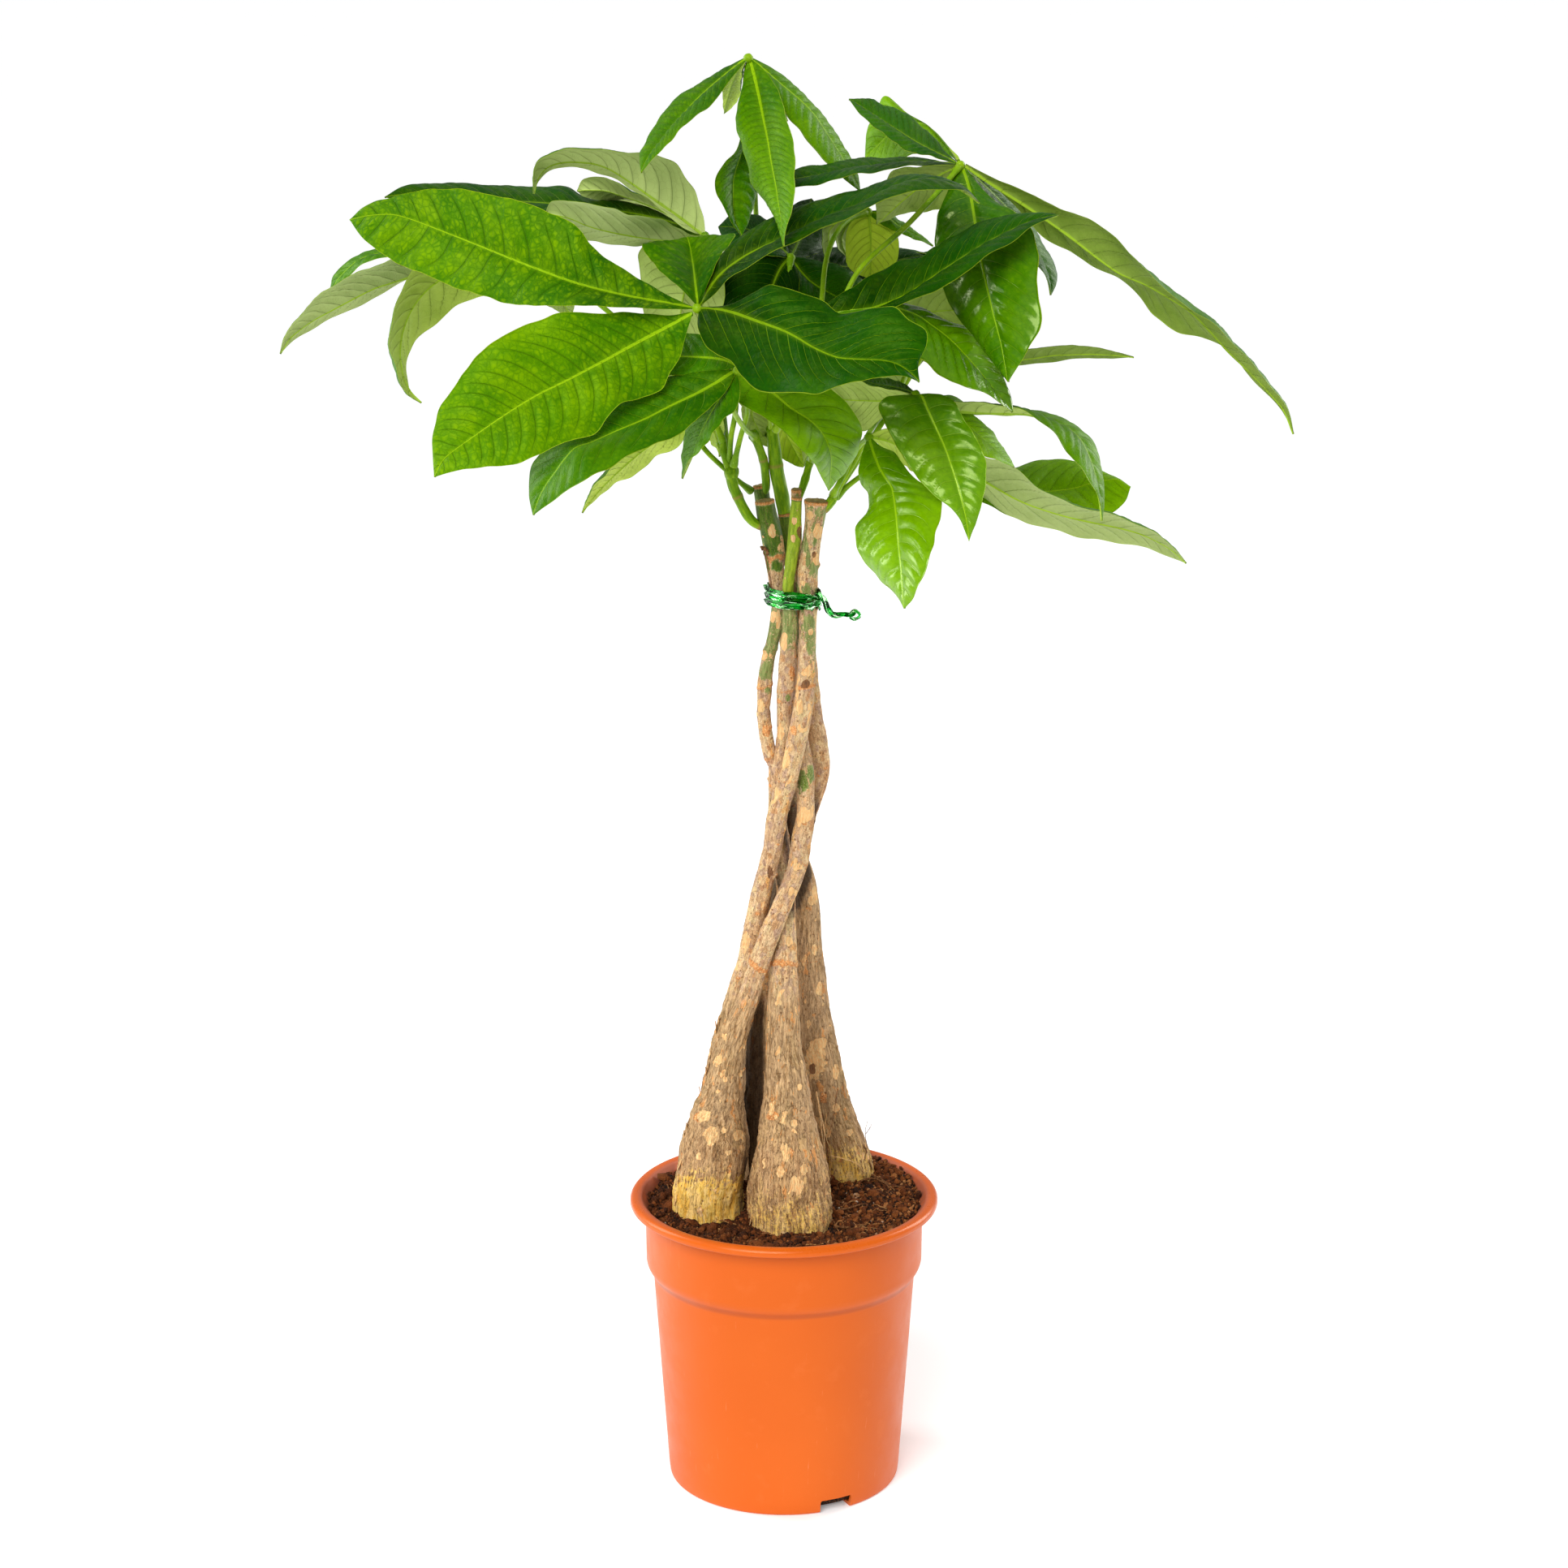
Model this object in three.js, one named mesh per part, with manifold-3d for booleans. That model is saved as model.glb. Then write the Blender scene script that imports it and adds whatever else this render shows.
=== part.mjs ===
// A potted money tree (braided Pachira) in its nursery pot.
// Millimetres, +Z up. Origin: centre of the flat underside of the pot.
// The pot stands on z = 0, the front of the plant faces -Y.
import * as THREE from "three";
import { mergeVertices } from "three/addons/utils/BufferGeometryUtils.js";
import Module from "manifold-3d";

const wasm = await Module();
wasm.setup();

// ---- driving dimensions -------------------------------------------------
const POT_HEIGHT = 184; // underside to top of the rim
const RIM_RADIUS = 95; // outside of the rolled rim
const BAND_RADIUS = 85.2; // outside of the upper band
const BODY_TOP_RADIUS = 80.8; // outside of the wall just under the band
const FOOT_RADIUS = 71.5; // outside of the foot
const WALL = 2; // wall and floor thickness
const BAND_BOTTOM = 139.5; // height of the lower edge of the band
const SOIL_TOP = 177; // height of the soil at the wall
const NOTCH_WIDTH = 21; // drainage openings at the foot
const NOTCH_HEIGHT = 8.5;
const GAP = 0.35; // clearance between neighbouring pieces
const BLADE = 1.1; // thickness of a leaflet at its midrib
const PETIOLE_RADIUS = 1.7;
const TIE_BOTTOM = 556;
const TIE_TOP = 566;
const TRUNK_SIDES = 11;

// ---- trunks: [x, y, z, radius] from the buried foot upward ----
const TRUNKS = {
  T1: [[-47,-16,141.8,17.1],[-46.9,-16,164.2,19.6],[-46.6,-16,186.4,20.9],[-44.1,-16,208.6,20.8],[-41.2,-15.3,230.4,18.8],[-37.7,-14.2,252,13.2],[-34,-13.1,273.5,9.5],[-28.3,-12,295,7.4],[-21.1,-10.9,316.3,6.3],[-14.6,-9.8,337.6,6],[-6.7,-8.7,358.7,5.9],[2,-7.1,379.7,5.8],[9,-5.1,400.4,5.9],[12.1,-3.1,421.1,5.5],[13.2,-1.1,441.7,5.1],[11.8,0.9,462.3,4.6],[8.5,2.8,482.8,4.2],[5.5,4.8,503.3,4.1],[2.5,6.8,523.7,4.1],[-0.7,8.7,544,4.1],[-4.3,10.7,564.3,4.1],[-7.7,12.6,584.5,4.1],[-10.9,14.5,604.6,4.4],[-13.9,16.1,624.8,4.6]],
  T2: [[5,-31,142.6,22.7],[5,-31,162.5,25.4],[4.3,-31,182.3,25.9],[3,-30.8,201.9,24.1],[3,-28.6,220.8,21.1],[2.5,-24.7,238.9,17],[1.4,-20.7,257,13.8],[0,-16.7,275.1,11.5],[-0.5,-12.7,293.1,10.3],[-0.5,-8.7,311.2,9.6],[-0.1,-4.8,329.2,8.4],[1,-0.8,347.3,6.4],[1,3.2,365.3,5.9],[0.6,4.9,383.9,5.7],[-1.6,5.4,402.9,5.5],[-3.7,5.7,421.9,5.3],[-3.9,5.9,440.8,5.3],[-3.9,6.1,459.7,5]],
  T2a: [[-4.9,0,456.3,3.9],[-9.9,0,471.3,3.9],[-11.9,0,486.3,3.8],[-11.8,0,501.2,4.3],[-10.5,0,516.1,4],[-7.5,0,530.9,3.8],[-3.8,0,545.6,4.4],[-2.4,0,560.4,4.6],[-3.9,0,575,4.3],[-5.5,0,589.7,5.6],[-8.6,0,604.2,6.1],[-11.5,0,618.8,5.6]],
  T2b: [[-2.9,-2.4,456.9,4],[-0.4,-2.9,475.6,4.3],[0.9,-3.9,494.4,4.9],[1.9,-5,513,5.3],[3,-6,531.5,5.2],[3.7,-6.9,550,4.5],[2.4,-7.9,568.4,3.3],[4.7,-8.9,586.6,3.6],[6.4,-9.9,604.8,3.8],[7.6,-10.5,622.8,3]],
  T3: [[42.4,36,131.4,14.6],[42,36,155,15.5],[41.1,36,178.5,15.3],[38.5,35.9,202,13.9],[32.4,34.3,225.8,12.5],[25.9,31.5,250,11.6],[21.1,28.8,273.9,10.6],[18.4,26.1,297.7,9.1],[16.7,23.4,321.3,8.3],[14.9,20.7,344.7,7.9],[13.7,18.1,368,7.4],[9,15.9,390.9,6.5],[3.8,15.4,413.3,5.7],[2.9,15.2,435.4,5.4],[3.2,15,457.4,5.2],[4.7,14.8,479.4,4.8],[6.4,14.6,501.2,4.6],[7.7,14.4,522.9,4.3],[7.4,14.2,544.5,4.3],[5.9,14,566,4.3],[3.3,13.8,587.4,4.5],[1,13.6,608.6,4.6]],
  T4: [[-40.8,31.6,133.2,17.5],[-40.7,31.9,153.2,18.3],[-40.6,32.3,173.1,18.5],[-40.6,32.5,193,18.4],[-40.4,32.2,213,17.1],[-39.1,28.3,234.2,14.3],[-36.4,24.1,255.4,12.5],[-33.5,20,276.4,10.4],[-29.6,15.9,297.3,8.4],[-24.4,11.8,318,7.3],[-20,7.8,338.5,6.9],[-16.9,3.7,358.9,6.5],[-13.4,-0.2,379.1,6.1],[-8.6,-4,399.1,5.7],[-5.3,-6.4,418.6,5.8],[-1.6,-8.1,437.7,5.8],[3.5,-9.8,456.8,5.9],[7.6,-10.5,475.5,5.9],[11,-10.4,493.9,5.6],[13,-10.2,512.2,5.5],[13.7,-10,530.5,5.3],[14.2,-9.8,548.6,5],[13.9,-9.6,566.7,5.9],[14.7,-9.4,584.7,5.6],[17.1,-9.2,602.7,5.5],[19,-9,620.6,7.1]],
  T5: [[-19,52.2,124.9,11.8],[-19,54.1,151.2,11.8],[-18.9,54.4,178.1,11.8],[-18.6,52.2,205.7,10.6],[-18.1,48.8,233.6,8.8],[-17.6,44.9,261.4,7.2],[-15.8,41.2,289,6.1],[-11.7,37.5,316.3,5.4],[-5.4,33.9,343.3,5.1],[2.7,30.3,370.2,4.8],[11.6,26.7,396.8,4.7],[19.1,23.2,423.1,4.5],[23.9,19.7,449.3,4.2],[21.5,16.2,475.2,4.1],[17.3,12.8,500.9,4],[15.1,9.3,526.4,3.7],[12.3,6,551.7,3.4],[9.2,2.6,576.8,3.1],[7.6,-0.7,601.7,2.9],[7.2,-3.4,626.2,2.8]],
};
// ---- green shoots: [x, y, z, radius] ----
const SHOOTS = {
  S1: [[[-13.4,0,603.6,2.6],[-20.9,-3,609.8,3],[-25.6,-4.6,618.5,3],[-29.5,-5.6,627.5,3.1],[-30.9,-6,636.9,3.6]],[[-30.9,-6,636,2.6],[-32.7,-6,641,2.5],[-34.3,-5.5,646,2.4],[-35.3,-5,651.2,2.2],[-35.6,-5,656.5,2]]],
  S2: [[[-13.5,16,618,2.2],[-10.6,11,627.8,2.5],[-11.5,7.8,638,2.5],[-14,4.4,647.9,2.5],[-17.6,2,657.1,2.7]]],
  S3: [[[1,13.6,604.7,3.8],[-1.2,12.1,618.5,4.4],[-3.9,10.4,632.1,4.2],[-5.5,8.4,645.9,4.1],[-6.7,8,659.4,3.1]]],
  S4: [[[8.1,-3,618.9,1.9],[9.9,-1.1,624,2.2],[11.8,0.8,629.2,2.4],[13.4,2.9,634.4,2.2],[14.8,5,639.6,2]]],
  S5: [[[23.3,-9,615.3,2.6],[25.2,-9,617,2.6],[26.8,-9,619,2.6],[28.3,-9,621.2,2.6],[29.5,-9,623.5,2.5]]],
};
// ---- twist tie: inner and outer outline, then the tail ----
const TIE_INNER = [[20.8,-9.6],[20.6,-7.9],[16.1,6.7],[11.7,16.7],[11.6,16.8],[10.8,17.8],[9.8,18.6],[9.6,18.7],[8.4,19.2],[8.3,19.2],[7,19.4],[4.5,19.1],[-6.1,15.8],[-7.3,15.3],[-7.4,15.3],[-8.4,14.5],[-9.1,13.5],[-9.2,13.4],[-9.7,12.3],[-9.7,12.1],[-9.9,10.9],[-8.1,-1.3],[-8.1,-1.5],[-7.6,-2.7],[-7.5,-2.8],[-0.7,-10.9],[0.2,-11.6],[0.3,-11.6],[12.1,-16.3],[12.2,-16.3],[13.9,-16.5],[15.6,-16.3],[15.7,-16.3],[17.3,-15.6],[17.4,-15.5],[18.8,-14.5],[19.9,-13.1],[19.9,-13],[20.6,-11.4],[20.6,-11.3]];
const TIE_OUTER = [[22.8,-9.6],[22.6,-7.6],[18,7.3],[13.4,17.6],[13.2,18],[12.2,19.2],[10.9,20.2],[10.5,20.5],[9.1,21.1],[8.6,21.2],[7,21.4],[4.2,21.1],[-6.8,17.7],[-8.2,17.1],[-8.6,16.9],[-9.8,15.9],[-10.7,14.7],[-11,14.3],[-11.6,12.9],[-11.7,12.5],[-11.9,10.9],[-10.1,-1.6],[-10,-2.1],[-9.3,-3.6],[-9.1,-4],[-2.1,-12.3],[-1,-13.2],[-0.6,-13.4],[11.4,-18.2],[11.9,-18.3],[13.9,-18.5],[15.9,-18.3],[16.4,-18.2],[18.2,-17.4],[18.6,-17.2],[20.2,-15.9],[21.5,-14.3],[21.7,-13.9],[22.5,-12],[22.6,-11.6]];
const TIE_TAIL = [[16.8,-10,562.3],[20.1,-14,566.6],[22.9,-16,563.7],[26.3,-17,556.5],[30.6,-18,553.8],[37.8,-18,554.3],[42.1,-17,555.6],[44.5,-16,553.4],[42.6,-17,551.1],[38.7,-17,552.6]];
// ---- compound leaves --------------------------------------------------
// petiole: points from the hub down to the shoot.
// blades: stations from base to tip, each [midrib xyz, one margin xyz, other margin xyz].
const LEAVES = [
  { name: "leaf_front", petiole: [[-48.4,-98,747.8],[-42,-79.8,737.3],[-36.7,-81.3,728.8],[-32.8,-84.6,719.8],[-31.2,-90.3,710.8],[-30.4,-90.1,700.3],[-29.1,-78.7,688.3],[-24.5,-49.2,673.6],[-17.6,-1,657.2]], blades: [
    [[-48.8,-98,748.2,-51.1,-98,748.7,-51.1,-98,747.3],[-73.6,-101.7,752.4,-75,-94.4,760.4,-76.3,-110.9,749.5],[-98.3,-101,757.3,-97.5,-91.1,774.2,-101.4,-116.4,752.3],[-122.6,-94.6,763.5,-116,-87.7,792.8,-127.2,-110.8,751.1],[-146.6,-85.1,771.2,-140.8,-80,802.8,-153.2,-99.1,750.6],[-170.6,-75.3,779.4,-167.5,-68.2,807.8,-178.8,-86.3,755.8],[-194.8,-65.4,787.4,-195.2,-56,809.1,-203.7,-71.2,763.3],[-219.6,-56,794.2,-222.6,-48.4,802.7,-227.6,-58.8,773.2],[-246,-46.7,790.2,-246,-46.7,790.2,-246,-46.7,790.2]],
    [[-51.1,-98,745.1,-51.1,-97,745.8,-51.1,-99,744.3],[-70,-101.7,735.3,-76,-99.6,745.3,-57.6,-102.6,722.7],[-88.9,-106.8,726,-100.7,-106,745.9,-69,-108.2,703.3],[-107.6,-113.6,716.8,-125.3,-111.7,747.2,-90.4,-119.6,698],[-126.4,-121.1,708.2,-148.7,-118.8,739.6,-105.8,-128.1,681.6],[-144.8,-129,699.4,-168.8,-124.9,725.9,-126.9,-139.7,677.4],[-162.4,-135.8,688.7,-183.7,-129.4,706.4,-147.7,-147.8,669.8],[-179.8,-141.2,677.1,-193.8,-134.9,685,-170.2,-149.6,666.9],[-192.8,-146,661.7,-192.8,-146,661.7,-192.8,-146,661.7]],
    [[-47,-98,748.2,-47.4,-99,747,-47,-97,748.5],[-30.5,-108.6,747.6,-44.4,-110.8,730.3,-26.6,-102.4,752],[-15,-119,743.9,-29.3,-121.6,722,-7.3,-111.2,762.7],[0.4,-129.3,739.9,-17.3,-134.5,709.8,12.5,-117.2,758.6],[14.5,-139,733.3,1.1,-152.3,710.2,30.8,-123.7,749],[29.3,-147.7,728.3,19.6,-166.2,712.2,50.5,-137.7,753.9],[45.3,-155,728.3,37.3,-172.1,718.6,68.1,-149.1,750],[61,-160.6,727,55.5,-171.8,722.2,77.4,-155.9,735.9],[73.6,-165,717.9,73.6,-165,717.9,73.6,-165,717.9]],
    [[-47.9,-98,749.2,-46.1,-98,751.4,-49.7,-98,750.5],[-48.4,-99.2,754.4,-43.1,-99.2,759.9,-55.5,-99.2,757.1],[-49,-95.2,758.9,-39.6,-95.2,767.4,-62,-95.2,762.3],[-49.8,-85.6,762.6,-35.8,-85.6,774,-68.7,-85.6,766.6],[-50.7,-72.1,765.8,-30.8,-72.1,780,-74.9,-72.1,771.2],[-51.8,-58.2,768.9,-27.7,-58.2,783.2,-80.6,-58.2,776.7],[-52.8,-47.1,772.5,-38,-47.1,782,-73.3,-47.1,777.9],[-54.1,-41.2,776.8,-47,-41.2,780.2,-64.8,-41.2,777.7],[-55.9,-39.2,777.6,-55.9,-39.2,777.6,-55.9,-39.2,777.6]],
    [[-47,-98,749.6,-46.5,-99,749.3,-47.5,-97,749.9],[-33.6,-94.5,767.2,-30.4,-103.3,765.1,-39.5,-86.6,770.6],[-14.8,-91,779.1,-11.8,-108,777.4,-23.1,-75.7,786.3],[5.6,-87.6,788.4,7.5,-110.6,788,-1.5,-66.1,795.6],[26.2,-84,797.3,27.6,-110.1,796.2,20.9,-58.9,803.3],[47.2,-79.3,805,47.4,-105.8,804.7,43.8,-53.3,807.8],[67.5,-75,814.6,67.4,-97.6,812.2,66.8,-52.3,814.4],[89.7,-72,814.7,89.8,-85.5,811.9,90.7,-58.3,814.1],[109.6,-70,802.8,109.6,-70,802.8,109.6,-70,802.8]],
  ] },
  { name: "leaf_centre", petiole: [[-25.9,-98.2,712.7],[-23.7,-69.4,701.2],[-22.2,-50.3,691.1],[-21.1,-37.5,681.7],[-21.8,-29,673.2],[-24,-22.5,665.1],[-26,-17.6,657.2],[-27.8,-14,649.4],[-29.4,-10,641.6]], blades: [
    [[-26.8,-98.2,715.9,-27.2,-97.6,716.7,-26.8,-98.4,714.6],[-38.1,-91.3,718.4,-35.4,-89,726,-38.5,-95,711.7],[-50.3,-84.8,718,-48,-77.1,729.8,-50.4,-94.9,710.9],[-62.5,-78.7,717.2,-61.7,-65.8,729.8,-62.2,-93.4,708.9],[-74.7,-73.6,715.8,-75.7,-57.8,727.9,-74,-90.5,706.5],[-87,-68.8,714,-89.4,-52.3,725.2,-86.1,-86,704.6],[-99.2,-63.3,711,-102.8,-49,720,-98.4,-78.1,703.2],[-111.3,-57.5,707.3,-114,-48.9,712.8,-110.8,-66.3,701.6],[-123.3,-51.4,702.4,-123.3,-51.4,702.4,-123.3,-51.4,702.4]],
    [[-27.7,-98.2,712.7,-27.7,-97.2,713,-27.2,-99.2,711.5],[-42.8,-101.5,703.4,-47.7,-94.8,711.8,-36.4,-109.1,698.3],[-58.8,-106,696.1,-67.5,-92.2,708,-49,-121.3,688.4],[-74.7,-112,688.9,-86.9,-92.5,703.5,-63.3,-133.5,681.1],[-91,-118.7,683,-104.6,-94.6,694.4,-78.9,-144,675.9],[-107.1,-125.9,677.1,-120.3,-99.8,682.9,-94.2,-151.7,669.8],[-121.4,-131.4,668.8,-134.9,-109.1,671.2,-109.3,-153.2,661.5],[-132,-133.8,654.4,-141.6,-120.6,655,-124.2,-146.9,650.6],[-139.4,-134.1,637.8,-139.4,-134.1,637.8,-139.4,-134.1,637.8]],
    [[-27.2,-98.2,711.3,-28.2,-97.6,711.2,-26.3,-98.5,710.4],[-33.4,-100.3,700.8,-38.4,-90.8,701.6,-25,-108.5,699.3],[-39.9,-101.8,690.3,-47.6,-84.7,690.8,-31.8,-118.6,690.4],[-45.6,-102.6,679.2,-55.4,-82.9,679.3,-39.7,-122.9,680.9],[-50.7,-102.7,667.7,-57,-85.5,666.7,-48.2,-120.4,670.6],[-54.1,-102.5,659.9,-57.2,-91.9,659,-53.7,-113.3,662.3],[-57.5,-102,652.1,-57.5,-102,652.1,-57.5,-102,652.1]],
    [[-25.4,-98.2,713.2,-26.3,-99.2,712.4,-25,-97.2,713.4],[-16.3,-93.2,705.2,-31.2,-94.8,702,-9.6,-90.8,713.7],[-6.4,-87.9,698.3,-23.6,-96.5,693.5,5.7,-79.2,709.6],[2.3,-82.8,689.7,-13.7,-100.2,687.8,20.4,-68.2,702.3],[12.1,-76.6,682.2,-3.7,-98.7,681.3,32.7,-57.8,690.5],[20.8,-68.9,672.9,5.1,-92.1,672.2,41.7,-47.9,675.7],[26.1,-57.6,660,13.1,-78.2,660.7,44.3,-38.5,658.3],[26.8,-41.5,645,20.3,-54.6,646.5,36,-29.1,643],[26,-21.6,629,26,-21.6,629,26,-21.6,629]],
  ] },
  { name: "leaf_right", petiole: [[74.5,-72.5,694.4],[66.2,-53.6,686.7],[58.9,-38.6,678.6],[53,-27,670.1],[48.3,-17.2,660.1],[44,-11.2,649.9],[39.4,-10.2,641],[34.5,-9.8,632.5],[29.5,-8.6,623.9]], blades: [
    [[74.5,-72.5,694.4,72.7,-72.5,694.4,76.3,-72.5,694.8],[80.5,-78.7,688.6,57.9,-78.7,694.6,89.3,-78.7,695.7],[85.1,-85.4,679.3,54.9,-85.4,683.7,98.6,-85.4,688.3],[89.7,-92.9,670.2,61.5,-92.9,672.1,105.6,-92.9,678.2],[93.5,-100.2,660.8,68.9,-100.2,661,111.1,-100.2,667.6],[96.8,-106.9,651.1,77.3,-106.9,650.6,113.4,-106.9,656],[99.8,-112.1,641.1,87.7,-112.1,641.8,111.8,-112.1,643.8],[102.3,-115.3,630.5,97.9,-115.3,632.5,108.4,-115.3,631.6],[103.8,-117,619.4,103.8,-117,619.4,103.8,-117,619.4]],
    [[75.4,-72.5,694.4,75.8,-73.3,695.4,75.5,-71.6,693.3],[92.7,-65.7,685.5,92.9,-73.2,690.6,93.5,-58,682.1],[111.1,-58.8,682.2,110.4,-72.6,690.5,113,-44.6,678.1],[129.8,-51.8,680.3,127.9,-70.4,687.4,132.9,-33,676.2],[148.2,-49.6,677.2,143.8,-70.4,679.8,152.4,-28.7,674.7],[165.2,-50.6,669.5,157.1,-70.7,668.6,170,-30.1,666.5],[174.7,-57.1,655.3,167,-74,654.3,181.6,-40,654],[179.7,-61.5,638,177.6,-72,638.9,184,-51,636.8],[182.5,-63.6,619.9,182.5,-63.6,619.9,182.5,-63.6,619.9]],
    [[75.4,-72.5,693.9,75,-73.3,693.1,75.9,-71.7,694.7],[83.8,-70.3,690.6,80.3,-76.4,686.7,85.9,-63.6,693.1],[91.5,-68.1,686.4,86.2,-80,681.1,94.9,-55.7,691.4],[98.7,-66,680.8,92.7,-82.6,675.8,102.7,-49,685.4],[105.6,-64.4,674.9,99.6,-83.6,670.7,109.9,-44.6,677.3],[112.1,-62,668.4,106.8,-81.8,664.9,116.9,-42,670.2],[118.9,-58.1,661.8,114.6,-75.2,659.4,122.9,-40.8,662.7],[125.8,-54.1,655.3,123.5,-64.5,654.5,128.1,-43.5,655.4],[132.5,-50,648.4,132.5,-50,648.4,132.5,-50,648.4]],
    [[74,-72.5,693.9,74.1,-71.5,692.8,74,-73.5,695],[64.9,-66.9,691.3,65.7,-58.3,684.5,64.1,-75.7,697.4],[55.7,-61,689.5,57,-46.2,676.6,54.4,-76.7,699.7],[46.4,-54.7,688.6,48.2,-36.9,668.2,44.8,-74.7,702.2],[37.1,-47.7,687.6,38.2,-28.1,665.2,35,-69.7,703],[27.7,-41,686.8,27.2,-21.4,664.5,24.9,-63.1,702.4],[18.2,-35.7,686.4,17.2,-19.6,666,15.8,-54.3,700.2],[8.9,-30.2,684.7,8,-20.6,672,7.3,-41.4,692.7],[-0.5,-24.4,681.1,-0.5,-24.4,681.1,-0.5,-24.4,681.1]],
    [[74.5,-72.5,695.3,74.5,-72,695.7,74,-72.6,694.4],[70.7,-60.9,694.7,71.4,-56.7,696.2,69.8,-65,693],[66.9,-49.4,694,68.1,-41.6,696.2,65.6,-57.1,691.6],[62.9,-37.8,692.8,64.4,-27.4,695.1,61.4,-48.1,690.1],[58.9,-25.9,691.4,60.3,-14.1,693.6,57.2,-37.6,689.1],[54.8,-14.4,690.1,55.9,-2.5,692,53.1,-26.3,688.4],[50.7,-4,689.2,51.5,6.3,690.5,49.4,-14.2,688],[46.6,5.9,688.7,47,12.1,689.4,45.8,-0.4,688.1],[42.5,15,688.6,42.5,15,688.6,42.5,15,688.6]],
  ] },
  { name: "leaf_low_right", petiole: [[49.1,-39.5,664],[45.5,-23.2,657.8],[42.6,-16.2,652.8],[40.2,-14.9,648.3],[38,-14.2,643.6],[35.8,-15.7,639.2],[33.4,-20,635.6],[31.1,-19.9,631.2],[29,-12.7,625.2]], blades: [
    [[49.1,-39.5,664.4,48.7,-38.5,663.8,50,-40.5,664.1],[52.7,-52.8,654.5,43.7,-45.9,651.7,62.5,-59.1,659.3],[58.2,-66.1,645.6,44.8,-51.9,638.8,71.5,-79.5,651.5],[62.7,-79.6,636.7,47.8,-61.4,627.9,82.8,-95.3,645],[63.9,-92.7,626.6,41,-75.1,618,88.7,-108.6,635.1],[64.7,-105.7,616.5,43,-86.6,606.7,83.7,-125.5,624.2],[65.8,-116.5,606.2,50.2,-97.8,597.1,80.6,-135.8,611.6],[66.6,-124.1,595.1,60,-111.6,590.4,75.3,-136.3,597.6],[67.3,-129.5,583.5,67.3,-129.5,583.5,67.3,-129.5,583.5]],
    [[49.6,-39.5,664.4,49.6,-40.3,665.5,49.6,-38.8,663.3],[57.2,-38.3,662.8,58.4,-47.3,670.3,55.8,-28.8,657.2],[64.3,-35.6,659.7,67,-51.1,670.3,61.7,-19.8,650.7],[71,-30.5,654.4,75.4,-48.4,664.1,67.2,-12.5,644.1],[76.4,-27,648.5,79.4,-42.4,655.9,73.3,-11.7,640],[79.5,-25.6,644.1,81.1,-35.1,648.3,77.6,-16.4,639],[82.1,-25,639.2,82.1,-25,639.2,82.1,-25,639.2]],
  ] },
  { name: "leaf_upper_right", petiole: [[101,-10,816.5],[84.6,-32.6,800.7],[67.3,-53.6,785.9],[48.3,-71.8,772.1],[35.4,-81.1,754.5],[26.9,-82,731.7],[21.6,-65.7,705.1],[17.9,-39.3,676.2],[16.2,0.4,643.4]], blades: [
    [[104.2,-10,816.5,104.2,-11,817.5,104.3,-9,815.4],[130.3,-8.5,799.1,132.4,-17.6,805,129.9,1,795.6],[156.5,-8,781.8,160.4,-23.7,792,152.1,8.6,772.2],[181.7,-8.6,763,187.8,-29.6,778.8,179.7,13.8,754.8],[209.2,-10,748.3,210,-35.5,757.6,207.1,15.4,738.5],[235.4,-13.2,732.8,233.2,-39.5,737.4,229.9,12.1,716.7],[256.7,-18,710.9,256.9,-40.7,717.2,258.5,4.5,707],[278.9,-23.4,689.6,279.5,-37.2,693.4,279.2,-9.6,686.2],[295,-30,664.1,295,-30,664.1,295,-30,664.1]],
    [[98.6,-10,818.3,98.7,-9,818.7,98.6,-11,817.5],[90.9,3.1,820.4,92.6,11,822.6,90,-5,819.4],[83.4,16.2,822.9,87.4,30,827.7,81.1,2,820.7],[75.9,29.4,825.8,81.1,47.2,832.2,72.5,11,822.2],[68.6,43.2,829.1,74.2,63,836.5,64.7,22.6,825.5],[61.2,56.2,832.6,66.3,76.3,839.7,57.3,35.3,829.4],[53.8,67.1,836.4,57.3,84.4,841.8,50.6,49.1,834.3],[46.2,76.7,840.4,48.2,87.2,844.2,43.9,65.9,838.8],[38.6,85,844.4,38.6,85,844.4,38.6,85,844.4]],
    [[100,-10,818.3,99.1,-9,818.7,100.9,-11,817.5],[96.2,19.5,822.3,94.1,29,824.7,96,10.2,819.2],[91.2,45,826.1,87.1,61.7,829.6,89.9,29,818.8],[85.1,68.1,830.5,77.6,89,833.2,83.4,48.8,816.9],[77.3,85,829.8,67.5,106,839.4,76.8,65,813.8],[68.6,94.3,827.2,58.7,114.1,842.2,70,74.4,811],[61.8,100,820.6,53,118,829.5,63,81.8,808.8],[55.2,103.4,813.3,49.7,114.9,817.9,55.9,91.7,807.7],[48.8,105,806.6,48.8,105,806.6,48.8,105,806.6]],
    [[99.1,-10,817.4,99.2,-9,817.7,99.1,-11,817],[85.4,-13.9,818.7,85.4,-5.8,818.3,85,-21.9,818.1],[71.7,-18.4,819.2,71.8,-4.1,819.9,71.2,-32.8,818.6],[58.2,-23.6,818.4,58,-5,819.8,57.7,-42.4,817.8],[44.6,-30.2,817.7,44,-9.4,819.7,44.3,-51,816.8],[31.2,-36.7,816.4,30.3,-16,818.7,31.1,-57.5,814.7],[18,-41.9,814.4,16.6,-24.6,817.8,18.1,-59.3,811.9],[4.8,-46.4,812.8,3.3,-36.4,816.2,5,-56.6,809.3],[-8.2,-50.3,810.4,-8.2,-50.3,810.4,-8.2,-50.3,810.4]],
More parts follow.
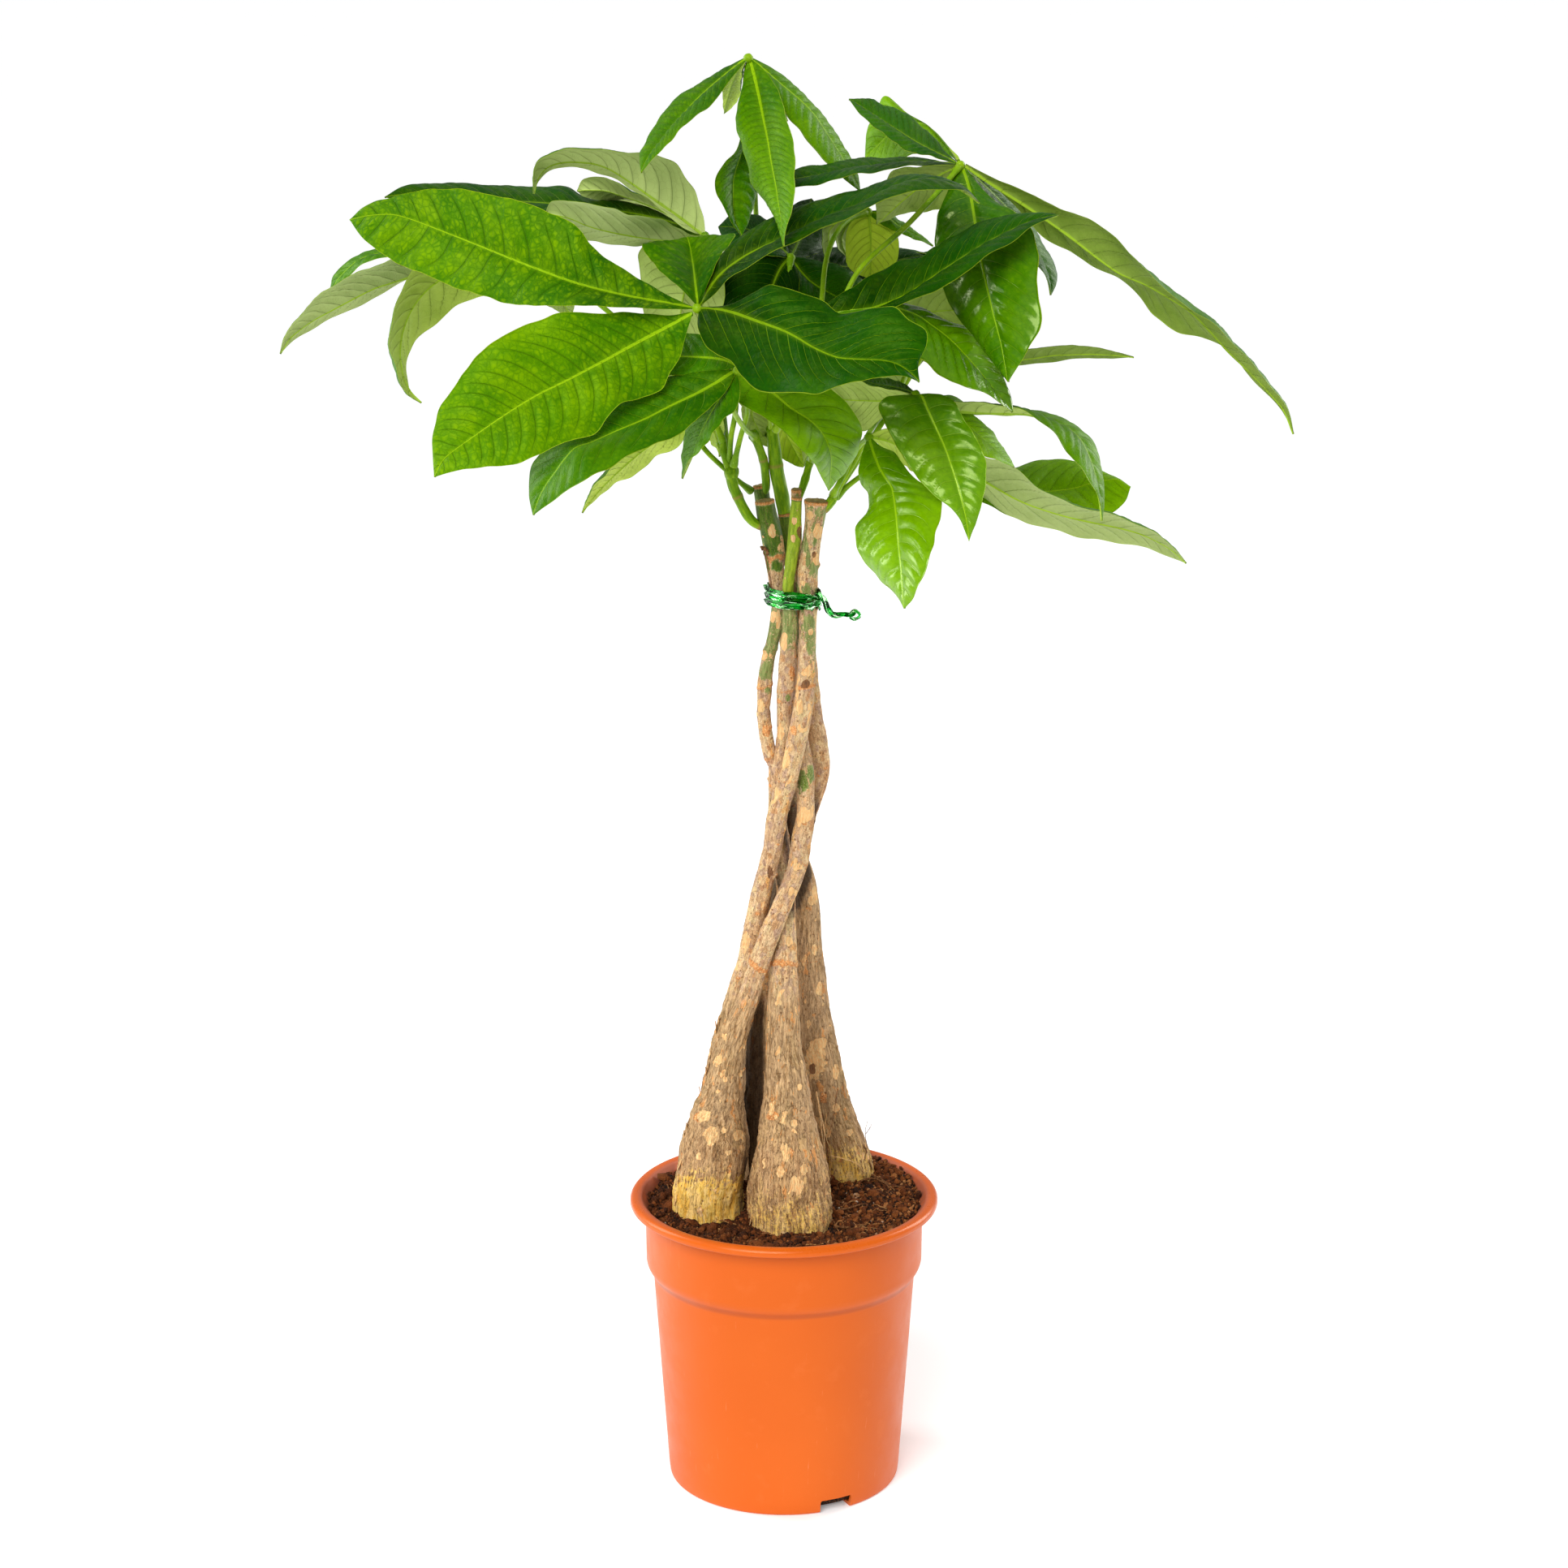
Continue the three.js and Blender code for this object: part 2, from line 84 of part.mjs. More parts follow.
    [[102.4,-10,815.1,101.5,-9,815.4,104.2,-11,815.2],[106.5,-24.9,802,92.7,-22.3,802.1,115,-30.4,803.7],[108.5,-39.7,788.5,87.1,-33.4,787.1,129,-45.4,795.2],[110.4,-54.9,775.2,86.1,-42.8,771.3,140.4,-60.3,784.4],[112.8,-69.4,762.1,89.8,-50.8,755.5,142,-81.9,769.8],[115.9,-82.7,749.1,95.7,-60,741,141.8,-101.4,755],[119.2,-94.1,735.9,105.2,-72.6,728.9,141.1,-112.2,739.6],[122.4,-103.3,722.4,115.2,-89.4,718.2,133.6,-115.7,724.3],[124.7,-110.9,708.5,124.7,-110.9,708.5,124.7,-110.9,708.5]],
    [[100.1,-10,816.5,101,-9.2,815.4,99.6,-11,817],[90.2,-9.6,811.9,99.4,-3.8,802.5,86,-19.2,817.7],[80.9,-8.9,806.3,93,4.6,790.4,72.8,-25.2,817.7],[72.2,-7.4,799.6,82,12.3,787.4,60.6,-26.4,814],[64,-7.6,792.6,69.4,11.1,785.7,53.9,-24.9,802.3],[58.6,-8.6,787.8,61.3,3,784.1,53,-19.5,793.1],[53.2,-10.4,783,53.2,-10.4,783,53.2,-10.4,783]],
    [[103.3,-10,814.6,102.8,-10.9,813.8,104.3,-9.1,815],[112.4,-3,806.5,107.8,-9.7,803.6,115.9,4.4,807.9],[121,2.5,798.1,113.5,-10.3,794.2,126.3,16.3,799.7],[129.3,5.9,789.5,120.2,-11.5,785.5,135.3,24.4,790.3],[136.7,8.4,780.4,127.6,-11.8,777.1,143.2,29.4,779.9],[143.3,9.9,770.6,135.7,-11.1,769.1,149.8,31.2,769.4],[149.2,10,760.6,143.9,-8.3,760.9,155.5,28.1,758.8],[153.3,9.4,750.1,151.4,-1.6,751,159.5,20.1,748.6],[155.6,8,739,155.6,8,739,155.6,8,739]],
  ] },
  { name: "leaf_mid_right", petiole: [[17.7,-95.7,743.3],[13.6,-79.4,733.2],[10.1,-64.5,723],[7.2,-51.3,712.7],[4.9,-39.9,702.3],[2.7,-30.1,692],[0.4,-21.4,681.9],[-2.2,-12.7,671.8],[-4.8,-3,661.4]], blades: [
    [[17.7,-95.7,743.8,18.1,-96.7,743,17.7,-94.7,744.5],[36.4,-94,744.6,36.9,-101.6,741.1,32.6,-90.6,755.3],[54.6,-91.2,748,54.6,-107,745.9,49.1,-80.9,763.2],[71.6,-87.4,755.3,71.8,-110.1,754.2,66.2,-68.3,770.1],[87.1,-82.8,765.3,88.6,-108.9,762.4,83.7,-58.6,776],[102.9,-77.8,774.9,104.6,-104.2,771.4,100.8,-52.5,783.8],[119.2,-72.4,783.6,120.4,-95,780.7,117.8,-50.7,792],[136.3,-67.2,790.9,136.4,-81,789.8,136.4,-53.9,795.1],[154.8,-62,795,154.8,-62,795,154.8,-62,795]],
    [[18.1,-95.7,743.3,18.1,-96.7,742.6,18.6,-94.7,744.1],[34.6,-93.5,746.2,32.2,-99.3,737,34.6,-85.7,753.5],[51.3,-91.3,747.4,46,-101.9,730.5,52.7,-75.4,753.1],[67.8,-89.2,745.2,60,-105.6,725,69.6,-66.2,744.8],[82.5,-87,736.6,74.7,-109.7,721.6,86.8,-60,736.1],[95.7,-85,725.7,86.7,-109.4,711.7,104.7,-58.3,731],[107.3,-82.6,712.7,101.1,-105,705.4,116.6,-59.9,717.1],[118.2,-79.7,698.9,115.7,-93.9,697.4,125.6,-66,701.6],[129.6,-76.3,685.3,129.6,-76.3,685.3,129.6,-76.3,685.3]],
    [[18.1,-95.7,743.3,18.1,-96.7,744.4,18.1,-94.7,742.3],[29.9,-73.7,741.7,30,-81.1,746.9,30.3,-66.3,735.9],[41.9,-53.9,739,42.3,-67.1,748.7,42.7,-40.5,729.8],[54.1,-36.2,735.7,55,-52.9,749.5,55.2,-18.8,723.9],[66.4,-19.9,732.9,68.1,-37.4,750.1,68,-0.6,720.4],[78.8,-6.9,731.6,81.2,-23.4,750.3,80.8,12,719.2],[91.1,0.8,731.2,95.2,-11.8,747.8,93.6,15.9,719.5],[103.3,4.4,730.8,106.6,-1.6,742.5,105.8,12.1,721.1],[115.3,3.8,729.6,115.3,3.8,729.6,115.3,3.8,729.6]],
    [[18.6,-95.7,742.9,18.6,-95.7,743.8,18.6,-95.7,742],[40.5,-81.4,734.5,41.1,-85.2,739.2,39.7,-77.5,729.9],[62.4,-68.8,725,63.1,-77,731.9,61.4,-60.6,718.1],[84.9,-57.4,717,85.4,-69,724.7,84.2,-45.7,709.6],[108,-47.6,711.7,108.2,-61.1,719.2,107.9,-33.9,705],[131.5,-39.5,709.2,131.5,-53.2,715.8,131.8,-25.6,703.6],[154.9,-31.9,710.7,154.7,-43.4,717.8,155.5,-20.3,704.4],[178.6,-24.4,710,178.6,-31.2,714.5,179,-17.5,706],[202.5,-16.9,706.9,202.5,-16.9,706.9,202.5,-16.9,706.9]],
  ] },
  { name: "leaf_top", petiole: [[-20.5,10,875.3],[-19,46.7,844.7],[-17.8,52.4,816.7],[-16.8,39.2,790.8],[-15.4,12.2,766.9],[-13.7,-13.5,743.4],[-11.1,-28.3,718.5],[-9.1,-22,690.2],[-7.6,12.4,656.2]], blades: [
    [[-19.6,10,874.9,-20.5,10.9,875.2,-19.6,9,875.4],[-16,1.6,862.6,-23.6,4,862.1,-8.8,-0.7,866.7],[-13,-10,850.7,-27,-3.9,849.2,-2.1,-17.5,855.8],[-10.3,-26,839.3,-26.3,-15,836.4,2.2,-38.8,844.6],[-7.8,-45,828.3,-22.6,-29.9,824.4,5.3,-60.9,833.3],[-5.4,-65.2,817.6,-18.8,-48.2,813,6.3,-82.5,821.9],[-3.1,-85,807.1,-11.3,-69.1,804,5.4,-100.9,810.3],[-1.2,-102.3,796.4,-4,-92,795.2,2.5,-112.5,798.2],[-0.4,-118,785.4,-0.4,-118,785.4,-0.4,-118,785.4]],
    [[-22.4,10,874.9,-22.4,10.8,875.7,-21.9,9.3,874],[-31,5.1,868.4,-32.9,12.2,869.9,-28.7,-1.9,866.6],[-39.5,-0.8,862,-43.2,12,864.1,-35.5,-13.6,859.2],[-47.8,-8,855.4,-53.3,8.6,858.2,-42.1,-24.6,851.9],[-55.3,-15.8,848.3,-63,2.6,852,-50.3,-34.7,846],[-62.4,-24.8,841.1,-70.7,-6.3,844.1,-58.7,-44.1,840.5],[-69.1,-35.5,833.7,-75.9,-19.7,835.2,-65.8,-52,833.4],[-75.6,-46.7,826.5,-81.7,-37.4,827.2,-73,-56.6,826],[-80.3,-58.2,818.2,-80.3,-58.2,818.2,-80.3,-58.2,818.2]],
    [[-19.1,10,874.9,-19.1,9.2,874,-18.6,10.7,875.7],[-9.6,8.1,867,-11.4,1.1,865.3,-7.4,15.1,869.3],[-0.1,6.2,859.2,-4,-6.2,856.2,2.9,19.2,861.3],[9.6,4.4,851.5,1.2,-10.9,845.6,12,21.3,852.2],[18.1,2.7,842.7,8.6,-14.4,836.4,20.2,21.8,842.2],[24.9,0.8,832.5,16.8,-17.1,827.6,28.1,20.1,832.3],[31.7,-1.9,822.4,25.1,-17.4,818.5,35.4,14.5,822.4],[38,-5.6,812.1,33.8,-14.9,809.7,41.2,4.2,812.2],[43.8,-10,801.6,43.8,-10,801.6,43.8,-10,801.6]],
    [[-21.9,10,875.3,-21.4,9.8,874.4,-22.4,10.6,875.7],[-24.2,20.7,870.7,-23.3,14.6,870,-25.7,26.8,870.8],[-26.4,32.1,865.8,-24.6,21.1,865.3,-28.7,43,865.7],[-28.4,44.2,860.8,-25.1,30,860.2,-31.6,58.4,860.5],[-30.2,57.5,855.5,-25.4,41.9,854.6,-34.7,73.2,855.1],[-31.8,70.8,850,-26,55.4,849.2,-36.6,86.5,849.6],[-33.2,82.9,844.6,-28,69.8,844,-36.8,96.4,844.1],[-34.5,94.3,839.2,-31.3,86.4,838.8,-36.5,102.4,838.8],[-35.5,105,833.7,-35.5,105,833.7,-35.5,105,833.7]],
    [[-19.6,10,875.3,-20,10.2,874.4,-19.1,9.4,875.8],[-16.6,20.1,870.1,-18,26.1,868.1,-15.2,14.1,871.6],[-13.7,31.7,864.6,-15.9,42.6,861.7,-11.5,20.7,867],[-10.7,44.5,859,-13.7,58.8,855.4,-8.2,30.2,861.9],[-7.6,60,853,-11.4,75.8,848.8,-4.9,44,856.1],[-4.7,75.5,846.9,-8.8,91.3,842.5,-2,59.4,849.8],[-2.2,88.3,840.8,-5.7,101.8,837.1,-0.1,74.6,843.2],[0,99.9,834.6,-2.1,108,832.3,1.2,91.6,836],[2,110,828.3,2,110,828.3,2,110,828.3]],
    [[-20.5,10,875.3,-21.4,9.5,875.4,-19.1,10.2,875.3],[-18.5,18.7,861.7,-23.8,13,861.5,-14.5,24.6,861.6],[-18.8,22,848.4,-23.8,10.3,848,-11.6,33.2,847.9],[-20.7,19.7,835.7,-24.3,3.9,834.9,-10.4,34,834.7],[-24.3,15,823.7,-28.7,-2,822.6,-11.1,29.8,821.9],[-28.2,8,811.9,-37.4,-7.7,812.6,-12.7,21.1,809.7],[-29.5,0,800,-38.9,-12.7,799.9,-15.4,9.8,798.1],[-29,-6.4,787.9,-32,-13.9,787.8,-18.8,-1.7,786.9],[-24.3,-12,776.2,-24.3,-12,776.2,-24.3,-12,776.2]],
  ] },
  { name: "leaf_upper_left", petiole: [[-45.9,-4.7,775.2],[-43.7,-7.6,759],[-40.7,-11.1,743.1],[-36.8,-12.5,726.9],[-33.2,-17.9,711.3],[-29.5,-22.6,695.5],[-27.8,-21.7,678.6],[-30.7,-14.9,660.6],[-31.9,-4.9,641.6]], blades: [
    [[-45.9,-4.7,775.7,-46.9,-3.7,775.1,-45.4,-5.7,776.3],[-58.1,-6.1,784.9,-60.3,1.8,780.2,-48.9,-8.9,794.7],[-70.3,-7.1,793.8,-71.3,8,789.3,-56.5,-13.3,810.7],[-82.4,-7.2,802.8,-83.2,15.2,797.1,-70.1,-23,822.7],[-94.8,-7.8,811.5,-96.4,19.7,803.2,-87.7,-33,827],[-108.5,-9.1,817.6,-109.9,19.2,809,-105.8,-36.8,828.4],[-123.4,-11.7,819,-123.4,12.6,814.1,-124.1,-35.6,827.9],[-136.8,-16.7,815.5,-136.4,-2.2,811.1,-140.6,-30.9,821.1],[-143.2,-23.9,802,-143.2,-23.9,802,-143.2,-23.9,802]],
    [[-46.9,-4.7,775.2,-46.9,-3.7,774.2,-46.8,-5.7,775.8],[-57.7,-20.9,774.7,-58.3,-11.9,771.6,-57.8,-29,782],[-68.9,-34.8,777.2,-70.2,-18.8,771.4,-68.2,-49.4,789.8],[-79.9,-46.3,780.3,-82,-25.2,772.2,-79.2,-65.9,794.9],[-90.8,-56,783.4,-93.7,-32.5,774.3,-90.4,-78.2,798.8],[-101.7,-63.2,786.8,-105.5,-40,776,-101.6,-85.2,802.4],[-112.3,-67.4,790.7,-116.5,-48.4,779.8,-113,-85.2,805.5],[-122.6,-70,795.1,-126,-59.3,787.5,-125.3,-79.1,805.6],[-133.7,-71,797.5,-133.7,-71,797.5,-133.7,-71,797.5]],
    [[-46.9,-4.7,776.2,-46.9,-4.7,775.2,-46.8,-4.7,777.1],[-55.2,6.1,780.2,-55.9,11.2,777.5,-55,1.1,783.3],[-63.9,15.4,783.9,-65.1,25,780,-64.1,6,788.2],[-73,22.8,787.3,-74.4,35.4,782.8,-73.9,10.4,792.2],[-82.3,29.2,790.2,-83.9,43.1,785.3,-83.6,15.5,796.4],[-91.9,34.1,792.8,-93.7,47.7,787.4,-93.3,20.9,800.4],[-101.5,37,795.6,-103.5,47.7,788.9,-103.3,27.4,804.5],[-111.4,39.5,796.3,-113.4,44.4,790.7,-114.6,35.8,803.9],[-121.5,41.2,795.6,-121.5,41.2,795.6,-121.5,41.2,795.6]],
    [[-46.9,-4.7,775.7,-46.9,-3.7,776,-46.8,-5.7,774.9],[-69,13.6,781.7,-69,22.6,783.2,-70.2,5.7,775.6],[-92.5,27.4,784.5,-92.3,43.7,788.6,-93.7,12.2,776.2],[-116.3,37.2,786.5,-117.2,58.8,789.9,-117.1,16.7,777.6],[-140.2,43.9,787.6,-140.7,67.8,794.5,-140.7,20.5,778.5],[-164.1,47.8,788.8,-165.6,72.2,793.7,-164.1,24.1,780.8],[-187.9,49.8,790.8,-189.9,70.3,796.8,-187.6,29.6,783.6],[-211.5,48.8,792.2,-213.6,60.6,797.5,-211.2,36.9,787.1],[-234.9,45.1,791.3,-234.9,45.1,791.3,-234.9,45.1,791.3]],
    [[-45.9,-4.7,775.2,-45.5,-3.7,774.6,-46.4,-5.7,775.4],[-49.8,-18.5,768.4,-38.5,-18.3,767.3,-59.6,-18.7,776.8],[-53.2,-28.3,760.7,-34.2,-27.8,758,-73.1,-28.4,776.4],[-55.9,-34.1,752.4,-33.9,-30.4,747.1,-82.9,-35.4,769.4],[-58,-35.3,743.1,-35.8,-26.5,735.2,-82,-39.8,756.8],[-59.7,-33.2,733.2,-40.5,-19.8,723.1,-80.9,-44.1,743.9],[-62.2,-29.2,723.1,-47.3,-15.1,713.7,-78.9,-42.4,730.4],[-64.9,-22.5,712.6,-56.4,-13.4,706.5,-74.9,-31.4,715.8],[-67.8,-13.3,701.5,-67.8,-13.3,701.5,-67.8,-13.3,701.5]],
  ] },
  { name: "leaf_left", petiole: [[-155.4,35,765],[-138.8,42,751.8],[-122.1,41.9,739],[-105.6,37.1,726.4],[-89.3,23.9,714.4],[-73.7,7.1,702.5],[-59.1,-3.3,688.9],[-45.6,-7,673.4],[-35.6,-6.9,655]], blades: [
    [[-155.4,35,765.5,-155.5,36,764.4,-155.4,34,766.1],[-174.8,35,761,-173.2,41.1,754,-175.6,30.9,770.8],[-193.8,35,755.3,-192.4,48.8,746.2,-195.6,23.3,768.8],[-212.7,34.9,748.9,-212.4,54.8,741.6,-215.2,16.8,763.8],[-231.5,33.3,742.8,-231.8,56.2,737.2,-234.5,12.1,757.6],[-249.7,30.8,735.8,-249,53.8,727.6,-253.2,9.2,749.3],[-267.2,28.1,726.8,-266.3,47.5,719.6,-271.2,9.6,738.2],[-284,24.4,717.1,-282.8,36.1,712.5,-286.6,13.1,722.8],[-296.4,20,702.6,-296.4,20,702.6,-296.4,20,702.6]],
    [[-155.4,35,765.5,-155.4,35.5,765.9,-155.4,34.8,764.6],[-172,42.5,764.4,-172.7,46.6,766.7,-171.2,38.4,762.6],[-188.7,50,763.4,-190.2,57.9,765.6,-187.1,42.1,761],[-205.5,57.6,761.6,-207.8,68.3,763.1,-203.2,47,759.7],[-222.3,65.8,758.8,-225.3,77.9,759.3,-219.4,53.8,757.5],[-239.1,73.1,754.4,-242.8,85.2,754.8,-235.7,61.1,753.5],[-255.1,78.2,748.9,-259.1,88.3,749.4,-251.4,68.1,748.1],[-267.8,82.3,736.8,-271.6,88.1,737.2,-264.4,76.4,736],[-273.7,85,720.9,-273.7,85,720.9,-273.7,85,720.9]],
    [[-155.4,35,765,-154.6,36,763.9,-155.8,34,766.1],[-170.8,29.4,759.2,-154.7,31.4,748.2,-174.1,23.7,766.2],[-186.1,23.8,753.4,-166.5,28.3,737.7,-192,12.6,764.4],[-201,18.1,746.7,-183.1,29.8,733.4,-208.7,0.7,759.2],[-213.4,12.1,736.6,-197.6,31.9,724.9,-220.4,-10.6,747.2],[-221.4,6.6,722.6,-210.7,30.4,714.9,-225.5,-18.5,730.4],[-224.4,2.1,706.7,-220.1,24.1,702.7,-227.3,-20.2,711.9],[-221.8,-1.8,690.5,-221.4,11.9,688.3,-223.4,-15.4,692.6],[-211.8,-5,677.6,-211.8,-5,677.6,-211.8,-5,677.6]],
    [[-155,35,765,-154.5,36,765.4,-155.4,34,764.7],[-149,29.4,757.9,-144.4,37.9,760.3,-153.5,20.8,756],[-143,23.7,750.7,-135.7,38.1,753.9,-150,9.1,748.1],[-137.1,17.6,743.6,-127.3,33.8,746.5,-143.4,0.7,740.7],[-131.4,13.4,736.2,-123,27.2,737.8,-136,-1.2,734.3],[-127.8,11.4,731.1,-123,19.9,731.9,-130.4,2.4,730],[-124.2,10,725.8,-124.2,10,725.8,-124.2,10,725.8]],
  ] },
  { name: "leaf_far_right", petiole: [[74.3,0,646.4],[68,-1.9,645.2],[61.9,-3.3,643.4],[56.1,-4.1,641],[50.4,-5.2,638],[45.1,-6.1,634.6],[40,-5.8,630.7],[35.1,-5.2,626.4],[30.5,-4.6,621.6]], blades: [
    [[74.3,0,646.4,74.3,-1,647.6,74.4,1,645.2],[94.9,-5.7,640.2,96.4,-13.4,650.8,92.5,2.9,631.8],[115.5,-11.2,633.9,118,-26.6,650,112.9,5.6,621.9],[134.5,-16.4,624.2,137,-38.6,643.1,131.4,6.8,609.4],[154.7,-21.4,617.2,154.2,-48.5,631.2,152.1,5.5,601.4],[175.5,-26.6,612.5,174.8,-54.4,625.4,173.4,0.8,597.4],[196.6,-31.6,609,196.3,-55.4,619.8,194.6,-8.3,595.7],[216.7,-36.3,602.5,216.4,-50.7,607.9,214.9,-22.5,593.5],[233.9,-40.8,590.1,233.9,-40.8,590.1,233.9,-40.8,590.1]],
    [[74.3,0,646.4,74.3,-1,645.1,74.3,1,647.2],[90.1,10,637.2,89.1,0.1,633,91.8,19.9,641.5],[106.3,19.1,629.3,104.9,0.9,622.9,109.2,37.5,634.9],[123,27.5,621.9,122,3.8,614,126.6,51.6,627.7],[140.1,34.7,617.9,140.1,9.4,606.9,143.9,60.1,628.7],[157.7,40.6,615.9,159.1,17.2,601.6,160.9,64.4,631],[174.9,44.8,617.3,178.8,28.8,600,178,64.3,629],[191.7,46.9,621.4,197.6,41,603.3,194,58.2,624.2],[208,47.4,617.5,208,47.4,617.5,208,47.4,617.5]],
  ] },
  { name: "leaf_low_left", petiole: [[-57.5,20,662],[-54,13.8,656.9],[-50,8.5,652],[-45.6,4.5,647.4],[-40.6,1.8,642.8],[-35.5,1,638.2],[-30.4,2.8,633.1],[-25.1,6.8,627.7],[-19.7,13,622]], blades: [
    [[-57,20,662,-57,19.7,663.1,-57.1,20.3,661],[-50.4,15,662.6,-48.5,8,669.5,-53.2,22.3,657.1],[-44.9,11.9,661.8,-41,-0.7,671,-49.2,24.7,653.3],[-40.4,11.1,657,-34.8,-4,664.9,-44.8,26.5,650],[-38.7,10.6,651.6,-34.9,-2.7,657.4,-41.4,24,646.7],[-38,11,647.4,-35.8,2.9,650.7,-39.4,19.2,644.6],[-37.8,12.3,642.6,-37.8,12.3,642.6,-37.8,12.3,642.6]],
    [[-57.5,20,662,-57.1,21,660.9,-58,19,663.2],[-66.2,14.1,657.6,-60.2,19.2,650.5,-69.1,9.8,667.2],[-74.8,8,653.2,-67.9,21.4,644.2,-78.8,-4.2,668],[-83.2,1.4,648.7,-77.5,21.6,638.9,-87.4,-18.2,662.6],[-90.9,-5,643.3,-85.9,18.7,632.9,-93.8,-28.5,655.7],[-98.4,-10.6,637.4,-94.7,13.8,628.2,-99.3,-35,647.1],[-105.6,-15,631,-103.6,6.1,624.4,-106.4,-36.1,638.6],[-112.2,-18,623.7,-111.3,-5.2,620.2,-112.7,-30.8,628.2],[-118.1,-20,615.6,-118.1,-20,615.6,-118.1,-20,615.6]],
  ] },
  { name: "leaf_young", petiole: [[48.4,6.3,787.4],[31.9,-16.9,781.4],[24,-34.6,765.2],[21.9,-41.4,747.4],[20.8,-41.5,727.9],[19.7,-37.5,707.6],[18.3,-24.3,685.8],[16.9,-8.2,663.1],[15.3,6.9,640.2]], blades: [
    [[48.9,6.3,787.4,49.4,6.3,787.4,48.4,6.3,787.4],[49.7,4.4,780.5,58.2,4.4,782.2,39.8,4.4,783.1],[50.2,1.4,773.8,65.5,1.4,775.8,35.7,1.4,774.8],[50.2,-2,767.1,66.4,-2,765.6,35.4,-2,765.2],[50.2,-5.7,760.5,62.3,-5.7,757,38,-5.7,756.8],[50,-8.7,756.2,56.4,-8.7,753.7,43.4,-8.7,753.5],[49.6,-12.1,751.9,49.6,-12.1,751.9,49.6,-12.1,751.9]],
    [[49.4,6.3,787.8,48.9,6.2,786.9,49.4,6.6,788.3],[57,6.4,785.6,54.8,3.4,781.9,57.8,10.2,788.3],[63.6,6.4,781.3,61.6,-1.1,778.6,64.8,14,784.1],[70.3,5.4,777,68.8,-4,775.9,71.5,14.7,778.8],[77.3,4,773.5,76.3,-4,773.2,78.2,12.1,774.2],[81.9,3,771.1,81.4,-1.9,771.1,82.4,7.9,771.4],[86.5,1.8,768.7,86.5,1.8,768.7,86.5,1.8,768.7]],
    [[48,6.3,787.4,48.4,6.3,786.9,48,6.3,787.8],[39.4,2.9,786.6,40.8,6.6,784.8,38.2,-0.8,788.6],[32.1,-0.5,784.1,34.4,5.7,781.3,29.8,-6.5,787.7],[25.8,-2.8,778.2,28.8,4.3,775.7,22.5,-9.8,781],[25.3,-4.8,771.3,26.6,1.4,769.4,22.1,-10.7,773.3],[25.3,-6,766,25.7,-2.2,764.9,23,-9.4,767.1],[25.3,-7,760.1,25.3,-7,760.1,25.3,-7,760.1]],
    [[48.4,6.3,786.9,48.9,6.3,786.4,48,6.3,787.4],[41.7,9.3,784.2,43.2,13.1,782.8,40.2,5.4,785.5],[37.1,12.3,780.2,39.3,18.8,778.2,34.8,5.8,781.8],[33.8,15.5,774,36.6,22.8,772.4,31,8.2,775.2],[33.4,17.6,767.5,36.1,23.7,766.4,30.6,11.5,768.1],[34.8,18.6,763.3,36.4,22.2,762.7,33.1,14.9,763.6],[37.4,19.1,759.2,37.4,19.1,759.2,37.4,19.1,759.2]],
  ] },
  { name: "leaf_core", petiole: [[3.8,-9.2,763.2],[2.9,-19.2,752.3],[2,-26.7,741.1],[1,-31.4,729.6],[0.1,-31.2,717.2],[-1,-25.2,703.8],[-2.1,-14.7,689.6],[-3.4,-1.7,674.8],[-4.8,12.6,659.5]], blades: [
    [[4.2,-9.2,763.2,3.8,-10.2,762.4,4.2,-8.2,764],[10.2,-12.2,754.8,4.9,-22.1,750.6,16.2,-3.3,761.7],[17.6,-15.2,748.5,8.3,-31.1,740.4,28.1,-0.3,758.6],[26.7,-18.3,743.8,18.3,-35.8,731.6,40.2,-1.5,754.1],[35.7,-21.3,739.1,29.4,-37.6,731.6,46.4,-6,746.9],[41.7,-23.3,735.9,38,-33.6,731.8,47.4,-13.6,740.4],[47.6,-25.3,732.8,47.6,-25.3,732.8,47.6,-25.3,732.8]],
    [[3.3,-9.2,763.2,2.8,-8.2,764,3.8,-10.2,762.4],[-3.2,-15,756,-14.4,-12.8,772.1,8.9,-21.3,752.7],[-7.1,-20.4,747.2,-32.3,-15.8,766.3,7.8,-34.4,742.2],[-10.7,-25.9,738.2,-40.2,-19.8,750.2,4.6,-42.7,731.6],[-14.3,-29.2,729,-36.7,-19,731.3,-3.4,-45.4,721.8],[-16.7,-30.3,722.7,-30.5,-23,722.4,-10.2,-40.7,718.8],[-19.1,-30.6,716.2,-19.1,-30.6,716.2,-19.1,-30.6,716.2]],
    [[3.8,-9.2,763.7,4.7,-9.2,763.2,3.3,-9.2,764.1],[6,0.1,766.3,12.9,0.1,762.5,-0.8,0.1,767.4],[8,9.4,769.1,19.1,9.4,762.7,-2.8,9.4,771.1],[9.6,18.7,772,22.3,18.7,763.8,-2.6,18.7,775.7],[11,28.3,775,24,28.3,768.4,-2.1,28.3,780.3],[12.2,37.5,778.2,24.8,37.5,774.4,-0.7,37.5,783.1],[13.6,45.6,781.5,23.8,45.6,779.2,3.2,45.6,785.6],[15,53.2,785,20.9,53.2,783.9,9,53.2,787.5],[16.3,60,788.5,16.3,60,788.5,16.3,60,788.5]],
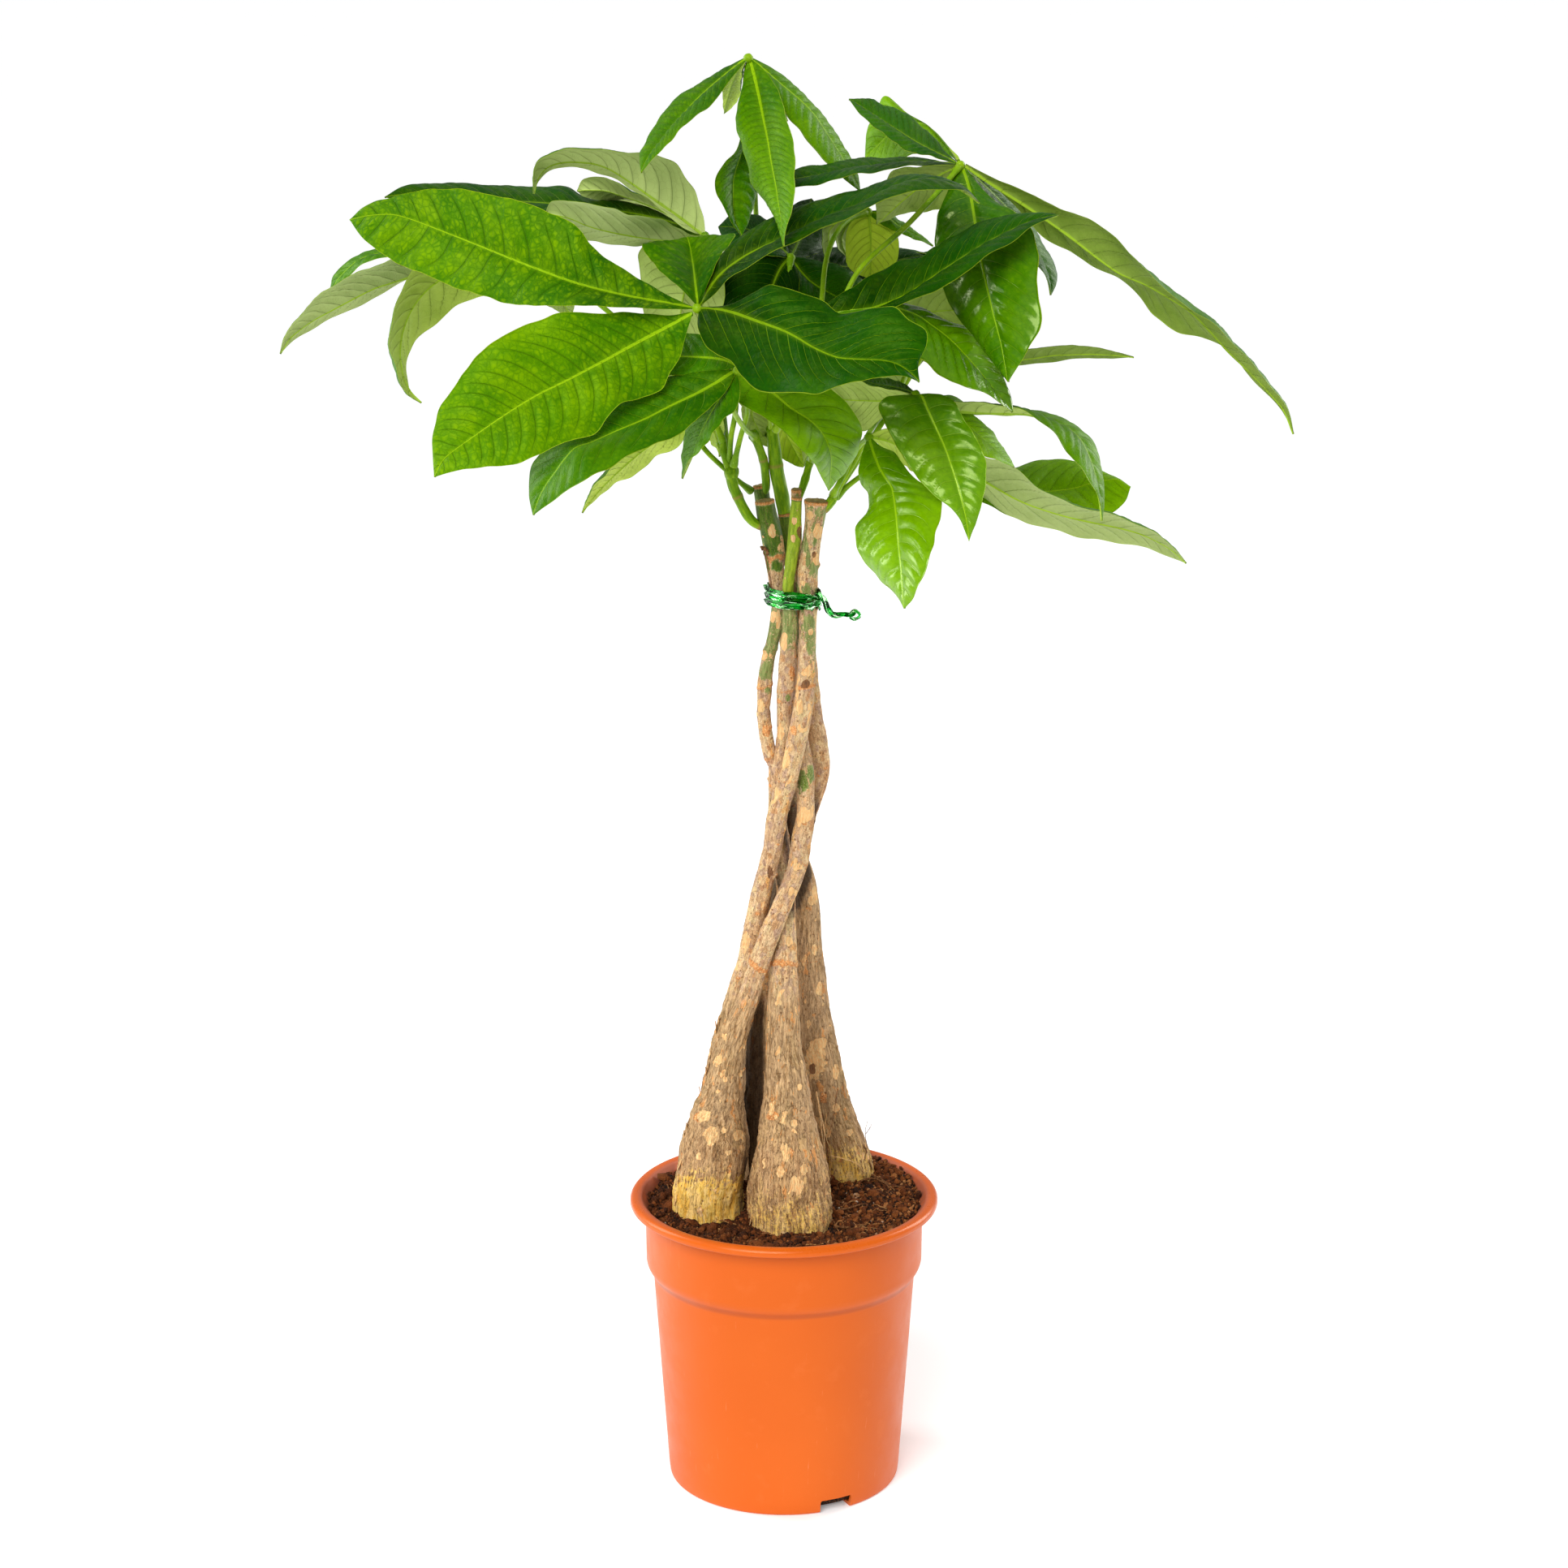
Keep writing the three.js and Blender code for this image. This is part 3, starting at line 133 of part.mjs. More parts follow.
    [[3.3,-9.2,764.1,3.3,-8.2,764.9,2.8,-10.2,763.3],[-3.4,-6.7,769.4,-0.9,4.8,773.8,-6.1,-18.2,765.5],[-10.5,-2.2,773.4,-7.2,17.2,779.5,-14.9,-21.4,767.4],[-18.3,5.1,776.5,-16.4,27.1,783,-24.2,-16.1,768.3],[-26.6,10.7,777.6,-26.6,29,784.1,-32,-6.7,769.7],[-32.4,14,777.7,-32.6,25,781.8,-35.6,3.5,772.8],[-38.3,16.8,777.5,-38.3,16.8,777.5,-38.3,16.8,777.5]],
    [[4.7,-9.2,762.7,4.7,-10.2,761.9,5.2,-8.2,763.5],[14.1,0,759,13.7,-7.8,755.7,14.4,7,764.7],[23.7,8,756.2,23.3,-6.2,750.8,23.9,21.4,764.8],[33.5,14.7,754.5,33.4,-4,747,33.7,32.9,764],[43.3,20.7,753.2,43.9,-0.3,744.5,43.7,41.3,763.2],[53,25.3,753.7,54.6,4,745.5,53.6,46.6,762.2],[62.6,28,755.8,64.7,9.8,748.2,63.4,46.6,761.3],[72.3,30.2,757.3,73.7,19.2,752.6,72.9,41.6,760.5],[82,32,758.8,82,32,758.8,82,32,758.8]],
  ] },
  { name: "leaf_low_centre", petiole: [[-14.6,-10.8,684.9],[-18.4,-0.3,679.8],[-19.5,9.8,674.5],[-17.8,19,669],[-15.6,26.6,663.8],[-13.5,31.4,659.2],[-11.4,32.1,655.4],[-9.1,26.9,652.7],[-6.7,14,651.5]], blades: [
    [[-14.6,-10.8,684.9,-13.7,-10.8,684.9,-15.6,-10.8,684.9],[-18.1,-0.4,676.5,-11.4,4.3,676.4,-22.9,-6.1,678.2],[-19.1,9.3,668.3,-9.5,18.8,667.7,-24.5,-1.6,670.3],[-16.8,16.1,660.6,-7.7,28,659.8,-22.6,3.2,660.9],[-13.5,21.5,653.5,-7.2,32.2,652.7,-18.5,10.4,653.7],[-10.8,24.4,649.2,-7.3,31.1,648.7,-13.7,17.6,649.2],[-7.7,26.7,645.2,-7.7,26.7,645.2,-7.7,26.7,645.2]],
    [[-13.7,-10.8,685.4,-12.8,-10.8,685.9,-14.2,-10.8,684.4],[-10.4,10.6,676.1,-8.2,15.9,676.4,-11.8,5.2,675.2],[-7.2,27.5,667.5,-3.8,37.4,667.6,-9.6,17.6,666.6],[-4,39.9,659.6,0.2,52.8,659.5,-7.3,27,658.5],[-1,47.1,652.5,4.3,61.3,652.4,-5.3,33.1,650.2],[2,49.5,646.2,8.1,63.4,646.2,-3.4,36,642.4],[5.1,47.5,640.8,10.1,59.3,640.8,-0.8,36.6,636.8],[8.3,41.1,636.3,11.2,48.2,636.3,4.2,34.7,633.9],[11.6,30.2,632.8,11.6,30.2,632.8,11.6,30.2,632.8]],
  ] },
  { name: "leaf_back_left", petiole: [[-84.8,42.6,696.9],[-81,54.7,686.8],[-76.7,69.1,676.7],[-71.8,84.2,666.8],[-66,94.6,658.2],[-59.4,97.3,651.4],[-52.3,88.8,646.9],[-44.8,60.9,646.2],[-36.7,5,651.2]], blades: [
    [[-84.8,42.6,696.9,-83.2,42.2,697.3,-86.4,43,697],[-79.6,44.6,703,-69.6,42,705.2,-89.6,47.3,703.4],[-74.4,48.1,704.9,-56.5,43.3,708.8,-92.4,53,705.5],[-69.4,52.2,702.7,-46.3,45.9,707.7,-92.6,58.5,703.5],[-64.9,56.1,696.7,-39.3,49.2,702.2,-90.5,63.1,697.5],[-61,59.1,687.2,-35,52,692.9,-86.9,66.3,688.1],[-57.8,60.6,674.9,-35.5,54.4,679.7,-80,66.7,675.6],[-55.5,59.8,660.4,-41.8,56.1,663.4,-69.2,63.6,660.8],[-54.1,56.6,644.4,-53.4,56.4,644.6,-54.9,56.9,644.4]],
    [[-84.8,42.6,696.9,-83.5,41.8,696.7,-86.2,43.4,697.5],[-74.6,46,700.5,-66.2,41,699.3,-82.9,51,704.1],[-64.4,49.8,701.2,-49.4,40.7,699,-79.5,58.9,707.7],[-54.6,53.6,699.2,-35.3,41.8,696.4,-74,65.3,707.5],[-45.3,57,694.4,-23.9,43.9,691.4,-66.8,70.1,703.7],[-36.7,59.9,687.2,-14.9,46.5,684.2,-58.4,73.3,696.6],[-28.9,61.8,677.8,-10.2,50.3,675.2,-47.5,73.3,685.8],[-22,62.6,666.4,-10.6,55.5,664.8,-33.5,69.7,671.3],[-16.3,61.8,653.3,-15.7,61.4,653.2,-17,62.2,653.6]],
    [[-84.8,42.6,696.9,-84.2,43.1,697,-85.5,42.2,697],[-92.2,51.8,698.2,-86.4,55.8,699.4,-97.9,47.9,698.7],[-99.4,59.2,696.8,-90,65.7,698.7,-108.8,52.8,697.6],[-106.1,64.3,693,-95.5,71.6,695.1,-116.6,57.1,693.8],[-111.9,66.6,686.8,-102.8,72.8,688.7,-121,60.3,687.6],[-115.2,66.2,681.7,-109.6,70.1,682.8,-120.8,62.4,682.1],[-117.9,64.4,675.8,-117.5,64.6,675.9,-118.2,64.2,675.8]],
    [[-84.8,42.6,696.9,-84.6,41,697.4,-85.1,44.3,696.8],[-67.2,32.3,708,-65.5,21.9,711,-68.8,42.8,707.5],[-48.7,23,716.5,-45.7,4.2,721.9,-51.8,41.8,715.6],[-29.8,14.5,722.5,-25.9,-9.9,729.5,-33.7,39,721.3],[-10.8,6.9,725.9,-6.4,-20.2,733.7,-15.1,34.1,724.6],[8.2,0.1,726.7,12.6,-27.5,734.7,3.8,27.8,725.4],[26.8,-5.9,725,30.6,-29.7,731.9,23,17.9,723.9],[44.7,-11.3,720.9,47,-26,725.1,42.4,3.4,720.2],[61.7,-16,714.4,61.8,-16.8,714.6,61.6,-15.1,714.4]],
    [[-84.8,42.6,696.9,-85.8,41.1,697.5,-83.8,44.2,696.8],[-68.4,56.5,692.4,-74.8,46.9,696.2,-62,66.2,691.6],[-51.6,66.3,687.1,-63.3,48.8,693.9,-39.9,83.8,685.5],[-34.6,71.8,680.8,-49.9,49.2,689.6,-19.4,94.5,678.8],[-17.6,73.3,673.6,-34.7,48.1,683.5,-0.6,98.5,671.4],[-0.8,70.8,665.6,-18.2,45.1,675.7,16.6,96.5,663.3],[15.6,64.4,656.8,0.6,42.3,665.5,30.7,86.5,654.8],[31.6,54,647.3,22.3,40.4,652.7,40.8,67.7,646.1],[46.8,39.8,637.2,46.2,39.1,637.5,47.3,40.6,637.2]],
  ] },
  { name: "leaf_back_right", petiole: [[76.1,26.2,699.7],[71,0.7,692.9],[65.9,-11.1,684.1],[60.7,-13.3,674],[54.9,-11.9,663.4],[48.7,-8.6,652.7],[42.4,-3.9,641.8],[35.9,-0.7,631.2],[29.1,-0.7,621.3]], blades: [
    [[76.1,26.2,699.7,77.7,26.4,699.6,74.5,26,700.1],[73.4,23.2,709.2,83.5,24.4,708.7,63.4,22,712.1],[70.7,23.3,714.6,88.7,25.4,713.7,52.7,21.2,719.8],[68.1,25.7,715.8,91.3,28.4,714.8,45,23,722.6],[65.7,29.7,713.1,91.4,32.8,712,40.1,26.7,720.6],[63.5,34.7,706.7,89.6,37.7,705.5,37.5,31.6,714.2],[61.6,39.8,696.9,84,42.5,695.9,39.4,37.2,703.4],[60.1,44.6,684.2,73.8,46.3,683.6,46.4,43,688.2],[59,48.6,669.1,59.7,48.7,669.1,58.2,48.5,669.3]],
    [[76.1,26.2,699.7,77.2,25.4,699.4,75,27,700.2],[84.2,27,706.8,91,22.1,705.4,77.4,31.9,710.4],[92.6,31.8,711.6,104.8,22.9,709,80.4,40.6,718],[101.3,40.4,714,117.1,28.9,710.6,85.5,51.8,722.2],[110.2,52.6,714,127.8,39.9,710.3,92.7,65.3,723.2],[119.3,68.4,711.7,137.2,55.4,707.8,101.3,81.3,721],[128.3,87.4,707,143.8,76.2,703.7,112.8,98.6,715],[137.3,109.6,699.9,146.9,102.6,697.9,127.7,116.4,704.9],[146.1,134.7,690.6,146.7,134.3,690.5,145.6,135.1,690.9]],
    [[76.1,26.2,699.7,76.7,27.9,699.8,75.5,24.5,699.9],[59.5,14.4,712.7,63.3,24.9,713.7,55.6,4,714.3],[42.1,6.6,722.8,49,25.5,724.6,35.2,-12.4,725.7],[24.2,2.4,730,33.1,27,732.3,15.4,-22.1,733.7],[6,2,734.2,15.8,29.3,736.8,-3.8,-25.3,738.4],[-12.3,5.2,735.5,-2.4,33,738.1,-22.3,-22.7,739.8],[-30.6,11.8,733.8,-22,35.7,736.1,-39.2,-12.2,737.5],[-48.6,21.7,729.2,-43.3,36.5,730.7,-53.9,6.9,731.5],[-66.2,34.9,721.8,-65.9,35.8,721.9,-66.5,34.1,721.9]],
    [[76.1,26.2,699.7,76,25.3,699.7,76.2,27.1,699.8],[85.6,27.8,701.3,84.7,21.9,701.6,86.4,33.6,702.4],[95.2,29.4,702.3,93.6,18.8,702.8,96.7,39.9,704.4],[104.9,30.9,702.7,102.9,17.2,703.4,106.9,44.6,705.3],[114.7,32.5,702.4,112.4,17.2,703.2,116.9,47.7,705.4],[124.5,34,701.5,122.2,18.5,702.2,126.7,49.6,704.5],[134.2,35.6,699.9,132.3,22.2,700.5,136.2,49,702.5],[143.9,37.2,697.7,142.7,28.9,698.1,145.1,45.4,699.3],[153.5,38.8,694.8,153.4,38.3,694.8,153.6,39.2,694.9]],
    [[76.1,26.2,699.7,75.8,27.8,699.6,76.4,24.6,700.1],[60.3,24.9,708.8,58.4,34.8,708.6,62.2,15,711.5],[43.6,24.9,716,40.1,42.8,715.6,47.1,7.1,720.8],[26.2,26.3,721.1,21.6,49.5,720.6,30.7,3.1,727.3],[8.2,29,724.1,3.1,54.8,723.6,13.3,3.2,731],[-10.3,33.1,724.9,-15.5,59.4,724.4,-5,6.8,732],[-28.9,38.7,723.5,-33.4,61.3,723.1,-24.4,16.1,729.6],[-47.7,45.8,719.9,-50.5,59.7,719.6,-44.9,31.8,723.6],[-66.3,54.4,714,-66.5,55.2,714,-66.2,53.6,714.2]],
    [[76.1,26.2,699.7,74.9,25.7,699.4,77.3,26.7,700.2],[82.5,41.1,700.5,75,38.1,699.1,90,44.1,703.9],[89,51.9,700.3,75.4,46.5,697.7,102.7,57.4,706.6],[95.7,58.8,699,77.9,51.7,695.7,113.6,65.8,707.2],[102.4,61.9,696.6,82.4,54.1,692.8,122.4,69.8,705.8],[109.1,61.4,693,88.6,53.4,689,129.6,69.4,702.4],[115.5,57.6,688.1,97.8,50.7,684.7,133.2,64.5,696.3],[121.7,50.5,682.1,110.7,46.2,680,132.6,54.7,687.1],[127.4,40.3,674.9,126.8,40.1,674.8,128,40.6,675.2]],
    [[76.1,26.2,699.7,77.6,25.4,700,74.6,27,699.8],[68.3,47.2,694.6,77.6,41.9,696.6,58.9,52.5,695.3],[60,64.1,688.3,77.2,54.6,691.9,42.9,73.6,689.4],[51.6,77,680.5,74.1,64.6,685.2,29.1,89.3,682.1],[43,86.1,671.3,68.3,72.4,676.6,17.8,99.8,673.1],[34.6,91.6,660.8,60.6,77.6,666.1,8.6,105.6,662.6],[26.3,93.7,648.9,48.9,81.7,653.5,3.8,105.7,650.5],[18.5,92.5,635.8,32.4,85.1,638.7,4.5,100,636.8],[11.1,88.3,621.7,11.9,87.8,621.9,10.3,88.7,621.8]],
  ] },
  { name: "leaf_back_centre", petiole: [[-39.2,53.8,699.9],[-38.1,16.3,697.7],[-37.2,-1.2,692.2],[-36.5,-3.8,684.3],[-35.8,-0.7,675.4],[-35,5.3,665.9],[-34.2,12.2,656.2],[-33.2,13.6,647.4],[-32,5,640.6]], blades: [
    [[-39.2,53.8,699.9,-37.8,54,700,-40.6,53.6,700.2],[-41,56,709.3,-32.2,57.2,709.7,-49.8,54.8,711],[-43,60.6,714.6,-27.2,62.7,715.3,-58.8,58.4,717.7],[-45,66.6,715.6,-24.6,69.3,716.5,-65.4,63.8,719.6],[-47,73,712.5,-24.3,76.1,713.5,-69.6,69.9,717],[-48.7,79,705.6,-25.7,82.1,706.6,-71.7,75.8,710.1],[-50.2,83.6,695.3,-30.4,86.3,696.2,-69.9,80.9,699.2],[-51.2,86.2,682.4,-39.1,87.8,682.9,-63.4,84.5,684.8],[-51.8,86.2,667.6,-51.1,86.3,667.6,-52.5,86.1,667.7]],
    [[-39.2,53.8,699.9,-38.3,52.1,700.5,-40.1,55.6,699.8],[-23.6,60,710.2,-18.1,49,713.5,-29,70.9,709.7],[-6.6,65.2,717.6,3.1,45.4,723.7,-16.4,85,716.8],[11,69.3,722,23.6,43.6,729.9,-1.6,95,720.9],[28.8,72.1,723.2,42.8,43.5,732,14.9,100.6,722.1],[46.4,73.2,721.4,60.6,44.1,730.4,32.2,102.3,720.2],[63.1,72.4,716.7,75.2,47.4,724.4,50.9,97.4,715.6],[78.4,69.5,709.1,85.9,54.1,713.9,71,85,708.5],[92,64.3,699.2,92.4,63.4,699.4,91.6,65.2,699.1]],
    [[-39.2,53.8,699.9,-38.1,54.6,700,-40.3,53,700.2],[-48,66.8,702.2,-40.9,71.9,702.8,-55.1,61.7,703.6],[-56.8,77.3,702.4,-44.1,86.5,703.5,-69.6,68.1,705.1],[-65.4,84.9,700.7,-48.9,96.8,702.1,-82,73,704.1],[-73.6,89.4,697,-55.3,102.6,698.6,-91.9,76.1,700.8],[-81.1,90.3,691.5,-62.5,103.9,693.1,-99.7,76.8,695.4],[-87.6,87.6,684.5,-71.8,99.2,685.9,-103.6,75.9,687.9],[-93.1,80.7,676.3,-83.4,87.9,677.1,-102.9,73.6,678.3],[-97.3,69.7,667.1,-96.8,70.1,667.2,-97.9,69.3,667.2]],
    [[-39.2,53.8,699.9,-39.1,52.3,700.5,-39.3,55.4,699.7],[-22.4,66,706.7,-21.8,56.4,710.4,-23,75.6,705.3],[-4.4,77.3,711.1,-3.2,60,717.9,-5.5,94.6,708.6],[14.5,87.5,713,16,65.1,721.8,13.1,109.9,709.7],[33.8,96.7,712.3,35.4,71.8,722.1,32.2,121.7,708.6],[53.1,104.9,708.9,54.7,79.5,719,51.4,130.4,705.2],[71.9,112.1,702.9,73.3,90.2,711.6,70.4,134,699.7],[89.8,118.1,694.4,90.7,104.6,699.8,88.9,131.6,692.4],[106.4,123.1,683.5,106.5,122.3,683.8,106.4,123.8,683.4]],
    [[-39.2,53.8,699.9,-39.3,54.9,699.8,-39.1,52.8,700.3],[-50.5,69.5,702.5,-51.3,76.3,701.7,-49.6,62.8,705],[-62.7,82.2,703.3,-64.2,94.4,701.9,-61.2,70,707.8],[-75.3,92,702.2,-77.3,107.7,700.4,-73.3,76.2,708],[-87.8,98.8,699.1,-90,116.3,697.1,-85.6,81.3,705.6],[-99.8,102.8,694.1,-102,120.7,692,-97.5,84.9,700.7],[-110.6,104,687.3,-112.5,119.4,685.5,-108.7,88.7,693],[-119.8,102.6,679,-121,112.1,677.9,-118.6,93.1,682.5],[-127.2,98.4,669.6,-127.2,98.9,669.5,-127.1,97.9,669.8]],
    [[-39.2,53.8,699.9,-37.8,53.1,699.8,-40.6,54.5,700.4],[-47.1,76.1,698.8,-38.4,71.8,698,-55.8,80.5,702.1],[-55.5,92.4,694.9,-39.6,84.5,693.3,-71.4,100.3,700.8],[-63.9,103.3,687.9,-43,93.1,685.8,-84.7,113.5,695.7],[-71.8,109.7,677.9,-48.4,98.3,675.5,-95.2,121,686.7],[-78.8,112.2,665.2,-54.8,100.6,662.7,-102.8,123.8,674.3],[-84.6,111.5,650.4,-63.8,101.5,648.2,-105.3,121.4,658.2],[-88.7,108.1,634.1,-75.9,101.9,632.7,-101.5,114.2,638.9],[-91,102.3,617.2,-90.3,102,617.1,-91.7,102.7,617.5]],
  ] },
  { name: "leaf_back_top", petiole: [[110.3,109.5,740.4],[99.6,47,731.6],[90.1,22.1,718.1],[81.1,20.7,701.1],[71.7,28.4,682.9],[61.8,36.6,664.7],[51.7,38.7,647.4],[41.1,28.2,632.7],[30.1,1.3,621.4]], blades: [
    [[110.3,109.5,740.4,108.7,109,740.3,111.9,110,740.9],[100.6,98.3,746.9,86.6,93.8,746,114.6,102.8,751.3],[91.2,89.8,750.2,68.6,82.5,748.8,113.8,97.2,757.4],[82.2,83.9,750.5,57,75.6,749,107.4,92.2,758.5],[73.7,80.2,747.9,52.1,73.1,746.6,95.3,87.4,754.8],[68.3,78.9,744.7,55.1,74.5,743.9,81.6,83.4,748.8],[63.2,78.4,740.2,62.4,78.2,740.2,63.9,78.7,740.4]],
    [[110.3,109.5,740.4,111.9,110.4,740.8,108.7,108.6,740.4],[99.1,101.2,746.7,109,107,749.1,89.1,95.4,747.1],[88.1,97,748.5,106,107.5,752.8,70.3,86.6,749.2],[77.8,96.3,746,100.8,109.9,751.5,54.8,82.8,746.9],[68.4,98.4,739.4,93.8,113.5,745.5,43,83.3,740.4],[60.1,102.8,729,86,118.2,735.2,34.3,87.4,730.1],[53.4,108.9,715.3,75.5,122.2,720.6,31.2,95.7,716.2],[48.2,116.4,698.8,61.9,124.6,702.1,34.5,108.2,699.4],[44.9,124.9,680.1,45.6,125.4,680.3,44.1,124.4,680.1]],
    [[110.3,109.5,740.4,110.6,111.4,740.3,110.1,107.6,740.9],[89.5,95.8,747.6,90.9,108,747,88.1,83.6,751.2],[68.6,85.4,751.4,71.1,107.4,750.3,66.1,63.4,757.9],[47.9,78.2,751.7,51.1,106.8,750.3,44.6,49.7,760.2],[27.7,74.3,748.8,31.3,106,747.2,24.1,42.6,758.2],[8.4,73.6,742.5,12.1,105.9,740.9,4.7,41.2,752.1],[-9.8,76,733.1,-6.6,103.8,731.7,-12.9,48.2,741.4],[-26.4,81.5,720.6,-24.5,98.7,719.8,-28.4,64.3,725.8],[-41.4,90,705.4,-41.3,91,705.4,-41.5,89.1,705.7]],
    [[110.3,109.5,740.4,109.4,110.9,740.9,111.2,108.1,740.2],[93.4,114.2,741.5,87.7,123.2,745.1,99,105.2,740.6],[75.9,117.8,741.2,65.7,134,747.7,86.2,101.5,739.6],[58.2,120.2,739.4,44.9,141.2,747.9,71.6,99.2,737.2],[40.4,121.5,736,25.4,144.9,745.5,55.3,98.1,733.6],[22.5,121.8,731.1,7.2,145.7,740.8,37.8,98,728.6],[4.7,121.3,724.6,-8.5,141.8,733.1,17.9,100.8,722.4],[-12.8,119.8,716.7,-21,132.5,721.9,-4.6,107.1,715.3],[-30,117.5,707.2,-30.4,118.2,707.5,-29.5,116.8,707.1]],
  ] },
];

// ---- helpers ------------------------------------------------------------
const V = (a) => new THREE.Vector3(a[0], a[1], a[2]);

function solidFromArrays(pos, tri) {
  const m = new wasm.Manifold(
    new wasm.Mesh({ numProp: 3, vertProperties: new Float32Array(pos), triVerts: new Uint32Array(tri) }),
  );
  return m;
}

function solidFromGeometry(geometry) {
  let g = geometry;
  for (const n of Object.keys(g.attributes)) if (n !== "position") g.deleteAttribute(n);
  g = mergeVertices(g, 1e-4);
  return solidFromArrays(g.attributes.position.array, g.index.array);
}

function geometryFromSolid(s) {
  const m = s.getMesh();
  const g = new THREE.BufferGeometry();
  g.setAttribute("position", new THREE.BufferAttribute(new Float32Array(m.vertProperties), 3));
  g.setIndex(new THREE.BufferAttribute(new Uint32Array(m.triVerts), 1));
  const flat = g.toNonIndexed();
  flat.computeVertexNormals();
  return flat;
}

// the biggest body of a solid that a cut may have split
function biggest(s) {
  const parts = s.decompose();
  let best = parts[0];
  for (const p of parts) if (p.volume() > best.volume()) best = p;
  return best;
}

// closed tube through rings of given radius, turned along the path without twist
function tube(path, radii, sides, flatten = 1) {
  const pts = path.map(V);
  const n = pts.length;
  const pos = [];
  const tri = [];
  let ref = new THREE.Vector3(0, -1, 0);
  for (let i = 0; i < n; i++) {
    const t = pts[Math.min(i + 1, n - 1)].clone().sub(pts[Math.max(i - 1, 0)]).normalize();
    if (i === 0 && Math.abs(ref.dot(t)) > 0.9) ref.set(1, 0, 0);
    const u = ref.clone().sub(t.clone().multiplyScalar(ref.dot(t))).normalize();
    const v = t.clone().cross(u);
    ref = u.clone();
    for (let k = 0; k < sides; k++) {
      const a = (2 * Math.PI * k) / sides;
      const p = pts[i]
        .clone()
        .addScaledVector(u, radii[i] * Math.cos(a))
        .addScaledVector(v, radii[i] * flatten * Math.sin(a));
      pos.push(p.x, p.y, p.z);
    }
  }
  for (let i = 0; i < n - 1; i++)
    for (let k = 0; k < sides; k++) {
      const a = i * sides + k;
      const b = i * sides + ((k + 1) % sides);
      tri.push(a, b, b + sides, a, b + sides, a + sides);
    }
  for (let k = 1; k < sides - 1; k++) {
    tri.push(0, k + 1, k);
    const o = (n - 1) * sides;
    tri.push(o, o + k, o + k + 1);
  }
  return solidFromArrays(pos, tri);
}

// one leaflet: a thin lens-shaped solid through its stations
function blade(rows, hub, thick, grow) {
  const st = rows.map((r) => [V(r.slice(0, 3)), V(r.slice(3, 6)), V(r.slice(6, 9))]);
  const n = st.length;
  const pos = [];
  const tri = [];
  const push = (p) => pos.push(p.x, p.y, p.z);
  // the stalk end: a small ring at the hub
  const list = [];
  const w0 = st[1][2].clone().sub(st[1][1]).normalize();
  list.push({ m: hub.clone(), a: hub.clone().addScaledVector(w0, -1.1 - grow), b: hub.clone().addScaledVector(w0, 1.1 + grow), t: 2.0 + 2 * grow });
  for (let i = 0; i < n; i++) {
    const [m, a, b] = st[i].map((p) => p.clone());
    if (i === 0 && m.distanceTo(hub) < 3.2) continue;
    const w = b.clone().sub(a);
    const least = i === n - 1 ? 0.9 : 2.4;
    const mid = m.clone();
    if (w.length() < least) {
      const d = w.lengthSq() > 1e-6 ? w.normalize() : w0.clone();
      a.copy(mid).addScaledVector(d, -least / 2);
      b.copy(mid).addScaledVector(d, least / 2);
    }
    if (grow > 0) {
      const d = b.clone().sub(a).normalize();
      a.addScaledVector(d, -grow);
      b.addScaledVector(d, grow);
    }
    const s = i / (n - 1);
    list.push({ m, a, b, t: thick * (1.25 - 0.75 * s) + 2 * grow });
  }
  const q = list.length;
  for (let i = 0; i < q; i++) {
    const t = list[Math.min(i + 1, q - 1)].m.clone().sub(list[Math.max(i - 1, 0)].m).normalize();
    const w = list[i].b.clone().sub(list[i].a);
    const nrm = t.clone().cross(w).normalize();
    if (i === 0) {
      // keep the first ring square to the stalk
      const w1 = list[1].b.clone().sub(list[1].a);
      nrm.copy(t.clone().cross(w1).normalize());
      const side = nrm.clone().cross(t).normalize();
      list[0].a.copy(list[0].m).addScaledVector(side, -1.1 - grow);
      list[0].b.copy(list[0].m).addScaledVector(side, 1.1 + grow);
    }
    const h = list[i].t / 2;
    const at = (p, d) => push(p.clone().addScaledVector(nrm, d));
    if (grow > 0) {
      // the clearance body keeps its thickness out to the margins
      if (i === q - 1) for (const p of [list[i].a, list[i].m, list[i].b]) p.addScaledVector(t, grow);
      at(list[i].a, grow);
      at(list[i].m, h);
      at(list[i].b, grow);
      at(list[i].b, -grow);
      at(list[i].m, -h);
      at(list[i].a, -grow);
    } else {
      at(list[i].a, 0);
      at(list[i].m, h);
      at(list[i].b, 0);
      at(list[i].m, -h);
    }
  }
  const sides = grow > 0 ? 6 : 4;
  for (let i = 0; i < q - 1; i++)
    for (let k = 0; k < sides; k++) {
      const a = i * sides + k;
      const b = i * sides + ((k + 1) % sides);
      // both faces are split along the same diagonals, so the thickness stays even where the blade twists
      const lower = sides === 4 ? k >= 2 : k === 3 || k === 4;
      if (lower) tri.push(a, b, a + sides, b, b + sides, a + sides);
      else tri.push(a, b, b + sides, a, b + sides, a + sides);
    }
  const o = (q - 1) * sides;
  for (let k = 1; k < sides - 1; k++) tri.push(0, k + 1, k, o, o + k, o + k + 1);
  let s = solidFromArrays(pos, tri);
  if (s.volume() < 0) {
    for (let i = 0; i < tri.length; i += 3) [tri[i + 1], tri[i + 2]] = [tri[i + 2], tri[i + 1]];
    s = solidFromArrays(pos, tri);
  }
  return s;
}

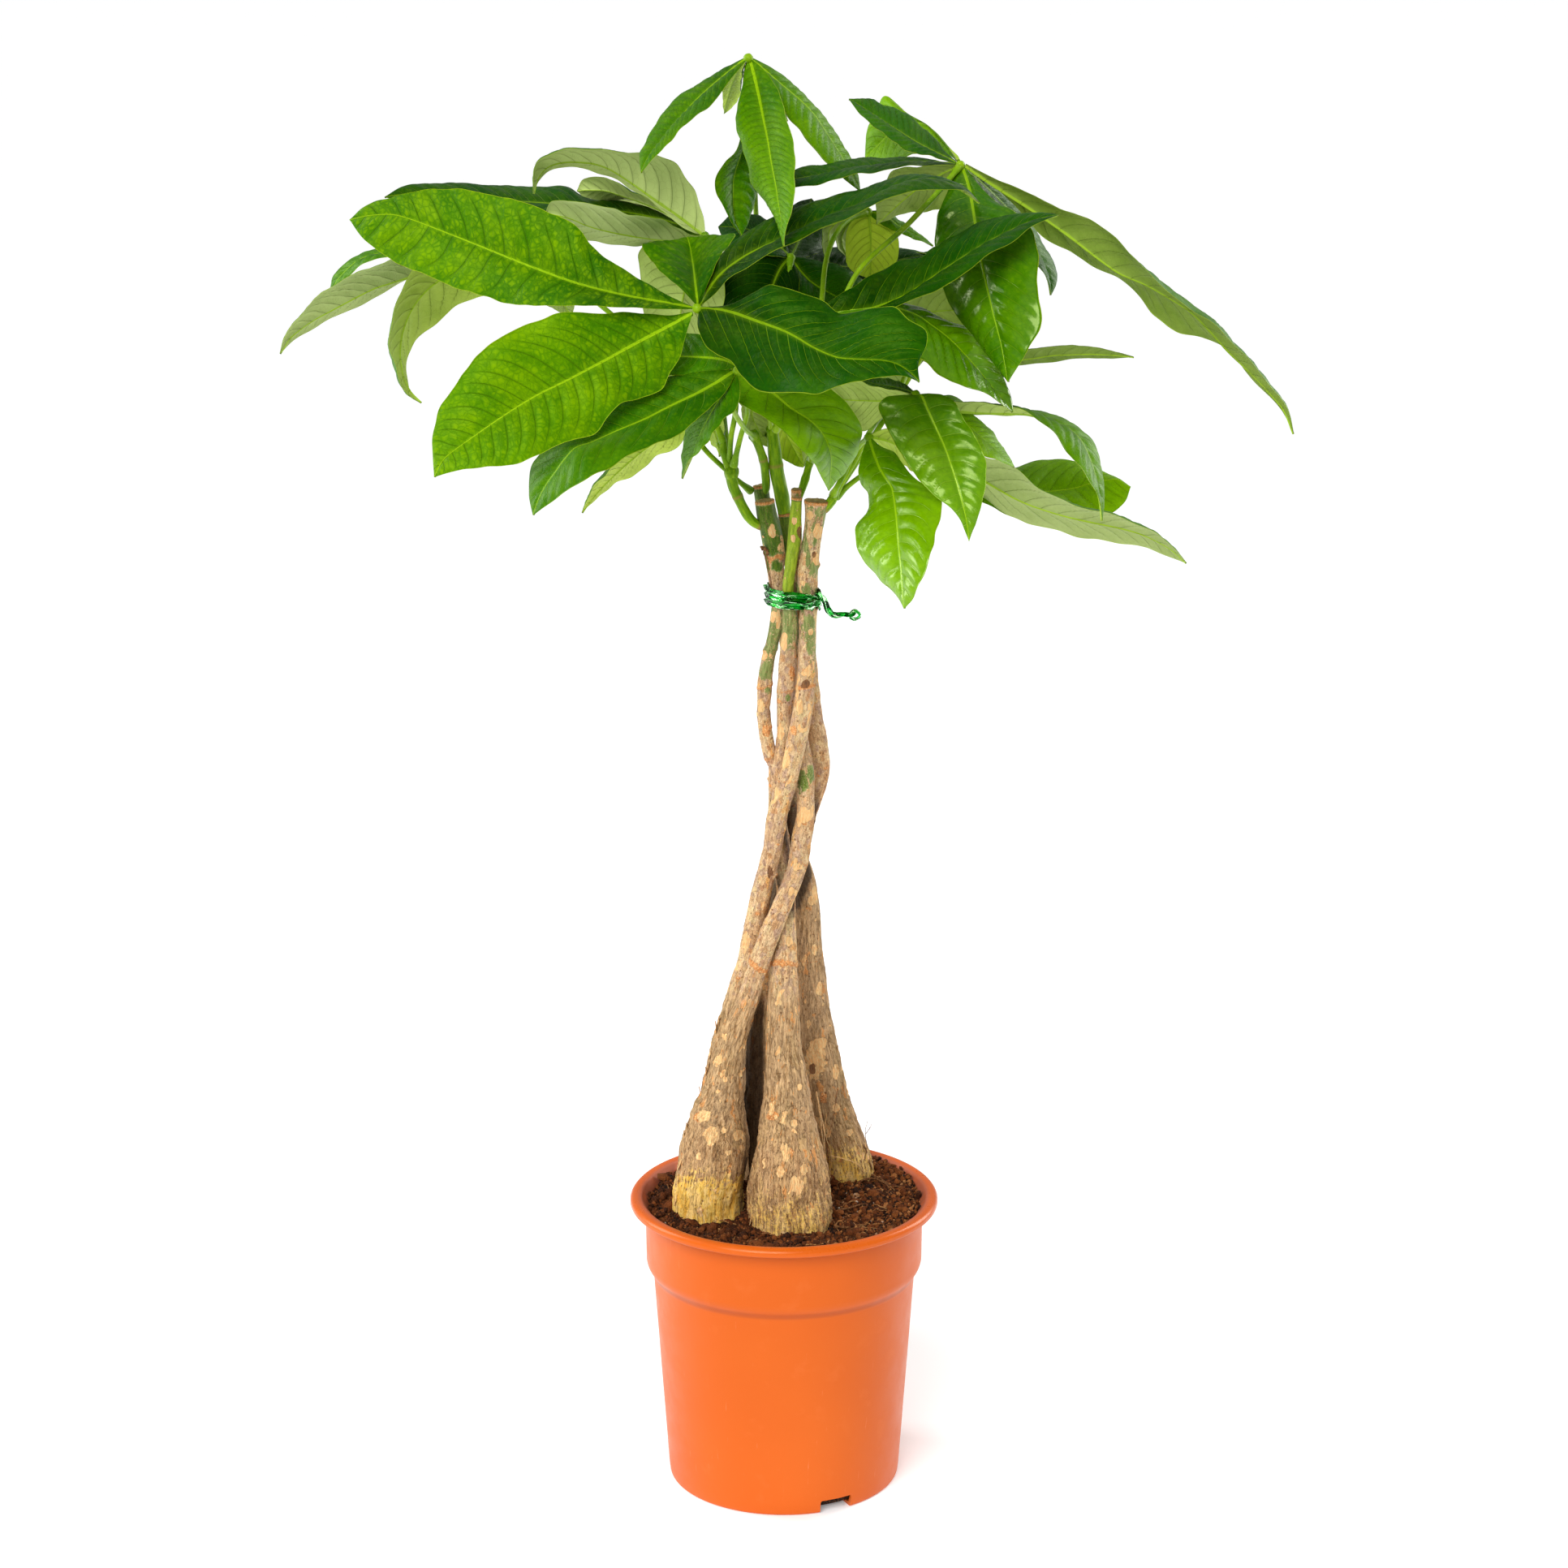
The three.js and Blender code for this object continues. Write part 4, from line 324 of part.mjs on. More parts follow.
const boxesMeet = (a, b) => {
  const p = a.boundingBox();
  const q = b.boundingBox();
  for (let k = 0; k < 3; k++) if (p.min[k] > q.max[k] || q.min[k] > p.max[k]) return false;
  return true;
};
const cut = (s, tools) => {
  for (const t of tools) if (boxesMeet(s, t)) s = s.subtract(t);
  return s;
};

// ---- looks --------------------------------------------------------------
const mat = (color, roughness, metalness = 0) => new THREE.MeshStandardMaterial({ color, roughness, metalness });
const POT = mat(0xe8703a, 0.42);
const SOIL = mat(0x2b1a12, 0.95);
const BARK = mat(0x8d7a62, 0.85);
const GREEN = mat(0x6f9a2a, 0.5);
const LEAF = mat(0x3f7d12, 0.4);
const FOIL = mat(0x0b7a34, 0.25, 0.9);

const plant = new THREE.Group();
const add = (name, solid, material) => {
  const mesh = new THREE.Mesh(geometryFromSolid(solid), material);
  mesh.name = name;
  plant.add(mesh);
};

// ---- pot: turned wall with a rolled rim, an upper band and a step -------
const wallIn = (r) => r - WALL;
const potProfile = [
  [0, 0],
  [FOOT_RADIUS - 1.2, 0],
  [FOOT_RADIUS, 1.2],
  [72, 7],
  [BODY_TOP_RADIUS, 133],
  [BODY_TOP_RADIUS + 0.8, 135.2],
  [BAND_RADIUS - 0.6, BAND_BOTTOM],
  [BAND_RADIUS, BAND_BOTTOM + 3],
  [BAND_RADIUS + 0.3, 177.6],
  [RIM_RADIUS - 1.3, 178.2],
  [RIM_RADIUS, 179.6],
  [RIM_RADIUS, 181.6],
  [RIM_RADIUS - 1.6, 183.5],
  [RIM_RADIUS - 4, POT_HEIGHT],
  [RIM_RADIUS - 7.4, 183.4],
  [RIM_RADIUS - 8.6, 181.4],
  [wallIn(BAND_RADIUS + 0.3), 177.6],
  [wallIn(BAND_RADIUS), BAND_BOTTOM + 4],
  [wallIn(BODY_TOP_RADIUS), 134],
  [wallIn(72), 7],
  [wallIn(FOOT_RADIUS) - 1, 2.6],
  [wallIn(FOOT_RADIUS) - 3, WALL],
  [0, WALL],
].map(([r, z]) => new THREE.Vector2(r, z));
function turned(profile, segments) {
  const g = new THREE.LatheGeometry(profile, segments);
  g.rotateX(Math.PI / 2);
  let s = solidFromGeometry(g);
  if (s.volume() < 0) {
    const h = new THREE.LatheGeometry([...profile].reverse(), segments);
    h.rotateX(Math.PI / 2);
    s = solidFromGeometry(h);
  }
  return s;
}
let pot = turned(potProfile, 56);
// three drainage openings where the wall meets the floor, the first one to the right of the front
for (const deg of [26.6, 146.6, 266.6]) {
  const g = new THREE.BoxGeometry(NOTCH_WIDTH, 22, NOTCH_HEIGHT * 2);
  g.translate(0, -69, 0);
  g.rotateZ((deg * Math.PI) / 180);
  pot = pot.subtract(solidFromGeometry(g));
}
add("pot", pot, POT);

// ---- trunks -------------------------------------------------------------
const trunkTube = (rows, grow = 0, sides = TRUNK_SIDES) =>
  tube(rows.map((r) => r.slice(0, 3)), rows.map((r) => r[3] + grow), sides);
const woody = [
  ["trunk_front_left", ["T1"]],
  ["trunk_front_centre", ["T2", "T2a", "T2b"]],
  ["trunk_left_back", ["T4"]],
  ["trunk_right", ["T3"]],
  ["trunk_back", ["T5"]],
];
const grownTrunks = [];
for (const [name, keys] of woody) {
  let s = null;
  let f = null;
  for (const k of keys) {
    const a = trunkTube(TRUNKS[k]);
    const b = trunkTube(TRUNKS[k], GAP);
    s = s ? s.add(a) : a;
    f = f ? f.add(b) : b;
  }
  s = biggest(cut(s, grownTrunks));
  grownTrunks.push(f);
  add(name, s, BARK);
}

// ---- soil: fills the pot, a little mounded, hollowed round the trunks ---
function soilSolid() {
  const rings = [0, 20, 38, 54, 68, 78, 82.4];
  const seg = 40;
  const top = (x, y) =>
    SOIL_TOP + 1.2 + 3.2 * Math.exp(-((x - 30) ** 2 + (y - 52) ** 2) / 900) + 1.5 * Math.sin(x * 0.13 + 1) * Math.cos(y * 0.11) + 0.02 * y;
  const pos = [];
  const tri = [];
  pos.push(0, 0, top(0, 0));
  for (let i = 1; i < rings.length; i++)
    for (let k = 0; k < seg; k++) {
      const a = (2 * Math.PI * k) / seg;
      const x = rings[i] * Math.cos(a);
      const y = rings[i] * Math.sin(a);
      pos.push(x, y, i === rings.length - 1 ? Math.min(top(x, y), 178.6) - 0.6 : top(x, y));
    }
  const ring = (i, k) => 1 + (i - 1) * seg + (k % seg);
  for (let k = 0; k < seg; k++) tri.push(0, ring(1, k), ring(1, k + 1));
  for (let i = 1; i < rings.length - 1; i++)
    for (let k = 0; k < seg; k++) {
      tri.push(ring(i, k), ring(i + 1, k), ring(i + 1, k + 1));
      tri.push(ring(i, k), ring(i + 1, k + 1), ring(i, k + 1));
    }
  // outer wall rings, then the foot
  const down = [
    [82.4, 144],
    [77.9, 133],
    [69.2, 8],
    [65.4, WALL + 0.6],
  ];
  let prev = (k) => ring(rings.length - 1, k);
  for (const [r, z] of down) {
    const base = pos.length / 3;
    for (let k = 0; k < seg; k++) {
      const a = (2 * Math.PI * k) / seg;
      pos.push(r * Math.cos(a), r * Math.sin(a), z);
    }
    const cur = (k) => base + (k % seg);
    for (let k = 0; k < seg; k++) {
      tri.push(prev(k), cur(k), cur(k + 1));
      tri.push(prev(k), cur(k + 1), prev(k + 1));
    }
    prev = cur;
  }
  const c = pos.length / 3;
  pos.push(0, 0, WALL + 0.6);
  for (let k = 0; k < seg; k++) tri.push(c, prev(k + 1), prev(k));
  return solidFromArrays(pos, tri);
}
add("soil", biggest(cut(soilSolid(), grownTrunks)), SOIL);

// ---- twist tie: a band round the stems with a bent tail -----------------
const ringShape = new THREE.Shape(TIE_OUTER.map(([x, y]) => new THREE.Vector2(x, y)));
ringShape.holes.push(new THREE.Path([...TIE_INNER].reverse().map(([x, y]) => new THREE.Vector2(x, y))));
const ringGeometry = new THREE.ExtrudeGeometry(ringShape, { depth: TIE_TOP - TIE_BOTTOM, bevelEnabled: false, steps: 1 });
ringGeometry.translate(0, 0, TIE_BOTTOM);
let tie = solidFromGeometry(ringGeometry);
tie = tie.add(tube(TIE_TAIL, TIE_TAIL.map((_, i) => (i < 6 ? 1.7 : 1.5)), 7));
tie = biggest(cut(tie, grownTrunks));
add("twist_tie", tie, FOIL);

// ---- green shoots -------------------------------------------------------
const shootNames = { S1: "shoot_left", S2: "shoot_mid_left", S3: "shoot_centre", S4: "shoot_mid_right", S5: "shoot_right" };
const grown = [...grownTrunks];
const grownShoots = [];
for (const [key, name] of Object.entries(shootNames)) {
  let s = null;
  let f = null;
  for (const seg of SHOOTS[key]) {
    const a = trunkTube(seg, 0, 8);
    const b = trunkTube(seg, GAP, 8);
    s = s ? s.add(a) : a;
    f = f ? f.add(b) : b;
  }
  s = biggest(cut(s, [...grownTrunks, ...grownShoots]));
  grownShoots.push(f);
  add(name, s, GREEN);
}

// ---- compound leaves ----------------------------------------------------
function compound(def, grow) {
  const hub = V(def.petiole[0]);
  let s = tube(def.petiole, def.petiole.map((_, i) => PETIOLE_RADIUS + grow + (i === 0 ? 0.4 : 0)), 6);
  const knob = new THREE.IcosahedronGeometry(2.6 + grow, 0);
  knob.translate(hub.x, hub.y, hub.z);
  s = s.add(solidFromGeometry(knob));
  for (const rows of def.blades) s = s.add(blade(rows, hub, BLADE, grow));
  return s;
}
const grownLeaves = [];
for (const def of LEAVES) {
  const s = biggest(cut(compound(def, 0), [...grownTrunks, ...grownShoots, ...grownLeaves]));
  grownLeaves.push(compound(def, GAP));
  add(def.name, s, LEAF);
}

export default plant;
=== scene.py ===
"""A potted money tree (braided Pachira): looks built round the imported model."""
import math

import bpy
import numpy as np
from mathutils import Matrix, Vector


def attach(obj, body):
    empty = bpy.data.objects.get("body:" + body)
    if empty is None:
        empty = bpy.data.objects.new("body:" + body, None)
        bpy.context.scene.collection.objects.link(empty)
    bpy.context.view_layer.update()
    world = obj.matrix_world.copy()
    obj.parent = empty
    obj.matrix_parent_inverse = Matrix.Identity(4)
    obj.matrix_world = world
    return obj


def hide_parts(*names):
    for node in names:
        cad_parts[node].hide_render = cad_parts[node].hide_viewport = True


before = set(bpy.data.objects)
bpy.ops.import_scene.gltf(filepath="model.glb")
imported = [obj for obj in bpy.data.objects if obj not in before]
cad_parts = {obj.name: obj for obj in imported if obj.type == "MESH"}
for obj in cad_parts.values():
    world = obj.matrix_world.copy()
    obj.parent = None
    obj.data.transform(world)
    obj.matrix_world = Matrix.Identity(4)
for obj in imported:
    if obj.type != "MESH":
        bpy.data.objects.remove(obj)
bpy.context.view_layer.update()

# trunks: [x, y, z, radius] in mm, from the buried foot upward
TRUNKS = {
    "T1": [[-47.03,-16,141.75,17.13],[-46.99,-16,148.29,17.91],[-46.96,-16,154.81,18.64],[-46.93,-16,161.32,19.32],[-46.9,-16,167.83,20.03],[-46.86,-16,174.33,20.71],[-46.82,-16,180.81,20.93],[-46.58,-16,187.29,20.92],[-46.18,-16,193.76,20.89],[-45.39,-15.99,200.22,20.81],[-44.36,-15.97,206.66,20.79],[-43.42,-15.92,213.09,20.79],[-42.59,-15.74,219.45,20.31],[-41.77,-15.48,225.78,19.53],[-40.97,-15.2,232.09,18.5],[-40.16,-14.87,238.38,17.03],[-39.18,-14.54,244.66,15.39],[-37.94,-14.22,250.94,13.48],[-36.68,-13.9,257.21,11.89],[-35.61,-13.58,263.47,10.83],[-34.62,-13.26,269.73,9.95],[-33.52,-12.95,275.98,9.19],[-32.09,-12.63,282.22,8.51],[-30.32,-12.31,288.45,7.92],[-28.36,-11.99,294.68,7.45],[-26.36,-11.68,300.91,7.06],[-24.24,-11.36,307.12,6.7],[-22.06,-11.04,313.33,6.43],[-20.02,-10.73,319.53,6.27],[-18.22,-10.41,325.72,6.17],[-16.45,-10.1,331.91,6.07],[-14.44,-9.79,338.1,6.02],[-12.24,-9.49,344.27,6],[-9.92,-9.17,350.44,5.98],[-7.53,-8.81,356.59,5.96],[-5.01,-8.4,362.71,5.89],[-2.42,-7.94,368.81,5.81],[0.11,-7.45,374.9,5.76],[2.48,-6.94,380.97,5.76],[4.87,-6.38,387.03,5.76],[7.08,-5.78,393.06,5.82],[8.7,-5.19,399.1,5.91],[9.63,-4.61,405.13,5.9],[10.33,-4.03,411.15,5.78],[11.26,-3.45,417.18,5.6],[12.5,-2.87,423.19,5.4],[13.14,-2.3,429.2,5.26],[13.16,-1.72,435.21,5.18],[13.15,-1.15,441.21,5.13],[13.15,-0.57,447.21,5.05],[12.93,0,453.2,4.9],[12.25,0.58,459.18,4.67],[11.45,1.15,465.16,4.5],[10.48,1.73,471.14,4.38],[9.43,2.3,477.11,4.3],[8.5,2.87,483.07,4.22],[7.61,3.44,489.03,4.13],[6.73,4.01,494.99,4.07],[5.85,4.58,500.94,4.06],[4.96,5.15,506.88,4.06],[4.07,5.72,512.82,4.06],[3.19,6.29,518.75,4.06],[2.32,6.86,524.68,4.06],[1.45,7.43,530.61,4.06],[0.53,8,536.53,4.06],[-0.45,8.57,542.44,4.06],[-1.5,9.13,548.35,4.06],[-2.55,9.7,554.25,4.06],[-3.58,10.26,560.15,4.06],[-4.62,10.83,566.05,4.06],[-5.65,11.39,571.93,4.06],[-6.64,11.96,577.82,4.07],[-7.59,12.54,583.69,4.11],[-8.53,13.11,589.57,4.18],[-9.45,13.67,595.43,4.26],[-10.36,14.2,601.31,4.33],[-11.27,14.71,607.17,4.38],[-12.17,15.2,613.04,4.44],[-13.06,15.68,618.91,4.5],[-13.94,16.13,624.77,4.56]],
    "T2": [[4.97,-31,142.56,22.69],[4.97,-31,147.94,23.66],[4.97,-31,153.31,24.5],[4.96,-31,158.68,25.14],[4.96,-31,164.04,25.53],[4.87,-31,169.4,25.76],[4.67,-31,174.74,25.92],[4.44,-31,180.09,25.98],[4.14,-30.98,185.42,25.8],[3.75,-30.94,190.73,25.39],[3.36,-30.88,196.03,24.84],[3.07,-30.8,201.31,24.22],[2.96,-30.68,206.58,23.57],[2.96,-30.27,211.73,22.82],[2.96,-29.47,216.73,21.91],[2.96,-28.44,221.64,20.9],[2.96,-27.33,226.51,19.85],[2.95,-26.3,231.42,18.8],[2.71,-25.26,236.32,17.64],[2.29,-24.16,241.19,16.47],[1.93,-23.06,246.07,15.5],[1.68,-21.99,250.96,14.7],[1.45,-20.92,255.84,13.98],[1.21,-19.84,260.72,13.32],[0.92,-18.77,265.6,12.7],[0.49,-17.69,270.48,12.06],[0,-16.62,275.36,11.47],[-0.38,-15.55,280.24,10.99],[-0.49,-14.47,285.12,10.65],[-0.49,-13.4,289.99,10.41],[-0.49,-12.33,294.87,10.22],[-0.49,-11.26,299.74,10.06],[-0.49,-10.19,304.61,9.9],[-0.49,-9.11,309.48,9.72],[-0.49,-8.04,314.35,9.47],[-0.42,-6.97,319.22,9.17],[-0.3,-5.9,324.09,8.82],[-0.13,-4.83,328.96,8.43],[0.07,-3.76,333.82,7.97],[0.48,-2.67,338.68,7.33],[0.88,-1.59,343.54,6.71],[0.98,-0.56,348.42,6.4],[0.98,0.53,353.27,6.22],[0.98,1.66,358.12,6.08],[0.98,2.74,362.97,5.97],[0.98,3.65,367.88,5.88],[0.98,4.32,372.86,5.8],[0.95,4.67,377.94,5.73],[0.66,4.9,383.04,5.67],[0.13,5.08,388.16,5.61],[-0.51,5.23,393.28,5.57],[-1.15,5.34,398.41,5.53],[-1.69,5.44,403.54,5.48],[-2.31,5.51,408.66,5.42],[-2.96,5.57,413.79,5.35],[-3.51,5.63,418.91,5.31],[-3.85,5.69,424.03,5.29],[-3.91,5.75,429.14,5.28],[-3.91,5.82,434.24,5.28],[-3.91,5.89,439.33,5.28],[-3.91,5.95,444.43,5.28],[-3.9,5.99,449.52,5.25],[-3.9,6.03,454.61,5.16],[-3.9,6.06,459.7,5.04]],
    "T2a": [[-4.87,0,456.3,3.86],[-6.75,0,460.53,3.9],[-8.29,0,464.77,3.97],[-9.4,0,469,3.99],[-10.3,0,473.23,3.9],[-10.98,0,477.45,3.82],[-11.46,0,481.67,3.82],[-11.87,0,485.89,3.83],[-12.1,0,490.1,3.83],[-12.08,0,494.31,3.9],[-11.94,0,498.51,4.16],[-11.74,0,502.71,4.4],[-11.49,0,506.91,4.42],[-11.1,0,511.1,4.25],[-10.58,0,515.29,4.01],[-9.96,0,519.48,3.83],[-9.24,0,523.66,3.79],[-8.26,0,527.83,3.77],[-7.19,0,532.01,3.77],[-6.17,0,536.18,3.82],[-5.08,0,540.34,4.06],[-4.07,0,544.5,4.36],[-3.37,0,548.66,4.53],[-2.91,0,552.81,4.54],[-2.55,0,556.96,4.55],[-2.41,0,561.11,4.55],[-2.62,0,565.25,4.5],[-3.11,0,569.39,4.41],[-3.72,0,573.53,4.33],[-4.26,0,577.66,4.3],[-4.65,0,581.78,4.6],[-5.03,0,585.91,5.25],[-5.57,0,590.03,5.64],[-6.34,0,594.14,5.93],[-7.23,0,598.26,6.12],[-8.17,0,602.36,6.11],[-9.23,0,606.47,6],[-10.16,0,610.57,5.91],[-10.88,0,614.67,5.79],[-11.47,0,618.76,5.63]],
    "T2b": [[-2.92,-2.36,456.94,4.04],[-2.1,-2.43,462.35,4.22],[-1.36,-2.56,467.77,4.29],[-0.67,-2.8,473.21,4.29],[-0.09,-3.11,478.67,4.3],[0.31,-3.39,484.11,4.37],[0.64,-3.68,489.54,4.62],[0.92,-3.98,494.97,4.92],[1.2,-4.28,500.39,5.17],[1.49,-4.57,505.8,5.25],[1.79,-4.86,511.2,5.25],[2.1,-5.15,516.6,5.25],[2.4,-5.44,521.98,5.25],[2.72,-5.73,527.36,5.25],[3.06,-6.02,532.74,5.23],[3.51,-6.31,538.1,5.08],[3.82,-6.59,543.46,4.86],[3.75,-6.88,548.81,4.55],[3.43,-7.17,554.15,4.13],[2.99,-7.46,559.48,3.74],[2.5,-7.74,564.81,3.4],[2.5,-8.03,570.13,3.34],[3.16,-8.32,575.44,3.39],[3.9,-8.6,580.74,3.48],[4.6,-8.89,586.04,3.61],[5.32,-9.17,591.33,3.78],[5.94,-9.46,596.61,3.92],[6.32,-9.74,601.89,3.93],[6.55,-10.03,607.15,3.69],[6.83,-10.23,612.4,3.46],[7.19,-10.37,617.62,3.23],[7.61,-10.46,622.83,3]],
    "T3": [[42.4,36,131.42,14.59],[42.34,36,138.62,14.97],[42.21,36,145.81,15.26],[42.05,36,152.99,15.45],[41.86,36,160.15,15.54],[41.64,36,167.31,15.54],[41.34,36,174.46,15.41],[40.93,36,181.59,15.2],[40.38,36,188.72,14.91],[39.52,35.95,195.85,14.38],[38.36,35.87,202.98,13.79],[36.87,35.68,210.15,13.25],[34.75,35.09,217.45,12.87],[32.65,34.39,224.77,12.56],[30.53,33.57,232.13,12.24],[28.48,32.69,239.49,11.96],[26.64,31.83,246.82,11.69],[24.95,31.01,254.13,11.41],[23.37,30.18,261.43,11.13],[21.97,29.35,268.71,10.85],[20.82,28.53,275.97,10.5],[19.87,27.71,283.22,10.02],[19.06,26.89,290.45,9.51],[18.38,26.07,297.66,9.12],[17.86,25.26,304.86,8.86],[17.39,24.45,312.05,8.64],[16.85,23.63,319.22,8.41],[16.13,22.82,326.37,8.16],[15.48,22.02,333.51,7.98],[15.07,21.21,340.63,7.89],[14.76,20.4,347.74,7.82],[14.43,19.6,354.83,7.74],[14.06,18.79,361.91,7.57],[13.62,17.99,368.97,7.33],[12.76,17.21,376.01,7.06],[11.15,16.44,383.03,6.8],[9.34,15.95,389.96,6.53],[7.18,15.67,396.81,6.17],[5.43,15.49,403.62,5.96],[4.26,15.41,410.39,5.79],[3.35,15.35,417.14,5.65],[2.96,15.3,423.88,5.55],[2.95,15.24,430.62,5.47],[2.94,15.17,437.34,5.42],[2.94,15.11,444.05,5.36],[2.95,15.05,450.76,5.29],[3.16,14.98,457.45,5.16],[3.59,14.92,464.13,5.02],[4.09,14.86,470.81,4.88],[4.56,14.79,477.47,4.78],[5.08,14.73,484.12,4.71],[5.62,14.67,490.77,4.65],[6.13,14.61,497.4,4.6],[6.6,14.54,504.02,4.53],[7.1,14.48,510.63,4.45],[7.53,14.42,517.24,4.38],[7.76,14.36,523.83,4.34],[7.74,14.3,530.41,4.34],[7.64,14.23,536.99,4.34],[7.47,14.17,543.55,4.34],[7.27,14.11,550.11,4.33],[6.88,14.05,556.65,4.33],[6.23,13.99,563.18,4.32],[5.46,13.93,569.71,4.32],[4.7,13.86,576.22,4.33],[3.92,13.8,582.73,4.4],[3.09,13.74,589.23,4.51],[2.32,13.68,595.71,4.56],[1.62,13.64,602.18,4.56],[0.96,13.61,608.64,4.57]],
    "T4": [[-40.79,31.56,133.22,17.48],[-40.77,31.64,139.26,17.75],[-40.74,31.73,145.29,18],[-40.72,31.83,151.31,18.21],[-40.7,31.93,157.32,18.36],[-40.67,32.04,163.32,18.44],[-40.65,32.16,169.31,18.45],[-40.63,32.32,175.28,18.45],[-40.6,32.46,181.25,18.45],[-40.58,32.52,187.24,18.45],[-40.55,32.52,193.24,18.35],[-40.53,32.51,199.25,18.08],[-40.5,32.5,205.25,17.72],[-40.45,32.38,211.27,17.27],[-40.23,31.57,217.55,16.47],[-39.85,30.3,223.98,15.52],[-39.41,28.99,230.42,14.66],[-38.8,27.78,236.8,14.01],[-37.95,26.5,243.19,13.46],[-37.1,25.23,249.57,12.95],[-36.33,23.98,255.93,12.43],[-35.56,22.73,262.27,11.88],[-34.7,21.49,268.6,11.27],[-33.76,20.25,274.91,10.55],[-32.75,19.01,281.21,9.81],[-31.64,17.78,287.49,9.17],[-30.4,16.55,293.76,8.65],[-29.01,15.32,300.02,8.18],[-27.52,14.09,306.26,7.8],[-25.96,12.87,312.48,7.5],[-24.2,11.65,318.7,7.27],[-22.48,10.43,324.89,7.16],[-21.18,9.22,331.08,7.06],[-20.16,8.01,337.25,6.94],[-19.25,6.8,343.4,6.81],[-18.32,5.59,349.54,6.68],[-17.35,4.38,355.67,6.56],[-16.39,3.16,361.79,6.45],[-15.42,1.95,367.9,6.34],[-14.37,0.77,373.98,6.23],[-13.21,-0.39,380.04,6.1],[-11.83,-1.58,386.1,5.95],[-10.33,-2.76,392.14,5.82],[-8.84,-3.86,398.15,5.72],[-7.51,-4.82,404.1,5.68],[-6.46,-5.57,409.98,5.71],[-5.68,-6.17,415.81,5.79],[-4.96,-6.69,421.6,5.88],[-4.1,-7.19,427.37,5.91],[-2.85,-7.7,433.14,5.86],[-1.27,-8.19,438.9,5.84],[0.29,-8.68,444.65,5.85],[1.8,-9.23,450.4,5.85],[3.29,-9.73,456.13,5.86],[4.65,-10.05,461.8,5.88],[5.89,-10.26,467.44,5.89],[7.06,-10.43,473.05,5.89],[8.18,-10.53,478.64,5.9],[9.31,-10.53,484.19,5.86],[10.38,-10.45,489.72,5.71],[11.22,-10.39,495.25,5.61],[11.94,-10.32,500.77,5.51],[12.5,-10.26,506.28,5.47],[12.94,-10.2,511.79,5.48],[13.29,-10.14,517.29,5.48],[13.52,-10.08,522.78,5.47],[13.66,-10.02,528.27,5.35],[13.77,-9.95,533.75,5.16],[13.88,-9.89,539.23,5.02],[14.05,-9.83,544.7,5.01],[14.27,-9.77,550.16,5.01],[14.38,-9.71,555.61,5.01],[14.18,-9.65,561.06,5.38],[13.91,-9.59,566.5,5.91],[13.95,-9.53,571.94,5.91],[14.18,-9.46,577.37,5.78],[14.53,-9.4,582.8,5.67],[15.1,-9.34,588.21,5.57],[15.84,-9.28,593.62,5.49],[16.6,-9.22,599.03,5.46],[17.41,-9.16,604.43,5.61],[18.15,-9.11,609.82,5.97],[18.67,-9.07,615.21,6.47],[19.04,-9.04,620.6,7.15]],
    "T5": [[-19.03,52.16,124.87,11.75],[-19.02,53.16,134.21,11.76],[-19,53.81,143.67,11.76],[-18.99,54.19,153.23,11.76],[-18.97,54.37,162.84,11.76],[-18.95,54.42,172.49,11.76],[-18.93,54.38,182.15,11.74],[-18.81,53.77,192.01,11.4],[-18.63,52.68,202.02,10.82],[-18.43,51.43,212.07,10.16],[-18.27,50.26,222.05,9.56],[-18.14,48.98,232.05,8.91],[-18,47.59,242.05,8.23],[-17.83,46.18,252.04,7.62],[-17.58,44.83,261.97,7.13],[-17.1,43.51,271.86,6.72],[-16.41,42.18,281.73,6.37],[-15.57,40.86,291.56,6.07],[-14.35,39.55,301.36,5.78],[-12.67,38.24,311.14,5.52],[-10.73,36.93,320.88,5.33],[-8.66,35.63,330.59,5.21],[-6.26,34.33,340.28,5.11],[-3.6,33.03,349.93,5.03],[-0.79,31.74,359.55,4.95],[2.38,30.45,369.15,4.84],[5.74,29.17,378.71,4.77],[8.96,27.89,388.25,4.72],[11.88,26.61,397.76,4.67],[14.67,25.34,407.24,4.62],[17.33,24.07,416.69,4.55],[19.95,22.81,426.11,4.42],[22.19,21.55,435.5,4.31],[23.5,20.29,444.86,4.23],[24.02,19.04,454.2,4.2],[23.28,17.79,463.51,4.18],[21.96,16.55,472.79,4.14],[20.09,15.31,482.04,4.06],[18.48,14.07,491.26,4.07],[17.38,12.83,500.46,4.05],[16.6,11.6,509.63,3.93],[15.78,10.38,518.77,3.81],[14.93,9.15,527.88,3.7],[14.02,7.94,536.97,3.59],[12.97,6.72,546.03,3.48],[11.85,5.51,555.07,3.37],[10.72,4.3,564.07,3.26],[9.6,3.09,573.05,3.16],[8.73,1.88,582.01,3.05],[8.01,0.66,590.94,2.93],[7.61,-0.47,599.83,2.86],[7.38,-1.52,608.67,2.82],[7.22,-2.49,617.48,2.79],[7.15,-3.38,626.24,2.77]],
}
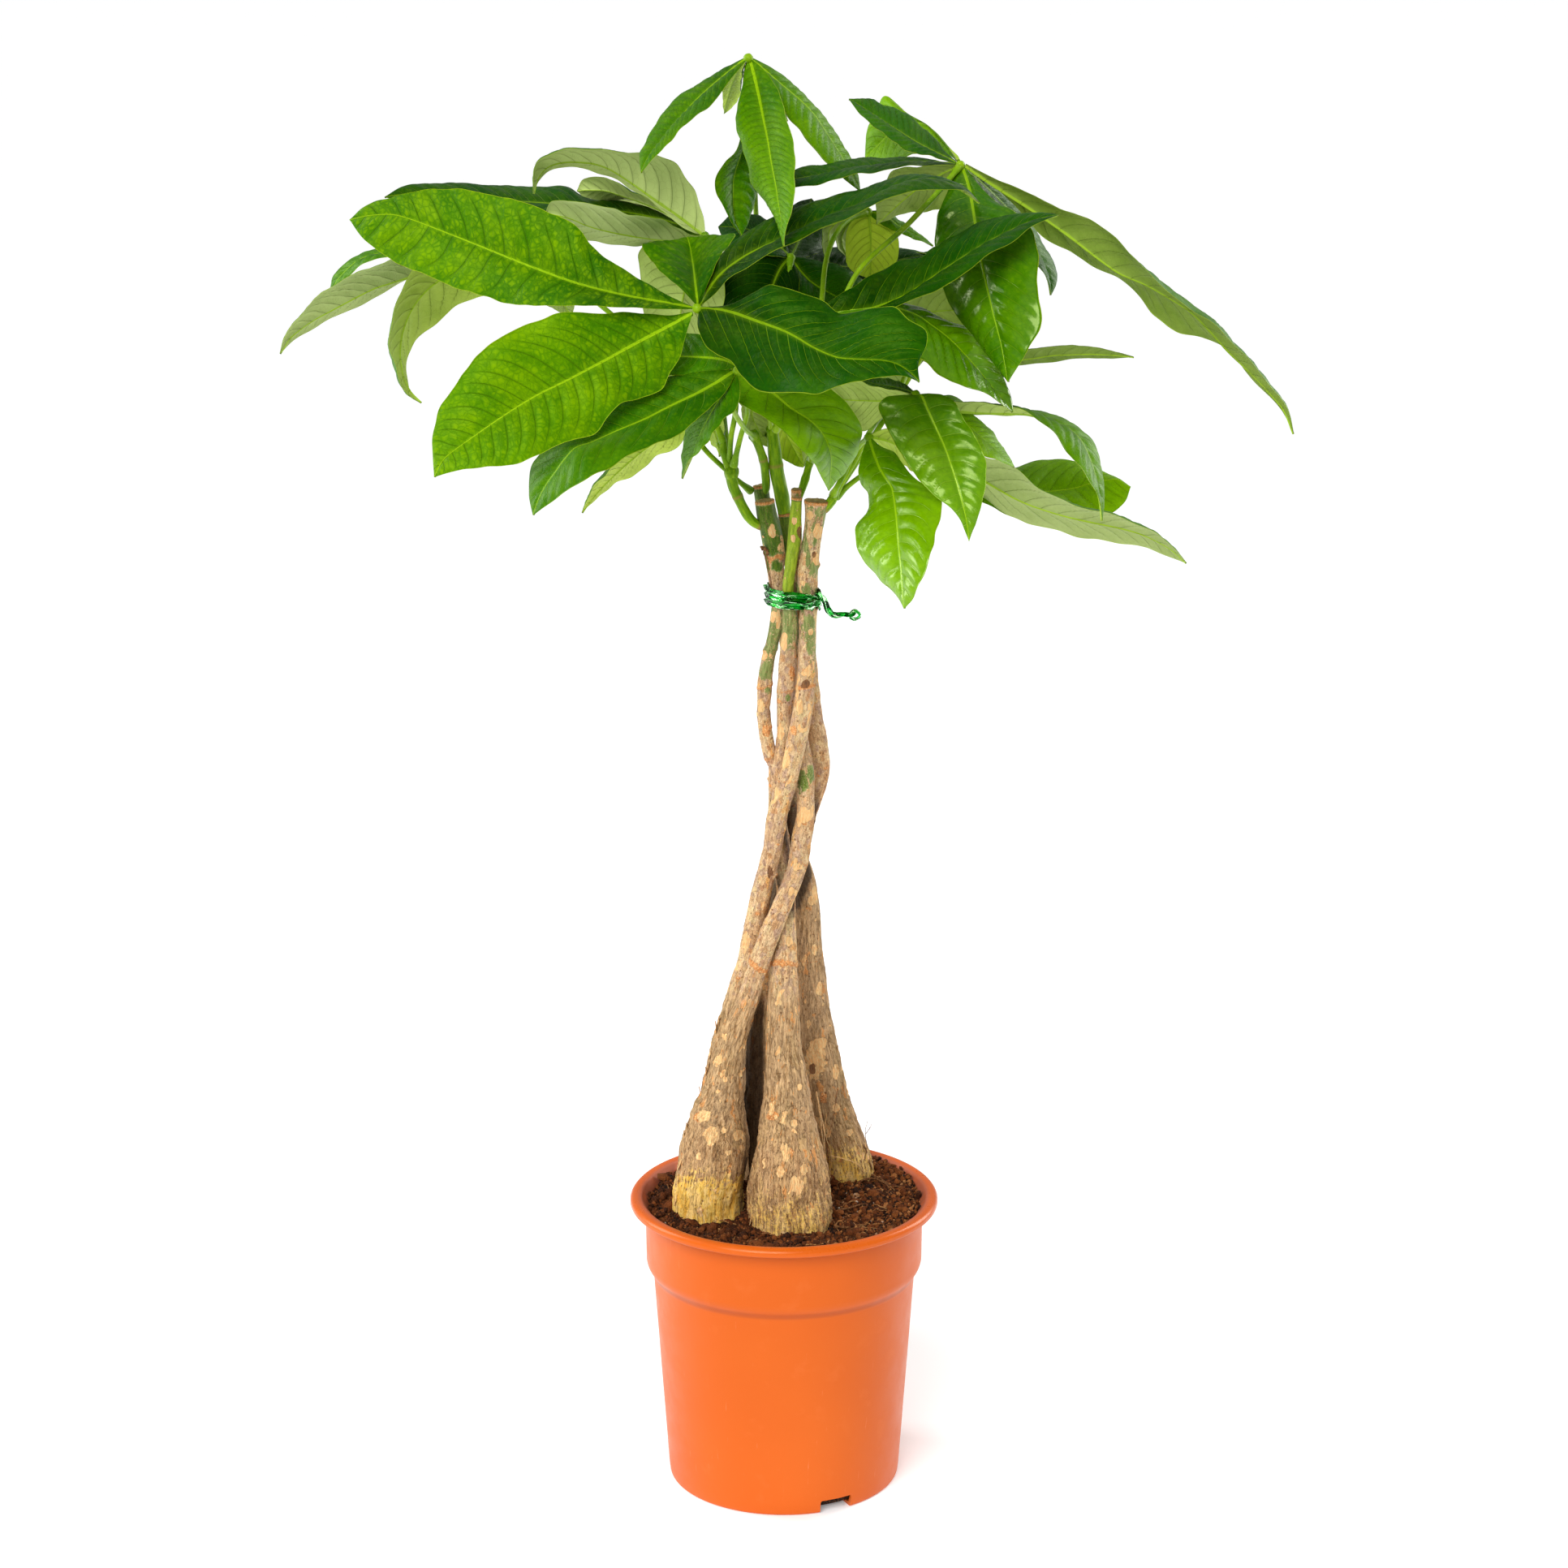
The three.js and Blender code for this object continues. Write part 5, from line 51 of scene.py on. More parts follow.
SHOOTS = {
    "S1": [[[-13.4,0,603.6,2.6],[-17.7,-1.8,606.1,2.8],[-20.9,-3,609.8,3],[-23.4,-4.1,614.1,3],[-25.6,-4.6,618.5,3],[-27.5,-5.1,623,3],[-29.5,-5.6,627.5,3.1],[-30.6,-6,632.1,3.2],[-30.9,-6,636.9,3.6]],[[-30.9,-6,636,2.6],[-31.9,-6,638.5,2.6],[-32.7,-6,641,2.5],[-33.5,-5.9,643.5,2.5],[-34.3,-5.5,646,2.4],[-35,-5.2,648.6,2.3],[-35.3,-5,651.2,2.2],[-35.5,-5,653.8,2.1],[-35.6,-5,656.5,2]]],
    "S2": [[[-13.5,16,618,2.2],[-10.9,13.1,622.8,2.4],[-10.6,11,627.8,2.5],[-11,9.4,632.9,2.5],[-11.5,7.8,638,2.5],[-12.5,6.1,643,2.5],[-14,4.4,647.9,2.5],[-15.6,3.1,652.6,2.6],[-17.6,2,657.1,2.7]]],
    "S3": [[[1,13.6,604.7,3.8],[-0.1,12.9,611.6,4.1],[-1.2,12.1,618.5,4.4],[-2.5,11.3,625.3,4.3],[-3.9,10.4,632.1,4.2],[-4.8,9.4,639,4.1],[-5.5,8.4,645.9,4.1],[-6.1,8,652.7,3.7],[-6.7,8,659.4,3.1]]],
    "S4": [[[8.1,-3,618.9,1.9],[9,-2,621.5,2],[9.9,-1.1,624,2.2],[10.9,-0.2,626.6,2.3],[11.8,0.8,629.2,2.4],[12.6,1.8,631.8,2.3],[13.4,2.9,634.4,2.2],[14.1,4,637,2.1],[14.8,5,639.6,2]]],
    "S5": [[[23.3,-9,615.3,2.6],[24.3,-9,616.1,2.6],[25.2,-9,617,2.6],[26.1,-9,618,2.7],[26.8,-9,619,2.6],[27.6,-9,620.1,2.6],[28.3,-9,621.2,2.6],[28.9,-9,622.3,2.5],[29.5,-9,623.5,2.5]]],
}
TIE_INNER = [[20.8,-9.6],[20.6,-7.9],[16.1,6.7],[11.7,16.7],[11.6,16.8],[10.8,17.8],[9.8,18.6],[9.6,18.7],[8.4,19.2],[8.3,19.2],[7,19.4],[4.5,19.1],[-6.1,15.8],[-7.3,15.3],[-7.4,15.3],[-8.4,14.5],[-9.1,13.5],[-9.2,13.4],[-9.7,12.3],[-9.7,12.1],[-9.9,10.9],[-8.1,-1.3],[-8.1,-1.5],[-7.6,-2.7],[-7.5,-2.8],[-0.7,-10.9],[0.2,-11.6],[0.3,-11.6],[12.1,-16.3],[12.2,-16.3],[13.9,-16.5],[15.6,-16.3],[15.7,-16.3],[17.3,-15.6],[17.4,-15.5],[18.8,-14.5],[19.9,-13.1],[19.9,-13],[20.6,-11.4],[20.6,-11.3]]
TIE_TAIL = [[16.8,-10,562.3],[20.1,-14,566.6],[22.9,-16,563.7],[26.3,-17,556.5],[30.6,-18,553.8],[37.8,-18,554.3],[42.1,-17,555.6],[44.5,-16,553.4],[42.6,-17,551.1],[38.7,-17,552.6]]
# compound leaves: node: (petiole points from hub to shoot, {leaflet: rows of midrib xyz, margin xyz, margin xyz})
LEAVES = {
    "leaf_front": ([[-48.4,-98,747.8],[-45.1,-85.5,742.1],[-42,-79.8,737.3],[-39.4,-79.3,733],[-36.7,-81.3,728.8],[-34.4,-82.6,724.3],[-32.8,-84.6,719.8],[-31.8,-88,715.5],[-31.2,-90.3,710.8],[-30.8,-91,705.7],[-30.4,-90.1,700.3],[-29.9,-86.3,694.5],[-29.1,-78.7,688.3],[-27.2,-66.4,681.3],[-24.5,-49.2,673.6],[-21.5,-27.3,665.6],[-17.6,-1,657.2]], {
        "H1a": [[-48.8,-98,748.2,-51.1,-98,748.7,-51.1,-98,747.3],[-61.3,-100.5,750.2,-63.3,-96.5,754,-63.7,-105.2,748.4],[-73.6,-101.7,752.4,-75,-94.4,760.4,-76.3,-110.9,749.5],[-86,-101.9,754.7,-86.7,-92.4,766.6,-88.8,-114.8,750.9],[-98.3,-101,757.3,-97.5,-91.1,774.2,-101.4,-116.4,752.3],[-110.5,-98.6,760.2,-107.8,-89.9,782.7,-114.2,-115,752],[-122.6,-94.6,763.5,-116,-87.7,792.8,-127.2,-110.8,751.1],[-134.6,-89.8,767.3,-128.1,-84.3,798.3,-140.4,-105,750.2],[-146.6,-85.1,771.2,-140.8,-80,802.8,-153.2,-99.1,750.6],[-158.6,-80.4,775.3,-153.9,-74.6,805.9,-165.9,-93.1,753.6],[-170.6,-75.3,779.4,-167.5,-68.2,807.8,-178.8,-86.3,755.8],[-182.7,-70.1,783.4,-181.3,-61.7,809.4,-191.3,-78.6,759.3],[-194.8,-65.4,787.4,-195.2,-56,809.1,-203.7,-71.2,763.3],[-207,-60.8,791.3,-209,-51.6,806.7,-216.2,-64.6,767.1],[-219.6,-56,794.2,-222.6,-48.4,802.7,-227.6,-58.8,773.2],[-232.9,-51.3,793.3,-236,-46.7,798.8,-238.2,-53.1,780.5],[-246,-46.7,790.2,-246,-46.7,790.2,-246,-46.7,790.2]],
        "H1b": [[-51.1,-98,745.1,-51.1,-97,745.8,-51.1,-99,744.3],[-60.5,-99.7,740.1,-63.6,-97.3,743.7,-54.6,-101,733.6],[-70,-101.7,735.3,-76,-99.6,745.3,-57.6,-102.6,722.7],[-79.5,-104.1,730.7,-88.3,-102.9,746.7,-63,-104.7,712.6],[-88.9,-106.8,726,-100.7,-106,745.9,-69,-108.2,703.3],[-98.2,-110,721.3,-113.1,-108.8,747.2,-79.6,-113.6,699.7],[-107.6,-113.6,716.8,-125.3,-111.7,747.2,-90.4,-119.6,698],[-116.9,-117.4,712.4,-137.2,-115.2,743.5,-98.7,-124.2,690.4],[-126.4,-121.1,708.2,-148.7,-118.8,739.6,-105.8,-128.1,681.6],[-135.8,-124.9,704.1,-159.3,-122,733.7,-116.5,-133.3,680.3],[-144.8,-129,699.4,-168.8,-124.9,725.9,-126.9,-139.7,677.4],[-153.7,-132.8,694.2,-176.6,-127.3,716.6,-137.1,-144.8,673.3],[-162.4,-135.8,688.7,-183.7,-129.4,706.4,-147.7,-147.8,669.8],[-171,-138.4,683,-191.1,-131.6,696.5,-158.9,-149.1,668.3],[-179.8,-141.2,677.1,-193.8,-134.9,685,-170.2,-149.6,666.9],[-187.8,-143.8,670.7,-194,-139.4,673.1,-181.7,-148.8,665.4],[-192.8,-146,661.7,-192.8,-146,661.7,-192.8,-146,661.7]],
        "H1c": [[-47,-98,748.2,-47.4,-99,747,-47,-97,748.5],[-38.7,-103.3,748.3,-48,-105.2,738.8,-36.3,-99,748.8],[-30.5,-108.6,747.6,-44.4,-110.8,730.3,-26.6,-102.4,752],[-22.7,-113.8,745.9,-37.8,-116.2,725.4,-17,-106.8,757.5],[-15,-119,743.9,-29.3,-121.6,722,-7.3,-111.2,762.7],[-7.2,-124.2,742,-23.9,-127.5,715,2.5,-114.6,761.3],[0.4,-129.3,739.9,-17.3,-134.5,709.8,12.5,-117.2,758.6],[7.6,-134.3,736.9,-8.3,-143.1,708.3,22.1,-119.8,754.8],[14.5,-139,733.3,1.1,-152.3,710.2,30.8,-123.7,749],[21.7,-143.4,730.4,10.4,-160.4,711.2,40.4,-130,750.7],[29.3,-147.7,728.3,19.6,-166.2,712.2,50.5,-137.7,753.9],[37.2,-151.6,728.1,28.5,-170,715.5,60.3,-144.4,756.4],[45.3,-155,728.3,37.3,-172.1,718.6,68.1,-149.1,750],[53.3,-157.9,728.4,46.3,-172.6,721,77.3,-152.6,745],[61,-160.6,727,55.5,-171.8,722.2,77.4,-155.9,735.9],[67.8,-163,723.1,64.8,-169.5,722,73,-159.6,727.3],[73.6,-165,717.9,73.6,-165,717.9,73.6,-165,717.9]],
        "H1d": [[-47.9,-98,749.2,-46.1,-98,751.4,-49.7,-98,750.5],[-48.1,-99.3,751.9,-44.6,-99.3,755.8,-52.6,-99.3,753.9],[-48.4,-99.2,754.4,-43.1,-99.2,759.9,-55.5,-99.2,757.1],[-48.7,-97.9,756.8,-41.4,-97.9,763.8,-58.7,-97.9,759.9],[-49,-95.2,758.9,-39.6,-95.2,767.4,-62,-95.2,762.3],[-49.4,-90.9,760.8,-37.8,-90.9,770.8,-65.4,-90.9,764.4],[-49.8,-85.6,762.6,-35.8,-85.6,774,-68.7,-85.6,766.6],[-50.2,-79.5,764.3,-33.7,-79.5,776.9,-71.9,-79.5,768.9],[-50.7,-72.1,765.8,-30.8,-72.1,780,-74.9,-72.1,771.2],[-51.2,-64.5,767.2,-27.6,-64.5,782.9,-78.1,-64.5,773.9],[-51.8,-58.2,768.9,-27.7,-58.2,783.2,-80.6,-58.2,776.7],[-52.3,-52.3,770.6,-32.6,-52.3,782.6,-78.2,-52.3,777.7],[-52.8,-47.1,772.5,-38,-47.1,782,-73.3,-47.1,777.9],[-53.4,-43.7,774.6,-42.5,-43.7,781.2,-69.1,-43.7,777.8],[-54.1,-41.2,776.8,-47,-41.2,780.2,-64.8,-41.2,777.7],[-55.1,-39.6,779.2,-51.5,-39.6,779,-60.4,-39.6,777.7],[-55.9,-39.2,777.6,-55.9,-39.2,777.6,-55.9,-39.2,777.6]],
        "H1e": [[-47,-98,749.6,-46.5,-99,749.3,-47.5,-97,749.9],[-41.1,-96.2,759,-38,-101.2,756.7,-45,-91.7,760.9],[-33.6,-94.5,767.2,-30.4,-103.3,765.1,-39.5,-86.6,770.6],[-24.6,-92.8,773.8,-21,-105.7,771,-32,-81.1,779.2],[-14.8,-91,779.1,-11.8,-108,777.4,-23.1,-75.7,786.3],[-4.5,-89.3,783.7,-2.4,-109.7,783.2,-12.3,-70.6,791],[5.6,-87.6,788.4,7.5,-110.6,788,-1.5,-66.1,795.6],[15.9,-85.9,792.9,17.4,-110.8,792.4,9.5,-62.2,799.8],[26.2,-84,797.3,27.6,-110.1,796.2,20.9,-58.9,803.3],[36.8,-81.8,801,37.8,-108.5,799.9,31.6,-55.8,806.8],[47.2,-79.3,805,47.4,-105.8,804.7,43.8,-53.3,807.8],[57.1,-77,810.3,56.7,-102.2,809.9,55.3,-51.9,811.4],[67.5,-75,814.6,67.4,-97.6,812.2,66.8,-52.3,814.4],[78.7,-73.4,816.7,78.4,-92,812.8,78.8,-54.6,815],[89.7,-72,814.7,89.8,-85.5,811.9,90.7,-58.3,814.1],[100.1,-70.9,809.6,101,-78.3,810.3,101.7,-63.4,810.2],[109.6,-70,802.8,109.6,-70,802.8,109.6,-70,802.8]],
    }),
    "leaf_top": ([[-20.5,10,875.3],[-19.8,33,859.7],[-19,46.7,844.7],[-18.4,52.5,830.4],[-17.8,52.4,816.7],[-17.3,47.9,803.5],[-16.8,39.2,790.8],[-16.1,26.5,778.7],[-15.4,12.2,766.9],[-14.6,-1.7,755.2],[-13.7,-13.5,743.4],[-12.4,-22.9,731.2],[-11.1,-28.3,718.5],[-10,-28.3,704.9],[-9.1,-22,690.2],[-8.3,-8.7,674],[-7.6,12.4,656.2]], {
        "H2a": [[-19.6,10,874.9,-20.5,10.9,875.2,-19.6,9,875.4],[-17.7,6.3,868.7,-22.5,7.6,868.7,-13.8,5.1,871.4],[-16,1.6,862.6,-23.6,4,862.1,-8.8,-0.7,866.7],[-14.4,-3.9,856.6,-25.2,0.2,855.6,-4.9,-8.5,861.5],[-13,-10,850.7,-27,-3.9,849.2,-2.1,-17.5,855.8],[-11.6,-17.3,844.9,-27.4,-8.8,842.7,0.2,-27.7,850.2],[-10.3,-26,839.3,-26.3,-15,836.4,2.2,-38.8,844.6],[-8.9,-35.5,833.8,-24.6,-22.2,830.3,3.9,-50,839],[-7.8,-45,828.3,-22.6,-29.9,824.4,5.3,-60.9,833.3],[-6.7,-54.8,822.9,-20.5,-38.5,818.7,6.3,-71.7,827.6],[-5.4,-65.2,817.6,-18.8,-48.2,813,6.3,-82.5,821.9],[-4.1,-75.4,812.4,-15.7,-58.6,808.1,6.1,-92.5,816.2],[-3.1,-85,807.1,-11.3,-69.1,804,5.4,-100.9,810.3],[-2,-93.9,801.7,-7.5,-80.1,799.6,4.1,-107.5,804.3],[-1.2,-102.3,796.4,-4,-92,795.2,2.5,-112.5,798.2],[-0.7,-110.4,790.9,-1.8,-104.6,790.3,0.7,-116.1,792],[-0.4,-118,785.4,-0.4,-118,785.4,-0.4,-118,785.4]],
        "H2b": [[-22.4,10,874.9,-22.4,10.8,875.7,-21.9,9.3,874],[-26.7,7.7,871.6,-27.6,11.6,872.8,-25.3,3.8,870.2],[-31,5.1,868.4,-32.9,12.2,869.9,-28.7,-1.9,866.6],[-35.3,2.3,865.2,-38.1,12.5,867,-32.2,-7.8,863],[-39.5,-0.8,862,-43.2,12,864.1,-35.5,-13.6,859.2],[-43.7,-4.3,858.8,-48.3,10.8,861.1,-38.6,-19.2,855.4],[-47.8,-8,855.4,-53.3,8.6,858.2,-42.1,-24.6,851.9],[-51.6,-11.8,851.9,-58.2,5.9,855.1,-46.1,-29.8,848.9],[-55.3,-15.8,848.3,-63,2.6,852,-50.3,-34.7,846],[-58.9,-20,844.7,-67,-1.4,848.2,-54.7,-39.4,843.4],[-62.4,-24.8,841.1,-70.7,-6.3,844.1,-58.7,-44.1,840.5],[-65.8,-30,837.4,-73.7,-12.4,839.8,-62.3,-48.4,837],[-69.1,-35.5,833.7,-75.9,-19.7,835.2,-65.8,-52,833.4],[-72.5,-41.1,830.2,-78.8,-28.1,831.1,-69.4,-54.7,829.7],[-75.6,-46.7,826.5,-81.7,-37.4,827.2,-73,-56.6,826],[-78.2,-52.4,822.4,-81.4,-47.3,822.8,-76.6,-57.8,822.1],[-80.3,-58.2,818.2,-80.3,-58.2,818.2,-80.3,-58.2,818.2]],
        "H2c": [[-19.1,10,874.9,-19.1,9.2,874,-18.6,10.7,875.7],[-14.4,9.1,871,-15.2,5.1,869.7,-12.9,12.9,872.7],[-9.6,8.1,867,-11.4,1.1,865.3,-7.4,15.1,869.3],[-4.9,7.2,863.1,-7.5,-2.8,860.9,-2.2,17.3,865.3],[-0.1,6.2,859.2,-4,-6.2,856.2,2.9,19.2,861.3],[4.8,5.3,855.4,-1.4,-8.8,851,7.7,20.5,857],[9.6,4.4,851.5,1.2,-10.9,845.6,12,21.3,852.2],[14,3.6,847.3,4.5,-12.7,840.8,16.1,21.7,847.2],[18.1,2.7,842.7,8.6,-14.4,836.4,20.2,21.8,842.2],[21.5,1.8,837.6,12.7,-15.9,832,24.2,21.3,837.2],[24.9,0.8,832.5,16.8,-17.1,827.6,28.1,20.1,832.3],[28.3,-0.4,827.4,21,-17.6,823.2,31.9,17.9,827.3],[31.7,-1.9,822.4,25.1,-17.4,818.5,35.4,14.5,822.4],[34.9,-3.6,817.2,29.3,-16.5,814,38.5,9.9,817.4],[38,-5.6,812.1,33.8,-14.9,809.7,41.2,4.2,812.2],[41,-7.7,806.8,38.7,-12.9,805.6,43,-2.3,807],[43.8,-10,801.6,43.8,-10,801.6,43.8,-10,801.6]],
        "H2d": [[-21.9,10,875.3,-21.4,9.8,874.4,-22.4,10.6,875.7],[-23.1,15.2,873,-22.4,12.1,872.2,-24,18.6,873.3],[-24.2,20.7,870.7,-23.3,14.6,870,-25.7,26.8,870.8],[-25.3,26.3,868.3,-24,17.6,867.7,-27.2,35,868.3],[-26.4,32.1,865.8,-24.6,21.1,865.3,-28.7,43,865.7],[-27.4,38,863.3,-24.9,25.2,862.8,-30.2,50.8,863.1],[-28.4,44.2,860.8,-25.1,30,860.2,-31.6,58.4,860.5],[-29.3,50.7,858.2,-25.2,35.6,857.4,-33.2,65.9,857.8],[-30.2,57.5,855.5,-25.4,41.9,854.6,-34.7,73.2,855.1],[-31.1,64.3,852.8,-25.6,48.6,851.8,-36,80.2,852.3],[-31.8,70.8,850,-26,55.4,849.2,-36.6,86.5,849.6],[-32.5,77,847.3,-26.8,62.4,846.6,-36.7,91.9,846.8],[-33.2,82.9,844.6,-28,69.8,844,-36.8,96.4,844.1],[-33.9,88.7,841.9,-29.5,77.8,841.4,-36.7,99.9,841.5],[-34.5,94.3,839.2,-31.3,86.4,838.8,-36.5,102.4,838.8],[-35,99.8,836.4,-33.3,95.4,836.2,-36.1,104.2,836.2],[-35.5,105,833.7,-35.5,105,833.7,-35.5,105,833.7]],
        "H2e": [[-19.6,10,875.3,-20,10.2,874.4,-19.1,9.4,875.8],[-18.1,14.9,872.7,-19.1,18,871.2,-17.1,11.6,873.8],[-16.6,20.1,870.1,-18,26.1,868.1,-15.2,14.1,871.6],[-15.1,25.7,867.4,-17,34.3,864.9,-13.3,17.1,869.4],[-13.7,31.7,864.6,-15.9,42.6,861.7,-11.5,20.7,867],[-12.2,37.9,861.8,-14.8,50.7,858.6,-9.8,25,864.5],[-10.7,44.5,859,-13.7,58.8,855.4,-8.2,30.2,861.9],[-9.2,52,856,-12.5,67.3,852.1,-6.6,36.7,859.1],[-7.6,60,853,-11.4,75.8,848.8,-4.9,44,856.1],[-6.1,68,850,-10.1,84,845.6,-3.4,51.7,853],[-4.7,75.5,846.9,-8.8,91.3,842.5,-2,59.4,849.8],[-3.4,82.1,843.9,-7.3,97.2,839.7,-0.9,66.9,846.5],[-2.2,88.3,840.8,-5.7,101.8,837.1,-0.1,74.6,843.2],[-1,94.3,837.7,-4,105.5,834.6,0.6,82.9,839.7],[0,99.9,834.6,-2.1,108,832.3,1.2,91.6,836],[1,105.1,831.5,-0.1,109.6,830.2,1.7,100.5,832.2],[2,110,828.3,2,110,828.3,2,110,828.3]],
        "H2f": [[-20.5,10,875.3,-21.4,9.5,875.4,-19.1,10.2,875.3],[-19.2,14.9,868.5,-22.9,12,868.4,-16.6,17.9,868.5],[-18.5,18.7,861.7,-23.8,13,861.5,-14.5,24.6,861.6],[-18.3,21.1,855,-23.8,12.4,854.7,-13,29.9,854.8],[-18.8,22,848.4,-23.8,10.3,848,-11.6,33.2,847.9],[-19.6,21.4,841.9,-23.8,7.3,841.4,-10.6,34.4,841.2],[-20.7,19.7,835.7,-24.3,3.9,834.9,-10.4,34,834.7],[-22.3,17.4,829.7,-26,0.7,828.2,-10.6,32.3,828.2],[-24.3,15,823.7,-28.7,-2,822.6,-11.1,29.8,821.9],[-26.2,11.9,817.7,-33.8,-4.7,818.2,-11.7,26.1,815.7],[-28.2,8,811.9,-37.4,-7.7,812.6,-12.7,21.1,809.7],[-29.5,3.8,806.1,-39.2,-10.6,806.3,-14.1,15.5,803.9],[-29.5,0,800,-38.9,-12.7,799.9,-15.4,9.8,798.1],[-29.5,-3.3,793.9,-35.1,-13.7,794,-16.9,4.1,792.4],[-29,-6.4,787.9,-32,-13.9,787.8,-18.8,-1.7,786.9],[-27.1,-9.3,782,-28.6,-13.5,781.8,-21.3,-6.9,781.5],[-24.3,-12,776.2,-24.3,-12,776.2,-24.3,-12,776.2]],
    }),
    "leaf_upper_left": ([[-45.9,-4.7,775.2],[-44.9,-6.5,767.2],[-43.7,-7.6,759],[-42.4,-9.2,751],[-40.7,-11.1,743.1],[-38.8,-11.9,735],[-36.8,-12.5,726.9],[-34.9,-14.3,719],[-33.2,-17.9,711.3],[-31.3,-21.3,703.6],[-29.5,-22.6,695.5],[-28.2,-22.8,687.2],[-27.8,-21.7,678.6],[-29,-18.9,669.7],[-30.7,-14.9,660.6],[-31.5,-10.3,651.2],[-31.9,-4.9,641.6]], {
        "H3a": [[-45.9,-4.7,775.7,-46.9,-3.7,775.1,-45.4,-5.7,776.3],[-52,-5.5,780.2,-53.9,-0.9,777.3,-46.2,-7.5,785.8],[-58.1,-6.1,784.9,-60.3,1.8,780.2,-48.9,-8.9,794.7],[-64.1,-6.7,789.5,-66,4.8,784.4,-51.3,-10.7,804],[-70.3,-7.1,793.8,-71.3,8,789.3,-56.5,-13.3,810.7],[-76.4,-7.3,798.3,-76.9,11.5,793.8,-61.8,-17.4,818.3],[-82.4,-7.2,802.8,-83.2,15.2,797.1,-70.1,-23,822.7],[-88.5,-7.3,807.2,-89.9,18.1,800,-78.8,-28.6,825.4],[-94.8,-7.8,811.5,-96.4,19.7,803.2,-87.7,-33,827],[-101.3,-8.4,815.2,-103,20,806.4,-96.7,-35.7,828.1],[-108.5,-9.1,817.6,-109.9,19.2,809,-105.8,-36.8,828.4],[-115.9,-10.1,818.6,-116.7,17,811.7,-114.9,-36.7,828.4],[-123.4,-11.7,819,-123.4,12.6,814.1,-124.1,-35.6,827.9],[-131.2,-13.9,818,-130.1,6.1,813,-133.2,-33.6,826.3],[-136.8,-16.7,815.5,-136.4,-2.2,811.1,-140.6,-30.9,821.1],[-140.9,-20,810.1,-140.9,-12,807.2,-142.8,-27.8,811.7],[-143.2,-23.9,802,-143.2,-23.9,802,-143.2,-23.9,802]],
        "H3b": [[-46.9,-4.7,775.2,-46.9,-3.7,774.2,-46.8,-5.7,775.8],[-52.2,-13.1,774.2,-52.6,-7.9,772.6,-52.6,-17.8,777.6],[-57.7,-20.9,774.7,-58.3,-11.9,771.6,-57.8,-29,782],[-63.3,-28.2,775.9,-64.2,-15.5,771.4,-63,-39.6,786],[-68.9,-34.8,777.2,-70.2,-18.8,771.4,-68.2,-49.4,789.8],[-74.4,-40.9,778.7,-76.1,-22,771.6,-73.6,-58.2,792.8],[-79.9,-46.3,780.3,-82,-25.2,772.2,-79.2,-65.9,794.9],[-85.4,-51.4,781.8,-87.9,-28.8,773.2,-84.8,-72.6,796.9],[-90.8,-56,783.4,-93.7,-32.5,774.3,-90.4,-78.2,798.8],[-96.2,-60,785.1,-99.6,-36.2,775.2,-96,-82.5,800.7],[-101.7,-63.2,786.8,-105.5,-40,776,-101.6,-85.2,802.4],[-107,-65.5,788.6,-111.1,-43.9,777.2,-107.3,-86.1,803.9],[-112.3,-67.4,790.7,-116.5,-48.4,779.8,-113,-85.2,805.5],[-117.4,-68.9,793.2,-121.5,-53.6,783.5,-118.9,-82.8,806.2],[-122.6,-70,795.1,-126,-59.3,787.5,-125.3,-79.1,805.6],[-128.1,-70.7,796.5,-130,-65,792.2,-130.6,-75.2,803.9],[-133.7,-71,797.5,-133.7,-71,797.5,-133.7,-71,797.5]],
        "H3c": [[-46.9,-4.7,776.2,-46.9,-4.7,775.2,-46.8,-4.7,777.1],[-51,0.8,778.3,-51.4,3.4,776.4,-50.8,-1.7,780.4],[-55.2,6.1,780.2,-55.9,11.2,777.5,-55,1.1,783.3],[-59.5,11,782.1,-60.5,18.4,778.7,-59.4,3.7,786],[-63.9,15.4,783.9,-65.1,25,780,-64.1,6,788.2],[-68.4,19.4,785.6,-69.7,30.6,781.4,-69,8.2,790.3],[-73,22.8,787.3,-74.4,35.4,782.8,-73.9,10.4,792.2],[-77.6,26.1,788.8,-79.1,39.6,784.1,-78.7,12.8,794.3],[-82.3,29.2,790.2,-83.9,43.1,785.3,-83.6,15.5,796.4],[-87.1,31.9,791.6,-88.8,45.9,786.5,-88.4,18.2,798.5],[-91.9,34.1,792.8,-93.7,47.7,787.4,-93.3,20.9,800.4],[-96.7,35.7,794.2,-98.6,48.2,788.2,-98.3,23.8,802.7],[-101.5,37,795.6,-103.5,47.7,788.9,-103.3,27.4,804.5],[-106.4,38.3,796.4,-108.4,46.3,789.8,-108.8,31.6,804.4],[-111.4,39.5,796.3,-113.4,44.4,790.7,-114.6,35.8,803.9],[-116.4,40.4,796.1,-118.1,42.8,792,-118.6,38.9,801.8],[-121.5,41.2,795.6,-121.5,41.2,795.6,-121.5,41.2,795.6]],
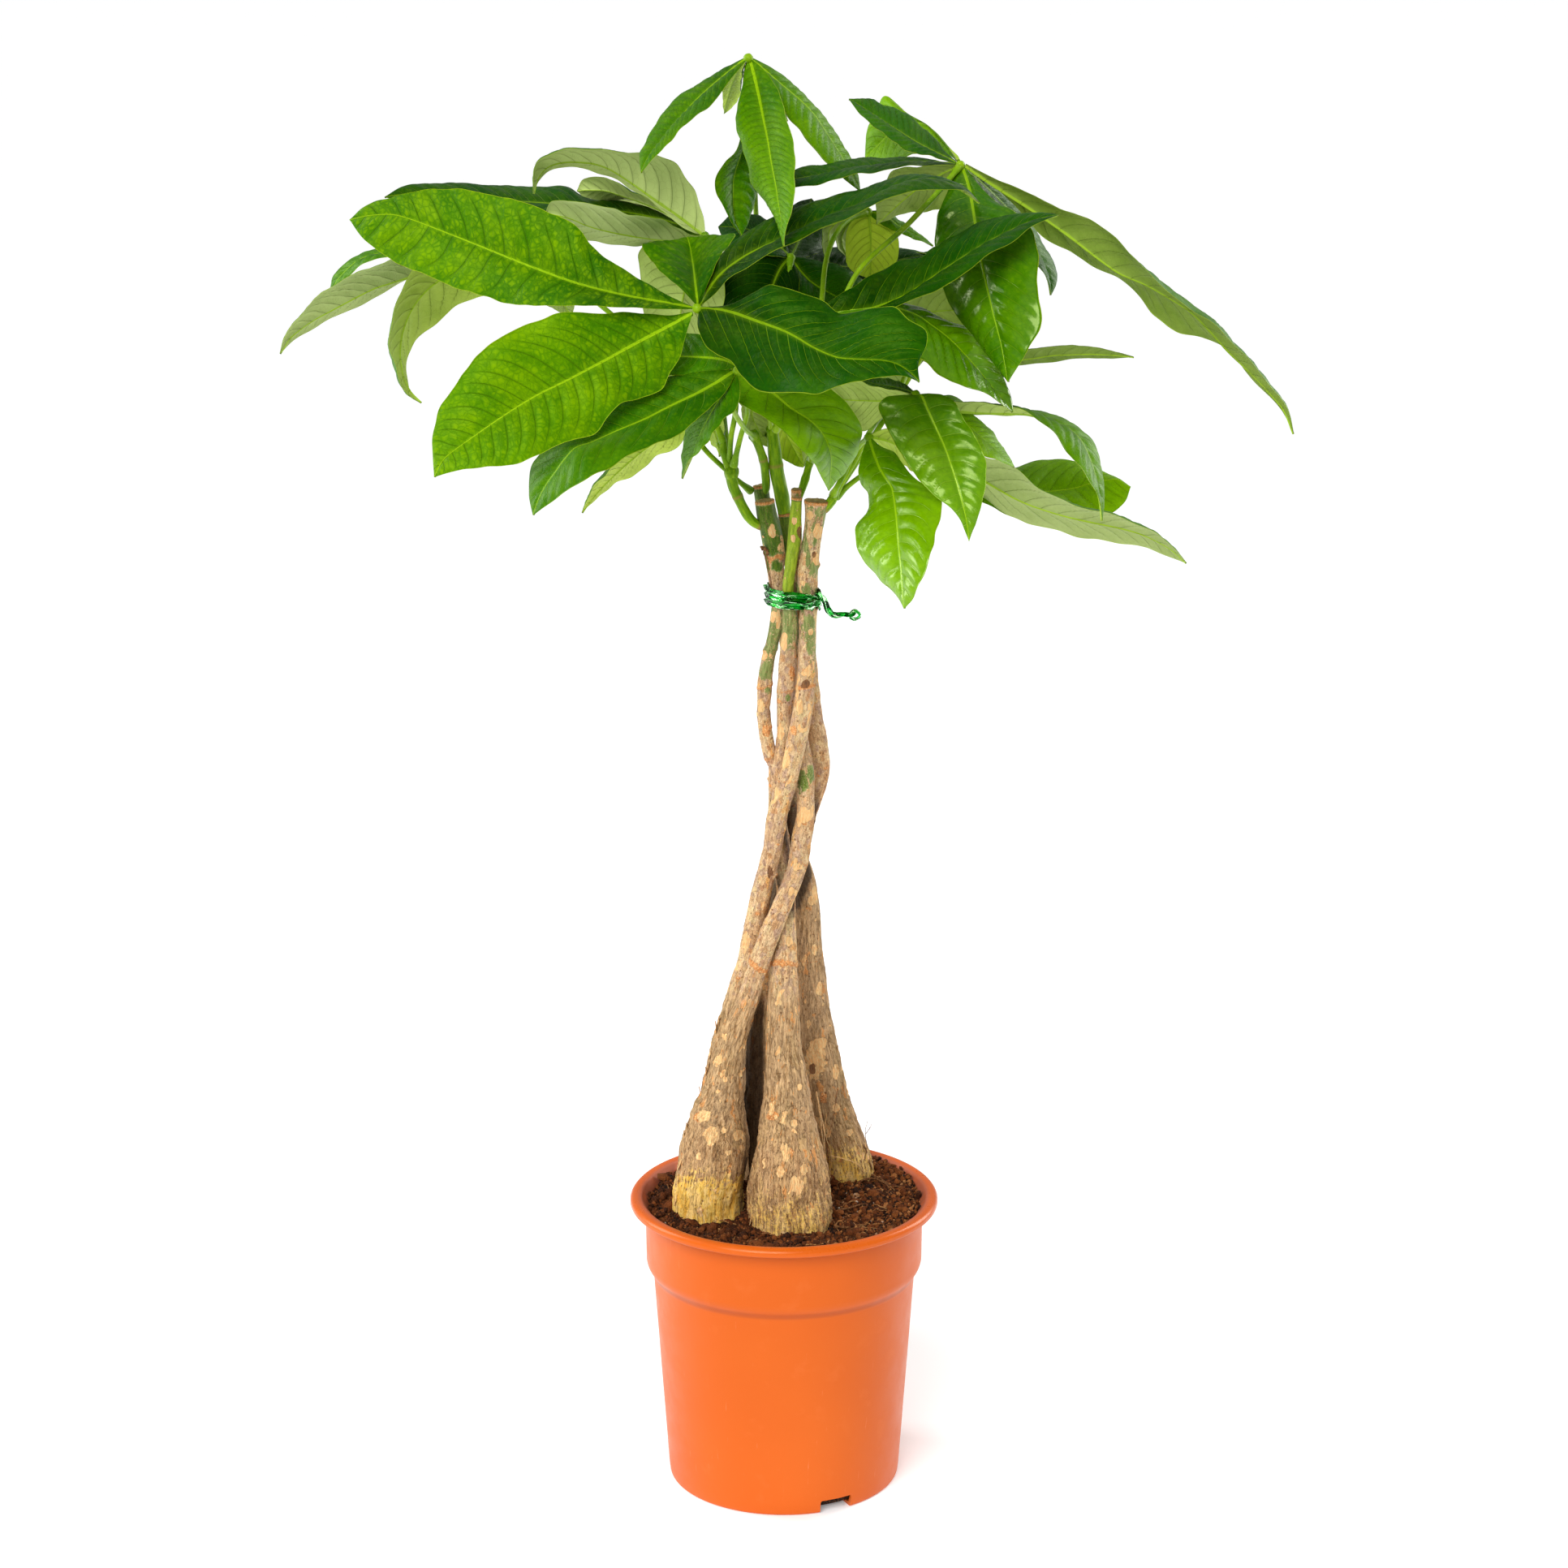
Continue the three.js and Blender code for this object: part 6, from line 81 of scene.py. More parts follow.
        "H3d": [[-46.9,-4.7,775.7,-46.9,-3.7,776,-46.8,-5.7,774.9],[-57.8,4.9,779.2,-58.2,10.1,778.8,-58.5,0.4,775.4],[-69,13.6,781.7,-69,22.6,783.2,-70.2,5.7,775.6],[-80.7,21.1,783.3,-80.3,33.9,786.9,-82,9.6,775.8],[-92.5,27.4,784.5,-92.3,43.7,788.6,-93.7,12.2,776.2],[-104.4,32.6,785.6,-104.8,51.9,788.7,-105.4,14.4,776.9],[-116.3,37.2,786.5,-117.2,58.8,789.9,-117.1,16.7,777.6],[-128.2,41.1,787.1,-128.2,64,794.7,-128.9,18.9,778],[-140.2,43.9,787.6,-140.7,67.8,794.5,-140.7,20.5,778.5],[-152.2,46,788.1,-153.2,70.5,793.6,-152.4,22.1,779.5],[-164.1,47.8,788.8,-165.6,72.2,793.7,-164.1,24.1,780.8],[-176,49.2,789.8,-177.8,72.2,795.2,-175.9,26.6,782.2],[-187.9,49.8,790.8,-189.9,70.3,796.8,-187.6,29.6,783.6],[-199.7,49.6,791.5,-201.8,66.3,797.3,-199.5,33,785.2],[-211.5,48.8,792.2,-213.6,60.6,797.5,-211.2,36.9,787.1],[-223.2,47.3,792.3,-225.1,53.7,796.4,-223,40.8,789.2],[-234.9,45.1,791.3,-234.9,45.1,791.3,-234.9,45.1,791.3]],
        "H3e": [[-45.9,-4.7,775.2,-45.5,-3.7,774.6,-46.4,-5.7,775.4],[-47.9,-12.1,771.9,-41.6,-11.4,771.2,-53,-12.8,776.2],[-49.8,-18.5,768.4,-38.5,-18.3,767.3,-59.6,-18.7,776.8],[-51.6,-23.9,764.6,-36.1,-23.8,763,-66.4,-23.9,776.9],[-53.2,-28.3,760.7,-34.2,-27.8,758,-73.1,-28.4,776.4],[-54.7,-31.7,756.6,-33.5,-30.1,752.8,-78.8,-32.2,774.7],[-55.9,-34.1,752.4,-33.9,-30.4,747.1,-82.9,-35.4,769.4],[-57,-35.2,747.8,-34.7,-29,741.1,-82.6,-37.7,763.4],[-58,-35.3,743.1,-35.8,-26.5,735.2,-82,-39.8,756.8],[-58.8,-34.6,738.2,-37.7,-23.2,729.1,-81.5,-42.2,750.4],[-59.7,-33.2,733.2,-40.5,-19.8,723.1,-80.9,-44.1,743.9],[-60.9,-31.5,728.2,-43.8,-17,717.9,-80.1,-44.4,737.3],[-62.2,-29.2,723.1,-47.3,-15.1,713.7,-78.9,-42.4,730.4],[-63.6,-26.2,717.9,-51.5,-14,709.9,-77.1,-37.9,723.1],[-64.9,-22.5,712.6,-56.4,-13.4,706.5,-74.9,-31.4,715.8],[-66.4,-18.2,707.1,-61.9,-13,703.7,-71.8,-23.3,708.7],[-67.8,-13.3,701.5,-67.8,-13.3,701.5,-67.8,-13.3,701.5]],
    }),
    "leaf_left": ([[-155.4,35,765],[-147.1,39.2,758.4],[-138.8,42,751.8],[-130.4,42.9,745.4],[-122.1,41.9,739],[-113.8,39.9,732.7],[-105.6,37.1,726.4],[-97.5,32.7,720.1],[-89.3,23.9,714.4],[-81.3,14.1,708.8],[-73.7,7.1,702.5],[-66.3,1.3,695.9],[-59.1,-3.3,688.9],[-52.3,-5.7,681.3],[-45.6,-7,673.4],[-39.5,-7.5,664.8],[-35.6,-6.9,655]], {
        "M1": [[-155.4,35,765.5,-155.5,36,764.4,-155.4,34,766.1],[-165.1,35,763.4,-164.2,38.3,758.9,-165.5,33,769.2],[-174.8,35,761,-173.2,41.1,754,-175.6,30.9,770.8],[-184.3,35,758.3,-182.6,44.8,749.8,-185.7,27.4,770.7],[-193.8,35,755.3,-192.4,48.8,746.2,-195.6,23.3,768.8],[-203.3,35,752.2,-202.4,52.2,743.4,-205.5,19.7,766.6],[-212.7,34.9,748.9,-212.4,54.8,741.6,-215.2,16.8,763.8],[-222.1,34.3,745.7,-222.4,56.1,740.3,-224.7,14.3,760.4],[-231.5,33.3,742.8,-231.8,56.2,737.2,-234.5,12.1,757.6],[-240.9,32.1,739.9,-240.6,55.4,732.5,-244.1,10.4,754.2],[-249.7,30.8,735.8,-249,53.8,727.6,-253.2,9.2,749.3],[-258.5,29.6,731.3,-257.9,51.3,723.9,-262.3,9,744.1],[-267.2,28.1,726.8,-266.3,47.5,719.6,-271.2,9.6,738.2],[-275.8,26.4,722.4,-274.5,42.4,715.7,-279.4,11,731.2],[-284,24.4,717.1,-282.8,36.1,712.5,-286.6,13.1,722.8],[-291.3,22.3,710.8,-290.3,28.7,708.1,-292.9,16,713.5],[-296.4,20,702.6,-296.4,20,702.6,-296.4,20,702.6]],
        "M1b": [[-155.4,35,765.5,-155.4,35.5,765.9,-155.4,34.8,764.6],[-163.7,38.8,765,-164,41,766.5,-163.3,36.6,763.6],[-172,42.5,764.4,-172.7,46.6,766.7,-171.2,38.4,762.6],[-180.3,46.2,763.9,-181.4,52.3,766.4,-179.2,40.2,761.8],[-188.7,50,763.4,-190.2,57.9,765.6,-187.1,42.1,761],[-197,53.8,762.6,-199,63.2,764.5,-195.1,44.4,760.3],[-205.5,57.6,761.6,-207.8,68.3,763.1,-203.2,47,759.7],[-213.9,61.7,760.4,-216.6,73.2,761.6,-211.3,50.2,758.8],[-222.3,65.8,758.8,-225.3,77.9,759.3,-219.4,53.8,757.5],[-230.7,69.7,756.5,-234,82,756.7,-227.6,57.5,755.6],[-239.1,73.1,754.4,-242.8,85.2,754.8,-235.7,61.1,753.5],[-247.5,75.8,752.4,-251.3,87.2,753.2,-243.9,64.4,751.5],[-255.1,78.2,748.9,-259.1,88.3,749.4,-251.4,68.1,748.1],[-261.8,80.4,743.2,-265.9,88.6,743.8,-258.2,72.2,742.3],[-267.8,82.3,736.8,-271.6,88.1,737.2,-264.4,76.4,736],[-271.5,83.8,729.3,-273.2,87,729.5,-269.5,80.6,728.9],[-273.7,85,720.9,-273.7,85,720.9,-273.7,85,720.9]],
        "M2": [[-155.4,35,765,-154.6,36,763.9,-155.8,34,766.1],[-163.1,32.2,762.1,-154.6,33.6,755.6,-165,28.9,766.4],[-170.8,29.4,759.2,-154.7,31.4,748.2,-174.1,23.7,766.2],[-178.4,26.6,756.3,-159.6,29.5,741.2,-183.1,18.2,765.7],[-186.1,23.8,753.4,-166.5,28.3,737.7,-192,12.6,764.4],[-193.6,20.9,750.2,-174.9,28.4,735.7,-200.5,6.8,762.5],[-201,18.1,746.7,-183.1,29.8,733.4,-208.7,0.7,759.2],[-207.7,15.1,742.2,-190.7,31.3,730,-215.5,-5.2,754.2],[-213.4,12.1,736.6,-197.6,31.9,724.9,-220.4,-10.6,747.2],[-218.1,9.2,729.9,-204.3,31.6,720,-223.6,-15.2,739.1],[-221.4,6.6,722.6,-210.7,30.4,714.9,-225.5,-18.5,730.4],[-223.6,4.3,714.8,-216.8,28,709.4,-226.8,-20.2,721.3],[-224.4,2.1,706.7,-220.1,24.1,702.7,-227.3,-20.2,711.9],[-223.8,0.1,698.5,-221.5,18.7,695.4,-225.7,-18.6,702.4],[-221.8,-1.8,690.5,-221.4,11.9,688.3,-223.4,-15.4,692.6],[-217.9,-3.5,683.5,-218.6,4.1,681.8,-219.3,-11,684.2],[-211.8,-5,677.6,-211.8,-5,677.6,-211.8,-5,677.6]],
        "M3": [[-155,35,765,-154.5,36,765.4,-155.4,34,764.7],[-153,33.1,762.6,-151,36.5,763.9,-155,29.7,761.7],[-151,31.2,760.2,-147.6,37.2,762.2,-154.4,25.2,758.8],[-149,29.4,757.9,-144.4,37.9,760.3,-153.5,20.8,756],[-147,27.5,755.5,-141.3,38.4,758.2,-152.6,16.5,753.3],[-145,25.6,753.1,-138.4,38.6,756.1,-151.5,12.6,750.7],[-143,23.7,750.7,-135.7,38.1,753.9,-150,9.1,748.1],[-141,21.6,748.4,-133.1,37.1,751.7,-148,5.9,745.5],[-139,19.6,746,-130.1,35.6,749.2,-145.8,3,743],[-137.1,17.6,743.6,-127.3,33.8,746.5,-143.4,0.7,740.7],[-135.2,15.9,741.2,-124.9,31.9,743.7,-141.1,-0.9,738.6],[-133.3,14.6,738.7,-123.4,29.8,740.7,-138.6,-1.6,736.5],[-131.4,13.4,736.2,-123,27.2,737.8,-136,-1.2,734.3],[-129.6,12.3,733.6,-122.9,23.9,734.9,-133.3,0.1,732.2],[-127.8,11.4,731.1,-123,19.9,731.9,-130.4,2.4,730],[-126,10.6,728.4,-123.4,15.4,728.8,-127.4,5.6,727.9],[-124.2,10,725.8,-124.2,10,725.8,-124.2,10,725.8]],
    }),
    "leaf_centre": ([[-25.9,-98.2,712.7],[-24.7,-82.4,706.8],[-23.7,-69.4,701.2],[-22.8,-58.8,696],[-22.2,-50.3,691.1],[-21.5,-43.3,686.3],[-21.1,-37.5,681.7],[-21.1,-32.8,677.4],[-21.8,-29,673.2],[-22.8,-25.6,669.1],[-24,-22.5,665.1],[-25.1,-19.7,661.1],[-26,-17.6,657.2],[-26.9,-15.8,653.3],[-27.8,-14,649.4],[-28.6,-12.1,645.5],[-29.4,-10,641.6]], {
        "L0": [[-26.8,-98.2,715.9,-27.2,-97.6,716.7,-26.8,-98.4,714.6],[-32.3,-94.7,717.9,-30.8,-93.7,722.2,-32.6,-96.2,712.9],[-38.1,-91.3,718.4,-35.4,-89,726,-38.5,-95,711.7],[-44.2,-88,718.3,-41.4,-83.3,728.5,-44.4,-94.8,711.3],[-50.3,-84.8,718,-48,-77.1,729.8,-50.4,-94.9,710.9],[-56.4,-81.7,717.7,-54.8,-71.1,730,-56.3,-94.5,710.2],[-62.5,-78.7,717.2,-61.7,-65.8,729.8,-62.2,-93.4,708.9],[-68.6,-76,716.6,-68.7,-61.4,729,-68.1,-92.1,707.7],[-74.7,-73.6,715.8,-75.7,-57.8,727.9,-74,-90.5,706.5],[-80.8,-71.3,715,-82.6,-54.8,726.7,-80,-88.6,705.3],[-87,-68.8,714,-89.4,-52.3,725.2,-86.1,-86,704.6],[-93.1,-66.1,712.6,-96.2,-50.2,722.9,-92.2,-82.6,704],[-99.2,-63.3,711,-102.8,-49,720,-98.4,-78.1,703.2],[-105.3,-60.4,709.3,-108.6,-48.6,716.8,-104.6,-72.6,702.3],[-111.3,-57.5,707.3,-114,-48.9,712.8,-110.8,-66.3,701.6],[-117.3,-54.5,704.9,-118.9,-49.7,707.9,-117,-59.4,701.8],[-123.3,-51.4,702.4,-123.3,-51.4,702.4,-123.3,-51.4,702.4]],
        "L1": [[-27.7,-98.2,712.7,-27.7,-97.2,713,-27.2,-99.2,711.5],[-35.1,-99.7,707.8,-37.7,-95.9,712.6,-31,-103.8,704.3],[-42.8,-101.5,703.4,-47.7,-94.8,711.8,-36.4,-109.1,698.3],[-50.7,-103.6,699.5,-57.6,-93.4,710,-42.6,-115.1,693.2],[-58.8,-106,696.1,-67.5,-92.2,708,-49,-121.3,688.4],[-66.8,-108.7,692.6,-77.4,-91.9,706.3,-55.9,-127.4,684.3],[-74.7,-112,688.9,-86.9,-92.5,703.5,-63.3,-133.5,681.1],[-82.8,-115.4,685.8,-96,-93.4,699.3,-71.1,-139.1,678.4],[-91,-118.7,683,-104.6,-94.6,694.4,-78.9,-144,675.9],[-99,-122.2,680,-112.5,-96.6,688.7,-86.6,-148.3,673.1],[-107.1,-125.9,677.1,-120.3,-99.8,682.9,-94.2,-151.7,669.8],[-115.5,-129.2,674.7,-128.1,-104.2,677.4,-101.8,-153.5,666],[-121.4,-131.4,668.8,-134.9,-109.1,671.2,-109.3,-153.2,661.5],[-126.8,-132.8,661.6,-140.1,-114.5,663.7,-116.7,-150.8,656.3],[-132,-133.8,654.4,-141.6,-120.6,655,-124.2,-146.9,650.6],[-136.1,-134.3,646.4,-141.9,-127,646.2,-131.8,-141.6,644.6],[-139.4,-134.1,637.8,-139.4,-134.1,637.8,-139.4,-134.1,637.8]],
        "L2": [[-27.2,-98.2,711.3,-28.2,-97.6,711.2,-26.3,-98.5,710.4],[-29.3,-99,707.8,-31.7,-95.6,708.2,-24.9,-101.3,706.7],[-31.4,-99.7,704.3,-35.1,-93.3,705,-24.5,-104.7,703],[-33.4,-100.3,700.8,-38.4,-90.8,701.6,-25,-108.5,699.3],[-35.6,-100.9,697.3,-41.6,-88.4,698.1,-26.1,-112.4,696],[-37.8,-101.4,693.8,-44.7,-86.3,694.4,-28.8,-115.8,693.2],[-39.9,-101.8,690.3,-47.6,-84.7,690.8,-31.8,-118.6,690.4],[-41.9,-102.1,686.7,-50.2,-83.7,687,-34.3,-120.7,687.3],[-43.8,-102.4,683,-53,-83.1,683.2,-36.9,-122.1,684.1],[-45.6,-102.6,679.2,-55.4,-82.9,679.3,-39.7,-122.9,680.9],[-47.3,-102.7,675.4,-56.5,-83.1,675.2,-42.5,-123,677.7],[-49,-102.8,671.6,-56.8,-83.9,670.9,-45.4,-122.3,674.3],[-50.7,-102.7,667.7,-57,-85.5,666.7,-48.2,-120.4,670.6],[-52.4,-102.6,663.8,-57.1,-88.2,662.8,-51.1,-117.4,666.7],[-54.1,-102.5,659.9,-57.2,-91.9,659,-53.7,-113.3,662.3],[-55.8,-102.3,656,-57.3,-96.4,655.4,-55.8,-108.3,657.5],[-57.5,-102,652.1,-57.5,-102,652.1,-57.5,-102,652.1]],
        "L4": [[-25.4,-98.2,713.2,-26.3,-99.2,712.4,-25,-97.2,713.4],[-21,-95.8,709,-31.3,-96.6,707.7,-17.3,-94.4,714],[-16.3,-93.2,705.2,-31.2,-94.8,702,-9.6,-90.8,713.7],[-11.3,-90.6,701.9,-28.3,-94.8,697,-2,-85.4,712.4],[-6.4,-87.9,698.3,-23.6,-96.5,693.5,5.7,-79.2,709.6],[-2,-85.3,694.1,-18.7,-98.8,690.6,13.2,-73.3,706.4],[2.3,-82.8,689.7,-13.7,-100.2,687.8,20.4,-68.2,702.3],[7.1,-80,685.9,-8.7,-100.3,684.8,26.8,-63.1,696.8],[12.1,-76.6,682.2,-3.7,-98.7,681.3,32.7,-57.8,690.5],[16.8,-72.9,677.9,0.9,-96,677.1,38.2,-52.6,683.8],[20.8,-68.9,672.9,5.1,-92.1,672.2,41.7,-47.9,675.7],[23.9,-64,666.8,8.7,-86.4,666.4,44.5,-43.4,667.2],[26.1,-57.6,660,13.1,-78.2,660.7,44.3,-38.5,658.3],[27,-49.9,652.6,17.1,-67.5,654.2,41,-33.5,650.2],[26.8,-41.5,645,20.3,-54.6,646.5,36,-29.1,643],[26.5,-32.1,637.1,22.9,-39.5,637.9,31,-25.1,636],[26,-21.6,629,26,-21.6,629,26,-21.6,629]],
    }),
    "leaf_low_left": ([[-57.5,20,662],[-55.8,16.9,659.4],[-54,13.8,656.9],[-52,11,654.5],[-50,8.5,652],[-47.8,6.3,649.7],[-45.6,4.5,647.4],[-43.2,2.9,645.1],[-40.6,1.8,642.8],[-38.1,1.1,640.6],[-35.5,1,638.2],[-33,1.6,635.7],[-30.4,2.8,633.1],[-27.8,4.5,630.4],[-25.1,6.8,627.7],[-22.4,9.7,624.9],[-19.7,13,622]], {
        "K1": [[-57,20,662,-57,19.7,663.1,-57.1,20.3,661],[-54.7,18.1,662.3,-54,15.8,665.9,-55.8,20.7,659.7],[-52.5,16.4,662.5,-51.2,11.9,668,-54.5,21.4,658.4],[-50.4,15,662.6,-48.5,8,669.5,-53.2,22.3,657.1],[-48.5,13.7,662.5,-45.9,4.5,670.5,-51.9,23.2,655.8],[-46.7,12.7,662.4,-43.5,1.6,671.2,-50.6,24,654.5],[-44.9,11.9,661.8,-41,-0.7,671,-49.2,24.7,653.3],[-43.2,11.4,660.5,-38.4,-2.3,669.6,-47.8,25.4,652.2],[-41.6,11.2,658.8,-36.1,-3.4,667.3,-46.3,26.1,651.1],[-40.4,11.1,657,-34.8,-4,664.9,-44.8,26.5,650],[-39.6,11,655.2,-34.7,-4.2,662.6,-43.6,26.4,648.9],[-39.1,10.7,653.5,-34.7,-3.9,660.2,-42.4,25.6,647.8],[-38.7,10.6,651.6,-34.9,-2.7,657.4,-41.4,24,646.7],[-38.3,10.6,649.6,-35.2,-0.4,654.2,-40.4,21.9,645.7],[-38,11,647.4,-35.8,2.9,650.7,-39.4,19.2,644.6],[-37.9,11.5,645.1,-36.6,7,646.8,-38.6,16.1,643.6],[-37.8,12.3,642.6,-37.8,12.3,642.6,-37.8,12.3,642.6]],
        "L3": [[-57.5,20,662,-57.1,21,660.9,-58,19,663.2],[-61.9,17.1,659.8,-58.1,19.5,655.3,-63.7,15,665.7],[-66.2,14.1,657.6,-60.2,19.2,650.5,-69.1,9.8,667.2],[-70.5,11.1,655.4,-63.1,20.1,646.9,-74.1,3.2,668.4],[-74.8,8,653.2,-67.9,21.4,644.2,-78.8,-4.2,668],[-79.1,4.7,651.1,-73.1,22,641.8,-83.3,-11.5,665.7],[-83.2,1.4,648.7,-77.5,21.6,638.9,-87.4,-18.2,662.6],[-87.1,-2,646.1,-81.7,20.4,635.9,-90.9,-23.9,659.4],[-90.9,-5,643.3,-85.9,18.7,632.9,-93.8,-28.5,655.7],[-94.7,-7.8,640.4,-90.2,16.6,630.4,-96.4,-32.2,651.4],[-98.4,-10.6,637.4,-94.7,13.8,628.2,-99.3,-35,647.1],[-102,-13,634.3,-99.3,10.3,626.3,-102.7,-36.4,643],[-105.6,-15,631,-103.6,6.1,624.4,-106.4,-36.1,638.6],[-109,-16.6,627.5,-107.6,0.9,622.4,-109.7,-34.1,633.7],[-112.2,-18,623.7,-111.3,-5.2,620.2,-112.7,-30.8,628.2],[-115.2,-19.2,619.8,-114.8,-12.1,617.9,-115.5,-26.2,622.2],[-118.1,-20,615.6,-118.1,-20,615.6,-118.1,-20,615.6]],
    }),
    "leaf_low_centre": ([[-14.6,-10.8,684.9],[-16.8,-5.5,682.4],[-18.4,-0.3,679.8],[-19.3,4.8,677.2],[-19.5,9.8,674.5],[-18.9,14.5,671.8],[-17.8,19,669],[-16.6,23,666.3],[-15.6,26.6,663.8],[-14.6,29.4,661.4],[-13.5,31.4,659.2],[-12.5,32.4,657.2],[-11.4,32.1,655.4],[-10.3,30.3,653.8],[-9.1,26.9,652.7],[-7.9,21.6,651.9],[-6.7,14,651.5]], {
        "K2": [[-14.6,-10.8,684.9,-13.7,-10.8,684.9,-15.6,-10.8,684.9],[-16.1,-7.3,682.1,-12.9,-6,682.1,-18.4,-9,682.8],[-17.2,-3.8,679.3,-12.1,-1,679.3,-20.9,-7.4,680.5],[-18.1,-0.4,676.5,-11.4,4.3,676.4,-22.9,-6.1,678.2],[-18.7,3,673.8,-10.7,9.5,673.5,-24.2,-4.7,675.7],[-19,6.2,671,-10.1,14.4,670.6,-24.7,-3.2,673.2],[-19.1,9.3,668.3,-9.5,18.8,667.7,-24.5,-1.6,670.3],[-18.7,11.9,665.7,-8.9,22.4,665,-24.1,-0,667.1],[-17.9,14.1,663.1,-8.2,25.4,662.4,-23.4,1.5,663.9],[-16.8,16.1,660.6,-7.7,28,659.8,-22.6,3.2,660.9],[-15.7,17.9,658.1,-7.4,30,657.4,-21.6,5.1,658.4],[-14.6,19.8,655.8,-7.2,31.5,655,-20.3,7.5,656],[-13.5,21.5,653.5,-7.2,32.2,652.7,-18.5,10.4,653.7],[-12.2,23,651.3,-7.3,32.1,650.6,-16.3,13.8,651.4],[-10.8,24.4,649.2,-7.3,31.1,648.7,-13.7,17.6,649.2],[-9.3,25.6,647.1,-7.5,29.3,646.9,-10.8,21.9,647.1],[-7.7,26.7,645.2,-7.7,26.7,645.2,-7.7,26.7,645.2]],
        "K3": [[-13.7,-10.8,685.4,-12.8,-10.8,685.9,-14.2,-10.8,684.4],[-12.1,0.5,680.7,-10.4,3.2,681.1,-13,-2.3,679.8],[-10.4,10.6,676.1,-8.2,15.9,676.4,-11.8,5.2,675.2],[-8.8,19.6,671.8,-6,27.4,671.9,-10.7,11.8,670.9],[-7.2,27.5,667.5,-3.8,37.4,667.6,-9.6,17.6,666.6],[-5.6,34.3,663.5,-1.8,46,663.4,-8.4,22.6,662.5],[-4,39.9,659.6,0.2,52.8,659.5,-7.3,27,658.5],[-2.5,44.1,656,2.2,57.9,655.8,-6.2,30.4,654.4],[-1,47.1,652.5,4.3,61.3,652.4,-5.3,33.1,650.2],[0.5,48.8,649.3,6.3,63.1,649.2,-4.4,34.9,646.1],[2,49.5,646.2,8.1,63.4,646.2,-3.4,36,642.4],[3.6,49.1,643.4,9.4,62.2,643.4,-2.2,36.6,639.2],[5.1,47.5,640.8,10.1,59.3,640.8,-0.8,36.6,636.8],[6.7,44.9,638.4,10.7,54.6,638.4,1.2,36,635.2],[8.3,41.1,636.3,11.2,48.2,636.3,4.2,34.7,633.9],[10,36.2,634.4,11.5,40.1,634.4,7.7,32.6,633.1],[11.6,30.2,632.8,11.6,30.2,632.8,11.6,30.2,632.8]],
    }),
    "leaf_upper_right": ([[101,-10,816.5],[92.9,-21.5,808.4],[84.6,-32.6,800.7],[76,-43.2,793.2],[67.3,-53.6,785.9],[57.7,-63.6,779.1],[48.3,-71.8,772.1],[40.8,-77.4,764.1],[35.4,-81.1,754.5],[30.8,-82.8,743.6],[26.9,-82,731.7],[23.8,-75.8,718.7],[21.6,-65.7,705.1],[19.6,-53.7,691],[17.9,-39.3,676.2],[16.7,-21.4,660.4],[16.2,0.4,643.4]], {
        "H4a": [[104.2,-10,816.5,104.2,-11,817.5,104.3,-9,815.4],[117.2,-9.1,807.6,118.1,-14.4,810.6,117.6,-3.6,806.2],[130.3,-8.5,799.1,132.4,-17.6,805,129.9,1,795.6],[143.5,-8.1,790.6,146.7,-20.7,799.1,141.1,5,783.7],[156.5,-8,781.8,160.4,-23.7,792,152.1,8.6,772.2],[169.2,-8.2,772.5,174.9,-26.6,786.6,165.9,11.5,763.5],[181.7,-8.6,763,187.8,-29.6,778.8,179.7,13.8,754.8],[194.7,-9.2,754.4,198.1,-32.8,767.5,194.3,15.2,748],[209.2,-10,748.3,210,-35.5,757.6,207.1,15.4,738.5],[222.4,-11.2,741,221.2,-37.6,747.3,217.6,14.3,726.6],[235.4,-13.2,732.8,233.2,-39.5,737.4,229.9,12.1,716.7],[246.3,-15.6,722.3,246.8,-40.7,729.7,245,8.9,713.9],[256.7,-18,710.9,256.9,-40.7,717.2,258.5,4.5,707],[268,-20.6,700.4,268.6,-39.4,705.9,268.8,-1.6,696.2],[278.9,-23.4,689.6,279.5,-37.2,693.4,279.2,-9.6,686.2],[289,-26.6,678,290,-34.2,680.2,289,-19,676],[295,-30,664.1,295,-30,664.1,295,-30,664.1]],
        "H4b": [[98.6,-10,818.3,98.7,-9,818.7,98.6,-11,817.5],[94.8,-3.4,819.3,95.5,1.1,820.5,94.3,-8,818.5],[90.9,3.1,820.4,92.6,11,822.6,90,-5,819.4],[87.1,9.7,821.6,90,20.6,825.1,85.6,-1.7,820.2],[83.4,16.2,822.9,87.4,30,827.7,81.1,2,820.7],[79.6,22.8,824.3,84.4,38.8,830,76.7,6.2,821.1],[75.9,29.4,825.8,81.1,47.2,832.2,72.5,11,822.2],[72.2,36.3,827.4,77.7,55.3,834.4,68.6,16.5,823.8],[68.6,43.2,829.1,74.2,63,836.5,64.7,22.6,825.5],[64.9,49.9,830.8,70.4,70.1,838.3,60.9,28.9,827.4],[61.2,56.2,832.6,66.3,76.3,839.7,57.3,35.3,829.4],[57.5,61.8,834.5,61.9,81,840.8,53.9,41.9,831.8],[53.8,67.1,836.4,57.3,84.4,841.8,50.6,49.1,834.3],[50,72,838.4,52.8,86.5,843.4,47.2,57.2,836.6],[46.2,76.7,840.4,48.2,87.2,844.2,43.9,65.9,838.8],[42.4,81,842.4,43.5,86.8,844.2,41.1,75.1,841.5],[38.6,85,844.4,38.6,85,844.4,38.6,85,844.4]],
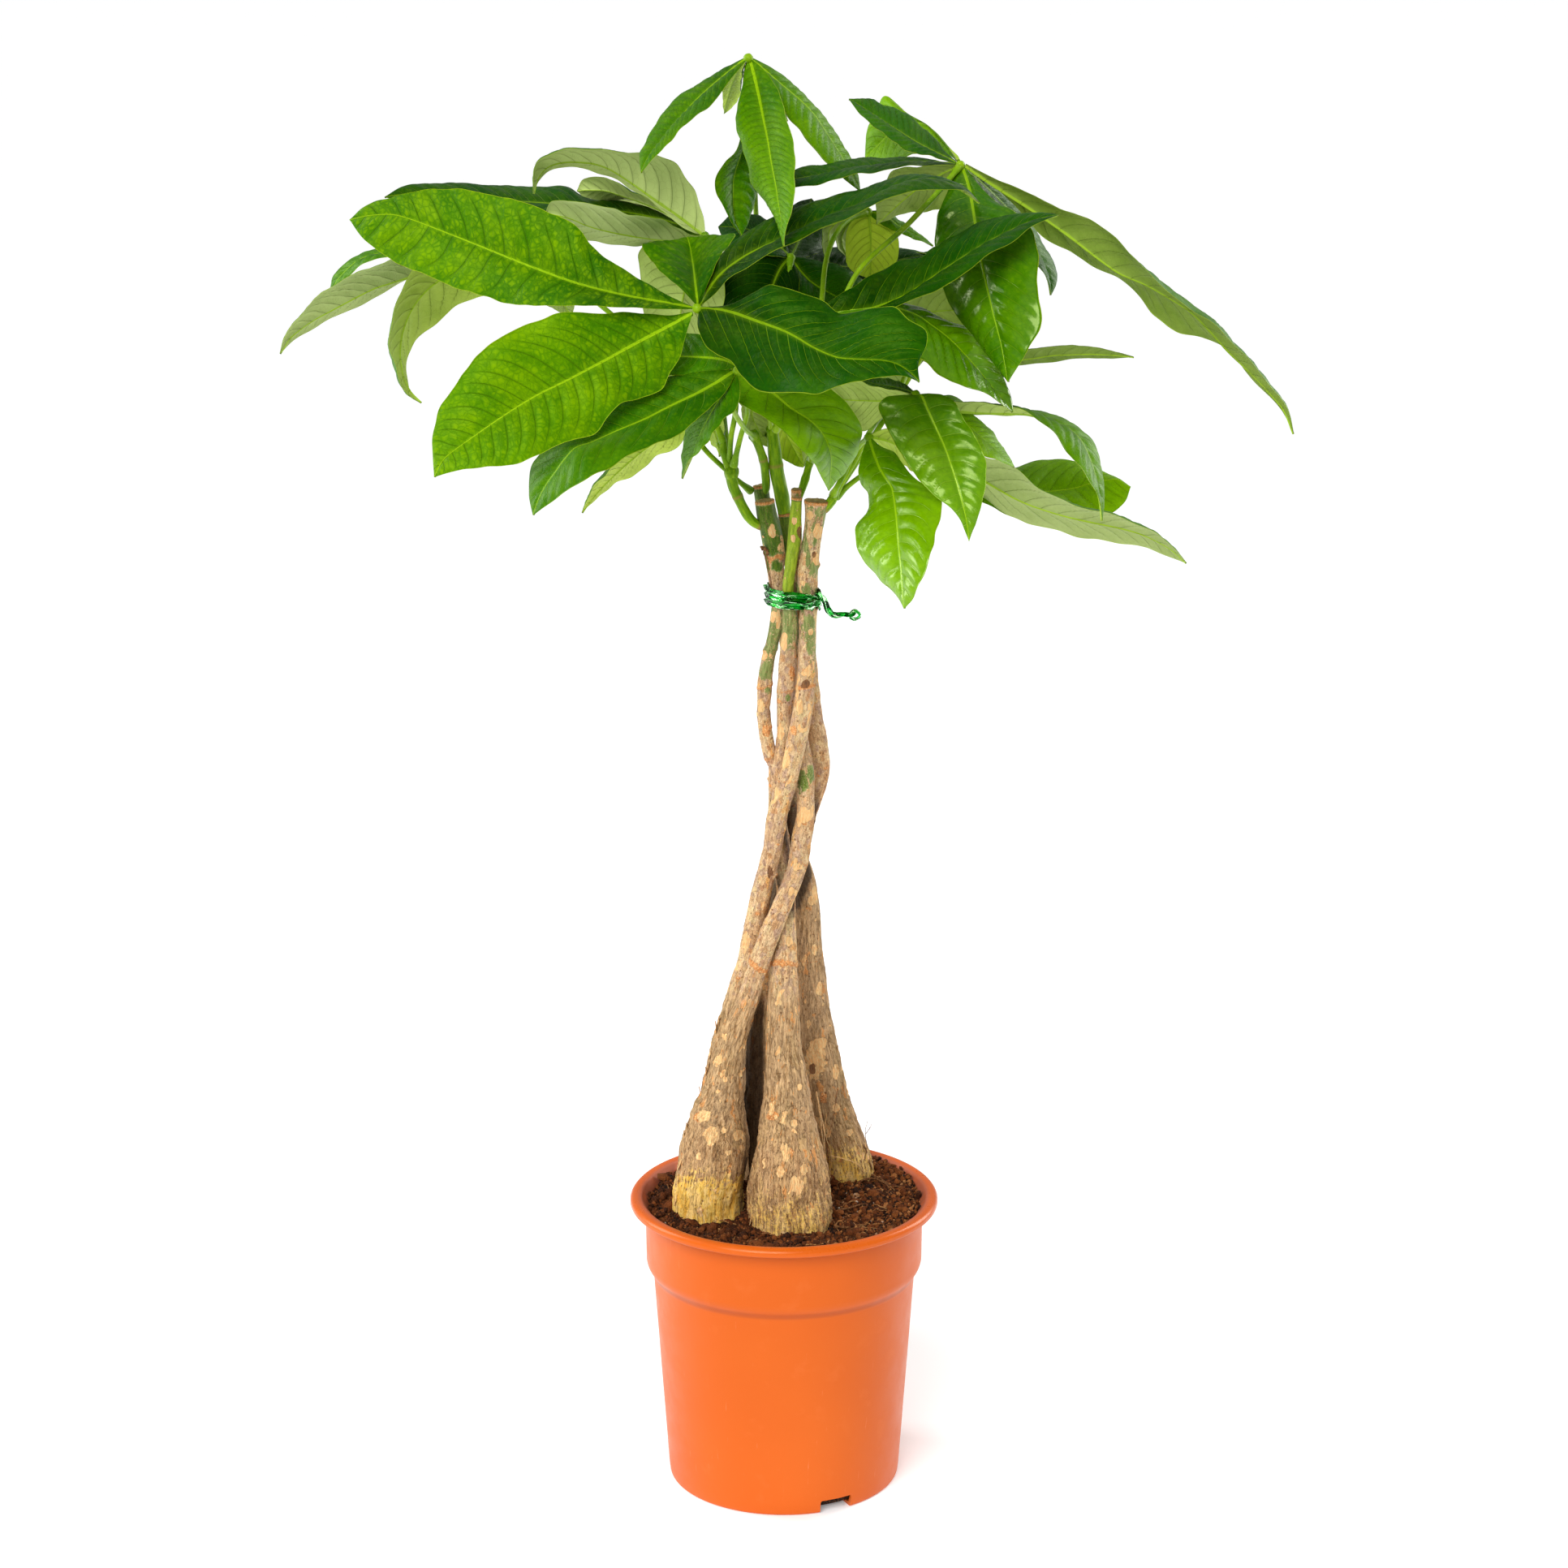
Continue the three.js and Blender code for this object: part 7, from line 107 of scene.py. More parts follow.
        "H4c": [[100,-10,818.3,99.1,-9,818.7,100.9,-11,817.5],[98.3,5.2,820.4,96.9,10.6,821.8,98.6,-0,818.6],[96.2,19.5,822.3,94.1,29,824.7,96,10.2,819.2],[93.8,32.8,824.2,90.8,46.2,827.3,93.1,19.8,819.1],[91.2,45,826.1,87.1,61.7,829.6,89.9,29,818.8],[88.3,56.7,828.5,82.6,76,831.5,86.6,38.7,818.1],[85.1,68.1,830.5,77.6,89,833.2,83.4,48.8,816.9],[81.5,77.8,830.9,72.6,99.2,835.4,80.1,58,815.3],[77.3,85,829.8,67.5,106,839.4,76.8,65,813.8],[72.7,90.1,828.7,62.6,110.4,843,73.4,70,812.4],[68.6,94.3,827.2,58.7,114.1,842.2,70,74.4,811],[65.1,97.6,824.4,55.6,116.9,835.5,66.5,78.2,809.7],[61.8,100,820.6,53,118,829.5,63,81.8,808.8],[58.5,101.8,816.7,50.8,117.2,823.7,59.5,86.2,808.3],[55.2,103.4,813.3,49.7,114.9,817.9,55.9,91.7,807.7],[52,104.6,810,49.1,111,812.2,52.4,98,807.1],[48.8,105,806.6,48.8,105,806.6,48.8,105,806.6]],
        "H4d": [[99.1,-10,817.4,99.2,-9,817.7,99.1,-11,817],[92.2,-11.8,818.2,92.3,-7.2,817.8,92,-16.5,817.6],[85.4,-13.9,818.7,85.4,-5.8,818.3,85,-21.9,818.1],[78.6,-16.1,819,78.7,-4.7,819.4,78.1,-27.5,818.4],[71.7,-18.4,819.2,71.8,-4.1,819.9,71.2,-32.8,818.6],[64.9,-20.9,818.8,64.9,-4.1,819.8,64.4,-37.8,818.3],[58.2,-23.6,818.4,58,-5,819.8,57.7,-42.4,817.8],[51.4,-26.8,818,51,-6.8,819.8,50.9,-46.8,817.4],[44.6,-30.2,817.7,44,-9.4,819.7,44.3,-51,816.8],[37.9,-33.6,817.2,37.1,-12.5,819.6,37.7,-54.7,815.8],[31.2,-36.7,816.4,30.3,-16,818.7,31.1,-57.5,814.7],[24.6,-39.4,815.4,23.4,-19.9,817.9,24.6,-59,813.4],[18,-41.9,814.4,16.6,-24.6,817.8,18.1,-59.3,811.9],[11.4,-44.2,813.6,9.7,-30.2,817.4,11.6,-58.4,810.2],[4.8,-46.4,812.8,3.3,-36.4,816.2,5,-56.6,809.3],[-1.7,-48.5,811.6,-2.7,-43,813.8,-1.6,-54,809.4],[-8.2,-50.3,810.4,-8.2,-50.3,810.4,-8.2,-50.3,810.4]],
        "H4e": [[102.4,-10,815.1,101.5,-9,815.4,104.2,-11,815.2],[104.9,-17.4,808.6,96.4,-15.6,809.1,109.3,-21,809.1],[106.5,-24.9,802,92.7,-22.3,802.1,115,-30.4,803.7],[107.6,-32.3,795.3,89.6,-28.3,794.7,121.5,-38.6,798.8],[108.5,-39.7,788.5,87.1,-33.4,787.1,129,-45.4,795.2],[109.4,-47.3,781.9,85.9,-38.2,779.2,136,-52.2,790.5],[110.4,-54.9,775.2,86.1,-42.8,771.3,140.4,-60.3,784.4],[111.4,-62.4,768.7,87.6,-47,763.4,142.1,-70.6,777],[112.8,-69.4,762.1,89.8,-50.8,755.5,142,-81.9,769.8],[114.3,-76.2,755.6,92.1,-54.9,747.8,141.7,-92.6,762.4],[115.9,-82.7,749.1,95.7,-60,741,141.8,-101.4,755],[117.4,-88.8,742.5,100.7,-66,734.9,143.3,-107.8,747.6],[119.2,-94.1,735.9,105.2,-72.6,728.9,141.1,-112.2,739.6],[121,-98.9,729.2,110,-80.3,723.2,137.8,-114.9,731.9],[122.4,-103.3,722.4,115.2,-89.4,718.2,133.6,-115.7,724.3],[123.6,-107.4,715.5,120.1,-99.4,713.3,129,-114.6,716.6],[124.7,-110.9,708.5,124.7,-110.9,708.5,124.7,-110.9,708.5]],
        "H4f": [[100.1,-10,816.5,101,-9.2,815.4,99.6,-11,817],[96.7,-9.9,815,100.9,-8.1,811,95,-13.7,817.3],[93.4,-9.8,813.5,100.3,-6.3,806.6,90.5,-16.4,817.6],[90.2,-9.6,811.9,99.4,-3.8,802.5,86,-19.2,817.7],[87,-9.4,810.2,98.2,-0.9,798.4,81.6,-21.8,817.8],[83.9,-9.2,808.3,96,1.9,794,77.2,-23.8,817.8],[80.9,-8.9,806.3,93,4.6,790.4,72.8,-25.2,817.7],[77.9,-8.4,804.2,89.9,7.4,788.6,68.2,-25.8,817.1],[75,-7.9,801.9,86.2,10.2,787.9,64.1,-26.2,816.1],[72.2,-7.4,799.6,82,12.3,787.4,60.6,-26.4,814],[69.4,-7.2,797.3,77.6,13.4,787,57.9,-26.5,810.3],[66.6,-7.3,795,73.5,13,786.6,55.8,-26.2,806.5],[64,-7.6,792.6,69.4,11.1,785.7,53.9,-24.9,802.3],[61.3,-8,790.2,65.4,7.7,784.8,52.9,-22.7,797.8],[58.6,-8.6,787.8,61.3,3,784.1,53,-19.5,793.1],[55.9,-9.4,785.4,57.3,-3,783.5,53.1,-15.5,788.2],[53.2,-10.4,783,53.2,-10.4,783,53.2,-10.4,783]],
        "H4g": [[103.3,-10,814.6,102.8,-10.9,813.8,104.3,-9.1,815],[107.9,-6.4,810.6,105.2,-10.1,808.6,110.2,-2.3,811.6],[112.4,-3,806.5,107.8,-9.7,803.6,115.9,4.4,807.9],[116.8,0,802.3,110.6,-9.9,798.8,121.2,10.7,803.9],[121,2.5,798.1,113.5,-10.3,794.2,126.3,16.3,799.7],[125.2,4.5,793.8,116.7,-10.9,789.8,130.9,20.9,795.2],[129.3,5.9,789.5,120.2,-11.5,785.5,135.3,24.4,790.3],[133.1,7.3,785,123.9,-11.8,781.3,139.4,27.2,785.1],[136.7,8.4,780.4,127.6,-11.8,777.1,143.2,29.4,779.9],[140.2,9.3,775.6,131.5,-11.5,773,146.7,30.8,774.7],[143.3,9.9,770.6,135.7,-11.1,769.1,149.8,31.2,769.4],[146.3,10,765.7,139.9,-10.1,765.2,152.6,30.3,764.1],[149.2,10,760.6,143.9,-8.3,760.9,155.5,28.1,758.8],[151.6,9.8,755.4,147.8,-5.4,756.1,158.1,24.7,753.7],[153.3,9.4,750.1,151.4,-1.6,751,159.5,20.1,748.6],[154.7,8.9,744.6,154,2.8,745.3,158.6,14.7,743.7],[155.6,8,739,155.6,8,739,155.6,8,739]],
    }),
    "leaf_mid_right": ([[17.7,-95.7,743.3],[15.6,-87.4,738.3],[13.6,-79.4,733.2],[11.8,-71.8,728.1],[10.1,-64.5,723],[8.6,-57.7,717.8],[7.2,-51.3,712.7],[6,-45.4,707.5],[4.9,-39.9,702.3],[3.8,-34.9,697.2],[2.7,-30.1,692],[1.6,-25.7,687],[0.4,-21.4,681.9],[-0.9,-17.1,676.9],[-2.2,-12.7,671.8],[-3.4,-8,666.7],[-4.8,-3,661.4]], {
        "H5": [[17.7,-95.7,743.8,18.1,-96.7,743,17.7,-94.7,744.5],[27.1,-94.9,744,27.6,-99.3,741.3,24.8,-93,750.4],[36.4,-94,744.6,36.9,-101.6,741.1,32.6,-90.6,755.3],[45.6,-92.7,745.6,46,-104.3,741.9,40.7,-86.6,759.6],[54.6,-91.2,748,54.6,-107,745.9,49.1,-80.9,763.2],[63.3,-89.5,751.2,63.2,-109.1,750.5,57.7,-74.5,766.5],[71.6,-87.4,755.3,71.8,-110.1,754.2,66.2,-68.3,770.1],[79.4,-85.1,760.2,80.3,-109.9,758.1,75.5,-62.9,771.8],[87.1,-82.8,765.3,88.6,-108.9,762.4,83.7,-58.6,776],[95,-80.4,770.1,97,-107.1,766.3,92.1,-55.1,780],[102.9,-77.8,774.9,104.6,-104.2,771.4,100.8,-52.5,783.8],[110.8,-75.1,779.5,112.2,-100.2,776.6,109.2,-50.9,788],[119.2,-72.4,783.6,120.4,-95,780.7,117.8,-50.7,792],[127.7,-69.8,787.4,128.5,-88.6,785.2,127,-51.7,794.1],[136.3,-67.2,790.9,136.4,-81,789.8,136.4,-53.9,795.1],[145.4,-64.6,793.3,145.2,-72.2,792.9,145.6,-57.2,795.6],[154.8,-62,795,154.8,-62,795,154.8,-62,795]],
        "G1": [[18.1,-95.7,743.3,18.1,-96.7,742.6,18.6,-94.7,744.1],[26.3,-94.6,744.9,25.2,-98.1,739.9,26.4,-90.3,749.8],[34.6,-93.5,746.2,32.2,-99.3,737,34.6,-85.7,753.5],[42.9,-92.4,746.9,39.2,-100.6,734,43.3,-80.6,754.2],[51.3,-91.3,747.4,46,-101.9,730.5,52.7,-75.4,753.1],[59.6,-90.2,747.4,52.8,-103.4,727.2,61.6,-70.5,750.8],[67.8,-89.2,745.2,60,-105.6,725,69.6,-66.2,744.8],[75.5,-88.1,741.7,67.6,-108,723.6,78.3,-62.6,740.7],[82.5,-87,736.6,74.7,-109.7,721.6,86.8,-60,736.1],[89.4,-86,731.4,80.7,-110.1,716.9,95.8,-58.6,733.2],[95.7,-85,725.7,86.7,-109.4,711.7,104.7,-58.3,731],[101.6,-83.9,719.3,93.4,-107.8,708,112,-58.7,725],[107.3,-82.6,712.7,101.1,-105,705.4,116.6,-59.9,717.1],[112.8,-81.2,705.8,108.7,-100.4,702.3,121,-62.3,709.1],[118.2,-79.7,698.9,115.7,-93.9,697.4,125.6,-66,701.6],[123.9,-78.1,692.1,122.6,-86,691.5,128.9,-70.5,693.6],[129.6,-76.3,685.3,129.6,-76.3,685.3,129.6,-76.3,685.3]],
        "P1": [[18.1,-95.7,743.3,18.1,-96.7,744.4,18.1,-94.7,742.3],[24,-84.4,742.6,24,-88.6,745.7,24.2,-80.3,739],[29.9,-73.7,741.7,30,-81.1,746.9,30.3,-66.3,735.9],[35.9,-63.5,740.5,36.1,-74,747.9,36.4,-53,732.8],[41.9,-53.9,739,42.3,-67.1,748.7,42.7,-40.5,729.8],[48,-44.8,737.4,48.6,-60.1,749.2,48.9,-29.1,726.7],[54.1,-36.2,735.7,55,-52.9,749.5,55.2,-18.8,723.9],[60.2,-27.8,734.1,61.5,-45.2,749.7,61.6,-9.2,721.8],[66.4,-19.9,732.9,68.1,-37.4,750.1,68,-0.6,720.4],[72.6,-12.8,732.1,74.6,-30.1,750.6,74.4,6.6,719.6],[78.8,-6.9,731.6,81.2,-23.4,750.3,80.8,12,719.2],[85,-2.5,731.3,88.2,-17.6,749.2,87.2,15.1,719.2],[91.1,0.8,731.2,95.2,-11.8,747.8,93.6,15.9,719.5],[97.2,3.1,731.1,101.3,-6.3,746.2,100,14.8,720],[103.3,4.4,730.8,106.6,-1.6,742.5,105.8,12.1,721.1],[109.4,4.6,730.3,111.3,1.5,736.7,110.9,8.6,724.1],[115.3,3.8,729.6,115.3,3.8,729.6,115.3,3.8,729.6]],
        "R1": [[18.6,-95.7,742.9,18.6,-95.7,743.8,18.6,-95.7,742],[29.5,-88.4,738.8,29.9,-90.2,741.8,29,-86.5,735.8],[40.5,-81.4,734.5,41.1,-85.2,739.2,39.7,-77.5,729.9],[51.5,-74.8,729.8,52.1,-80.9,736,50.5,-68.8,724],[62.4,-68.8,725,63.1,-77,731.9,61.4,-60.6,718.1],[73.5,-63,720.8,74.2,-73.1,728.2,72.6,-52.9,713.5],[84.9,-57.4,717,85.4,-69,724.7,84.2,-45.7,709.6],[96.4,-52.2,713.7,96.7,-64.9,721.5,96,-39.3,706.4],[108,-47.6,711.7,108.2,-61.1,719.2,107.9,-33.9,705],[119.7,-43.4,710.3,119.8,-57.3,717.2,119.8,-29.4,704.2],[131.5,-39.5,709.2,131.5,-53.2,715.8,131.8,-25.6,703.6],[143.2,-35.6,709.6,143,-48.5,717,143.6,-22.5,703.6],[154.9,-31.9,710.7,154.7,-43.4,717.8,155.5,-20.3,704.4],[166.7,-28.2,710.5,166.6,-37.6,716.6,167.2,-18.6,705.7],[178.6,-24.4,710,178.6,-31.2,714.5,179,-17.5,706],[190.6,-20.6,708.9,190.6,-24.4,711.3,190.8,-16.9,706.1],[202.5,-16.9,706.9,202.5,-16.9,706.9,202.5,-16.9,706.9]],
    }),
    "leaf_core": ([[3.8,-9.2,763.2],[3.3,-14.5,757.8],[2.9,-19.2,752.3],[2.4,-23.3,746.8],[2,-26.7,741.1],[1.5,-29.4,735.4],[1,-31.4,729.6],[0.6,-32,723.5],[0.1,-31.2,717.2],[-0.5,-28.9,710.6],[-1,-25.2,703.8],[-1.6,-20.4,696.8],[-2.1,-14.7,689.6],[-2.8,-8.4,682.2],[-3.4,-1.7,674.8],[-4.1,5.4,667.2],[-4.8,12.6,659.5]], {
        "C1": [[4.2,-9.2,763.2,3.8,-10.2,762.4,4.2,-8.2,764],[6,-10.2,760.2,3.9,-14.1,758.2,8.2,-6.6,763.4],[8,-11.2,757.4,4.3,-18.1,754.3,12.2,-5,762.6],[10.2,-12.2,754.8,4.9,-22.1,750.6,16.2,-3.3,761.7],[12.5,-13.2,752.5,5.6,-25.8,747.2,20.2,-1.8,760.8],[15,-14.2,750.3,6.6,-28.8,744,24.2,-0.8,759.7],[17.6,-15.2,748.5,8.3,-31.1,740.4,28.1,-0.3,758.6],[20.5,-16.2,746.8,11.1,-32.9,736.7,31.9,-0.4,757.4],[23.6,-17.2,745.3,14.6,-34.4,733.5,35.9,-0.8,756],[26.7,-18.3,743.8,18.3,-35.8,731.6,40.2,-1.5,754.1],[29.8,-19.3,742.2,21.8,-37.1,731.3,43.8,-2.5,752],[32.7,-20.3,740.6,25.5,-37.9,731.5,45.6,-3.9,749.6],[35.7,-21.3,739.1,29.4,-37.6,731.6,46.4,-6,746.9],[38.7,-22.3,737.5,33.6,-36.2,731.7,47,-9.2,743.8],[41.7,-23.3,735.9,38,-33.6,731.8,47.4,-13.6,740.4],[44.6,-24.3,734.3,42.7,-30.1,732.2,47.6,-18.8,736.7],[47.6,-25.3,732.8,47.6,-25.3,732.8,47.6,-25.3,732.8]],
        "C2": [[3.3,-9.2,763.2,2.8,-8.2,764,3.8,-10.2,762.4],[0.7,-11.1,761.1,-2.9,-10.1,768.3,6.2,-13.1,759.1],[-1.5,-13.1,758.7,-8.6,-11.8,771.1,8,-16.7,755.9],[-3.2,-15,756,-14.4,-12.8,772.1,8.9,-21.3,752.7],[-4.6,-16.8,753.1,-20.6,-13.7,771.4,8.7,-26.2,749.4],[-5.8,-18.6,750.1,-27.1,-14.6,769.2,8.4,-30.7,745.9],[-7.1,-20.4,747.2,-32.3,-15.8,766.3,7.8,-34.4,742.2],[-8.4,-22.3,744.2,-35.8,-17.2,762.4,7,-37.6,738.6],[-9.5,-24.2,741.2,-38.8,-18.8,756.5,6.2,-40.4,735.3],[-10.7,-25.9,738.2,-40.2,-19.8,750.2,4.6,-42.7,731.6],[-11.9,-27.3,735.2,-39.8,-19.8,744,2.3,-44.5,727.9],[-13.1,-28.4,732.1,-38.5,-19.1,737.4,-0.4,-45.5,724.4],[-14.3,-29.2,729,-36.7,-19,731.3,-3.4,-45.4,721.8],[-15.5,-29.8,725.8,-34.4,-20.4,726.5,-6.6,-43.7,720.2],[-16.7,-30.3,722.7,-30.5,-23,722.4,-10.2,-40.7,718.8],[-17.9,-30.6,719.5,-25.3,-26.3,718.9,-14.5,-36.4,717.4],[-19.1,-30.6,716.2,-19.1,-30.6,716.2,-19.1,-30.6,716.2]],
        "C3": [[3.8,-9.2,763.7,4.7,-9.2,763.2,3.3,-9.2,764.1],[4.9,-4.5,765,9,-4.5,762.7,1.1,-4.5,765.7],[6,0.1,766.3,12.9,0.1,762.5,-0.8,0.1,767.4],[7,4.8,767.7,16.3,4.8,762.5,-2.2,4.8,769.2],[8,9.4,769.1,19.1,9.4,762.7,-2.8,9.4,771.1],[8.9,14,770.5,21.1,14,763.1,-2.8,14,773.3],[9.6,18.7,772,22.3,18.7,763.8,-2.6,18.7,775.7],[10.4,23.5,773.5,23.2,23.5,765.7,-2.4,23.5,778.2],[11,28.3,775,24,28.3,768.4,-2.1,28.3,780.3],[11.6,33,776.6,24.5,33,771.6,-1.7,33,781.8],[12.2,37.5,778.2,24.8,37.5,774.4,-0.7,37.5,783.1],[12.9,41.6,779.9,24.6,41.6,776.8,0.9,41.6,784.4],[13.6,45.6,781.5,23.8,45.6,779.2,3.2,45.6,785.6],[14.3,49.5,783.2,22.6,49.5,781.5,5.9,49.5,786.6],[15,53.2,785,20.9,53.2,783.9,9,53.2,787.5],[15.6,56.7,786.7,18.8,56.7,786.2,12.6,56.7,788.1],[16.3,60,788.5,16.3,60,788.5,16.3,60,788.5]],
        "C4": [[3.3,-9.2,764.1,3.3,-8.2,764.9,2.8,-10.2,763.3],[1.1,-8.6,766,2.2,-4,768.2,-0.2,-13.1,764],[-1.1,-7.7,767.8,0.8,0.3,771.1,-3.2,-15.8,764.8],[-3.4,-6.7,769.4,-0.9,4.8,773.8,-6.1,-18.2,765.5],[-5.7,-5.4,770.9,-2.8,9.2,776.1,-9.1,-20.1,766.2],[-8.1,-4,772.2,-5,13.4,778,-12,-21.2,766.9],[-10.5,-2.2,773.4,-7.2,17.2,779.5,-14.9,-21.4,767.4],[-13,0.1,774.5,-9.8,20.9,780.7,-17.9,-20.3,767.8],[-15.7,2.6,775.6,-12.9,24.3,782,-21,-18.5,768],[-18.3,5.1,776.5,-16.4,27.1,783,-24.2,-16.1,768.3],[-21.1,7.4,777.2,-20,29,783.8,-27.3,-13.4,768.6],[-23.8,9.1,777.6,-23.4,29.5,784.3,-29.9,-10.4,769],[-26.6,10.7,777.6,-26.6,29,784.1,-32,-6.7,769.7],[-29.4,12.4,777.7,-29.6,27.5,783.3,-33.9,-2,771],[-32.4,14,777.7,-32.6,25,781.8,-35.6,3.5,772.8],[-35.3,15.5,777.6,-35.5,21.6,779.8,-37.1,9.6,775],[-38.3,16.8,777.5,-38.3,16.8,777.5,-38.3,16.8,777.5]],
        "C5": [[4.7,-9.2,762.7,4.7,-10.2,761.9,5.2,-8.2,763.5],[9.4,-4.4,760.8,9.1,-8.8,758.6,9.7,-0.5,764.2],[14.1,0,759,13.7,-7.8,755.7,14.4,7,764.7],[18.9,4.2,757.4,18.4,-7,753.1,19.1,14.4,765],[23.7,8,756.2,23.3,-6.2,750.8,23.9,21.4,764.8],[28.6,11.5,755.3,28.2,-5.3,748.9,28.8,27.6,764.4],[33.5,14.7,754.5,33.4,-4,747,33.7,32.9,764],[38.4,17.8,753.8,38.6,-2.3,745.4,38.7,37.4,763.6],[43.3,20.7,753.2,43.9,-0.3,744.5,43.7,41.3,763.2],[48.2,23.2,753.1,49.2,1.8,744.6,48.6,44.5,762.7],[53,25.3,753.7,54.6,4,745.5,53.6,46.6,762.2],[57.8,26.8,754.7,59.8,6.5,746.8,58.5,47.3,761.7],[62.6,28,755.8,64.7,9.8,748.2,63.4,46.6,761.3],[67.5,29.2,756.5,69.3,14.1,750.1,68.2,44.7,761],[72.3,30.2,757.3,73.7,19.2,752.6,72.9,41.6,760.5],[77.1,31.2,758,78,25.1,755.5,77.5,37.5,759.6],[82,32,758.8,82,32,758.8,82,32,758.8]],
    }),
    "leaf_young": ([[48.4,6.3,787.4],[38.4,-5.8,785.5],[31.9,-16.9,781.4],[27,-26.6,773.9],[24,-34.6,765.2],[22.7,-39.6,756.6],[21.9,-41.4,747.4],[21.2,-41.5,737.7],[20.8,-41.5,727.9],[20.3,-40.7,718],[19.7,-37.5,707.6],[19,-32,696.9],[18.3,-24.3,685.8],[17.6,-16,674.4],[16.9,-8.2,663.1],[16.1,-0.6,651.7],[15.3,6.9,640.2]], {
        "Y1": [[48.9,6.3,787.4,49.4,6.3,787.4,48.4,6.3,787.4],[49.2,5.7,785.1,52.4,5.7,785.7,45.1,5.7,786.4],[49.5,5.1,782.8,55.3,5.1,784,42.3,5.1,785],[49.7,4.4,780.5,58.2,4.4,782.2,39.8,4.4,783.1],[49.9,3.5,778.2,61.3,3.5,780.4,37.7,3.5,780.5],[50.1,2.5,776,64,2.5,778.4,36.4,2.5,777.8],[50.2,1.4,773.8,65.5,1.4,775.8,35.7,1.4,774.8],[50.3,0.2,771.6,66.5,0.2,772.4,35.3,0.2,771.6],[50.2,-0.9,769.3,66.7,-0.9,769,35.2,-0.9,768.5],[50.2,-2,767.1,66.4,-2,765.6,35.4,-2,765.2],[50.2,-3.2,764.9,65.9,-3.2,762.3,35.5,-3.2,762.1],[50.2,-4.4,762.7,64.8,-4.4,759.6,36,-4.4,759.4],[50.2,-5.7,760.5,62.3,-5.7,757,38,-5.7,756.8],[50.1,-7.1,758.3,59.4,-7.1,755.1,40.7,-7.1,754.8],[50,-8.7,756.2,56.4,-8.7,753.7,43.4,-8.7,753.5],[49.8,-10.4,754,53.2,-10.4,752.6,46.3,-10.4,752.4],[49.6,-12.1,751.9,49.6,-12.1,751.9,49.6,-12.1,751.9]],
        "Y2": [[49.4,6.3,787.8,48.9,6.2,786.9,49.4,6.6,788.3],[52,6.3,787.3,50.8,5.7,785,52.3,7.6,788.4],[54.6,6.4,786.5,52.8,4.8,783.4,55.2,8.8,788.4],[57,6.4,785.6,54.8,3.4,781.9,57.8,10.2,788.3],[59.4,6.4,784.5,56.9,1.8,780.7,60.4,11.6,787.9],[61.5,6.5,783,59.2,0.2,779.6,62.6,12.9,786.4],[63.6,6.4,781.3,61.6,-1.1,778.6,64.8,14,784.1],[65.7,6.2,779.6,64,-2.2,777.7,67,14.7,782],[68,5.9,778.3,66.4,-3.2,776.8,69.3,14.9,780.4],[70.3,5.4,777,68.8,-4,775.9,71.5,14.7,778.8],[72.6,4.9,775.8,71.3,-4.4,775,73.8,14.2,777.2],[74.9,4.5,774.7,73.8,-4.4,774.1,76,13.4,775.7],[77.3,4,773.5,76.3,-4,773.2,78.2,12.1,774.2],[79.6,3.5,772.3,78.9,-3.2,772.2,80.4,10.2,772.8],[81.9,3,771.1,81.4,-1.9,771.1,82.4,7.9,771.4],[84.2,2.4,769.9,84,-0.3,769.9,84.5,5.1,770],[86.5,1.8,768.7,86.5,1.8,768.7,86.5,1.8,768.7]],
        "Y3": [[48,6.3,787.4,48.4,6.3,786.9,48,6.3,787.8],[45,5.2,787.4,45.7,6.5,786.4,44.6,3.8,788.1],[42.1,4,787.1,43.2,6.6,785.7,41.3,1.4,788.4],[39.4,2.9,786.6,40.8,6.6,784.8,38.2,-0.8,788.6],[36.9,1.7,786,38.5,6.5,783.7,35.4,-2.9,788.7],[34.6,0.6,785.2,36.4,6.2,782.6,32.7,-4.8,788.7],[32.1,-0.5,784.1,34.4,5.7,781.3,29.8,-6.5,787.7],[29.5,-1.4,782.5,32.3,5.2,779.7,26.8,-7.9,785.9],[27.3,-2.2,780.4,30.4,4.8,777.8,24.3,-9,783.6],[25.8,-2.8,778.2,28.8,4.3,775.7,22.5,-9.8,781],[25.3,-3.4,776,27.8,3.7,773.7,22,-10.4,778.5],[25.3,-4.1,773.8,27.1,2.7,771.6,22,-10.7,776],[25.3,-4.8,771.3,26.6,1.4,769.4,22.1,-10.7,773.3],[25.3,-5.4,768.7,26.1,-0.2,767.2,22.4,-10.2,770.3],[25.3,-6,766,25.7,-2.2,764.9,23,-9.4,767.1],[25.3,-6.5,763.1,25.4,-4.4,762.5,23.9,-8.4,763.7],[25.3,-7,760.1,25.3,-7,760.1,25.3,-7,760.1]],
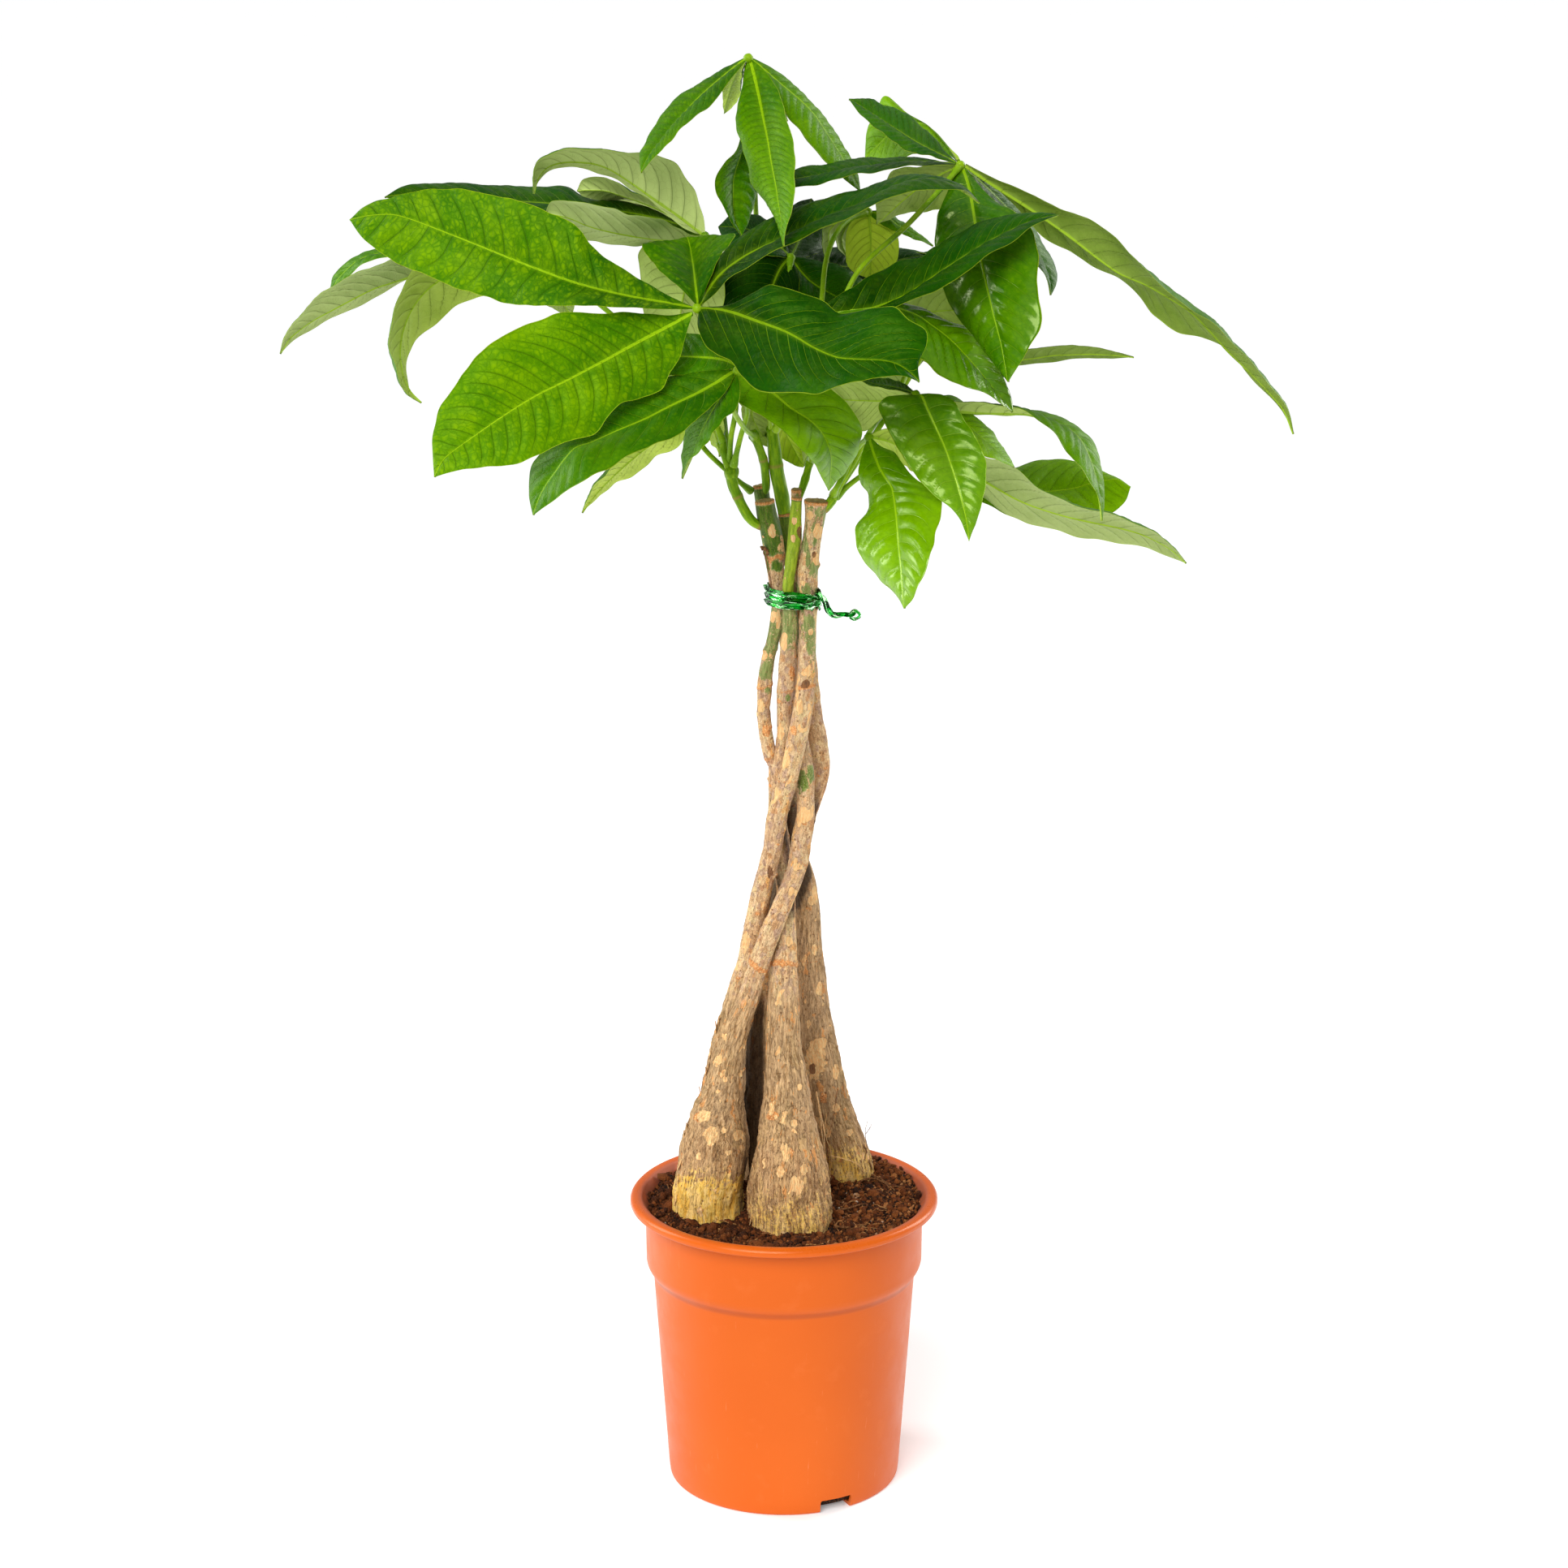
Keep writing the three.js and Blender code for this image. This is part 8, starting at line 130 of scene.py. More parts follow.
        "Y4": [[48.4,6.3,786.9,48.9,6.3,786.4,48,6.3,787.4],[46,7.3,786.2,46.9,8.6,785.4,45.2,6,787],[43.8,8.3,785.3,45,10.9,784.1,42.6,5.7,786.4],[41.7,9.3,784.2,43.2,13.1,782.8,40.2,5.4,785.5],[39.9,10.3,783,41.7,15.2,781.3,38.1,5.3,784.4],[38.4,11.2,781.7,40.4,17.1,779.8,36.3,5.4,783.2],[37.1,12.3,780.2,39.3,18.8,778.2,34.8,5.8,781.8],[35.9,13.4,778.5,38.3,20.3,776.5,33.4,6.4,780],[34.7,14.5,776.3,37.4,21.7,774.5,32.1,7.2,777.8],[33.8,15.5,774,36.6,22.8,772.4,31,8.2,775.2],[33.2,16.4,771.7,36.2,23.6,770.3,30.4,9.2,772.6],[33.1,17,769.6,36.1,23.8,768.3,30.2,10.2,770.3],[33.4,17.6,767.5,36.1,23.7,766.4,30.6,11.5,768.1],[33.9,18.1,765.4,36.2,23.2,764.6,31.6,13.1,765.8],[34.8,18.6,763.3,36.4,22.2,762.7,33.1,14.9,763.6],[35.9,18.9,761.2,36.8,20.9,760.9,35,16.9,761.4],[37.4,19.1,759.2,37.4,19.1,759.2,37.4,19.1,759.2]],
    }),
    "leaf_right": ([[74.5,-72.5,694.4],[70.3,-62.6,690.6],[66.2,-53.6,686.7],[62.4,-45.7,682.7],[58.9,-38.6,678.6],[55.7,-32.5,674.5],[53,-27,670.1],[50.6,-21.8,665.2],[48.3,-17.2,660.1],[46.2,-13.6,654.9],[44,-11.2,649.9],[41.8,-10.4,645.3],[39.4,-10.2,641],[37,-10,636.8],[34.5,-9.8,632.5],[32,-9.4,628.3],[29.5,-8.6,623.9]], {
        "H7a": [[74.5,-72.5,694.4,72.7,-72.5,694.4,76.3,-72.5,694.8],[77.9,-75.5,694,65.2,-75.5,694.9,82.9,-75.5,695.8],[80.5,-78.7,688.6,57.9,-78.7,694.6,89.3,-78.7,695.7],[82.8,-82,683.9,53.3,-82,690,95,-82,693.1],[85.1,-85.4,679.3,54.9,-85.4,683.7,98.6,-85.4,688.3],[87.4,-89,674.7,58.1,-89,677.7,102,-89,683.1],[89.7,-92.9,670.2,61.5,-92.9,672.1,105.6,-92.9,678.2],[91.7,-96.7,665.6,65.1,-96.7,666.5,108.6,-96.7,673.1],[93.5,-100.2,660.8,68.9,-100.2,661,111.1,-100.2,667.6],[95.2,-103.6,656,73,-103.6,655.8,113.4,-103.6,662],[96.8,-106.9,651.1,77.3,-106.9,650.6,113.4,-106.9,656],[98.3,-109.8,646.2,82.2,-109.8,646,113.2,-109.8,649.9],[99.8,-112.1,641.1,87.7,-112.1,641.8,111.8,-112.1,643.8],[101.2,-113.9,635.8,93.4,-113.9,637.6,110.2,-113.9,637.7],[102.3,-115.3,630.5,97.9,-115.3,632.5,108.4,-115.3,631.6],[103.2,-116.4,625,101,-116.4,626,106,-116.4,625.6],[103.8,-117,619.4,103.8,-117,619.4,103.8,-117,619.4]],
        "H7e": [[75.4,-72.5,694.4,75.8,-73.3,695.4,75.5,-71.6,693.3],[83.9,-69.1,689.3,84.3,-73.2,692.3,84.3,-64.8,686.9],[92.7,-65.7,685.5,92.9,-73.2,690.6,93.5,-58,682.1],[101.7,-62.4,683.4,101.6,-73.1,690.5,103,-51.2,679.7],[111.1,-58.8,682.2,110.4,-72.6,690.5,113,-44.6,678.1],[120.5,-54.9,681.2,119.3,-71.4,689.4,123,-38.2,677],[129.8,-51.8,680.3,127.9,-70.4,687.4,132.9,-33,676.2],[139.2,-50.1,679.6,136.3,-70.1,684.3,142.7,-29.9,675.9],[148.2,-49.6,677.2,143.8,-70.4,679.8,152.4,-28.7,674.7],[156.8,-49.8,673.9,151.3,-70.6,674.7,161.5,-28.8,671.2],[165.2,-50.6,669.5,157.1,-70.7,668.6,170,-30.1,666.5],[170.9,-53.5,663.2,161.7,-72.2,661.1,177.4,-34.2,662.2],[174.7,-57.1,655.3,167,-74,654.3,181.6,-40,654],[177.6,-59.8,646.9,172.3,-73.9,646.9,183.3,-45.5,645.7],[179.7,-61.5,638,177.6,-72,638.9,184,-51,636.8],[181.4,-62.8,629.1,180.8,-68.6,630,183.6,-57,628.3],[182.5,-63.6,619.9,182.5,-63.6,619.9,182.5,-63.6,619.9]],
        "H7f": [[75.4,-72.5,693.9,75,-73.3,693.1,75.9,-71.7,694.7],[79.7,-71.4,692.4,77.6,-74.7,689.8,81,-67.7,694],[83.8,-70.3,690.6,80.3,-76.4,686.7,85.9,-63.6,693.1],[87.7,-69.2,688.6,83.1,-78.2,683.8,90.6,-59.6,692.3],[91.5,-68.1,686.4,86.2,-80,681.1,94.9,-55.7,691.4],[95.2,-67,683.7,89.4,-81.5,678.4,98.9,-52.2,689.2],[98.7,-66,680.8,92.7,-82.6,675.8,102.7,-49,685.4],[102.2,-65.2,677.8,96.2,-83.3,673.3,106.4,-46.5,681.2],[105.6,-64.4,674.9,99.6,-83.6,670.7,109.9,-44.6,677.3],[108.8,-63.4,671.7,103.1,-83.2,667.9,113.5,-43.2,673.8],[112.1,-62,668.4,106.8,-81.8,664.9,116.9,-42,670.2],[115.4,-60.2,665.1,110.6,-79,662,120,-41,666.5],[118.9,-58.1,661.8,114.6,-75.2,659.4,122.9,-40.8,662.7],[122.4,-56.1,658.6,119,-70.4,657,125.6,-41.7,659],[125.8,-54.1,655.3,123.5,-64.5,654.5,128.1,-43.5,655.4],[129.2,-52,651.9,128,-57.8,651.6,130.4,-46.2,651.8],[132.5,-50,648.4,132.5,-50,648.4,132.5,-50,648.4]],
        "H7g": [[74,-72.5,693.9,74.1,-71.5,692.8,74,-73.5,695],[69.5,-69.7,692.5,69.9,-64.7,688.6,69,-74.8,696.2],[64.9,-66.9,691.3,65.7,-58.3,684.5,64.1,-75.7,697.4],[60.4,-64,690.2,61.4,-52,680.5,59.2,-76.5,698.6],[55.7,-61,689.5,57,-46.2,676.6,54.4,-76.7,699.7],[51.1,-57.9,689,52.6,-41.3,672.5,49.5,-76.1,700.9],[46.4,-54.7,688.6,48.2,-36.9,668.2,44.8,-74.7,702.2],[41.8,-51.3,688,43.5,-32.5,666,40,-72.5,703],[37.1,-47.7,687.6,38.2,-28.1,665.2,35,-69.7,703],[32.4,-44.2,687.1,32.7,-24.2,664.7,30,-66.6,702.8],[27.7,-41,686.8,27.2,-21.4,664.5,24.9,-63.1,702.4],[23,-38.3,686.7,22.1,-20,664.7,20.2,-59.2,701.8],[18.2,-35.7,686.4,17.2,-19.6,666,15.8,-54.3,700.2],[13.5,-33,685.9,12.5,-19.8,668.5,11.4,-48.4,697.1],[8.9,-30.2,684.7,8,-20.6,672,7.3,-41.4,692.7],[4.2,-27.4,683.1,3.6,-22,676.2,3.3,-33.6,687.3],[-0.5,-24.4,681.1,-0.5,-24.4,681.1,-0.5,-24.4,681.1]],
        "H7h": [[74.5,-72.5,695.3,74.5,-72,695.7,74,-72.6,694.4],[72.6,-66.7,695,73,-64.4,696,71.9,-68.8,693.7],[70.7,-60.9,694.7,71.4,-56.7,696.2,69.8,-65,693],[68.8,-55.1,694.4,69.8,-49,696.3,67.7,-61.2,692.4],[66.9,-49.4,694,68.1,-41.6,696.2,65.6,-57.1,691.6],[64.9,-43.6,693.4,66.3,-34.3,695.8,63.5,-52.8,690.9],[62.9,-37.8,692.8,64.4,-27.4,695.1,61.4,-48.1,690.1],[60.9,-31.8,692.2,62.4,-20.6,694.3,59.3,-43,689.6],[58.9,-25.9,691.4,60.3,-14.1,693.6,57.2,-37.6,689.1],[56.8,-20,690.7,58.1,-8,692.8,55.1,-32,688.7],[54.8,-14.4,690.1,55.9,-2.5,692,53.1,-26.3,688.4],[52.7,-9.1,689.6,53.7,2.3,691.2,51.2,-20.4,688.1],[50.7,-4,689.2,51.5,6.3,690.5,49.4,-14.2,688],[48.6,1,688.9,49.3,9.6,689.9,47.6,-7.5,688],[46.6,5.9,688.7,47,12.1,689.4,45.8,-0.4,688.1],[44.5,10.5,688.6,44.8,14,689,44.1,7.1,688.3],[42.5,15,688.6,42.5,15,688.6,42.5,15,688.6]],
    }),
    "leaf_low_right": ([[49.1,-39.5,664],[47.3,-30,660.7],[45.5,-23.2,657.8],[44,-18.7,655.2],[42.6,-16.2,652.8],[41.4,-15.1,650.5],[40.2,-14.9,648.3],[39,-14.5,645.9],[38,-14.2,643.6],[36.9,-14.5,641.3],[35.8,-15.7,639.2],[34.6,-18.1,637.5],[33.4,-20,635.6],[32.2,-20.7,633.6],[31.1,-19.9,631.2],[30,-17.3,628.4],[29,-12.7,625.2]], {
        "H8a": [[49.1,-39.5,664.4,48.7,-38.5,663.8,50,-40.5,664.1],[50.7,-46.2,659.4,45.8,-42.2,657.8,55.6,-49.8,660.8],[52.7,-52.8,654.5,43.7,-45.9,651.7,62.5,-59.1,659.3],[55,-59.4,649.8,43.2,-49,645.2,67.2,-69.3,655.8],[58.2,-66.1,645.6,44.8,-51.9,638.8,71.5,-79.5,651.5],[61.5,-72.8,641.7,49.1,-55.8,633.5,76.7,-88.3,647.8],[62.7,-79.6,636.7,47.8,-61.4,627.9,82.8,-95.3,645],[63.4,-86.3,631.6,44.3,-68.4,623.1,88.4,-101.5,641],[63.9,-92.7,626.6,41,-75.1,618,88.7,-108.6,635.1],[64.3,-99.2,621.6,40.9,-81,612.3,87.2,-117,629.3],[64.7,-105.7,616.5,43,-86.6,606.7,83.7,-125.5,624.2],[65.2,-111.7,611.4,46,-92.1,601.5,81.6,-132.1,618.5],[65.8,-116.5,606.2,50.2,-97.8,597.1,80.6,-135.8,611.6],[66.2,-120.5,600.7,54.9,-104.1,593.3,78.3,-137,604.8],[66.6,-124.1,595.1,60,-111.6,590.4,75.3,-136.3,597.6],[66.9,-127.2,589.4,64.2,-120,587.6,72.2,-134,590.2],[67.3,-129.5,583.5,67.3,-129.5,583.5,67.3,-129.5,583.5]],
        "H8b": [[49.6,-39.5,664.4,49.6,-40.3,665.5,49.6,-38.8,663.3],[52.2,-39.3,664.1,52.6,-42.7,667.6,51.7,-35.7,661.4],[54.7,-38.9,663.5,55.5,-45.1,669.2,53.8,-32.3,659.3],[57.2,-38.3,662.8,58.4,-47.3,670.3,55.8,-28.8,657.2],[59.6,-37.6,662,61.2,-49.2,670.9,57.8,-25.5,655.1],[61.9,-36.7,661,63.9,-50.4,671,59.8,-22.5,653],[64.3,-35.6,659.7,67,-51.1,670.3,61.7,-19.8,650.7],[66.6,-34,658.1,70.1,-50.8,668.7,63.5,-17.1,648.4],[68.8,-32.3,656.3,73,-49.8,666.5,65.4,-14.6,646.2],[71,-30.5,654.4,75.4,-48.4,664.1,67.2,-12.5,644.1],[72.9,-29,652.5,77.2,-46.8,661.5,69.2,-11.2,642.3],[74.7,-27.9,650.6,78.3,-45,658.9,71.2,-10.9,641],[76.4,-27,648.5,79.4,-42.4,655.9,73.3,-11.7,640],[78,-26.2,646.4,80.3,-39.1,652.3,75.4,-13.5,639.4],[79.5,-25.6,644.1,81.1,-35.1,648.3,77.6,-16.4,639],[80.9,-25.2,641.7,81.8,-30.4,644,79.9,-20.1,638.9],[82.1,-25,639.2,82.1,-25,639.2,82.1,-25,639.2]],
    }),
    "leaf_far_right": ([[74.3,0,646.4],[71.1,-1,645.9],[68,-1.9,645.2],[64.9,-2.7,644.3],[61.9,-3.3,643.4],[59,-3.7,642.3],[56.1,-4.1,641],[53.2,-4.6,639.6],[50.4,-5.2,638],[47.7,-5.8,636.4],[45.1,-6.1,634.6],[42.5,-6,632.7],[40,-5.8,630.7],[37.5,-5.5,628.6],[35.1,-5.2,626.4],[32.8,-4.8,624],[30.5,-4.6,621.6]], {
        "H7c": [[74.3,0,646.4,74.3,-1,647.6,74.4,1,645.2],[84.6,-2.9,643.3,85.4,-7.2,649.6,83.2,1.9,638.2],[94.9,-5.7,640.2,96.4,-13.4,650.8,92.5,2.9,631.8],[105.3,-8.5,637.2,107.2,-20,650.7,102.4,4.3,626.6],[115.5,-11.2,633.9,118,-26.6,650,112.9,5.6,621.9],[125,-13.8,629.1,128.7,-32.8,648.6,122.3,6.5,615.9],[134.5,-16.4,624.2,137,-38.6,643.1,131.4,6.8,609.4],[144.4,-18.9,620.3,144.9,-44,636.2,141.5,6.5,604.7],[154.7,-21.4,617.2,154.2,-48.5,631.2,152.1,5.5,601.4],[165,-24,614.6,164.2,-52,627.4,162.8,3.7,598.9],[175.5,-26.6,612.5,174.8,-54.4,625.4,173.4,0.8,597.4],[186,-29.1,610.8,185.7,-55.6,623.5,184.1,-3.1,596.6],[196.6,-31.6,609,196.3,-55.4,619.8,194.6,-8.3,595.7],[206.9,-34,606.4,206.5,-53.8,614.3,204.9,-14.8,594.8],[216.7,-36.3,602.5,216.4,-50.7,607.9,214.9,-22.5,593.5],[226,-38.6,597.2,225.9,-46.6,600,224.5,-31,591.6],[233.9,-40.8,590.1,233.9,-40.8,590.1,233.9,-40.8,590.1]],
        "H7d": [[74.3,0,646.4,74.3,-1,645.1,74.3,1,647.2],[82.1,5.1,641.7,81.5,-0.4,638.8,83.1,10.7,644.4],[90.1,10,637.2,89.1,0.1,633,91.8,19.9,641.5],[98.1,14.7,633.1,96.8,0.4,627.7,100.5,29,638.4],[106.3,19.1,629.3,104.9,0.9,622.9,109.2,37.5,634.9],[114.6,23.4,625.4,113.3,1.9,618.3,117.9,45.1,630.7],[123,27.5,621.9,122,3.8,614,126.6,51.6,627.7],[131.5,31.4,619.4,130.9,6.3,610.3,135.3,56.6,627.4],[140.1,34.7,617.9,140.1,9.4,606.9,143.9,60.1,628.7],[148.9,37.7,616.7,149.6,12.9,603.7,152.3,62.6,630.8],[157.7,40.6,615.9,159.1,17.2,601.6,160.9,64.4,631],[166.4,43,616.2,168.9,22.5,600.6,169.6,65.2,630.1],[174.9,44.8,617.3,178.8,28.8,600,178,64.3,629],[183.2,46,619.6,188.5,35.4,600.2,186.2,61.8,626.8],[191.7,46.9,621.4,197.6,41,603.3,194,58.2,624.2],[200,47.4,621.7,204.8,44.5,609.2,201.4,53.7,621.3],[208,47.4,617.5,208,47.4,617.5,208,47.4,617.5]],
    }),
    "leaf_back_left": ([[-84.8,42.6,696.9],[-83,48.4,691.9],[-81,54.7,686.8],[-78.9,61.7,681.8],[-76.7,69.1,676.7],[-74.3,76.8,671.7],[-71.8,84.2,666.8],[-69,90.2,662.3],[-66,94.6,658.2],[-62.8,97,654.6],[-59.4,97.3,651.4],[-55.9,95,648.8],[-52.3,88.8,646.9],[-48.6,77.8,646],[-44.8,60.9,646.2],[-40.8,37,647.9],[-36.7,5,651.2]], {
        "B1a": [[-84.8,42.6,696.9,-83.2,42.2,697.3,-86.4,43,697],[-82.2,43.4,700.5,-76.7,41.9,701.7,-87.7,44.9,700.7],[-79.6,44.6,703,-69.6,42,705.2,-89.6,47.3,703.4],[-77,46.2,704.5,-62.8,42.4,707.6,-91.2,50.1,705],[-74.4,48.1,704.9,-56.5,43.3,708.8,-92.4,53,705.5],[-71.9,50.1,704.3,-50.8,44.4,708.9,-93,55.9,705],[-69.4,52.2,702.7,-46.3,45.9,707.7,-92.6,58.5,703.5],[-67.1,54.2,700.2,-42.4,47.5,705.5,-91.8,61,701],[-64.9,56.1,696.7,-39.3,49.2,702.2,-90.5,63.1,697.5],[-62.8,57.8,692.4,-36.9,50.7,698,-88.8,64.9,693.2],[-61,59.1,687.2,-35,52,692.9,-86.9,66.3,688.1],[-59.3,60.1,681.4,-34.6,53.3,686.7,-84,66.9,682.2],[-57.8,60.6,674.9,-35.5,54.4,679.7,-80,66.7,675.6],[-56.5,60.5,667.9,-37.9,55.4,671.9,-75.1,65.6,668.5],[-55.5,59.8,660.4,-41.8,56.1,663.4,-69.2,63.6,660.8],[-54.7,58.6,652.5,-47.2,56.5,654.1,-62.1,60.6,652.8],[-54.1,56.6,644.4,-53.4,56.4,644.6,-54.9,56.9,644.4]],
        "B1b": [[-84.8,42.6,696.9,-83.5,41.8,696.7,-86.2,43.4,697.5],[-79.7,44.2,699.1,-75.1,41.5,698.4,-84.3,47,701],[-74.6,46,700.5,-66.2,41,699.3,-82.9,51,704.1],[-69.5,47.9,701.2,-57.6,40.7,699.5,-81.4,55,706.3],[-64.4,49.8,701.2,-49.4,40.7,699,-79.5,58.9,707.7],[-59.5,51.7,700.5,-41.8,41,698,-77.1,62.4,708.1],[-54.6,53.6,699.2,-35.3,41.8,696.4,-74,65.3,707.5],[-49.9,55.4,697.1,-29.2,42.7,694.2,-70.6,68,706],[-45.3,57,694.4,-23.9,43.9,691.4,-66.8,70.1,703.7],[-40.9,58.6,691.1,-19.2,45.3,688,-62.6,71.9,700.5],[-36.7,59.9,687.2,-14.9,46.5,684.2,-58.4,73.3,696.6],[-32.7,61,682.8,-12,48.3,679.9,-53.3,73.7,691.7],[-28.9,61.8,677.8,-10.2,50.3,675.2,-47.5,73.3,685.8],[-25.3,62.4,672.3,-9.8,52.7,670.1,-40.9,72,679],[-22,62.6,666.4,-10.6,55.5,664.8,-33.5,69.7,671.3],[-19,62.4,660,-12.8,58.5,659.1,-25.3,66.3,662.7],[-16.3,61.8,653.3,-15.7,61.4,653.2,-17,62.2,653.6]],
        "B1c": [[-84.8,42.6,696.9,-84.2,43.1,697,-85.5,42.2,697],[-87.3,45.9,697.6,-85.1,47.4,698.1,-89.5,44.4,697.8],[-89.7,48.9,698,-85.7,51.7,698.9,-93.7,46.2,698.4],[-92.2,51.8,698.2,-86.4,55.8,699.4,-97.9,47.9,698.7],[-94.6,54.5,698,-87.4,59.5,699.5,-101.8,49.6,698.6],[-97,57,697.6,-88.5,62.8,699.3,-105.5,51.2,698.3],[-99.4,59.2,696.8,-90,65.7,698.7,-108.8,52.8,697.6],[-101.7,61.2,695.8,-91.6,68.1,697.9,-111.7,54.3,696.7],[-103.9,62.9,694.5,-93.5,70,696.6,-114.3,55.8,695.4],[-106.1,64.3,693,-95.5,71.6,695.1,-116.6,57.1,693.8],[-108.1,65.4,691.1,-97.5,72.7,693.3,-118.7,58.1,692],[-110.1,66.2,689.1,-100,73.1,691.2,-120.2,59.2,690],[-111.9,66.6,686.8,-102.8,72.8,688.7,-121,60.3,687.6],[-113.6,66.6,684.3,-106,71.8,685.9,-121.2,61.3,685],[-115.2,66.2,681.7,-109.6,70.1,682.8,-120.8,62.4,682.1],[-116.6,65.5,678.8,-113.5,67.6,679.4,-119.6,63.4,679.1],[-117.9,64.4,675.8,-117.5,64.6,675.9,-118.2,64.2,675.8]],
        "B1d": [[-84.8,42.6,696.9,-84.6,41,697.4,-85.1,44.3,696.8],[-76.1,37.4,702.7,-75.2,31.6,704.4,-77,43.1,702.5],[-67.2,32.3,708,-65.5,21.9,711,-68.8,42.8,707.5],[-58,27.5,712.5,-55.6,12.7,716.8,-60.4,42.4,711.8],[-48.7,23,716.5,-45.7,4.2,721.9,-51.8,41.8,715.6],[-39.3,18.6,719.8,-35.8,-3.5,726.2,-42.9,40.8,718.8],[-29.8,14.5,722.5,-25.9,-9.9,729.5,-33.7,39,721.3],[-20.3,10.6,724.5,-16.1,-15.5,732,-24.5,36.8,723.3],[-10.8,6.9,725.9,-6.4,-20.2,733.7,-15.1,34.1,724.6],[-1.2,3.4,726.6,3.2,-24.1,734.6,-5.6,31,725.3],[8.2,0.1,726.7,12.6,-27.5,734.7,3.8,27.8,725.4],[17.6,-3,726.2,21.8,-29.3,733.8,13.4,23.4,724.9],[26.8,-5.9,725,30.6,-29.7,731.9,23,17.9,723.9],[35.9,-8.7,723.3,39,-28.6,729,32.7,11.3,722.3],[44.7,-11.3,720.9,47,-26,725.1,42.4,3.4,720.2],[53.3,-13.7,717.9,54.6,-21.7,720.2,52.1,-5.7,717.5],[61.7,-16,714.4,61.8,-16.8,714.6,61.6,-15.1,714.4]],
        "B1e": [[-84.8,42.6,696.9,-85.8,41.1,697.5,-83.8,44.2,696.8],[-76.7,50.1,694.8,-80.2,44.8,696.8,-73.2,55.4,694.3],[-68.4,56.5,692.4,-74.8,46.9,696.2,-62,66.2,691.6],[-60,61.9,689.9,-69.2,48.1,695.2,-50.9,75.7,688.6],[-51.6,66.3,687.1,-63.3,48.8,693.9,-39.9,83.8,685.5],[-43.1,69.6,684.1,-56.9,49,692.1,-29.3,90.2,682.2],[-34.6,71.8,680.8,-49.9,49.2,689.6,-19.4,94.5,678.8],[-26.1,73.1,677.3,-42.5,48.8,686.8,-9.8,97.4,675.2],[-17.6,73.3,673.6,-34.7,48.1,683.5,-0.6,98.5,671.4],[-9.2,72.6,669.7,-26.5,47,679.7,8.1,98.2,667.4],[-0.8,70.8,665.6,-18.2,45.1,675.7,16.6,96.5,663.3],[7.5,68.1,661.3,-9.1,43.6,670.9,24.1,92.6,659.1],[15.6,64.4,656.8,0.6,42.3,665.5,30.7,86.5,654.8],[23.7,59.7,652.2,11.1,41.1,659.4,36.3,78.2,650.5],[31.6,54,647.3,22.3,40.4,652.7,40.8,67.7,646.1],[39.3,47.4,642.3,34.2,39.9,645.2,44.3,54.8,641.7],[46.8,39.8,637.2,46.2,39.1,637.5,47.3,40.6,637.2]],
    }),
    "leaf_back_right": ([[76.1,26.2,699.7],[73.5,11.5,696.5],[71,0.7,692.9],[68.4,-6.7,688.7],[65.9,-11.1,684.1],[63.3,-13.1,679.2],[60.7,-13.3,674],[57.9,-12.9,668.7],[54.9,-11.9,663.4],[51.9,-10.5,658.1],[48.7,-8.6,652.7],[45.6,-6.2,647.2],[42.4,-3.9,641.8],[39.2,-2,636.4],[35.9,-0.7,631.2],[32.6,-0.2,626.2],[29.1,-0.7,621.3]], {
        "B3a": [[76.1,26.2,699.7,77.7,26.4,699.6,74.5,26,700.1],[74.8,24.3,704.9,80.3,24.9,704.7,69.2,23.6,706.5],[73.4,23.2,709.2,83.5,24.4,708.7,63.4,22,712.1],[72.1,22.9,712.4,86.4,24.6,711.7,57.8,21.2,716.5],[70.7,23.3,714.6,88.7,25.4,713.7,52.7,21.2,719.8],[69.4,24.2,715.7,90.6,26.7,714.7,48.3,21.8,721.8],[68.1,25.7,715.8,91.3,28.4,714.8,45,23,722.6],[66.9,27.6,715,91.7,30.5,713.8,42.1,24.6,722.1],[65.7,29.7,713.1,91.4,32.8,712,40.1,26.7,720.6],[64.6,32.1,710.4,90.6,35.2,709.2,38.7,29.1,717.9],[63.5,34.7,706.7,89.6,37.7,705.5,37.5,31.6,714.2],[62.6,37.2,702.2,87.3,40.2,701.1,37.8,34.3,709.4],[61.6,39.8,696.9,84,42.5,695.9,39.4,37.2,703.4],[60.8,42.3,690.9,79.5,44.5,690,42.2,40.1,696.3],[60.1,44.6,684.2,73.8,46.3,683.6,46.4,43,688.2],[59.5,46.8,676.9,67,47.6,676.6,52,45.9,679.1],[59,48.6,669.1,59.7,48.7,669.1,58.2,48.5,669.3]],
        "B3b": [[76.1,26.2,699.7,77.2,25.4,699.4,75,27,700.2],[80.1,26.1,703.5,83.8,23.4,702.8,76.4,28.8,705.5],[84.2,27,706.8,91,22.1,705.4,77.4,31.9,710.4],[88.4,28.9,709.5,98,21.9,707.5,78.7,35.8,714.6],[92.6,31.8,711.6,104.8,22.9,709,80.4,40.6,718],[96.9,35.6,713.1,111.3,25.2,710,82.6,46,720.6],[101.3,40.4,714,117.1,28.9,710.6,85.5,51.8,722.2],[105.8,46,714.3,122.7,33.8,710.7,88.8,58.3,723.1],[110.2,52.6,714,127.8,39.9,710.3,92.7,65.3,723.2],[114.7,60,713.2,132.6,47.1,709.4,96.9,73,722.4],[119.3,68.4,711.7,137.2,55.4,707.8,101.3,81.3,721],[123.8,77.5,709.6,140.9,65.1,706,106.7,89.8,718.5],[128.3,87.4,707,143.8,76.2,703.7,112.8,98.6,715],[132.8,98.1,703.7,145.8,88.7,701,119.8,107.4,710.5],[137.3,109.6,699.9,146.9,102.6,697.9,127.7,116.4,704.9],[141.7,121.8,695.5,147,118,694.4,136.5,125.5,698.3],[146.1,134.7,690.6,146.7,134.3,690.5,145.6,135.1,690.9]],
